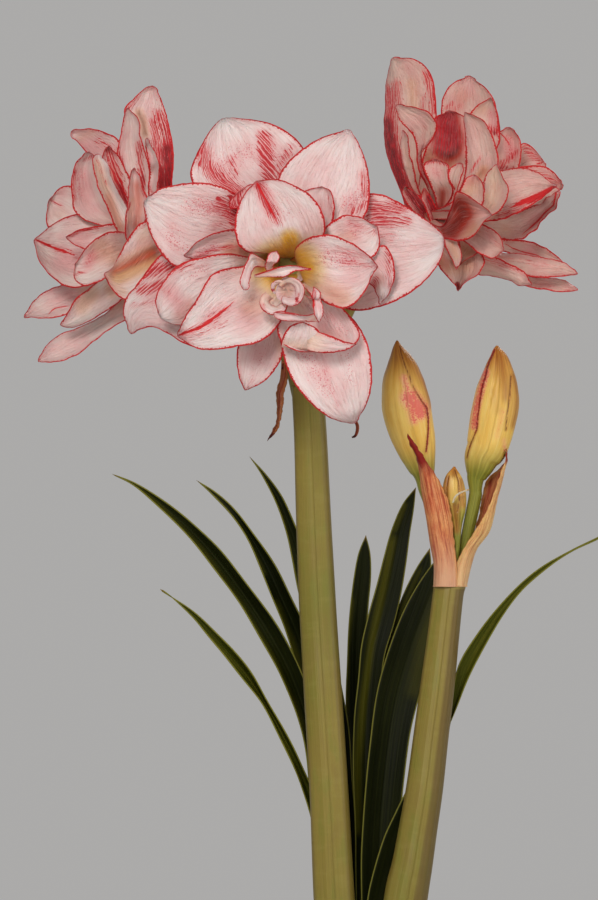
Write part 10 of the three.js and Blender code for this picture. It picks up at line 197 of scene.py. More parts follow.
    "right_tepal_right": [("stripe", "108.1,688.8 104.2,686.0 98.6,683.2 91.8,680.4 86.2,678.2 81.8,676.0", 5.0, 2.10), ("speck", "101.9,692.2 93.5,692.2", 7.8, 0.45), ("pink", "93.5,693.3 85.1,688.8", 10.1, 0.35), ("streak", "76.7,672.0 87.9,677.6 99.1,682.1", 4.5, 0.80), ("shade", "80.1,672.0 86.8,674.3", 4.5, 0.60), ("peach_and_shade", "70.0,668.7 76.7,673.2", 4.5, 0.35), ("streak", "74.5,673.2 87.9,681.0", 3.4, 0.60)],
    "right_tepal_right_back": [("streak", "90.7,698.9 109.2,691.1", 4.5, 0.70), ("pink", "101.9,695.0", 6.7, 0.50), ("speck", "104.7,693.3", 4.5, 0.70)],
    "right_tepal_mid_right": [("stripe", "108.6,688.3 107.0,678.2 101.9,673.7 99.7,670.9 95.2,666.4 90.2,662.5 87.4,659.2", 3.4, 0.60), ("pink", "96.3,670.9", 9.0, 0.40), ("shade", "87.9,674.3 96.9,678.8", 4.5, 0.35), ("peach_and_shade", "79.5,664.2", 7.8, 0.25), ("streak", "108.1,685.5 105.8,678.8", 1.7, 0.60)],
    "right_tepal_low_back": [("stripe", "79.0,656.9 83.4,654.1 89.0,651.9 96.9,650.2 102.5,648.0", 2.8, 0.35), ("pink", "93.5,654.1", 7.8, 0.70), ("shade", "81.2,658.6", 4.5, 0.40)],
    "right_tepal_low_1": [("streak", "82.3,648.5 110.3,642.9", 3.4, 0.40), ("pink", "99.1,644.0", 10.1, 0.35), ("shade", "76.7,649.6", 7.8, 0.50), ("speck", "93.5,646.3", 7.8, 0.50)],
    "right_tepal_low_2": [("streak", "96.3,634.0 115.9,631.7", 2.8, 0.30), ("pink", "101.9,634.5", 7.8, 0.35), ("shade", "87.9,637.3", 6.7, 0.30)],
    "right_tepal_low_inner": [("shade", "66.6,646.3 76.7,646.3", 9.0, 0.45), ("streak", "68.3,648.5 89.0,640.7", 3.4, 0.50), ("pink", "76.7,644.0", 6.7, 0.40)],
    "right_tepal_bottom": [("crimson", "53.8,631.2 52.6,634.0", 2.2, 1.20), ("peach_and_shade", "48.7,642.9 57.7,644.0", 7.8, 0.45), ("shade", "43.1,651.9 46.5,645.2", 5.6, 0.50), ("peach_and_shade", "40.9,653.0 43.1,645.2", 5.6, 0.70), ("streak", "59.9,637.3 55.4,632.8", 2.2, 0.60)],
    "right_bottom_fold": [("peach_and_shade", "55.4,654.1 58.8,650.8", 6.7, 0.60), ("shade", "55.4,656.4", 4.5, 0.30), ("streak", "59.9,658.6 64.4,656.4", 2.2, 0.80)],
    "right_inner_1": [("pink", "31.9,725.8 27.4,723.6", 7.8, 0.30), ("streak", "41.4,718.0 37.5,714.0 35.3,710.1", 1.7, 0.90), ("streak", "31.9,703.4 33.0,694.4 36.4,688.8", 2.0, 1.00), ("streak", "34.2,721.3 33.0,709.0", 3.4, 0.35), ("pink", "30.8,703.4 34.2,693.3", 3.4, 0.50)],
    "right_inner_2": [("crimson", "20.2,709.0 21.8,700.6 26.3,687.7 31.9,677.6", 1.5, 0.90), ("streak", "20.7,709.0 22.4,697.8 27.4,686.6 34.2,676.5", 2.0, 1.00), ("streak", "29.7,694.4 31.9,685.5 36.4,676.5", 2.2, 1.00), ("pink", "23.0,718.0", 2.8, 0.60), ("peach_and_shade", "24.1,709.0 26.3,698.9", 2.8, 0.15)],
    "right_inner_3": [("shade", "44.8,685.5 43.7,677.6", 6.7, 1.00), ("pink", "39.8,697.8 43.1,694.4", 6.7, 0.70), ("streak", "34.2,701.7 40.9,702.8 47.6,700.6", 2.2, 0.90), ("speck", "40.9,696.7", 6.7, 0.80), ("crimson", "40.9,677.6 42.0,672.0", 3.4, 0.90), ("pink", "49.8,685.5 48.7,677.6", 2.8, 0.60), ("streak", "47.6,697.8 48.7,690.0", 1.4, 0.80)],
    "right_inner_4": [("pink", "48.7,696.7", 1.7, 0.50), ("peach_and_shade", "53.2,690.0 52.1,687.7", 2.2, 0.30)],
    "right_inner_5": [("shade", "48.7,663.1 52.6,667.6 56.6,673.2 54.3,677.6", 13.4, 1.35), ("shade", "52.1,681.0 53.2,674.3", 6.7, 0.90), ("peach_and_shade", "62.2,665.3 57.7,660.8", 5.6, 0.50), ("pink", "64.4,676.5 68.9,672.0", 5.6, 0.60), ("streak", "52.6,686.6 57.7,683.8 64.4,679.9", 1.7, 0.60)],
    "right_inner_6": [("peach_and_shade", "61.0,687.7 57.7,685.5", 7.8, 0.40), ("shade", "58.8,691.1 63.3,692.2", 4.5, 0.45)],
    "right_inner_7": [("olive", "72.8,697.8 73.4,686.6 71.1,678.8", 9.0, 0.11), ("peach_and_shade", "68.9,683.2", 3.4, 0.40)],
    "right_inner_8": [("pink", "71.1,660.8", 7.8, 0.50), ("shade", "61.0,663.1", 7.8, 0.70), ("streak", "67.8,666.4 75.6,656.4", 3.4, 0.40)],
    "right_inner_9": [("crimson", "52.3,642.9", 1.7, 0.70), ("peach_and_shade", "49.8,655.2 52.1,649.6", 4.5, 0.40)],
    "right_inner_10": [("crimson", "37.5,681.0 42.0,668.7 45.4,662.0", 5.0, 1.20), ("shade", "34.2,686.6 38.6,681.0", 5.0, 1.00), ("streak", "37.5,683.2 43.1,665.3", 2.8, 1.00)],
    "right_inner_11": [("crimson", "28.6,683.2 35.3,673.2 43.1,664.2", 6.7, 1.30), ("shade", "31.9,682.1 37.5,674.3", 5.0, 0.60), ("pink", "23.0,683.2 25.2,677.6", 2.0, 0.70), ("crimson", "25.2,685.5 30.8,677.6", 3.9, 1.20)],
}

# painted highlights: bands along the leaves where they catch the light, x,z points (mm), radius (mm), strength
LEAF_LIT = {
    "leaf_6": [("16.2,490.6 11.8,468.2 5.0,434.6 0.0,401.0 -3.4,367.4 -3.9,328.2", 3.9, 1.00), ("23.0,510.2 17.4,496.2", 2.8, 0.80)],
    "leaf_10": [("119.3,483.9 102.5,473.8 87.9,462.6 76.7,450.3 65.5,432.4 58.8,417.8", 1.7, 0.60)],
    "leaf_4": [("-110.3,460.4 -88.5,438.0 -63.3,412.2 -48.7,388.7 -35.3,356.2", 2.2, 0.50)],
    "leaf_1": [("-127.1,519.7 -114.8,509.1 -91.3,483.9 -68.9,453.1 -50.4,422.3 -37.0,392.0 -31.9,367.4", 3.9, 0.75)],
    "leaf_2": [("-49.3,453.6 -40.9,433.5 -33.6,406.6 -27.4,378.6", 3.9, 0.80), ("-82.9,514.1 -67.2,494.0 -56.6,472.7", 2.8, 0.50)],
    "leaf_3": [("-56.6,525.3 -45.4,500.7 -38.1,468.2 -33.0,440.2", 3.4, 0.50)],
    "leaf_5": [("-6.2,457.0 -9.0,429.0 -9.5,389.8 -7.3,356.2", 2.2, 0.60)],
    "leaf_8": [("46.5,468.2 34.7,434.6 29.1,406.6", 7.8, 0.45)],
    "leaf_7": [("31.9,473.8 18.5,445.8 8.4,412.2 1.7,378.6 -1.1,345.0", 2.2, 0.50)],
}
LIPS = [
    ("front_lip_left", 4, "-45.4,-101.0,595.8 -39.9,-101.0,595.2 -34.4,-101.0,594.7 -28.9,-101.0,594.2 -45.0,-103.2,598.8 -38.9,-102.9,598.1 -32.9,-102.8,597.3 -26.8,-102.5,596.6 -44.3,-105.3,601.6 -37.9,-104.6,600.8 -31.5,-104.5,600.0 -25.1,-103.8,599.1 -42.9,-106.6,604.1 -36.8,-105.8,603.4 -30.6,-105.6,602.7 -24.5,-104.7,602.0 -41.1,-107.3,606.2 -35.9,-106.5,605.7 -30.6,-106.3,605.1 -25.4,-105.4,604.6 -39.0,-107.6,607.5 -35.2,-107.0,607.1 -31.3,-106.8,606.6 -27.5,-106.2,606.2 -36.8,-107.8,608.3 -34.4,-107.4,608.0 -32.0,-107.3,607.7 -29.7,-106.9,607.3 -34.7,-107.9,608.5 -33.7,-107.7,608.4 -32.7,-107.7,608.2 -31.7,-107.5,608.0 -33.2,-108.0,608.5"),
    ("front_lip_right", 4, "-31.1,-104.0,604.7 -31.2,-104.0,601.2 -31.4,-104.0,597.6 -31.6,-104.0,594.1 -27.0,-105.1,604.0 -27.1,-105.1,600.3 -27.3,-105.0,596.6 -27.5,-104.4,593.0 -23.0,-106.2,603.0 -23.2,-106.2,599.4 -23.3,-106.1,595.9 -23.4,-104.7,592.4 -19.4,-106.9,601.8 -19.4,-106.9,598.7 -19.4,-106.7,595.5 -19.4,-105.0,592.5 -16.0,-106.9,600.4 -15.9,-106.9,597.9 -15.8,-106.6,595.4 -15.7,-105.0,592.9 -12.8,-106.2,599.1 -12.6,-106.2,597.2 -12.4,-106.0,595.3 -12.2,-104.7,593.5 -9.8,-105.3,598.2 -9.6,-105.3,597.0 -9.4,-105.2,595.8 -9.2,-104.4,594.6 -7.0,-104.5,597.7 -6.9,-104.5,597.2 -6.9,-104.5,596.6 -6.8,-104.2,596.1 -5.0,-104.0,597.3"),
]
BUD_LINES = {
    "bud_left": ["20.4,599.2 21.8,593.6 23.5,588.0 25.8,583.0 27.4,578.0 30.2,572.9 33.0,568.4 35.8,564.5", "35.8,564.5 36.6,558.9 36.6,552.2 36.2,546.6 35.3,539.9"],
    "bud_right": ["73.7,597.0 71.1,591.4 69.4,586.9 68.9,583.6 67.2,578.0 66.1,573.5 65.0,566.2 64.2,558.9 63.6,552.2", "63.3,551.6 60.5,544.9 58.8,539.9 58.2,536.5", "82.9,582.4 82.3,571.8 81.4,564.5 80.6,558.9 80.1,552.2"],
    "bud_small": ["47.9,526.4 46.8,519.7 47.0,513.0 48.7,506.3", "51.5,529.8 53.5,523.1 54.0,514.1 52.9,506.3"],
}
# brown strokes along the sides of the buds paint shade
BUD_PAINT = {
    "bud_left": [("pink", "23.0,581.3 25.8,573.5 28.0,567.9", 4.5, 0.75), ("pink", "26.3,570.1 31.9,563.4", 9.5, 1.30), ("pink", "27.4,562.3 28.6,557.8", 5.6, 0.80), ("shade_brown", "26.3,593.6 31.9,583.6 36.4,573.5 38.1,566.8", 5.0, 1.00), ("shade_brown", "18.5,599.2 19.6,593.6", 4.5, 0.50), ("red", "35.3,566.8 36.6,557.8 35.8,539.9", 3.9, 1.10), ("red", "30.8,572.4 35.3,565.6", 2.2, 0.50)],
    "bud_right": [("pink", "68.9,584.7 66.1,574.6 63.3,563.4 62.2,554.4", 3.9, 1.10), ("shade_brown", "84.6,582.4 86.8,571.8 85.1,555.0", 5.0, 0.90), ("shade_brown", "76.7,592.5 79.0,583.6 80.1,571.2", 7.3, 0.75), ("shade_brown", "73.4,573.5 75.6,563.4", 5.0, 0.40), ("pink", "78.4,562.3 75.0,548.8", 4.5, 0.35), ("red", "73.4,597.0 68.9,583.6 64.4,561.2 63.3,552.2", 3.9, 1.25), ("red", "59.9,543.2", 2.8, 0.40), ("pink", "79.0,546.6 79.5,541.0", 2.8, 0.50)],
    "bud_small": [("shade_brown", "47.0,525.3 46.5,513.0", 3.4, 1.00), ("shade_brown", "54.9,524.2 56.0,510.2", 3.4, 0.90), ("shade_brown", "51.0,527.6", 4.5, 0.90), ("shade_brown", "51.5,509.6 52.6,496.2", 3.9, 0.90), ("red", "50.4,524.2 49.8,513.0", 2.2, 0.60)],
}
CUPS = {
    "cup_front": [[-41.9, -44.0, 637.4, 3.56, 3.56], [-41.8, -49.0, 638.8, 4.37, 4.37], [-41.6, -56.0, 640.1, 5.44, 4.90], [-41.3, -63.0, 640.8, 6.24, 5.42]],
    "cup_left": [[-98.5, -2.0, 654.8, 3.64, 3.64], [-102.4, -2.0, 655.4, 4.76, 4.76], [-107.4, -2.5, 655.1, 6.15, 6.15], [-111.9, -3.0, 654.5, 7.27, 6.99]],
    "cup_right": [[18.2, 10.0, 665.9, 3.66, 3.66], [21.3, 10.5, 667.9, 4.05, 4.05], [25.5, 10.5, 669.9, 4.62, 4.50], [30.0, 10.0, 671.0, 4.84, 4.50]],
}

# ---------------------------------------------------------------- numbers
EYE_X, EYE_Z, EYE_FAR = -35.84, 541.0, 2000.0
rng = np.random.default_rng(7)


def lin(r, g, b, a=1.0):
    out = []
    for c in (r, g, b):
        c = c / 255.0
        out.append(c / 12.92 if c <= 0.04045 else ((c + 0.055) / 1.055) ** 2.4)
    return (*out, a)


def parse(text):
    return np.array([[float(v) for v in p.split(",")] for p in text.split()])


def net_rows(text, across):
    p = parse(text)
    n = (len(p) - 1) // across
    body = p[: n * across].reshape(n, across, 3)
    return np.concatenate([body, np.repeat(p[-1][None, None], across, 1)], 0)


def spline(a, t):
    """Points of a smooth curve through the rows of a, at fractional row numbers t."""
    a = np.asarray(a, float)
    t = np.asarray(t, float)
    i = np.clip(np.floor(t).astype(int), 0, len(a) - 2)
    f = (t - i).reshape((-1,) + (1,) * (a.ndim - 1))
    pad = np.concatenate([2 * a[:1] - a[1:2], a, 2 * a[-1:] - a[-2:-1]])
    p0, p1, p2, p3 = pad[i], pad[i + 1], pad[i + 2], pad[i + 3]
    return 0.5 * (2 * p1 + (p2 - p0) * f + (2 * p0 - 5 * p1 + 4 * p2 - p3) * f**2 + (3 * p1 - p0 - 3 * p2 + p3) * f**3)


def smooth(x, lo, hi):
    t = np.clip((x - lo) / (hi - lo), 0, 1)
    return t * t * (3 - 2 * t)


def unit(v):
    return v / np.maximum(np.linalg.norm(v, axis=-1, keepdims=True), 1e-9)


def to_polyline(p, q):
    """Distance from each point of p to the polyline q, in two or three dimensions."""
    a, b = q[:-1], q[1:]
    d = b - a
    l2 = np.maximum((d * d).sum(-1), 1e-12)
    best = np.full(len(p), 1e9)
    for k in range(len(a)):
        t = np.clip(((p - a[k]) @ d[k]) / l2[k], 0, 1)
        best = np.minimum(best, np.linalg.norm(p - (a[k] + t[:, None] * d[k]), axis=1))
    return best


def seen(p):
    """Where the front view shows each point, as x and z in the plane y = 0."""
    k = (EYE_FAR + p[..., 1]) / EYE_FAR
    return np.stack([EYE_X + (p[..., 0] - EYE_X) / k, EYE_Z + (p[..., 2] - EYE_Z) / k], -1)


def masks(p, strokes, kinds):
    s = seen(p)
    out = {k: np.zeros(len(p)) for k in kinds}
    for kind, line, radius, strength in strokes:
        q = parse(line)
        d = np.linalg.norm(s - q[0], axis=1) if len(q) == 1 else to_polyline(s, q)
        if kind in out:
            out[kind] = np.maximum(out[kind], strength * smooth(1 - d / radius, 0, 1))
    return out


def waves(x, lengths, seed):
    r = np.random.default_rng(seed)
    out = 0
    for l in lengths:
        out = out + np.sin(2 * np.pi * (x / l + r.random())) * (0.6 + 0.6 * r.random())
    return out / len(lengths)


# ---------------------------------------------------------------- meshes
class Part:
    """A mesh in the making: several closed shells with their attributes."""

    def __init__(self):
        self.co, self.faces, self.uv, self.attr, self.n = [], [], [], {}, 0

    def add(self, co, faces, uv, **attr):
        co = np.asarray(co, float)
        self.co.append(co)
        self.faces += [tuple(int(i) + self.n for i in f) for f in faces]
        self.uv.append(np.asarray(uv, float))
        for k in set(attr) | set(self.attr):
            v = attr.get(k, np.zeros((len(co), 3)))
            self.attr.setdefault(k, [np.zeros((self.n, 3))] if self.n else []).append(np.asarray(v, float))
        self.n += len(co)

    def build(self, name, nodes, material, body="root"):
        me = bpy.data.meshes.new(name)
        co = np.concatenate(self.co) * 0.001
        me.from_pydata(co.tolist(), [], self.faces)
        me.validate()
        uv = np.concatenate(self.uv)
        layer = me.uv_layers.new(name="petal_uv")
        loops = np.zeros(len(me.loops), np.int32)
        me.loops.foreach_get("vertex_index", loops)
        layer.data.foreach_set("uv", uv[loops].astype(np.float32).ravel())
        for k, v in self.attr.items():
            a = me.attributes.new(k, "FLOAT_VECTOR", "POINT")
            a.data.foreach_set("vector", np.concatenate(v).astype(np.float32).ravel())
        me.polygons.foreach_set("use_smooth", np.ones(len(me.polygons), bool))
        for m in material if isinstance(material, (list, tuple)) else [material]:
            me.materials.append(m)
        me.update()
        ob = bpy.data.objects.new(name, me)
        bpy.context.scene.collection.objects.link(ob)
        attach(ob, body)
        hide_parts(*nodes)
        return ob


def grid_frame(P):
    """Tangents and normals of a net whose last row is one tip point; the normal faces the front of the plant."""
    du = np.gradient(P, axis=1)
    dv = np.gradient(P, axis=0)
    n = np.cross(du, dv)
    n[-1] = n[-2].mean(0)
    n = unit(n)
    if n[:, :, 1].mean() > 0:
        n = -n
    return unit(du), unit(dv), n


def blur(a, times=1):
    for _ in range(times):
        p = np.pad(a, ((1, 1), (1, 1)) + ((0, 0),) * (a.ndim - 2), mode="edge")
        a = (p[:-2, 1:-1] + p[2:, 1:-1] + p[1:-1, :-2] + p[1:-1, 2:] + 2 * p[1:-1, 1:-1]) / 6
    return a


def shell(P, n, half):
    """A closed thin sheet from a net with one tip: corner points, faces and the index of each net point."""
    rows, across = P.shape[0] - 1, P.shape[1]
    top = P + n * half[..., None]
    low = P - n * half[..., None]
    count = rows * across + 1
    pick = lambda g: np.concatenate([g[:rows].reshape(-1, g.shape[-1]), g[rows, across // 2][None]])
    co = np.concatenate([pick(top), pick(low)])
    faces = []
    tip = rows * across
    for i in range(rows - 1):
        for j in range(across - 1):
            a = i * across + j
            faces.append((a, a + 1, a + across + 1, a + across))
            faces.append((a + count, a + across + count, a + across + 1 + count, a + 1 + count))
    for j in range(across - 1):
        a = (rows - 1) * across + j
        faces.append((a, a + 1, tip))
        faces.append((a + count, tip + count, a + 1 + count))
    rim = list(range(across)) + [i * across + across - 1 for i in range(1, rows)] + [tip] + [i * across for i in range(rows - 1, 0, -1)]
    for k, a in enumerate(rim):
        b = rim[(k + 1) % len(rim)]
        faces.append((b, a, a + count, b + count))
    # outward faces
    a, b, c = co[faces[0][0]], co[faces[0][1]], co[faces[0][2]]
    if np.dot(np.cross(b - a, c - a), n[0, 0]) < 0:
        faces = [f[::-1] for f in faces]
    return co, faces, pick


THROAT = (-42.6, 643.4, 23.4)
KINDS = ("streak", "speck", "crimson", "peach_and_shade", "olive", "pink", "line", "noline", "shade")


def signed(s, q):
    """Signed distance to a polyline carried on straight past both ends, and the place along it from 0 to 1."""
    q = np.concatenate([q[:1] + (q[:1] - q[1:2]) * 40, q, q[-1:] + (q[-1:] - q[-2:-1]) * 40])
    step = np.linalg.norm(np.diff(q, axis=0), axis=1)
    run = np.concatenate([[0], np.cumsum(step)])
    best = np.full(len(s), 1e9)
    sign = np.zeros(len(s))
    at = np.zeros(len(s))
    for k in range(len(q) - 1):
        d = q[k + 1] - q[k]
        t = np.clip(((s - q[k]) @ d) / (d @ d), 0, 1)
        off = s - (q[k] + t[:, None] * d)
        r = np.linalg.norm(off, axis=1)
        near = r < best
        best = np.where(near, r, best)
        sign = np.where(near, np.sign(d[0] * off[:, 1] - d[1] * off[:, 0]), sign)
        at = np.where(near, run[k] + t * step[k], at)
    return best * sign, (at - run[1]) / (run[-2] - run[1])


def petal(part, name, text, across, NU=31, NV=50, ruffle=0.5, thick=0.62, strokes=None, seed=None, crimp=1.0, margin=1.0, blunt=0.4):
    seed = sum(ord(c) * (k + 3) for k, c in enumerate(name)) % 9973 if seed is None else seed
    strokes = PAINT.get(name, []) if strokes is None else strokes
    net = net_rows(text, across) if isinstance(text, str) else text
    last, end = net[-2], net[-1, 0]
    middle = last[across // 2] if across % 2 else (last[across // 2] + last[across // 2 - 1]) / 2
    more = [middle + (end - middle) * f + (last - middle) * ((1 - blunt) * (1 - f) + blunt * math.sqrt(1 - f * f)) for f in (0.36, 0.66, 0.88)]
    net = np.concatenate([net[:-1], np.array(more), net[-1:]])
    rows = len(net) - 1
    # the three added rows lie close together, so the sampling keeps an even pace along the petal
    t = np.concatenate([np.linspace(0, rows - 4, NV - 7)[:-1], np.linspace(rows - 4, rows, 9)])
    P = spline(net, t)
    P = np.moveaxis(spline(np.moveaxis(P, 1, 0), np.linspace(0, across - 1, NU)), 0, 1)
    P[-1] = P[-1].mean(0)
    du, dv, n = grid_frame(P)
    n = unit(blur(n, 3))
    steps = np.linalg.norm(np.diff(P, axis=1), axis=-1)
    U = np.concatenate([np.zeros((NV + 1, 1)), np.cumsum(steps, 1)], 1)
    U = U - U[:, NU // 2 : NU // 2 + 1]
    mid = P[:, NU // 2]
    V1 = np.concatenate([[0], np.cumsum(np.linalg.norm(np.diff(mid, axis=0), axis=-1))])
    V = np.repeat(V1[:, None], NU, 1)
    length = V1[-1]
    along = V / length
    # veins leave the base together, spread, and meet again at the tip
    wide_at = np.maximum(np.abs(U[:, :1]), np.abs(U[:, -1:]))
    wide_at = np.maximum(wide_at, 0.12 * wide_at.max())
    q = np.where(U < 0, U / np.maximum(np.abs(U[:, :1]), 0.1 * wide_at.max()), U / np.maximum(U[:, -1:], 0.1 * wide_at.max()))
    vein = q * wide_at.max()
    vein = 0.8 * vein + 0.2 * U
    outline = np.concatenate([P[:, 0], P[::-1, -1]])
    edge = to_polyline(P.reshape(-1, 3), outline).reshape(P.shape[:2])
    edge[:, 0] = 0
    edge[:, -1] = 0
    edge[-1] = 0
    grow = smooth(along, 0.18, 0.55)
    near = np.exp(-edge / 4.5)
    side = np.where(U < 0, 0.0, 37.0)
    wob = waves(V + side * 1.7, (7.5, 11.0, 17.0, 29.0), seed + 1)
    disp = ruffle * near * grow * wob
    disp = disp + 0.32 * grow * waves(U * 0.8 + V, (21.0, 34.0), seed + 2) * smooth(edge, 0, 8)
    disp = disp - 0.36 * np.exp(-((U / 1.0) ** 2)) * smooth(along, 0.15, 0.35) * (1 - 0.6 * smooth(along, 0.8, 1.0))
    disp = disp + crimp * 0.075 * waves(vein + 0.05 * V, (2.7, 3.9, 5.6), seed + 3) * smooth(edge, 0.3, 3) * grow
    disp = disp + crimp * 0.085 * waves(V + 0.9 * vein, (4.1, 6.3, 9.7), seed + 6) * grow
    P = P + n * disp[..., None]
    inplane = 0.26 * np.exp(-edge / 1.6) * grow * waves(V + side, (2.7, 4.7, 6.9), seed + 4)
    P = P + du * (inplane * np.sign(U))[..., None]
    P[-1] = P[-1, NU // 2]
    _, _, n = grid_frame(P)
    n = unit(blur(n, 1))
    half = 0.5 * (0.2 + (thick - 0.2) * (1 - np.exp(-edge / 2.2)) + 0.35 * (1 - smooth(along, 0, 0.25)))
    co, faces, pick = shell(P, n, half)
    flat = P.reshape(-1, 3)
    m = masks(flat, strokes, KINDS)
    m = {k: v.reshape(P.shape[:2]) for k, v in m.items()}
    if name.startswith("front_tepal"):
        s = seen(flat)
        far = np.hypot((s[:, 0] - THROAT[0]) / 1.25, s[:, 1] - THROAT[1]).reshape(P.shape[:2])
        m["olive"] = np.maximum(m["olive"], smooth(1 - far / THROAT[2], 0, 1))
    line, power = np.full(P.shape[:2], 30.0), np.zeros(P.shape[:2])
    for kind, pts, radius, strength in strokes:
        if kind == "stripe":
            d, l = signed(seen(flat), parse(pts))
            taper = smooth(l, -0.03, 0.12) * (1 - smooth(l, 0.62, 1.04))
            line, power = d.reshape(P.shape[:2]), (strength * taper).reshape(P.shape[:2])
            m["streak"] = np.maximum(m["streak"], 0.75 * np.minimum(power, 1) * smooth(1 - np.abs(line) / radius, 0, 1))
            break
    wide = 0.88 * (1 - 0.35 * smooth(along, 0.72, 0.97)) * (1 + 1.0 * m["line"]) * (1 - m["noline"]) * (0.35 + 0.65 * smooth(along, 0.12, 0.4)) * margin
    stack = lambda *a: np.stack([np.broadcast_to(x, P.shape[:2]) for x in a], -1)
    both = lambda g: np.concatenate([pick(g), pick(g)])
    back = np.concatenate([np.zeros(NV * NU + 1), np.ones(NV * NU + 1)])
    pd = both(stack(U / max(np.abs(U).max(), 1), along, 0.0))
    pd[:, 2] = back
    uv = both(stack(vein + (seed % 89) * 9.0, V + (seed % 53) * 11.0, 0.0))[:, :2]
    part.add(co, faces, uv, pa=both(stack(m["streak"], m["speck"], m["crimson"])), pb=both(stack(m["peach_and_shade"], m["olive"], m["pink"])),
             pc=both(stack(edge, wide, m["shade"])), pd=pd, pe=both(stack(line, power, U)))


def curl(part, name, centre, start, sweep, inner, outer, deep, front, strokes, oval=1.0, turns=14, **more):
    """A petaloid rolled into part of a ring that faces the front, its rim turned outward."""
    rows = []
    for i in range(turns):
        f = i / turns
        a = math.radians(start + sweep * f)
        at = lambda v: float(np.interp(f, np.linspace(0, 1, len(v)), v))
        ri, ro, di, do = at(inner), at(outer), at(deep), at(front)
        row = []
        for j in range(5):
            g = j / 4
            r = ri + (ro - ri) * g**1.25
            d = di + (do - di) * (1 - (1 - g) ** 1.9) + 1.3 * max(0.0, g - 0.7) / 0.3 * 0.9
            row.append((centre[0] + r * math.cos(a) * oval, d, centre[1] + r * math.sin(a)))
        rows.append(row)
    a = math.radians(start + sweep)
    r = (inner[-1] + outer[-1]) / 2
    tip = (centre[0] + r * math.cos(a) * oval, (deep[-1] + front[-1]) / 2, centre[1] + r * math.sin(a))
    rows.append([tip] * 5)
    petal(part, name, np.array(rows), 5, NU=17, NV=64, strokes=strokes, **more)


def cup(part, centre, profile, sides, rim=1.0, gold=0.0, wave=(0.0, 0.0), seed=1, half=0.35, tilt=(0.0, 0.0), oval=1.0, spots=(), shift=(0.0, 0.0), flush=0.25):
    """A small curled cup that faces the front: profile gives radius and depth from inside to rim."""
    pr = spline(np.array(profile, float), np.linspace(0, len(profile) - 1, 22))
    a = np.linspace(0, 2 * np.pi, sides, endpoint=False)
    t = np.linspace(0, 1, len(pr))[:, None]
    frill = 1 + wave[0] * t**2 * (np.sin(3 * a + seed) * 0.6 + np.sin(5 * a + 2 * seed) * 0.5 + 0.3 * np.sin(11 * a + seed))[None]
    roll = 1 + wave[0] * 2.2 * smooth(t, 0.55, 1.0) * (np.sin(2 * a + seed * 1.7) * 0.5 + 0.35 * np.sin(3 * a + seed))[None]
    R = pr[:, 0:1] * frill * roll
    Y = pr[:, 1:2] + wave[1] * t**2 * (np.sin(4 * a + seed * 3) + 0.6 * np.sin(7 * a + seed))[None]
    X, Z = R * np.cos(a)[None] * oval, R * np.sin(a)[None]
    Y = Y + tilt[0] * X / max(pr[:, 0]) + tilt[1] * Z / max(pr[:, 0])
    X, Z = X + shift[0] * t**1.5, Z + shift[1] * t**1.5
    P = np.stack([centre[0] + X, Y, centre[1] + Z], -1)
    du = np.roll(P, -1, 1) - np.roll(P, 1, 1)
    dv = np.gradient(P, axis=0)
    n = unit(np.cross(du, dv))
    if n[0, :, 1].mean() > 0:
        n = -n
    rows = len(pr)
    thin = half * (1 - 0.5 * t)
    top, low = P + n * thin[..., None], P - n * thin[..., None]
    co = np.concatenate([top.reshape(-1, 3), low.reshape(-1, 3), P[0].mean(0)[None], (P[0] - n[0] * half * 2).mean(0)[None]])
    N = rows * sides
    faces = []
    for i in range(rows - 1):
        for j in range(sides):
            q, r = i * sides + j, i * sides + (j + 1) % sides
            faces.append((q, r, r + sides, q + sides))
            faces.append((N + q, N + q + sides, N + r + sides, N + r))
    for j in range(sides):
        q, r = (rows - 1) * sides + j, (rows - 1) * sides + (j + 1) % sides
        faces.append((q, r, N + r, N + q))
        faces.append((2 * N, (j + 1) % sides, j))
        faces.append((2 * N + 1, N + j, N + (j + 1) % sides))
    f = faces[0]
    if np.dot(np.cross(co[f[1]] - co[f[0]], co[f[2]] - co[f[0]]), n[0, 0]) < 0:
        faces = [q[::-1] for q in faces]
    edge = np.repeat((1 - t) * np.sum(np.linalg.norm(np.diff(pr, axis=0), axis=1)), sides, 1)
    red = np.zeros_like(edge)
    for ang, wid in spots:
        d = (a - ang + np.pi) % (2 * np.pi) - np.pi
        red = np.maximum(red, np.exp(-((d / wid) ** 2))[None] * np.exp(-((edge - 1.2) / 1.8) ** 2))
    olive = gold * (1 - smooth(t, 0.1, 0.75)) + 0 * edge
    both = lambda g: np.concatenate([g.reshape(-1, g.shape[-1])] * 2 + [g[0].mean(0)[None]] * 2)
    stack = lambda *v: np.stack([np.broadcast_to(x, edge.shape) for x in v], -1)
    pd = both(stack(np.sin(a)[None] * 0.5, 0.4 + 0.5 * t, 0.0))
    pd[N : 2 * N, 2] = 1
    uv = both(stack(a[None] * 9 + seed * 17.0, edge + seed * 5.0, 0.0))[:, :2]
    part.add(co, faces, uv, pa=both(stack(red * 0.6, 0.15, red)), pb=both(stack(flush * (1 - smooth(t, 0.3, 0.8)), olive, 0.12)), pc=both(stack(edge, 0.5 * rim, 0.0)), pd=pd, pe=both(stack(30.0, 0.0, 0.0)))


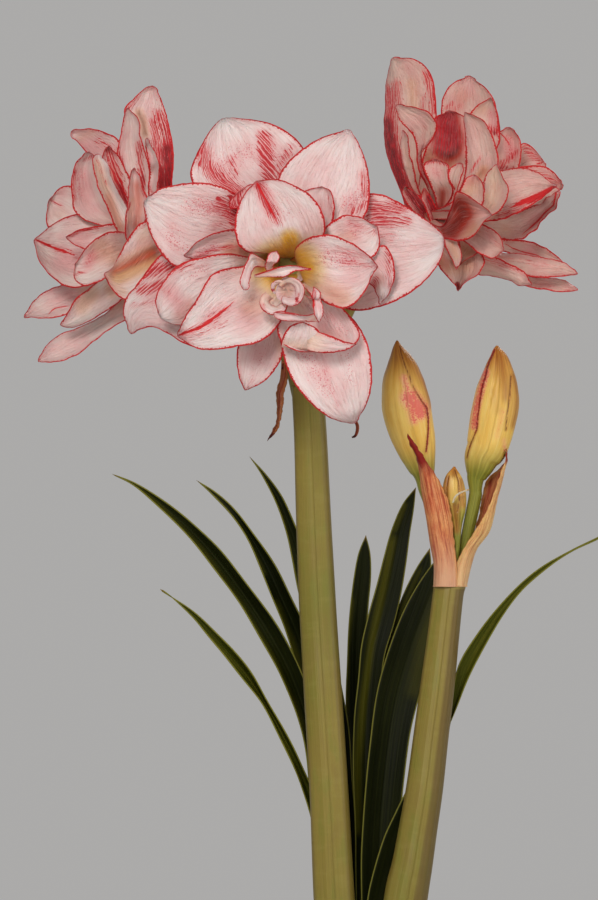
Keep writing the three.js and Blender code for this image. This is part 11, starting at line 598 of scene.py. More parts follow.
# ---------------------------------------------------------------- materials
class Mat:
    def __init__(self, name):
        self.m = bpy.data.materials.new(name)
        self.m.use_nodes = True
        self.t = self.m.node_tree
        self.t.nodes.clear()
        self.out = self.t.nodes.new("ShaderNodeOutputMaterial")
        self.b = self.t.nodes.new("ShaderNodeBsdfPrincipled")
        self.t.links.new(self.b.outputs[0], self.out.inputs[0])

    def put(self, socket, value):
        if isinstance(value, bpy.types.NodeSocket):
            self.t.links.new(value, socket)
        else:
            socket.default_value = value

    def set(self, **values):
        for k, v in values.items():
            self.put(self.b.inputs[k.replace("_", " ")], v)

    def node(self, kind, **props):
        n = self.t.nodes.new(kind)
        for k, v in props.items():
            setattr(n, k, v)
        return n

    def math(self, op, a, b=0.0, c=0.0, clamp=False):
        n = self.node("ShaderNodeMath", operation=op, use_clamp=clamp)
        for s, v in zip(n.inputs, (a, b, c)):
            self.put(s, v)
        return n.outputs[0]

    def add(self, a, b): return self.math("ADD", a, b)
    def sub(self, a, b): return self.math("SUBTRACT", a, b)
    def mul(self, a, b, clamp=False): return self.math("MULTIPLY", a, b, clamp=clamp)

    def attr(self, name):
        n = self.node("ShaderNodeAttribute", attribute_name=name)
        return self.sep(n.outputs["Vector"])

    def sep(self, v):
        n = self.node("ShaderNodeSeparateXYZ")
        self.put(n.inputs[0], v)
        return n.outputs

    def uv(self):
        n = self.node("ShaderNodeUVMap", uv_map="petal_uv")
        return n.outputs[0]

    def place(self):
        n = self.node("ShaderNodeTexCoord")
        return n.outputs["Object"]

    def scale(self, v, s):
        n = self.node("ShaderNodeVectorMath", operation="MULTIPLY")
        self.put(n.inputs[0], v)
        n.inputs[1].default_value = s
        return n.outputs[0]

    def noise(self, v, s=1.0, detail=2.0, rough=0.5, warp=0.0):
        n = self.node("ShaderNodeTexNoise")
        self.put(n.inputs["Vector"], v)
        n.inputs["Scale"].default_value = s
        n.inputs["Detail"].default_value = detail
        n.inputs["Roughness"].default_value = rough
        n.inputs["Distortion"].default_value = warp
        return n.outputs["Fac"]

    def cells(self, v, s=1.0, feature="F1", out="Distance", rand=1.0):
        n = self.node("ShaderNodeTexVoronoi", feature=feature)
        self.put(n.inputs["Vector"], v)
        n.inputs["Scale"].default_value = s
        n.inputs["Randomness"].default_value = rand
        return n.outputs[out]

    def step(self, x, lo, hi, a=0.0, b=1.0):
        n = self.node("ShaderNodeMapRange", interpolation_type="SMOOTHSTEP")
        self.put(n.inputs[0], x)
        for k, v in zip((1, 2, 3, 4), (lo, hi, a, b)):
            self.put(n.inputs[k], v)
        return n.outputs[0]

    def mix(self, fac, a, b, blend="MIX"):
        n = self.node("ShaderNodeMix", data_type="RGBA", blend_type=blend)
        n.clamp_factor = True
        self.put(n.inputs[0], fac)
        self.put(n.inputs[6], a)
        self.put(n.inputs[7], b)
        return n.outputs[2]

    def over(self, x, threshold, soft):
        """1 where x is above a threshold that may vary."""
        return self.step(self.sub(x, threshold), -soft, soft)

    def bump(self, height, distance, strength=1.0, normal=None):
        n = self.node("ShaderNodeBump")
        n.inputs["Strength"].default_value = strength
        n.inputs["Distance"].default_value = distance
        self.put(n.inputs["Height"], height)
        if normal is not None:
            self.put(n.inputs["Normal"], normal)
        return n.outputs[0]


def petal_material(name, cream, blush, deep, base_shade, shade_coral):
    m = Mat(name)
    uv = m.uv()
    streak, speck, crimson = m.attr("pa")
    peach_and_shade, olive, pink = m.attr("pb")
    edge, wide, shade = m.attr("pc")
    across, along, back = m.attr("pd")
    line, power, flat_u = m.attr("pe")
    patch = m.noise(m.scale(uv, (0.06, 0.045, 1)), 1, 3, 0.55)
    fine = m.noise(m.scale(uv, (0.9, 0.05, 1)), 1, 3, 0.6, 0.15)
    veins = m.noise(m.scale(uv, (0.36, 0.020, 1)), 1, 2, 0.5, 0.1)
    twigs = m.noise(m.scale(uv, (0.60, 0.050, 1)), 1, 2, 0.55, 0.2)
    broken = m.noise(m.scale(uv, (1.0, 0.17, 1)), 1, 2, 0.6)
    grain = m.noise(m.scale(uv, (1.9, 1.1, 1)), 1, 3, 0.65)
    teeth = m.noise(m.scale(uv, (0.35, 0.9, 1)), 1, 2, 0.7)
    dist = m.node("ShaderNodeTexVoronoi", feature="F1")
    m.put(dist.inputs["Vector"], m.scale(uv, (1.3, 1.1, 1)))
    dist.inputs["Scale"].default_value = 1.0
    luck, _, _ = m.sep(dist.outputs["Color"])
    col = m.mix(m.step(patch, 0.35, 0.68), cream, blush)
    # painted shade: a warmer, darker tint towards the base, where the petals lie in each other's shade, and the flush
    # painted on
    col = m.mix(m.step(along, 0.6, 0.05, 0.0, 0.6), col, base_shade)
    col = m.mix(m.mul(pink, 0.72), col, lin(233, 152, 154))
    # peach to brown: partly the petals' own tan, partly painted shade under folds and in the hollows
    col = m.mix(m.mul(peach_and_shade, 0.85), col, m.mix(m.step(peach_and_shade, 0.35, 1.0), lin(224, 156, 94), lin(152, 80, 14)))
    # painted shade: coral over the shade strokes and dark red-brown where they are strongest, in the hollows and under
    # the folds
    col = m.mix(m.mul(shade, 0.92), col, m.mix(m.step(shade, 0.5, 1.05), m.mix(0.35, shade_coral, lin(232, 150, 128)), shade_coral))
    col = m.mix(m.step(shade, 1.0, 1.6), col, lin(100, 22, 16))
    col = m.mix(m.step(olive, 0.0, 0.35), col, lin(240, 206, 152))
    col = m.mix(m.step(olive, 0.25, 0.65), col, lin(246, 190, 62))
    col = m.mix(m.step(olive, 0.6, 0.92), col, lin(222, 160, 12))
    col = m.mix(m.step(olive, 0.9, 1.0), col, lin(166, 118, 4))
    # a soft wash of red under streaks, speckles and along the margin
    wash = m.add(m.mul(streak, 0.42), m.add(m.mul(speck, 0.20), m.mul(m.step(edge, 3.4, 0.0, 0.0, 0.34), m.step(wide, 0.05, 0.4))))
    col = m.mix(m.mul(wash, m.step(fine, 0.3, 0.62, 0.6, 1.0)), col, lin(232, 116, 122))
    col = m.mix(m.mul(m.step(crimson, 0.0, 0.9), 0.80), col, m.mix(m.step(fine, 0.35, 0.65), lin(160, 20, 34), lin(206, 66, 74)))
    # fine veins running from base to tip, pale between
    vline = m.step(m.math("ABSOLUTE", m.sub(veins, 0.5)), 0.035, 0.0)
    col = m.mix(m.mul(vline, 0.16), col, lin(206, 130, 124))
    col = m.mix(m.step(fine, 0.54, 0.68, 0.0, 0.16), col, lin(214, 150, 140))
    col = m.mix(m.step(fine, 0.46, 0.32, 0.0, 0.13), col, lin(252, 242, 236))
    col = m.mix(m.mul(m.step(grain, 0.54, 0.70, 0.0, 0.26), m.step(m.add(peach_and_shade, shade), 0.9, 0.2)), col, lin(254, 246, 242))
    # speckles: one small dot to a cell, more and larger where the cloud is dense
    lot = m.add(speck, m.step(patch, 0.5, 0.72, 0.0, 0.26))
    size = m.sub(m.mul(lot, 0.56), m.mul(luck, 0.34))
    dot = m.mul(m.step(m.sub(dist.outputs["Distance"], size), 0.05, -0.05), m.step(size, 0.0, 0.08))
    col = m.mix(m.mul(dot, 0.66), col, lin(216, 74, 92))
    # veins drawn in red: separate hair lines with gaps, wider and joined in the deep areas
    vx, vy, _ = m.sep(uv)
    sway = m.add(m.noise(m.scale(uv, (0.11, 0.026, 1)), 1, 2, 0.5), m.mul(m.noise(m.scale(uv, (0.45, 0.16, 1)), 1, 2, 0.6), 0.34))
    load = m.math("ADD", streak, crimson, clamp=True)
    red = 0.0
    for density, push, salt, gaps, hold, base, thick in ((0.50, 3.6, 0.0, 0.16, 0.59, 0.18, 0.26), (1.02, 5.6, 0.37, 0.24, 0.62, 0.19, 0.22)):
        s = m.add(m.mul(vx, density), m.add(m.mul(sway, push), salt))
        cell = m.math("FLOOR", s)
        tri = m.math("ABSOLUTE", m.sub(m.sub(s, cell), 0.5))
        lane = m.node("ShaderNodeCombineXYZ")
        m.put(lane.inputs[0], m.mul(cell, 7.31))
        m.put(lane.inputs[1], m.mul(vy, gaps))
        gap = m.noise(lane.outputs[0], 1, 2, 0.6)
        limit = m.sub(hold, m.mul(load, 0.32))
        here = m.step(m.sub(gap, limit), -0.03, 0.05)
        w = m.mul(m.add(m.mul(streak, base), m.mul(crimson, thick)), m.step(m.sub(gap, limit), -0.04, 0.16, 0.25, 1.0))
        one = m.mul(m.step(m.sub(tri, w), 0.045, -0.045), here)
        red = m.math("MAXIMUM", red, one)
    red = m.mul(red, m.step(load, 0.04, 0.22))
    hue = m.mix(m.mul(m.step(crimson, 0.1, 0.9), m.step(broken, 0.25, 0.6)), lin(208, 18, 34), deep)
    col = m.mix(m.mul(red, 0.94), col, hue)
    # one strong stripe with frayed sides
    body = m.mul(power, m.add(0.55, m.mul(m.step(broken, 0.3, 0.7), 0.6)))
    st = m.step(m.sub(m.math("ABSOLUTE", line), body), 0.16, -0.16)
    col = m.mix(m.mul(m.mul(st, m.step(power, 0.03, 0.15)), 0.96), col, lin(218, 12, 22))
    # red margin with small teeth
    reach = m.mul(wide, m.add(0.85, m.mul(m.step(teeth, 0.42, 0.74), 1.0)))
    ln = m.mul(m.step(m.sub(edge, reach), 0.12, -0.12), m.step(wide, 0.03, 0.12))
    col = m.mix(m.mul(ln, 0.98), col, lin(208, 6, 16))
    # the tip carries a small pinkish point
    col = m.mix(m.mul(m.step(along, 0.972, 0.995), 0.5), col, lin(222, 140, 140))
    # the outer face is greener along its middle towards the base
    mid = m.mul(m.step(m.math("ABSOLUTE", across), 0.4, 0.0), m.step(along, 0.5, 0.05))
    col = m.mix(m.mul(m.mul(mid, back), 0.65), col, lin(176, 178, 112))
    cellular = m.cells(m.scale(uv, (1.5, 0.8, 1)), 1, "SMOOTH_F1")
    wrinkle = m.noise(m.scale(uv, (0.5, 0.16, 1)), 1, 4, 0.65, 0.3)
    nrm = m.bump(m.add(m.mul(fine, 0.6), m.mul(vline, 0.25)), 0.00050, 0.9)
    nrm = m.bump(wrinkle, 0.0018, 0.68, nrm)
    nrm = m.bump(m.add(cellular, m.mul(grain, 0.8)), 0.00018, 0.7, nrm)
    m.set(Base_Color=col, Roughness=m.step(grain, 0.3, 0.7, 0.38, 0.58), Specular_IOR_Level=0.36, Normal=nrm)
    m.set(Subsurface_Weight=0.14, Subsurface_Scale=0.0009, Sheen_Weight=0.05, Sheen_Roughness=0.4)
    m.b.inputs["Subsurface Radius"].default_value = (1.0, 0.42, 0.32)
    return m.m


# one petal in three palettes: the right one is a darker copy, painted shade for the flower further from the light, and
# the left one is a little darker for the same reason
PETAL = {
    "front": petal_material("petal_front", lin(249, 231, 228), lin(243, 206, 204), lin(150, 10, 20), lin(246, 202, 172), lin(208, 104, 88)),
    "left": petal_material("petal_left", lin(243, 223, 216), lin(232, 192, 189), lin(140, 10, 20), lin(228, 180, 150), lin(204, 88, 58)),
    "right": petal_material("petal_right_shaded", lin(226, 192, 178), lin(216, 164, 154), lin(122, 8, 18), lin(206, 146, 116), lin(176, 50, 34)),
}

def leaf_material(name, dark, mid, pale, highlight_colour):
    m = Mat(name)
    uv = m.uv()
    across, along, back = m.attr("pd")
    edge, wide, lit = m.attr("pc")
    patch = m.noise(m.scale(uv, (0.05, 0.012, 1)), 1, 3, 0.6)
    vein = m.noise(m.scale(uv, (0.75, 0.004, 1)), 1, 2, 0.55)
    fine = m.noise(m.scale(uv, (2.4, 0.02, 1)), 1, 2, 0.6)
    cross = m.noise(m.scale(uv, (0.5, 0.9, 1)), 1, 2, 0.6)
    col = m.mix(m.step(patch, 0.3, 0.7), dark, mid)
    col = m.mix(m.step(vein, 0.52, 0.66, 0.0, 0.28), col, pale)
    col = m.mix(m.step(vein, 0.46, 0.34, 0.0, 0.35), col, dark)
    col = m.mix(m.step(fine, 0.52, 0.7, 0.0, 0.16), col, pale)
    col = m.mix(m.step(m.math("ABSOLUTE", across), 0.07, 0.0, 0.0, 0.2), col, pale)
    col = m.mix(m.step(cross, 0.58, 0.72, 0.0, 0.12), col, dark)
    # painted highlight along the lit bands
    col = m.mix(m.mul(lit, 0.8), col, highlight_colour)
    # painted highlight: a pale olive line along the leaf edges
    col = m.mix(m.step(edge, 0.75, 0.05, 0.0, 0.70), col, lin(150, 146, 62))
    col = m.mix(m.step(along, 0.22, 0.0, 0.0, 0.8), col, lin(140, 146, 70))
    col = m.mix(m.mul(back, 0.22), col, pale)
    col = m.mix(m.step(along, 0.985, 1.0, 0.0, 0.6), col, lin(120, 84, 40))
    h = m.add(m.mul(vein, 0.8), m.add(m.mul(fine, 0.35), m.mul(cross, 0.15)))
    m.set(Base_Color=col, Roughness=m.step(patch, 0.3, 0.7, 0.46, 0.60), Specular_IOR_Level=0.10, Normal=m.bump(h, 0.00045, 0.8))
    m.set(Subsurface_Weight=0.05, Subsurface_Scale=0.001)
    return m.m


def leaf(part, name, text, across, lit=()):
    seed = sum(ord(c) * (k + 5) for k, c in enumerate(name))
    NU, NV = 17, 110
    net = net_rows(text, across)
    rows = len(net) - 1
    P = spline(net, np.linspace(0, rows, NV + 1))
    P = np.moveaxis(spline(np.moveaxis(P, 1, 0), np.linspace(0, across - 1, NU)), 0, 1)
    P[-1] = P[-1].mean(0)
    du, dv, n = grid_frame(P)
    n = unit(blur(n, 4))
    U = np.concatenate([np.zeros((NV + 1, 1)), np.cumsum(np.linalg.norm(np.diff(P, axis=1), axis=-1), 1)], 1)
    U = U - U[:, NU // 2 : NU // 2 + 1]
    V1 = np.concatenate([[0], np.cumsum(np.linalg.norm(np.diff(P[:, NU // 2], axis=0), axis=-1))])
    V = np.repeat(V1[:, None], NU, 1)
    along = V / V1[-1]
    outline = np.concatenate([P[:, 0], P[::-1, -1]])
    edge = to_polyline(P.reshape(-1, 3), outline).reshape(P.shape[:2])
    edge[:, 0] = 0; edge[:, -1] = 0; edge[-1] = 0
    grow = smooth(along, 0.1, 0.4)
    disp = 0.5 * grow * waves(V, (47.0, 83.0), seed) * np.exp(-edge / 6) + 0.12 * np.sin(U * 2 * np.pi / 2.9) * smooth(edge, 0.5, 3)
    disp = disp - 0.7 * np.exp(-((U / 1.6) ** 2)) * (1 - smooth(along, 0.85, 1.0))
    P = P + n * disp[..., None]
    P[-1] = P[-1, NU // 2]
    _, _, n = grid_frame(P)
    half = 0.5 * (0.5 + 1.3 * (1 - np.exp(-edge / 3.5)) + 0.9 * (1 - smooth(along, 0, 0.3)))
    co, faces, pick = shell(P, unit(blur(n, 1)), half)
    m = masks(P.reshape(-1, 3), lit, ("lit",))["lit"].reshape(P.shape[:2])
    both = lambda g: np.concatenate([pick(g), pick(g)])
    stack = lambda *a: np.stack([np.broadcast_to(x, P.shape[:2]) for x in a], -1)
    wide = np.abs(U).max(axis=1, keepdims=True)
    pd = both(stack(U / np.maximum(wide, 1), along, 0.0))
    pd[:, 2] = np.concatenate([np.zeros(NV * NU + 1), np.ones(NV * NU + 1)])
    uv = both(stack(U + (seed % 83) * 7.0, V + (seed % 41) * 13.0, 0.0))[:, :2]
    part.add(co, faces, uv, pc=both(stack(edge, 0.0, m)), pd=pd)


def tube(part, stations, sides, rings, shape=None, cap=True, extra=None):
    """An oval stem through stations; shape(angle, t, z) gives millimetres added to the radius, extra(points, t) the painted values."""
    st = np.array(stations, float)
    last = len(st) - 1
    t = np.linspace(0, last, rings + 1)
    c = spline(st[:, :3], t)
    hw = np.maximum(spline(st[:, 3:4], t)[:, 0], 0.15)
    hd = np.maximum(spline(st[:, 4:5], t)[:, 0], 0.15)
    tan = unit(np.gradient(c, axis=0))
    right = np.cross([0.0, 1.0, 0.0], tan)
    weak = np.linalg.norm(right, axis=1) < 0.15
    right[weak] = (1, 0, 0)
    right = unit(right)
    deep = unit(np.cross(tan, right))
    V = np.concatenate([[0], np.cumsum(np.linalg.norm(np.diff(c, axis=0), axis=1))])
    a = np.linspace(0, 2 * np.pi, sides, endpoint=False) + math.pi / 2
    A = np.repeat(a[None], rings + 1, 0)
    add = np.zeros_like(A) if shape is None else shape(A, np.repeat((t / last)[:, None], sides, 1), np.repeat(c[:, 2:3], sides, 1))
    add = np.minimum(add, 1e9) * np.minimum(1, np.minimum(hw, hd) / 2.5)[:, None]
    P = c[:, None] + right[:, None] * (np.cos(A) * (hw[:, None] + add))[..., None] + deep[:, None] * (np.sin(A) * (hd[:, None] + add))[..., None]
    co = np.concatenate([P.reshape(-1, 3), c[:1], c[-1:]])
    faces = []
    for i in range(rings):
        for j in range(sides):
            q = i * sides + j
            r = i * sides + (j + 1) % sides
            faces.append((q, r, r + sides, q + sides))
    n0 = (rings + 1) * sides
    for j in range(sides):
        faces.append((n0, (j + 1) % sides, j))
        faces.append((n0 + 1, rings * sides + j, rings * sides + (j + 1) % sides))
    f = faces[len(faces) // 3]
    nn = np.cross(co[f[1]] - co[f[0]], co[f[2]] - co[f[0]])
    if np.dot(nn, co[f[0]] - c[np.argmin(np.linalg.norm(c - co[f[0]], axis=1))]) < 0:
        faces = [q[::-1] for q in faces]
    mean = float(np.mean((hw + hd) / 2))
    around = ((A - math.pi / 2 + np.pi) % (2 * np.pi) - np.pi)
    uv = np.stack([np.abs(around) * np.sign(np.sin(around) + 1e-9) * mean, np.repeat(V[:, None], sides, 1)], -1).reshape(-1, 2)
    uv = np.concatenate([uv, uv[:1], uv[-1:]])
    tt = np.concatenate([np.repeat(t / last, sides), [0, 1]])
    values = {} if extra is None else extra(co, tt)
    part.add(co, faces, uv, pd=np.stack([np.concatenate([(A % (2 * np.pi)).ravel() / (2 * np.pi), [0, 0]]), tt, np.zeros(len(co))], -1), **values)


def stalk_material():
    m = Mat("stalk_green")
    p = m.place()
    around, along, kind = m.attr("pd")
    tone, tip, red = m.attr("pc")
    uv = m.uv()
    mm = m.scale(p, (1000, 1000, 1000))
    stripe = m.noise(m.scale(uv, (0.42, 0.0016, 1)), 1, 3, 0.55)
    fine = m.noise(m.scale(uv, (1.5, 0.006, 1)), 1, 2, 0.6)
    hair = m.noise(m.scale(uv, (3.2, 0.05, 1)), 1, 2, 0.6)
    patch = m.noise(m.scale(mm, (0.018, 0.018, 0.006)), 1, 2, 0.5)
    speck = m.cells(m.scale(mm, (0.5, 0.5, 0.32)), 1)
    cross = m.noise(m.scale(uv, (0.05, 0.16, 1)), 1, 3, 0.6)
    mottle = m.noise(m.scale(mm, (0.14, 0.14, 0.05)), 1, 4, 0.6)
    col = m.mix(m.step(patch, 0.35, 0.65), lin(128, 120, 42), lin(146, 128, 54))
    col = m.mix(m.step(mottle, 0.5, 0.66, 0.0, 0.40), col, lin(124, 128, 44))
    col = m.mix(m.step(mottle, 0.5, 0.34, 0.0, 0.34), col, lin(136, 112, 52))
    col = m.mix(m.step(stripe, 0.5, 0.66, 0.0, 0.10), col, lin(158, 146, 72))
    col = m.mix(m.step(stripe, 0.5, 0.34, 0.0, 0.10), col, lin(114, 100, 36))
    col = m.mix(m.step(fine, 0.52, 0.68, 0.0, 0.18), col, lin(168, 156, 88))
    col = m.mix(m.step(fine, 0.46, 0.32, 0.0, 0.20), col, lin(102, 92, 34))
    col = m.mix(m.step(cross, 0.5, 0.66, 0.0, 0.12), col, lin(170, 158, 86))
    # painted shade: browner and darker on the side of the stalk turned from the light
    col = m.mix(m.mul(tone, 0.8), col, lin(98, 74, 34))
    col = m.mix(m.mul(tip, 0.85), col, lin(186, 190, 116))
    col = m.mix(m.mul(red, 0.6), col, lin(150, 74, 40))
    col = m.mix(m.step(speck, 0.10, 0.03, 0.0, 0.22), col, lin(96, 84, 40))
    h = m.add(m.mul(stripe, 0.8), m.add(m.mul(fine, 0.35), m.mul(hair, 0.12)))
    m.set(Base_Color=col, Roughness=m.step(fine, 0.35, 0.65, 0.42, 0.54), Specular_IOR_Level=0.36, Normal=m.bump(h, 0.0005, 0.8))
    m.set(Subsurface_Weight=0.10, Subsurface_Scale=0.0012)
    m.b.inputs["Subsurface Radius"].default_value = (1.0, 0.9, 0.35)
    return m.m


def bud_material():
    m = Mat("bud_ochre")
    uv = m.uv()
    across, along, kind = m.attr("pd")
    seam, patch, green = m.attr("pc")
    tip, shade_brown, over = m.attr("pa")
    mm = m.scale(m.place(), (1000, 1000, 1000))
    big = m.noise(m.scale(mm, (0.09, 0.09, 0.03)), 1, 3, 0.6)
    stripe = m.noise(m.scale(uv, (0.8, 0.02, 1)), 1, 3, 0.6, 0.1)
    fine = m.noise(m.scale(uv, (2.2, 0.06, 1)), 1, 2, 0.6)
    dots = m.noise(m.scale(uv, (1.6, 0.9, 1)), 1, 2, 0.6)
    col = m.mix(m.step(big, 0.35, 0.68), lin(238, 190, 84), lin(246, 210, 112))
    # greener and paler towards the stem, orange brown towards the tip
    col = m.mix(m.step(over, 0.62, 0.30, 0.0, 0.75), col, m.mix(m.step(big, 0.35, 0.65), lin(222, 200, 100), lin(234, 216, 126)))
    col = m.mix(m.step(stripe, 0.5, 0.66, 0.0, 0.35), col, lin(246, 218, 134))
    col = m.mix(m.step(stripe, 0.5, 0.36, 0.0, 0.26), col, lin(208, 150, 56))
    col = m.mix(m.step(fine, 0.5, 0.68, 0.0, 0.22), col, lin(206, 160, 66))
    col = m.mix(m.mul(tip, 0.9), col, m.mix(m.step(stripe, 0.4, 0.6), lin(166, 84, 16), lin(196, 126, 38)))
    col = m.mix(m.mul(green, 0.95), col, m.mix(m.step(stripe, 0.4, 0.6), lin(112, 118, 24), lin(150, 150, 50)))
    # painted shade: brownish along the sides of the buds turned from the light
    col = m.mix(m.mul(shade_brown, 0.85), col, m.mix(m.step(stripe, 0.4, 0.62), lin(158, 92, 28), lin(196, 132, 54)))
    # flushed patch: a soft ground with small closely set dots
    col = m.mix(m.mul(m.step(patch, 0.0, 0.9), 0.74), col, m.mix(m.step(fine, 0.4, 0.62), lin(240, 150, 122), lin(248, 188, 148)))
    pk = m.step(m.sub(m.cells(m.scale(uv, (1.5, 1.05, 1)), 1), m.mul(patch, 0.66)), 0.16, -0.16)
    col = m.mix(m.mul(m.mul(pk, m.step(patch, 0.02, 0.5)), 0.78), col, lin(226, 84, 82))
    tooth = m.noise(m.scale(uv, (0.5, 0.8, 1)), 1, 2, 0.7)
    fresh, none, nil = m.attr("pe")
    ln = m.step(m.sub(seam, m.mul(m.step(tooth, 0.3, 0.7), m.add(0.18, m.mul(fresh, 0.30)))), 0.34, 0.10)
    shadow = m.step(seam, 2.0, 0.2, 0.0, 0.38)
    col = m.mix(shadow, col, m.mix(fresh, lin(176, 110, 40), lin(178, 70, 40)))
    col = m.mix(m.mul(ln, 0.92), col, m.mix(fresh, lin(128, 72, 26), lin(140, 6, 12)))
    h = m.add(m.mul(stripe, 0.6), m.add(m.mul(fine, 0.4), m.mul(m.step(seam, 0.1, 0.9), 0.8)))
    m.set(Base_Color=col, Roughness=m.step(stripe, 0.3, 0.7, 0.34, 0.5), Specular_IOR_Level=0.42, Normal=m.bump(h, 0.0006, 0.85))
    m.set(Subsurface_Weight=0.12, Subsurface_Scale=0.0015)
    m.b.inputs["Subsurface Radius"].default_value = (1.0, 0.6, 0.25)
    return m.m


def bract_material(name, light, mid, dark, tipcol, basecol):
    m = Mat(name)
    uv = m.uv()
    across, along, back = m.attr("pd")
    edge, wide, inner = m.attr("pc")
    tip, base, stain = m.attr("pa")
    stripe = m.noise(m.scale(uv, (0.9, 0.03, 1)), 1, 3, 0.65, 0.2)
    fine = m.noise(m.scale(uv, (2.8, 0.09, 1)), 1, 2, 0.6)
    patch = m.noise(m.scale(uv, (0.12, 0.05, 1)), 1, 4, 0.65)
    crackle = m.cells(m.scale(uv, (0.9, 0.35, 1)), 1, "DISTANCE_TO_EDGE")
    col = m.mix(m.step(patch, 0.32, 0.68), light, mid)
    col = m.mix(m.step(stripe, 0.48, 0.64, 0.0, 0.80), col, dark)
    col = m.mix(m.step(stripe, 0.5, 0.34, 0.0, 0.5), col, m.mix(0.5, light, lin(244, 214, 170)))
    col = m.mix(m.step(fine, 0.53, 0.68, 0.0, 0.42), col, dark)
    col = m.mix(m.step(crackle, 0.05, 0.0, 0.0, 0.3), col, dark)
    col = m.mix(m.mul(m.mul(base, m.step(stripe, 0.66, 0.46, 0.45, 1.0)), 0.85), col, basecol)
    col = m.mix(m.mul(m.mul(back, inner), 0.8), col, m.mix(m.step(stripe, 0.4, 0.6), dark, tipcol))
    col = m.mix(m.step(m.add(tip, m.mul(m.sub(patch, 0.5), 0.8)), 0.3, 0.7), col, tipcol)
    col = m.mix(m.mul(m.step(m.add(edge, m.mul(patch, 2.2)), 3.6, 1.2, 0.0, 0.62), m.step(tip, 0.5, 0.1)), col, m.mix(0.45, light, lin(226, 176, 96)))
    col = m.mix(m.step(edge, 0.5, 0.1, 0.0, 0.55), col, dark)
    h = m.add(m.mul(stripe, 1.0), m.add(m.mul(fine, 0.4), m.mul(patch, 0.8)))
    m.set(Base_Color=col, Roughness=m.step(patch, 0.3, 0.7, 0.55, 0.75), Specular_IOR_Level=0.3, Normal=m.bump(h, 0.0007, 0.9))
    m.set(Subsurface_Weight=0.2, Subsurface_Scale=0.0015)
    m.b.inputs["Subsurface Radius"].default_value = (1.0, 0.45, 0.25)
    return m.m


def bract(part, name, text, across, tip_from, base_to, wrinkle=0.5, curl=0.0, thick=0.7):
    seed = sum(ord(c) * (k + 2) for k, c in enumerate(name))
    NU, NV = 27, 90
    net = net_rows(text, across)
    rows = len(net) - 1
    P = spline(net, np.linspace(0, rows, NV + 1))
    P = np.moveaxis(spline(np.moveaxis(P, 1, 0), np.linspace(0, across - 1, NU)), 0, 1)
    P[-1] = P[-1].mean(0)
    du, dv, n = grid_frame(P)
    n = unit(blur(n, 2))
    U = np.concatenate([np.zeros((NV + 1, 1)), np.cumsum(np.linalg.norm(np.diff(P, axis=1), axis=-1), 1)], 1)
    U = U - U[:, NU // 2 : NU // 2 + 1]
    V1 = np.concatenate([[0], np.cumsum(np.linalg.norm(np.diff(P[:, NU // 2], axis=0), axis=-1))])
    V = np.repeat(V1[:, None], NU, 1)
    along = V / V1[-1]
    outline = np.concatenate([P[:, 0], P[::-1, -1]])
    edge = to_polyline(P.reshape(-1, 3), outline).reshape(P.shape[:2])
    edge[:, 0] = 0; edge[:, -1] = 0; edge[-1] = 0
    grow = smooth(along, 0.05, 0.35)
    fold = waves(U * 1.0 + 0.06 * V, (2.6, 4.1, 6.3), seed)
    disp = wrinkle * (0.4 * fold * smooth(edge, 0, 2) + 0.9 * np.exp(-edge / 2.5) * waves(V + np.where(U < 0, 0, 31), (5.0, 8.0, 13.0), seed + 1)) * grow
    P = P + n * disp[..., None]
    P = P + du * (0.3 * np.exp(-edge / 1.2) * grow * waves(V + np.where(U < 0, 0, 17), (2.3, 3.9, 7.0), seed + 4) * np.sign(U))[..., None]
    P[-1] = P[-1, NU // 2]
    _, _, n = grid_frame(P)
    n = unit(blur(n, 1))
    half = 0.5 * (0.2 + (thick - 0.2) * (1 - np.exp(-edge / 2.0)))
    co, faces, pick = shell(P, n, half)
    both = lambda g: np.concatenate([pick(g), pick(g)])
    stack = lambda *a: np.stack([np.broadcast_to(x, P.shape[:2]) for x in a], -1)
    pd = both(stack(U / max(np.abs(U).max(), 1), along, 0.0))
    pd[:, 2] = np.concatenate([np.zeros(NV * NU + 1), np.ones(NV * NU + 1)])
    uv = both(stack(U + (seed % 83) * 7.0, V + (seed % 41) * 13.0, 0.0))[:, :2]
    part.add(co, faces, uv, pc=both(stack(edge, 0.0, 1.0)), pd=pd,
             pa=both(stack(smooth(along, tip_from, 1.0), 1 - smooth(along, 0.0, base_to), 0.0)))


# ---------------------------------------------------------------- flowers
RUFFLE = {"right_tepal_mid_right": 1.5, "right_tepal_low_back": 0.9, "right_tepal_low_inner": 0.9, "right_tepal_right": 0.7, "right_inner_2": 0.8, "right_tepal_bottom": 0.8,
          "front_tepal_inner_right": 0.8, "front_tepal_mid_right": 0.8, "front_tepal_left_low": 0.9, "left_tepal_near": 0.8, "left_inner_1": 0.9, "front_tepal_right_fold": 0.8}
BLUNT = {"left_tepal_up_left": 1.0, "left_tepal_back": 0.9, "left_tepal_inner_up_left": 0.9, "left_inner_3": 0.9, "left_inner_4": 0.9, "left_inner_5": 0.9, "right_tepal_top_2": 1.0,
         "right_tepal_up_right": 1.0, "right_tepal_red": 1.0, "right_inner_3": 1.0, "right_inner_4": 1.0, "right_inner_6": 1.0, "right_inner_1": 0.8, "right_tepal_right_back": 0.9,
         "front_tepal_square": 1.0, "front_tepal_mid_right": 0.9, "front_tepal_fold_left": 0.8, "right_inner_8": 0.9, "left_tepal_top": 0.8, "right_tepal_top": 0.6}
groups = {}
for name, node, across, text in PETALS:
    groups.setdefault(node, []).append((name, across, text))
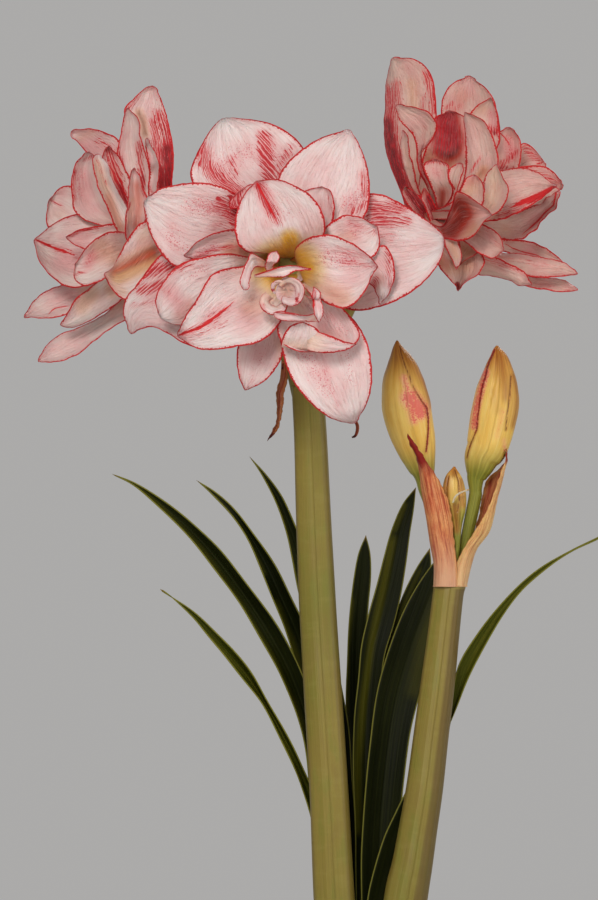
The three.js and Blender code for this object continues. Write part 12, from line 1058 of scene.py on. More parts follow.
for node, members in groups.items():
    part = Part()
    flower = node.split("_")[0]
    for name, across, text in members:
        if "petaloid" in name:
            petal(part, name, text, across, NU=19, NV=34, ruffle=0.5, thick=0.5, strokes=PAINT.get(name, PAINT["front_petaloid"]), crimp=1.6, margin=0.62)
        else:
            petal(part, name, text, across, ruffle=RUFFLE.get(name, 0.5), blunt=BLUNT.get(name, 0.4))
    if node == "front_tepal_inner_bottom":
        for name, across, text in LIPS:
            petal(part, name, text, across, NU=21, NV=24, ruffle=0.3, thick=0.5)
    if node == "front_petaloids":
        # throat, frilled ring in its middle and a smaller curl below it
        cup(part, (-41.0, 642.5), [(1.0, -60.0), (5.0, -61.0), (8.5, -65.0), (10.8, -70.0), (12.0, -75.0)], 60, rim=0.0, gold=0.74, seed=2)
        cup(part, (-42.4, 625.4), [(0.4, -113.0), (2.0, -113.2), (3.6, -113.8), (5.2, -115.0), (6.0, -116.0)], 80, rim=0.0, gold=0.0, wave=(0.05, 0.4), seed=3, half=0.2, flush=0.5)
        curl(part, "front_petaloid_5", (-41.4, 625.0), 150, -286, (4.2, 4.0, 3.8, 3.6, 2.8), (5.8, 7.2, 8.6, 8.8, 6.6), (-114.8, -115.2, -115.4, -115.0, -114.0), (-117.2, -119.0, -119.4, -118.8, -116.4),
             [("crimson", "-37.2,625.6", 1.5, 1.3), ("crimson", "-36.4,624.2", 1.2, 1.0), ("streak", "-35.8,628.6 -37.6,623.0", 1.4, 0.9), ("peach_and_shade", "-45.0,632.0 -42.0,629.0", 4.5, 0.45), ("peach_and_shade", "-48.0,637.0 -44.0,640.0", 2.5, 0.25)], ruffle=0.8, thick=0.4, crimp=1.8, margin=0.45)
        curl(part, "front_petaloid_6", (-45.4, 626.2), 80, 150, (2.4, 3.2, 3.4), (4.2, 5.6, 4.6), (-114.6, -115.0, -114.6), (-118.0, -119.0, -117.4),
             [("crimson", "-50.4,630.6", 1.4, 1.2), ("crimson", "-49.2,631.4", 1.0, 1.0), ("peach_and_shade", "-47.0,630.0", 3.0, 0.4)], ruffle=0.7, thick=0.35, crimp=1.6, margin=0.45)
        curl(part, "front_petaloid_7", (-48.6, 620.2), 136, 196, (1.4, 2.6, 3.2, 2.8), (6.0, 7.6, 8.0, 6.6), (-107.6, -109.2, -109.8, -108.6), (-112.6, -115.0, -116.0, -114.0),
             [("peach_and_shade", "-48.6,622.0", 5.0, 0.35), ("streak", "-56.5,622.0 -54.0,615.0", 2.4, 0.8)], oval=1.12, ruffle=0.9, thick=0.4, crimp=1.8, margin=0.5)
    part.build("bloom_" + node, [node], PETAL[flower])

# ---------------------------------------------------------------- stalks
stalk_green = stalk_material()


def ridges(seed, marks):
    def shape(a, t, z):
        out = 0.06 * waves(z + 20 * np.cos(a), (60.0, 110.0), seed)
        for angle, height, width in marks:
            d = (a - angle + np.pi) % (2 * np.pi) - np.pi
            out = out + height * np.exp(-((d / width) ** 2))
        return out + 0.05 * np.cos(a * 26) * (1 - t * 0.3)
    return shape


def stalk_values(key, foot, side_shade, collar, side):
    st = np.array(STEMS[key], float)
    st = st[np.argsort(st[:, 2])]

    def extra(co, t):
        z = co[:, 2]
        ang = np.arctan2(co[:, 1] - np.interp(z, st[:, 2], st[:, 1]), co[:, 0] - np.interp(z, st[:, 2], st[:, 0]))
        # painted shade by angle round the stalk: the side turned from the light, one edge and the back
        tone = side_shade * smooth(np.cos(ang + 0.10), side - 0.10, side) + 0.45 * smooth(-np.cos(ang - 0.1), 0.86, 0.97) + 0.35 * smooth(np.sin(ang), 0.2, 0.9)
        ring = collar * smooth(z, st[-1, 2] - 3.2, st[-1, 2] - 1.2)
        return {"pc": np.stack([np.minimum(tone * (1 - ring), 1), np.maximum(smooth(z, foot + 75, foot) * 0.8, ring * 0.5), np.maximum(0.35 * smooth(z, foot + 30, foot), ring * 0.5)], -1)}
    return extra


def ovary(a, t, z):
    return 0.75 * np.cos(3 * a) * np.exp(-(((t - 0.62) / 0.2) ** 2)) + 0.10 * np.cos(9 * a)


def stem_values(co, t):
    return {"pc": np.stack([np.zeros(len(co)), 0.55 * smooth(t, 0.35, 1.0), np.zeros(len(co))], -1)}


part = Part()
tube(part, STEMS["scape_flowering"], 72, 170, ridges(3, [(-0.70, 0.9, 0.34), (math.pi + 0.45, 0.7, 0.34), (-1.75, 0.12, 0.10), (-1.4, 0.12, 0.08), (0.5, 0.5, 0.4), (2.3, 0.5, 0.4)]), extra=stalk_values("scape_flowering", 187, 0.5, 0.0, 0.80))
for k in ("stem_front", "stem_left", "stem_right"):
    tube(part, STEMS[k], 36, 60, ovary, extra=stem_values)
for k, st in CUPS.items():
    tube(part, st, 36, 14, lambda a, t, z: 0.5 * np.cos(6 * a) * t, extra=lambda co, t: {"pc": np.stack([0 * t, 0.5 + 0.5 * t, 0 * t], -1)})
part.build("stalk_flowering", ["scape_flowering"], stalk_green)

part = Part()
tube(part, STEMS["scape_budding"], 72, 170, ridges(5, [(-0.98, 1.0, 0.26), (math.pi + 0.35, 0.6, 0.34), (-1.9, 0.12, 0.10), (0.5, 0.5, 0.4), (2.3, 0.5, 0.4)]), extra=stalk_values("scape_budding", 187, 0.85, 1.0, 0.50))
part.build("stalk_budding", ["scape_budding"], stalk_green)

# ---------------------------------------------------------------- leaves
# the second leaf material is the same leaf in lighter colours: painted light for the two leaves that face the light
leaf_green = leaf_material("leaf_green", lin(16, 20, 3), lin(28, 32, 6), lin(50, 54, 14), lin(80, 78, 14))
leaf_olive = leaf_material("leaf_olive", lin(44, 48, 5), lin(60, 64, 9), lin(92, 94, 24), lin(100, 96, 22))
for name, across, text in LEAVES:
    part = Part()
    leaf(part, name, text, across, [("lit", line, r, s) for line, r, s in LEAF_LIT.get(name, [])])
    part.build("strap_" + name, [name], leaf_olive if name in ("leaf_4", "leaf_10") else leaf_green)

# ---------------------------------------------------------------- buds
bud_ochre = bud_material()


def front_lines(co, lines):
    """Distance in millimetres, seen from the front, to the nearest of some lines."""
    s = seen(co)
    d = np.full(len(co), 50.0)
    for q in lines:
        d = np.minimum(d, to_polyline(s, q))
    return d


def bud(part, key, sides, rings, seams, patches, green_top, tip_from, centre_y, turn):
    st = np.array(STEMS[key], float)
    z0, z1 = st[:, 2].min(), st[:, 2].max()
    seams = [parse(q) for q in seams]

    def side_of(s, q):
        """Signed distance across a rising seam line, positive to its right."""
        x = np.interp(s[:, 1], q[:, 1][np.argsort(q[:, 1])], q[:, 0][np.argsort(q[:, 1])])
        lo, hi = q[:, 1].min(), q[:, 1].max()
        return (s[:, 0] - x), smooth(s[:, 1], lo - 3, lo + 4) * (1 - smooth(s[:, 1], hi - 2, hi + 6))

    holder = {}

    def shape(a, t, z):
        # lap of each outer petal over the next, front lines from the picture and two more behind
        out = np.zeros_like(a)
        zz = (z - z0) / (z1 - z0)
        for k, base in enumerate((turn, turn + 2.1, turn + 4.2)):
            ang = base + 0.5 * (zz - 0.5) + 0.12 * np.sin(zz * 7 + k)
            d = (a - ang + np.pi) % (2 * np.pi) - np.pi
            out = out + 0.42 * (np.exp(-np.abs(d) / 0.55) * np.where(d > 0, 1, 0) * smooth(zz, 0.32, 0.5))
        return out + 0.05 * np.cos(a * 17 + 3 * zz) + 0.09 * np.cos(a * 6 + 1.3 + zz)

    def extra(co, t):
        s = seen(co)
        front = co[:, 1] < centre_y + 2
        d = np.full(len(co), 50.0)
        for q in seams:
            d = np.where(front, np.minimum(d, to_polyline(s, q)), d)
        z = (co[:, 2] - z0) / (z1 - z0)
        ax = np.interp(co[:, 2], np.sort(st[:, 2]), st[np.argsort(st[:, 2]), 0])
        ay = np.interp(co[:, 2], np.sort(st[:, 2]), st[np.argsort(st[:, 2]), 1])
        a = np.arctan2(co[:, 1] - ay, co[:, 0] - ax)
        r = np.hypot(co[:, 1] - ay, co[:, 0] - ax)
        for k, base in enumerate((turn, turn + 2.1, turn + 4.2)):
            ang = -(base + 0.5 * (z - 0.5) + 0.12 * np.sin(z * 7 + k))
            dd = np.abs((a - ang + np.pi) % (2 * np.pi) - np.pi) * r
            d = np.where(~front & (z > 0.4), np.minimum(d, dd), d)
        m = masks(co, patches, ("pink", "shade_brown", "red"))
        return {
            "pc": np.stack([np.minimum(d, 20), m["pink"] * front, 1 - smooth(co[:, 2], green_top - 12, green_top + 8)], -1),
            "pa": np.stack([smooth(z, tip_from, 1.0), m["shade_brown"] * front, z], -1),
            "pe": np.stack([np.minimum(m["red"], 1) * front, 0 * z, 0 * z], -1),
        }

    tube(part, STEMS[key], sides, rings, shape, extra=extra)


part = Part()
bud(part, "bud_left", 96, 150, BUD_LINES["bud_left"], BUD_PAINT["bud_left"], 536, 0.76, 9, 0.6)
part.build("bud_left_tepals", ["bud_left"], bud_ochre)
part = Part()
bud(part, "bud_right", 96, 150, BUD_LINES["bud_right"], BUD_PAINT["bud_right"], 538, 0.78, 3, 2.2)
part.build("bud_right_tepals", ["bud_right"], bud_ochre)
part = Part()
bud(part, "bud_small", 48, 70, BUD_LINES["bud_small"], BUD_PAINT["bud_small"], 512, 0.9, 0, 1.2)
part.build("bud_small_tepals", ["bud_small"], bud_ochre)

# ---------------------------------------------------------------- bracts
def plain_values(co, t):
    return {"pc": np.stack([np.full(len(co), 3.0), np.zeros(len(co)), np.zeros(len(co))], -1),
            "pa": np.stack([smooth(t, 0.7, 1.0), 1 - smooth(t, 0, 0.2), np.zeros(len(co))], -1)}


papery = bract_material("bract_papery", lin(232, 158, 96), lin(206, 104, 66), lin(158, 48, 34), lin(138, 24, 14), lin(224, 176, 140))
papery_cream = bract_material("bract_papery_cream", lin(240, 196, 126), lin(222, 160, 102), lin(178, 88, 52), lin(142, 28, 16), lin(230, 186, 136))
dried = bract_material("bract_dried", lin(160, 70, 36), lin(134, 50, 26), lin(92, 30, 16), lin(78, 22, 12), lin(176, 96, 52))
for name, across, text in BRACTS:
    part = Part()
    if name.startswith("spathe"):
        bract(part, name, text, across, 0.52 if name == "spathe_left" else 0.78, 0.42, 0.8)
        part.build(name + "_valve", [name], papery_cream if name == "spathe_right" else papery)
    else:
        bract(part, name, text, across, 0.8, 0.2, 0.6, thick=0.6)
        # the foot by which it hangs on the stalk
        tube(part, [[-39.8, 1.0, 585.6, 1.5, 1.1], [-42.4, -2.0, 587.6, 1.4, 1.0], [-44.2, -4.0, 588.8, 1.2, 0.8], [-45.0, -4.4, 586.0, 0.7, 0.5]], 16, 18, extra=plain_values)
        part.build(name + "_wisp", [name], dried)


part = Part()
tube(part, [[-23.6, 0.0, 572.6, 1.3, 1.1], [-16.4, -2.2, 571.6, 0.9, 0.9]] + STEMS["dried_bract_right"], 16, 52, lambda a, t, z: 0.25 * np.cos(3 * a + 9 * t), extra=plain_values)
part.build("dried_bract_right_wisp", ["dried_bract_right"], dried)
pale = bract_material("bracteole_pale", lin(236, 226, 200), lin(226, 212, 180), lin(196, 176, 136), lin(200, 170, 120), lin(222, 214, 176))
part = Part()
tube(part, STEMS["bracteole"], 14, 36, lambda a, t, z: 0.14 * np.cos(2 * a + 5 * t), extra=plain_values)
part.build("bracteole_thread", ["bracteole"], pale)

# ---------------------------------------------------------------- pot, soil, bulb (mm)
POT_HEIGHT, POT_TOP, POT_FOOT, POT_WALL, POT_FLOOR = 145.0, 84.0, 57.0, 6.0, 8.0
RIM_HEIGHT, RIM_STEP, SOIL_TOP, BULB_BOTTOM, NECK_TOP = 30.0, 4.5, 126.0, 80.0, 184.4


def pot_outer(z):
    return POT_FOOT + (POT_TOP - RIM_STEP - 2.5 - POT_FOOT) * z / POT_HEIGHT


def pot_inner(z):
    return pot_outer(z) - POT_WALL


def lathe(part, profile, sides, offset=None, close=False, seed=0, **values):
    """A turned shape; offset(angle, z, s) gives millimetres along the profile's own normal."""
    pr = np.array(profile, float)
    rings = len(pr)
    a = np.linspace(0, 2 * np.pi, sides, endpoint=False)
    tan = np.gradient(pr, axis=0)
    nor = unit(np.stack([tan[:, 1], -tan[:, 0]], -1))
    s = np.concatenate([[0], np.cumsum(np.linalg.norm(np.diff(pr, axis=0), axis=1))])
    A, S = np.meshgrid(a, s)
    R = np.repeat(pr[:, 0:1], sides, 1)
    Z = np.repeat(pr[:, 1:2], sides, 1)
    if offset is not None:
        o = offset(A, Z, S) * np.minimum(1, R / 4)
        R = R + o * nor[:, 0:1]
        Z = Z + o * nor[:, 1:2]
    co = np.stack([R * np.cos(A), R * np.sin(A), Z], -1).reshape(-1, 3)
    faces = []
    for i in range(rings - 1):
        for j in range(sides):
            q, r = i * sides + j, i * sides + (j + 1) % sides
            faces.append((q, r, r + sides, q + sides))
    extra = []
    for ring, end in ((0, 0), (rings - 1, 1)):
        centre = len(co) + len(extra)
        extra.append([0, 0, float(Z[ring].mean())])
        for j in range(sides):
            q, r = ring * sides + j, ring * sides + (j + 1) % sides
            faces.append((centre, r, q) if end == 0 else (centre, q, r))
    co = np.concatenate([co, np.array(extra)])
    uv = np.stack([A * 60, S], -1).reshape(-1, 2)
    uv = np.concatenate([uv, uv[:1], uv[-1:]])
    part.add(co, faces, uv, **{k: np.concatenate([v(A, Z, S).reshape(-1, 3), np.zeros((2, 3))]) for k, v in values.items()})


def fine(points, gap):
    """The same profile with points at most gap apart."""
    out = [points[0]]
    for a, b in zip(points[:-1], points[1:]):
        n = max(1, int(math.ceil(math.dist(a, b) / gap)))
        out += [(a[0] + (b[0] - a[0]) * k / n, a[1] + (b[1] - a[1]) * k / n) for k in range(1, n + 1)]
    return out


def clay_material():
    m = Mat("pot_clay")
    mm = m.scale(m.place(), (1000, 1000, 1000))
    x, y, z = m.sep(mm)
    wet, worn, inside = m.attr("pc")
    big = m.noise(mm, 0.018, 4, 0.6)
    cloud = m.noise(mm, 0.05, 5, 0.62, 0.4)
    grain = m.noise(mm, 0.9, 3, 0.65)
    pits = m.cells(mm, 0.45)
    turn = m.noise(m.scale(mm, (0.01, 0.01, 0.5)), 1, 3, 0.6)
    col = m.mix(m.step(big, 0.34, 0.66), lin(178, 104, 68), lin(196, 124, 84))
    col = m.mix(m.step(grain, 0.42, 0.66, 0.0, 0.35), col, lin(214, 148, 108))
    col = m.mix(m.step(grain, 0.45, 0.3, 0.0, 0.4), col, lin(138, 76, 48))
    col = m.mix(m.step(turn, 0.45, 0.62, 0.0, 0.22), col, lin(156, 88, 56))
    lime = m.mul(m.step(cloud, 0.52, 0.72), m.step(z, 8, 60, 0.75, 0.35))
    col = m.mix(m.mul(lime, 0.7), col, lin(222, 196, 172))
    col = m.mix(m.mul(wet, 0.6), col, lin(120, 66, 44))
    col = m.mix(m.mul(worn, 0.45), col, lin(220, 160, 122))
    col = m.mix(m.step(pits, 0.12, 0.04, 0.0, 0.6), col, lin(112, 60, 40))
    h = m.add(m.mul(grain, 0.6), m.add(m.mul(turn, 0.9), m.mul(m.step(pits, 0.0, 0.16), 0.5)))
    m.set(Base_Color=col, Roughness=m.step(cloud, 0.3, 0.7, 0.72, 0.9), Specular_IOR_Level=0.3, Normal=m.bump(h, 0.0006, 0.8))
    return m.m


r0 = POT_HEIGHT - RIM_HEIGHT
profile = [
    (2, 2.2), (POT_FOOT - 9, 2.2), (POT_FOOT - 7.5, 0.0), (POT_FOOT - 1.6, 0.0), (POT_FOOT - 0.4, 0.5), (POT_FOOT, 1.8),
    (pot_outer(r0 - 3), r0 - 3), (pot_outer(r0 - 1) + 0.6, r0 - 1.2), (pot_outer(r0) + RIM_STEP - 1.2, r0 - 0.2), (pot_outer(r0) + RIM_STEP, r0 + 1.4),
    (POT_TOP - 0.2, POT_HEIGHT - 3.4), (POT_TOP - 0.7, POT_HEIGHT - 1.2), (POT_TOP - 2.4, POT_HEIGHT),
    (pot_inner(POT_HEIGHT) + 2.2, POT_HEIGHT), (pot_inner(POT_HEIGHT) + 0.6, POT_HEIGHT - 0.8), (pot_inner(POT_HEIGHT), POT_HEIGHT - 2.4),
    (pot_inner(SOIL_TOP - 12), SOIL_TOP - 12), (pot_inner(POT_FLOOR + 4), POT_FLOOR + 4), (pot_inner(POT_FLOOR) - 4, POT_FLOOR), (2, POT_FLOOR),
]


def pot_offset(A, Z, S):
    out = 0.22 * np.sin(A * 2 + 0.7) + 0.12 * np.sin(A * 5 + Z / 21)
    out = out + 0.10 * np.sin(Z * 2 * np.pi / 4.3 + 0.5 * np.sin(A)) * smooth(Z, 3, 12)
    chips = np.exp(-(((A - 0.9) / 0.035) ** 2) - ((Z - POT_HEIGHT) / 2.2) ** 2) + 0.8 * np.exp(-(((A - 4.05) / 0.05) ** 2) - ((Z - POT_HEIGHT) / 1.7) ** 2)
    return (out - 0.9 * chips) * smooth(Z, 0.3, 6)


part = Part()
lathe(part, fine(profile, 2.6), 168, pot_offset, pc=lambda A, Z, S: np.stack([
    np.where(Z > POT_HEIGHT - 20, 0, 0) + 0.55 * smooth(Z + 6 * np.sin(A * 3 + 1) + 3 * np.sin(A * 7), 34, 8) * 1.0,
    smooth(Z, POT_HEIGHT - 3.0, POT_HEIGHT - 0.4) + 0.6 * np.exp(-((Z - (r0 + 1.0)) / 1.4) ** 2), 0 * A], -1))
part.build("clay_pot", ["pot"], clay_material())


def skin_material():
    m = Mat("bulb_skin")
    mm = m.scale(m.place(), (1000, 1000, 1000))
    uv = m.uv()
    torn, layer, neck = m.attr("pc")
    big = m.noise(mm, 0.035, 4, 0.6)
    vein = m.noise(m.scale(uv, (0.55, 0.02, 1)), 1, 3, 0.6, 0.3)
    fine_ = m.noise(m.scale(uv, (1.8, 0.05, 1)), 1, 3, 0.6)
    flake = m.cells(m.scale(uv, (0.22, 0.11, 1)), 1, "DISTANCE_TO_EDGE")
    blotch = m.noise(mm, 0.12, 4, 0.7)
    col = m.mix(m.step(big, 0.35, 0.66), lin(122, 72, 40), lin(156, 98, 56))
    col = m.mix(m.step(vein, 0.5, 0.64, 0.0, 0.6), col, lin(82, 44, 24))
    col = m.mix(m.step(vein, 0.5, 0.36, 0.0, 0.45), col, lin(192, 138, 84))
    col = m.mix(m.step(fine_, 0.52, 0.7, 0.0, 0.35), col, lin(204, 158, 104))
    col = m.mix(m.step(blotch, 0.56, 0.7, 0.0, 0.55), col, lin(74, 42, 26))
    col = m.mix(m.step(flake, 0.05, 0.0, 0.0, 0.45), col, lin(66, 36, 20))
    col = m.mix(m.mul(torn, 0.75), col, lin(208, 170, 116))
    col = m.mix(m.mul(neck, 0.8), col, m.mix(m.step(vein, 0.4, 0.6), lin(190, 182, 112), lin(168, 156, 84)))
    h = m.add(m.mul(vein, 1.0), m.add(m.mul(fine_, 0.4), m.mul(flake, 0.5)))
    m.set(Base_Color=col, Roughness=m.step(blotch, 0.3, 0.7, 0.42, 0.68), Specular_IOR_Level=0.4, Normal=m.bump(h, 0.0009, 0.9))
    m.set(Sheen_Weight=0.08, Sheen_Roughness=0.5)
    return m.m


bulb_profile = [
    (2, BULB_BOTTOM), (14, BULB_BOTTOM + 0.6), (30, BULB_BOTTOM + 6), (43, BULB_BOTTOM + 17), (50.5, BULB_BOTTOM + 32), (53, BULB_BOTTOM + 46),
    (51.5, BULB_BOTTOM + 59), (46.5, BULB_BOTTOM + 71), (39.5, BULB_BOTTOM + 82), (33.5, BULB_BOTTOM + 91), (30.2, BULB_BOTTOM + 98), (28.6, NECK_TOP - 1.6), (26.5, NECK_TOP - 0.3), (2, NECK_TOP),
]
bp = spline(np.array(bulb_profile[:12]), np.linspace(0, 11, 96))
bp = [tuple(p) for p in bp] + [tuple(p) for p in np.array(bulb_profile[12:])]
# ragged upper edges of the dry coats: base height, reach, waves
COATS = [(118.0, 10.0, 0.3), (132.0, 12.0, 1.9), (149.0, 9.0, 3.4), (163.0, 8.0, 4.6), (175.0, 5.0, 5.5)]


def coat_edge(A, k):
    z, reach, ph = COATS[k]
    return z + reach * (0.5 * np.sin(A * 2 + ph) + 0.3 * np.sin(A * 5 + 2 * ph) + 0.16 * np.sin(A * 11 + 3 * ph) + 0.10 * np.sin(A * 23 + ph))


def bulb_offset(A, Z, S):
    out = 0.7 * np.sin(A * 3 + 0.4) * smooth(Z, 82, 110) + 0.45 * np.sin(A * 7 + 0.02 * Z)
    for k in range(len(COATS)):
        e = coat_edge(A, k)
        lift = 0.9 * np.exp(-np.maximum(e - Z, 0) / 14) + 0.35
        out = out + np.where(Z < e, lift, 0) * 0.8 - 0.3
    out = out + 0.16 * np.sin(A * 46 + 0.8 * np.sin(Z / 9)) * smooth(Z, 90, 110)
    return np.minimum(out, 2.2)


def bulb_values(A, Z, S):
    torn = np.zeros_like(A)
    for k in range(len(COATS)):
        e = coat_edge(A, k)
        torn = np.maximum(torn, np.exp(-np.maximum(e - Z, 0) / 2.2) * (Z < e + 0.6))
    return np.stack([torn * 0.9, 0 * A, smooth(Z, 160, 182)], -1)


part = Part()
lathe(part, bp, 200, bulb_offset, pc=bulb_values)
# short torn collars of dry skin round the leaf bases
for k, (rad, low, high, ph) in enumerate(((29.6, 168, 190, 0.2), (27.6, 172, 194, 2.0), (25.4, 176, 191, 4.1))):
    sides, rows_ = 120, 16
    A = np.linspace(0, 2 * np.pi, sides, endpoint=False)
    top = high + 3.5 * np.sin(A * 2 + ph) + 2.2 * np.sin(A * 5 + ph * 2) + 1.2 * np.sin(A * 13 + ph) + 0.7 * np.sin(A * 29)
    T = np.linspace(0, 1, rows_)[:, None]
    Z = low + (top[None] - low) * T
    R = rad + 0.6 * np.sin(A * 4 + ph)[None] + 0.35 * np.sin(A * 17 + ph)[None] * T + (1.6 * T**2) - 1.0 * T
    oval = 1.0
    inner = R - 0.5
    co = np.concatenate([np.stack([R * np.cos(A), R * np.sin(A) * oval, Z], -1).reshape(-1, 3), np.stack([inner * np.cos(A), inner * np.sin(A) * oval, Z - 0.15 * T], -1).reshape(-1, 3)])
    n = rows_ * sides
    faces = []
    for i in range(rows_ - 1):
        for j in range(sides):
            q, r = i * sides + j, i * sides + (j + 1) % sides
            faces.append((q, r, r + sides, q + sides))
            faces.append((n + q, n + q + sides, n + r + sides, n + r))
    for j in range(sides):
        q, r = j, (j + 1) % sides
        faces.append((q, n + q, n + r, r))
        q, r = (rows_ - 1) * sides + j, (rows_ - 1) * sides + (j + 1) % sides
        faces.append((q, r, n + r, n + q))
    uv = np.stack([np.repeat(A[None] * 30, rows_, 0), Z], -1).reshape(-1, 2)
    v = np.stack([np.repeat(smooth(T, 0.8, 1.0), sides, 1), 0 * Z, np.repeat(0.25 + 0 * T, sides, 1)], -1).reshape(-1, 3)
    part.add(co, faces, np.concatenate([uv, uv]), pc=np.concatenate([v, v]))
part.build("bulb_coats", ["bulb"], skin_material())


def soil_material():
    m = Mat("potting_soil")
    mm = m.scale(m.place(), (1000, 1000, 1000))
    kind, tone, none = m.attr("pc")
    big = m.noise(mm, 0.06, 4, 0.65)
    grain = m.noise(mm, 0.55, 4, 0.7)
    grit = m.cells(mm, 0.7)
    fibre = m.noise(m.scale(mm, (0.2, 1.4, 0.6)), 1, 3, 0.6, 0.6)
    col = m.mix(m.step(big, 0.36, 0.66), lin(40, 27, 19), lin(66, 46, 33))
    col = m.mix(m.step(grain, 0.5, 0.68, 0.0, 0.7), col, lin(96, 70, 50))
    col = m.mix(m.step(fibre, 0.58, 0.7, 0.0, 0.5), col, lin(124, 90, 60))
    col = m.mix(m.step(grit, 0.2, 0.05, 0.0, 0.5), col, lin(24, 16, 12))
    bark = m.mix(m.step(fibre, 0.4, 0.62), lin(92, 56, 34), lin(136, 92, 58))
    col = m.mix(m.step(kind, 0.3, 0.5), col, bark)
    col = m.mix(m.step(kind, 0.8, 0.95), col, m.mix(m.step(grain, 0.4, 0.62), lin(226, 222, 212), lin(188, 182, 170)))
    col = m.mix(m.mul(tone, 0.5), col, lin(26, 18, 13))
    h = m.add(m.mul(grain, 1.0), m.mul(fibre, 0.6))
    m.set(Base_Color=col, Roughness=m.step(big, 0.3, 0.7, 0.85, 0.97), Specular_IOR_Level=0.2, Normal=m.bump(h, 0.0012, 0.9))
    return m.m


def bumps(x, y, seed, sizes):
    r = np.random.default_rng(seed)
    out = 0
    for s in sizes:
        for _ in range(5):
            a, p, f = r.random() * 2 * np.pi, r.random() * 2 * np.pi, 2 * np.pi / (s * (0.8 + 0.4 * r.random()))
            out = out + np.sin((x * np.cos(a) + y * np.sin(a)) * f + p) * s * 0.02
    return out


def bulb_radius(z):
    q = np.array(bulb_profile[:12])
    return float(np.interp(z, q[:, 1], q[:, 0]))


part = Part()
soil_in = bulb_radius(SOIL_TOP) - 2.0
rr = np.linspace(soil_in, pot_inner(SOIL_TOP) - 0.5, 26)
sides = 260
A = np.linspace(0, 2 * np.pi, sides, endpoint=False)
RR, AA = np.meshgrid(rr, A, indexing="ij")
X, Y = RR * np.cos(AA), RR * np.sin(AA)
H = SOIL_TOP + bumps(X, Y, 11, (22.0, 11.0, 6.0, 3.4)) + rng.normal(0, 0.22, X.shape) + 1.6 * smooth(RR, soil_in + 9, soil_in) - 1.0 * smooth(RR, rr[-1] - 8, rr[-1])
H = np.clip(H, SOIL_TOP - 3.5, SOIL_TOP + 4.5)
under = [(pot_inner(z) - 0.5 if k else 2.0, z) for k, z in ((1, SOIL_TOP - 14), (1, 60.0), (1, POT_FLOOR + 5), (1, POT_FLOOR + 1), (0, POT_FLOOR + 0.6))]
top = np.stack([X, Y, H], -1)
rings = [top[i] for i in range(len(rr))]
for r_, z_ in under:
    rings.append(np.stack([r_ * np.cos(A), r_ * np.sin(A), np.full(sides, z_)], -1))
# the inner wall goes down under the bulb
down = [(soil_in, SOIL_TOP - 8), (bulb_radius(104) + 0.3, 102.0), (34.0, 84.0), (2.0, 79.0)]
first = [np.stack([r_ * np.cos(A), r_ * np.sin(A), np.full(sides, z_)], -1) for r_, z_ in reversed(down)]
rings = first + rings
co = np.concatenate(rings)
faces = []
for i in range(len(rings) - 1):
    for j in range(sides):
        q, r = i * sides + j, i * sides + (j + 1) % sides
        faces.append((q, q + sides, r + sides, r))
for ring, flip in ((0, False), (len(rings) - 1, True)):
    q = tuple(ring * sides + j for j in range(sides))
    faces.append(q if not flip else q[::-1])
uv = co[:, :2]
part.add(co, faces, uv, pc=np.zeros((len(co), 3)))


def lump(centre, size, flat, seed, kind, tone):
    """A small irregular closed crumb: a bent sphere."""
    r = np.random.default_rng(seed)
    nu, nv = 9, 6
    th = np.linspace(0, 2 * np.pi, nu, endpoint=False)
    ph = np.linspace(0, np.pi, nv + 1)[1:-1]
    TH, PH = np.meshgrid(th, ph)
    d = np.stack([np.cos(TH) * np.sin(PH), np.sin(TH) * np.sin(PH), np.cos(PH)], -1).reshape(-1, 3)
    d = np.concatenate([d, [[0, 0, 1]], [[0, 0, -1]]])
    ax = r.normal(size=(3, 3))
    w = 1 + 0.18 * np.sin(d @ ax[0] * 3 + r.random() * 6) + 0.14 * np.sin(d @ ax[1] * 4 + r.random() * 6) + r.normal(0, 0.05, len(d))
    q = d * w[:, None] * np.array([1.0, flat[0], flat[1]]) * size
    a, b = r.random() * 2 * np.pi, r.normal(0, 0.25)
    rot = np.array([[np.cos(a), -np.sin(a), 0], [np.sin(a), np.cos(a), 0], [0, 0, 1]]) @ np.array([[1, 0, 0], [0, np.cos(b), -np.sin(b)], [0, np.sin(b), np.cos(b)]])
    q = q @ rot.T + np.array(centre)
    fs = []
    rowsn = nv - 1
    for i in range(rowsn - 1):
        for j in range(nu):
            x_, y_ = i * nu + j, i * nu + (j + 1) % nu
            fs.append((x_, x_ + nu, y_ + nu, y_))
    n_ = rowsn * nu
    for j in range(nu):
        fs.append((n_, j, (j + 1) % nu))
        fs.append((n_ + 1, (rowsn - 1) * nu + (j + 1) % nu, (rowsn - 1) * nu + j))
    part.add(q, fs, q[:, :2], pc=np.tile([kind, tone, 0.0], (len(q), 1)))


for k in range(620):
    a = rng.random() * 2 * np.pi
    lo_, hi_ = soil_in + 1.5, pot_inner(SOIL_TOP) - 2.5
    rad = math.sqrt(lo_**2 + (hi_**2 - lo_**2) * rng.random())
    x, y = rad * math.cos(a), rad * math.sin(a)
    i = int(np.clip(np.searchsorted(rr, rad), 0, len(rr) - 1))
    j = int(a / (2 * np.pi) * sides) % sides
    z = float(H[i, j])
    pick_ = rng.random()
    if pick_ < 0.07:
        lump((x, y, z + 0.4), 1.0 + 0.7 * rng.random(), (0.9, 0.8), 1000 + k, 1.0, 0.0)
    elif pick_ < 0.24:
        s_ = 2.2 + 2.2 * rng.random()
        if rad + s_ < hi_:
            lump((x, y, z + 0.5), s_, (0.5, 0.28), 1000 + k, 0.6, rng.random() * 0.5)
    else:
        lump((x, y, z + 0.1), 0.8 + 1.5 * rng.random() ** 2, (0.85, 0.7), 1000 + k, 0.0, rng.random() * 0.7)
part.build("soil_crumbs", ["soil"], soil_material())

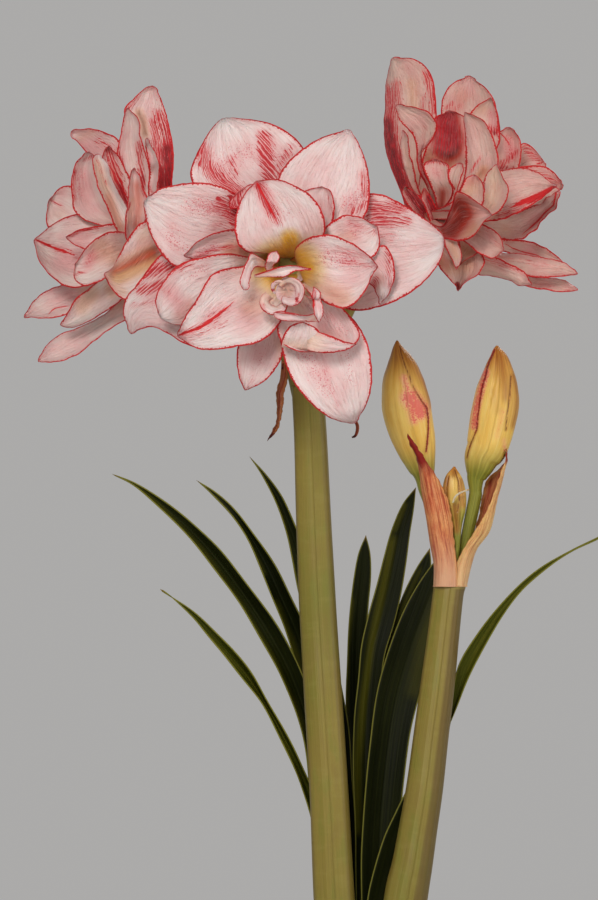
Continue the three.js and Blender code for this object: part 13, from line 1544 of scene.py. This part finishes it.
# ---------------------------------------------------------------- floor, light and camera
scene = bpy.context.scene
me = bpy.data.meshes.new("studio_floor")
N = 96
ring = [(2.15 * math.cos(2 * math.pi * k / N), 2.15 * math.sin(2 * math.pi * k / N), 0.0) for k in range(N)]
me.from_pydata(ring, [], [tuple(range(N))])
floor = bpy.data.objects.new("studio_floor", me)
scene.collection.objects.link(floor)
fm = Mat("studio_floor")
fc = fm.noise(fm.place(), 3.0, 3, 0.5)
fm.set(Base_Color=fm.mix(fm.step(fc, 0.3, 0.7), lin(206, 205, 203), lin(212, 211, 209)), Roughness=0.7, Specular_IOR_Level=0.2)
me.materials.append(fm.m)

world = bpy.data.worlds.new("studio")
scene.world = world
world.use_nodes = True
wt = world.node_tree
# a pale band round the horizon, dimmer overhead
way = wt.nodes.new("ShaderNodeTexCoord")
split = wt.nodes.new("ShaderNodeSeparateXYZ")
wt.links.new(way.outputs["Generated"], split.inputs[0])
level = wt.nodes.new("ShaderNodeMath")
level.operation = "ABSOLUTE"
wt.links.new(split.outputs[2], level.inputs[0])
ramp = wt.nodes.new("ShaderNodeMapRange")
ramp.interpolation_type = "SMOOTHSTEP"
wt.links.new(level.outputs[0], ramp.inputs[0])
for k, v in ((1, 0.16), (2, 0.42), (3, 0.41), (4, 0.24)):
    ramp.inputs[k].default_value = v
wt.nodes["Background"].inputs[0].default_value = (1.0, 0.985, 0.97, 1.0)
wt.links.new(ramp.outputs[0], wt.nodes["Background"].inputs[1])


def area(name, at, aim, size, power, colour=(1, 1, 1)):
    d = bpy.data.lights.new(name, "AREA")
    d.shape = "DISK"
    d.size = size
    d.energy = power
    d.color = colour
    o = bpy.data.objects.new(name, d)
    o.location = at
    o.rotation_euler = (Vector(aim) - Vector(at)).to_track_quat("-Z", "Y").to_euler()
    scene.collection.objects.link(o)
    return o


area("key", (-0.46, -2.2, 1.5), (-0.04, -0.03, 0.56), 0.75, 27, (1.0, 0.965, 0.93))
area("fill", (1.7, -1.3, 0.95), (0.0, 0.0, 0.5), 1.2, 10, (1.0, 0.98, 0.97))
area("rim", (0.9, 1.6, 1.7), (0.0, 0.0, 0.55), 0.9, 13, (1.0, 0.99, 0.97))

cam = bpy.data.cameras.new("photo_view")
cam.sensor_width = 36.0
cam.lens = 36.0 * 2000.0 / 504.0
cam.clip_end = 50
cam.dof.use_dof = False
camera = bpy.data.objects.new("photo_view", cam)
camera.location = (EYE_X * 0.001, -2.0, EYE_Z * 0.001)
camera.rotation_euler = (math.pi / 2, 0, 0)
scene.collection.objects.link(camera)
scene.camera = camera
scene.view_settings.view_transform = "Standard"
scene.view_settings.look = "None"

bpy.context.view_layer.update()
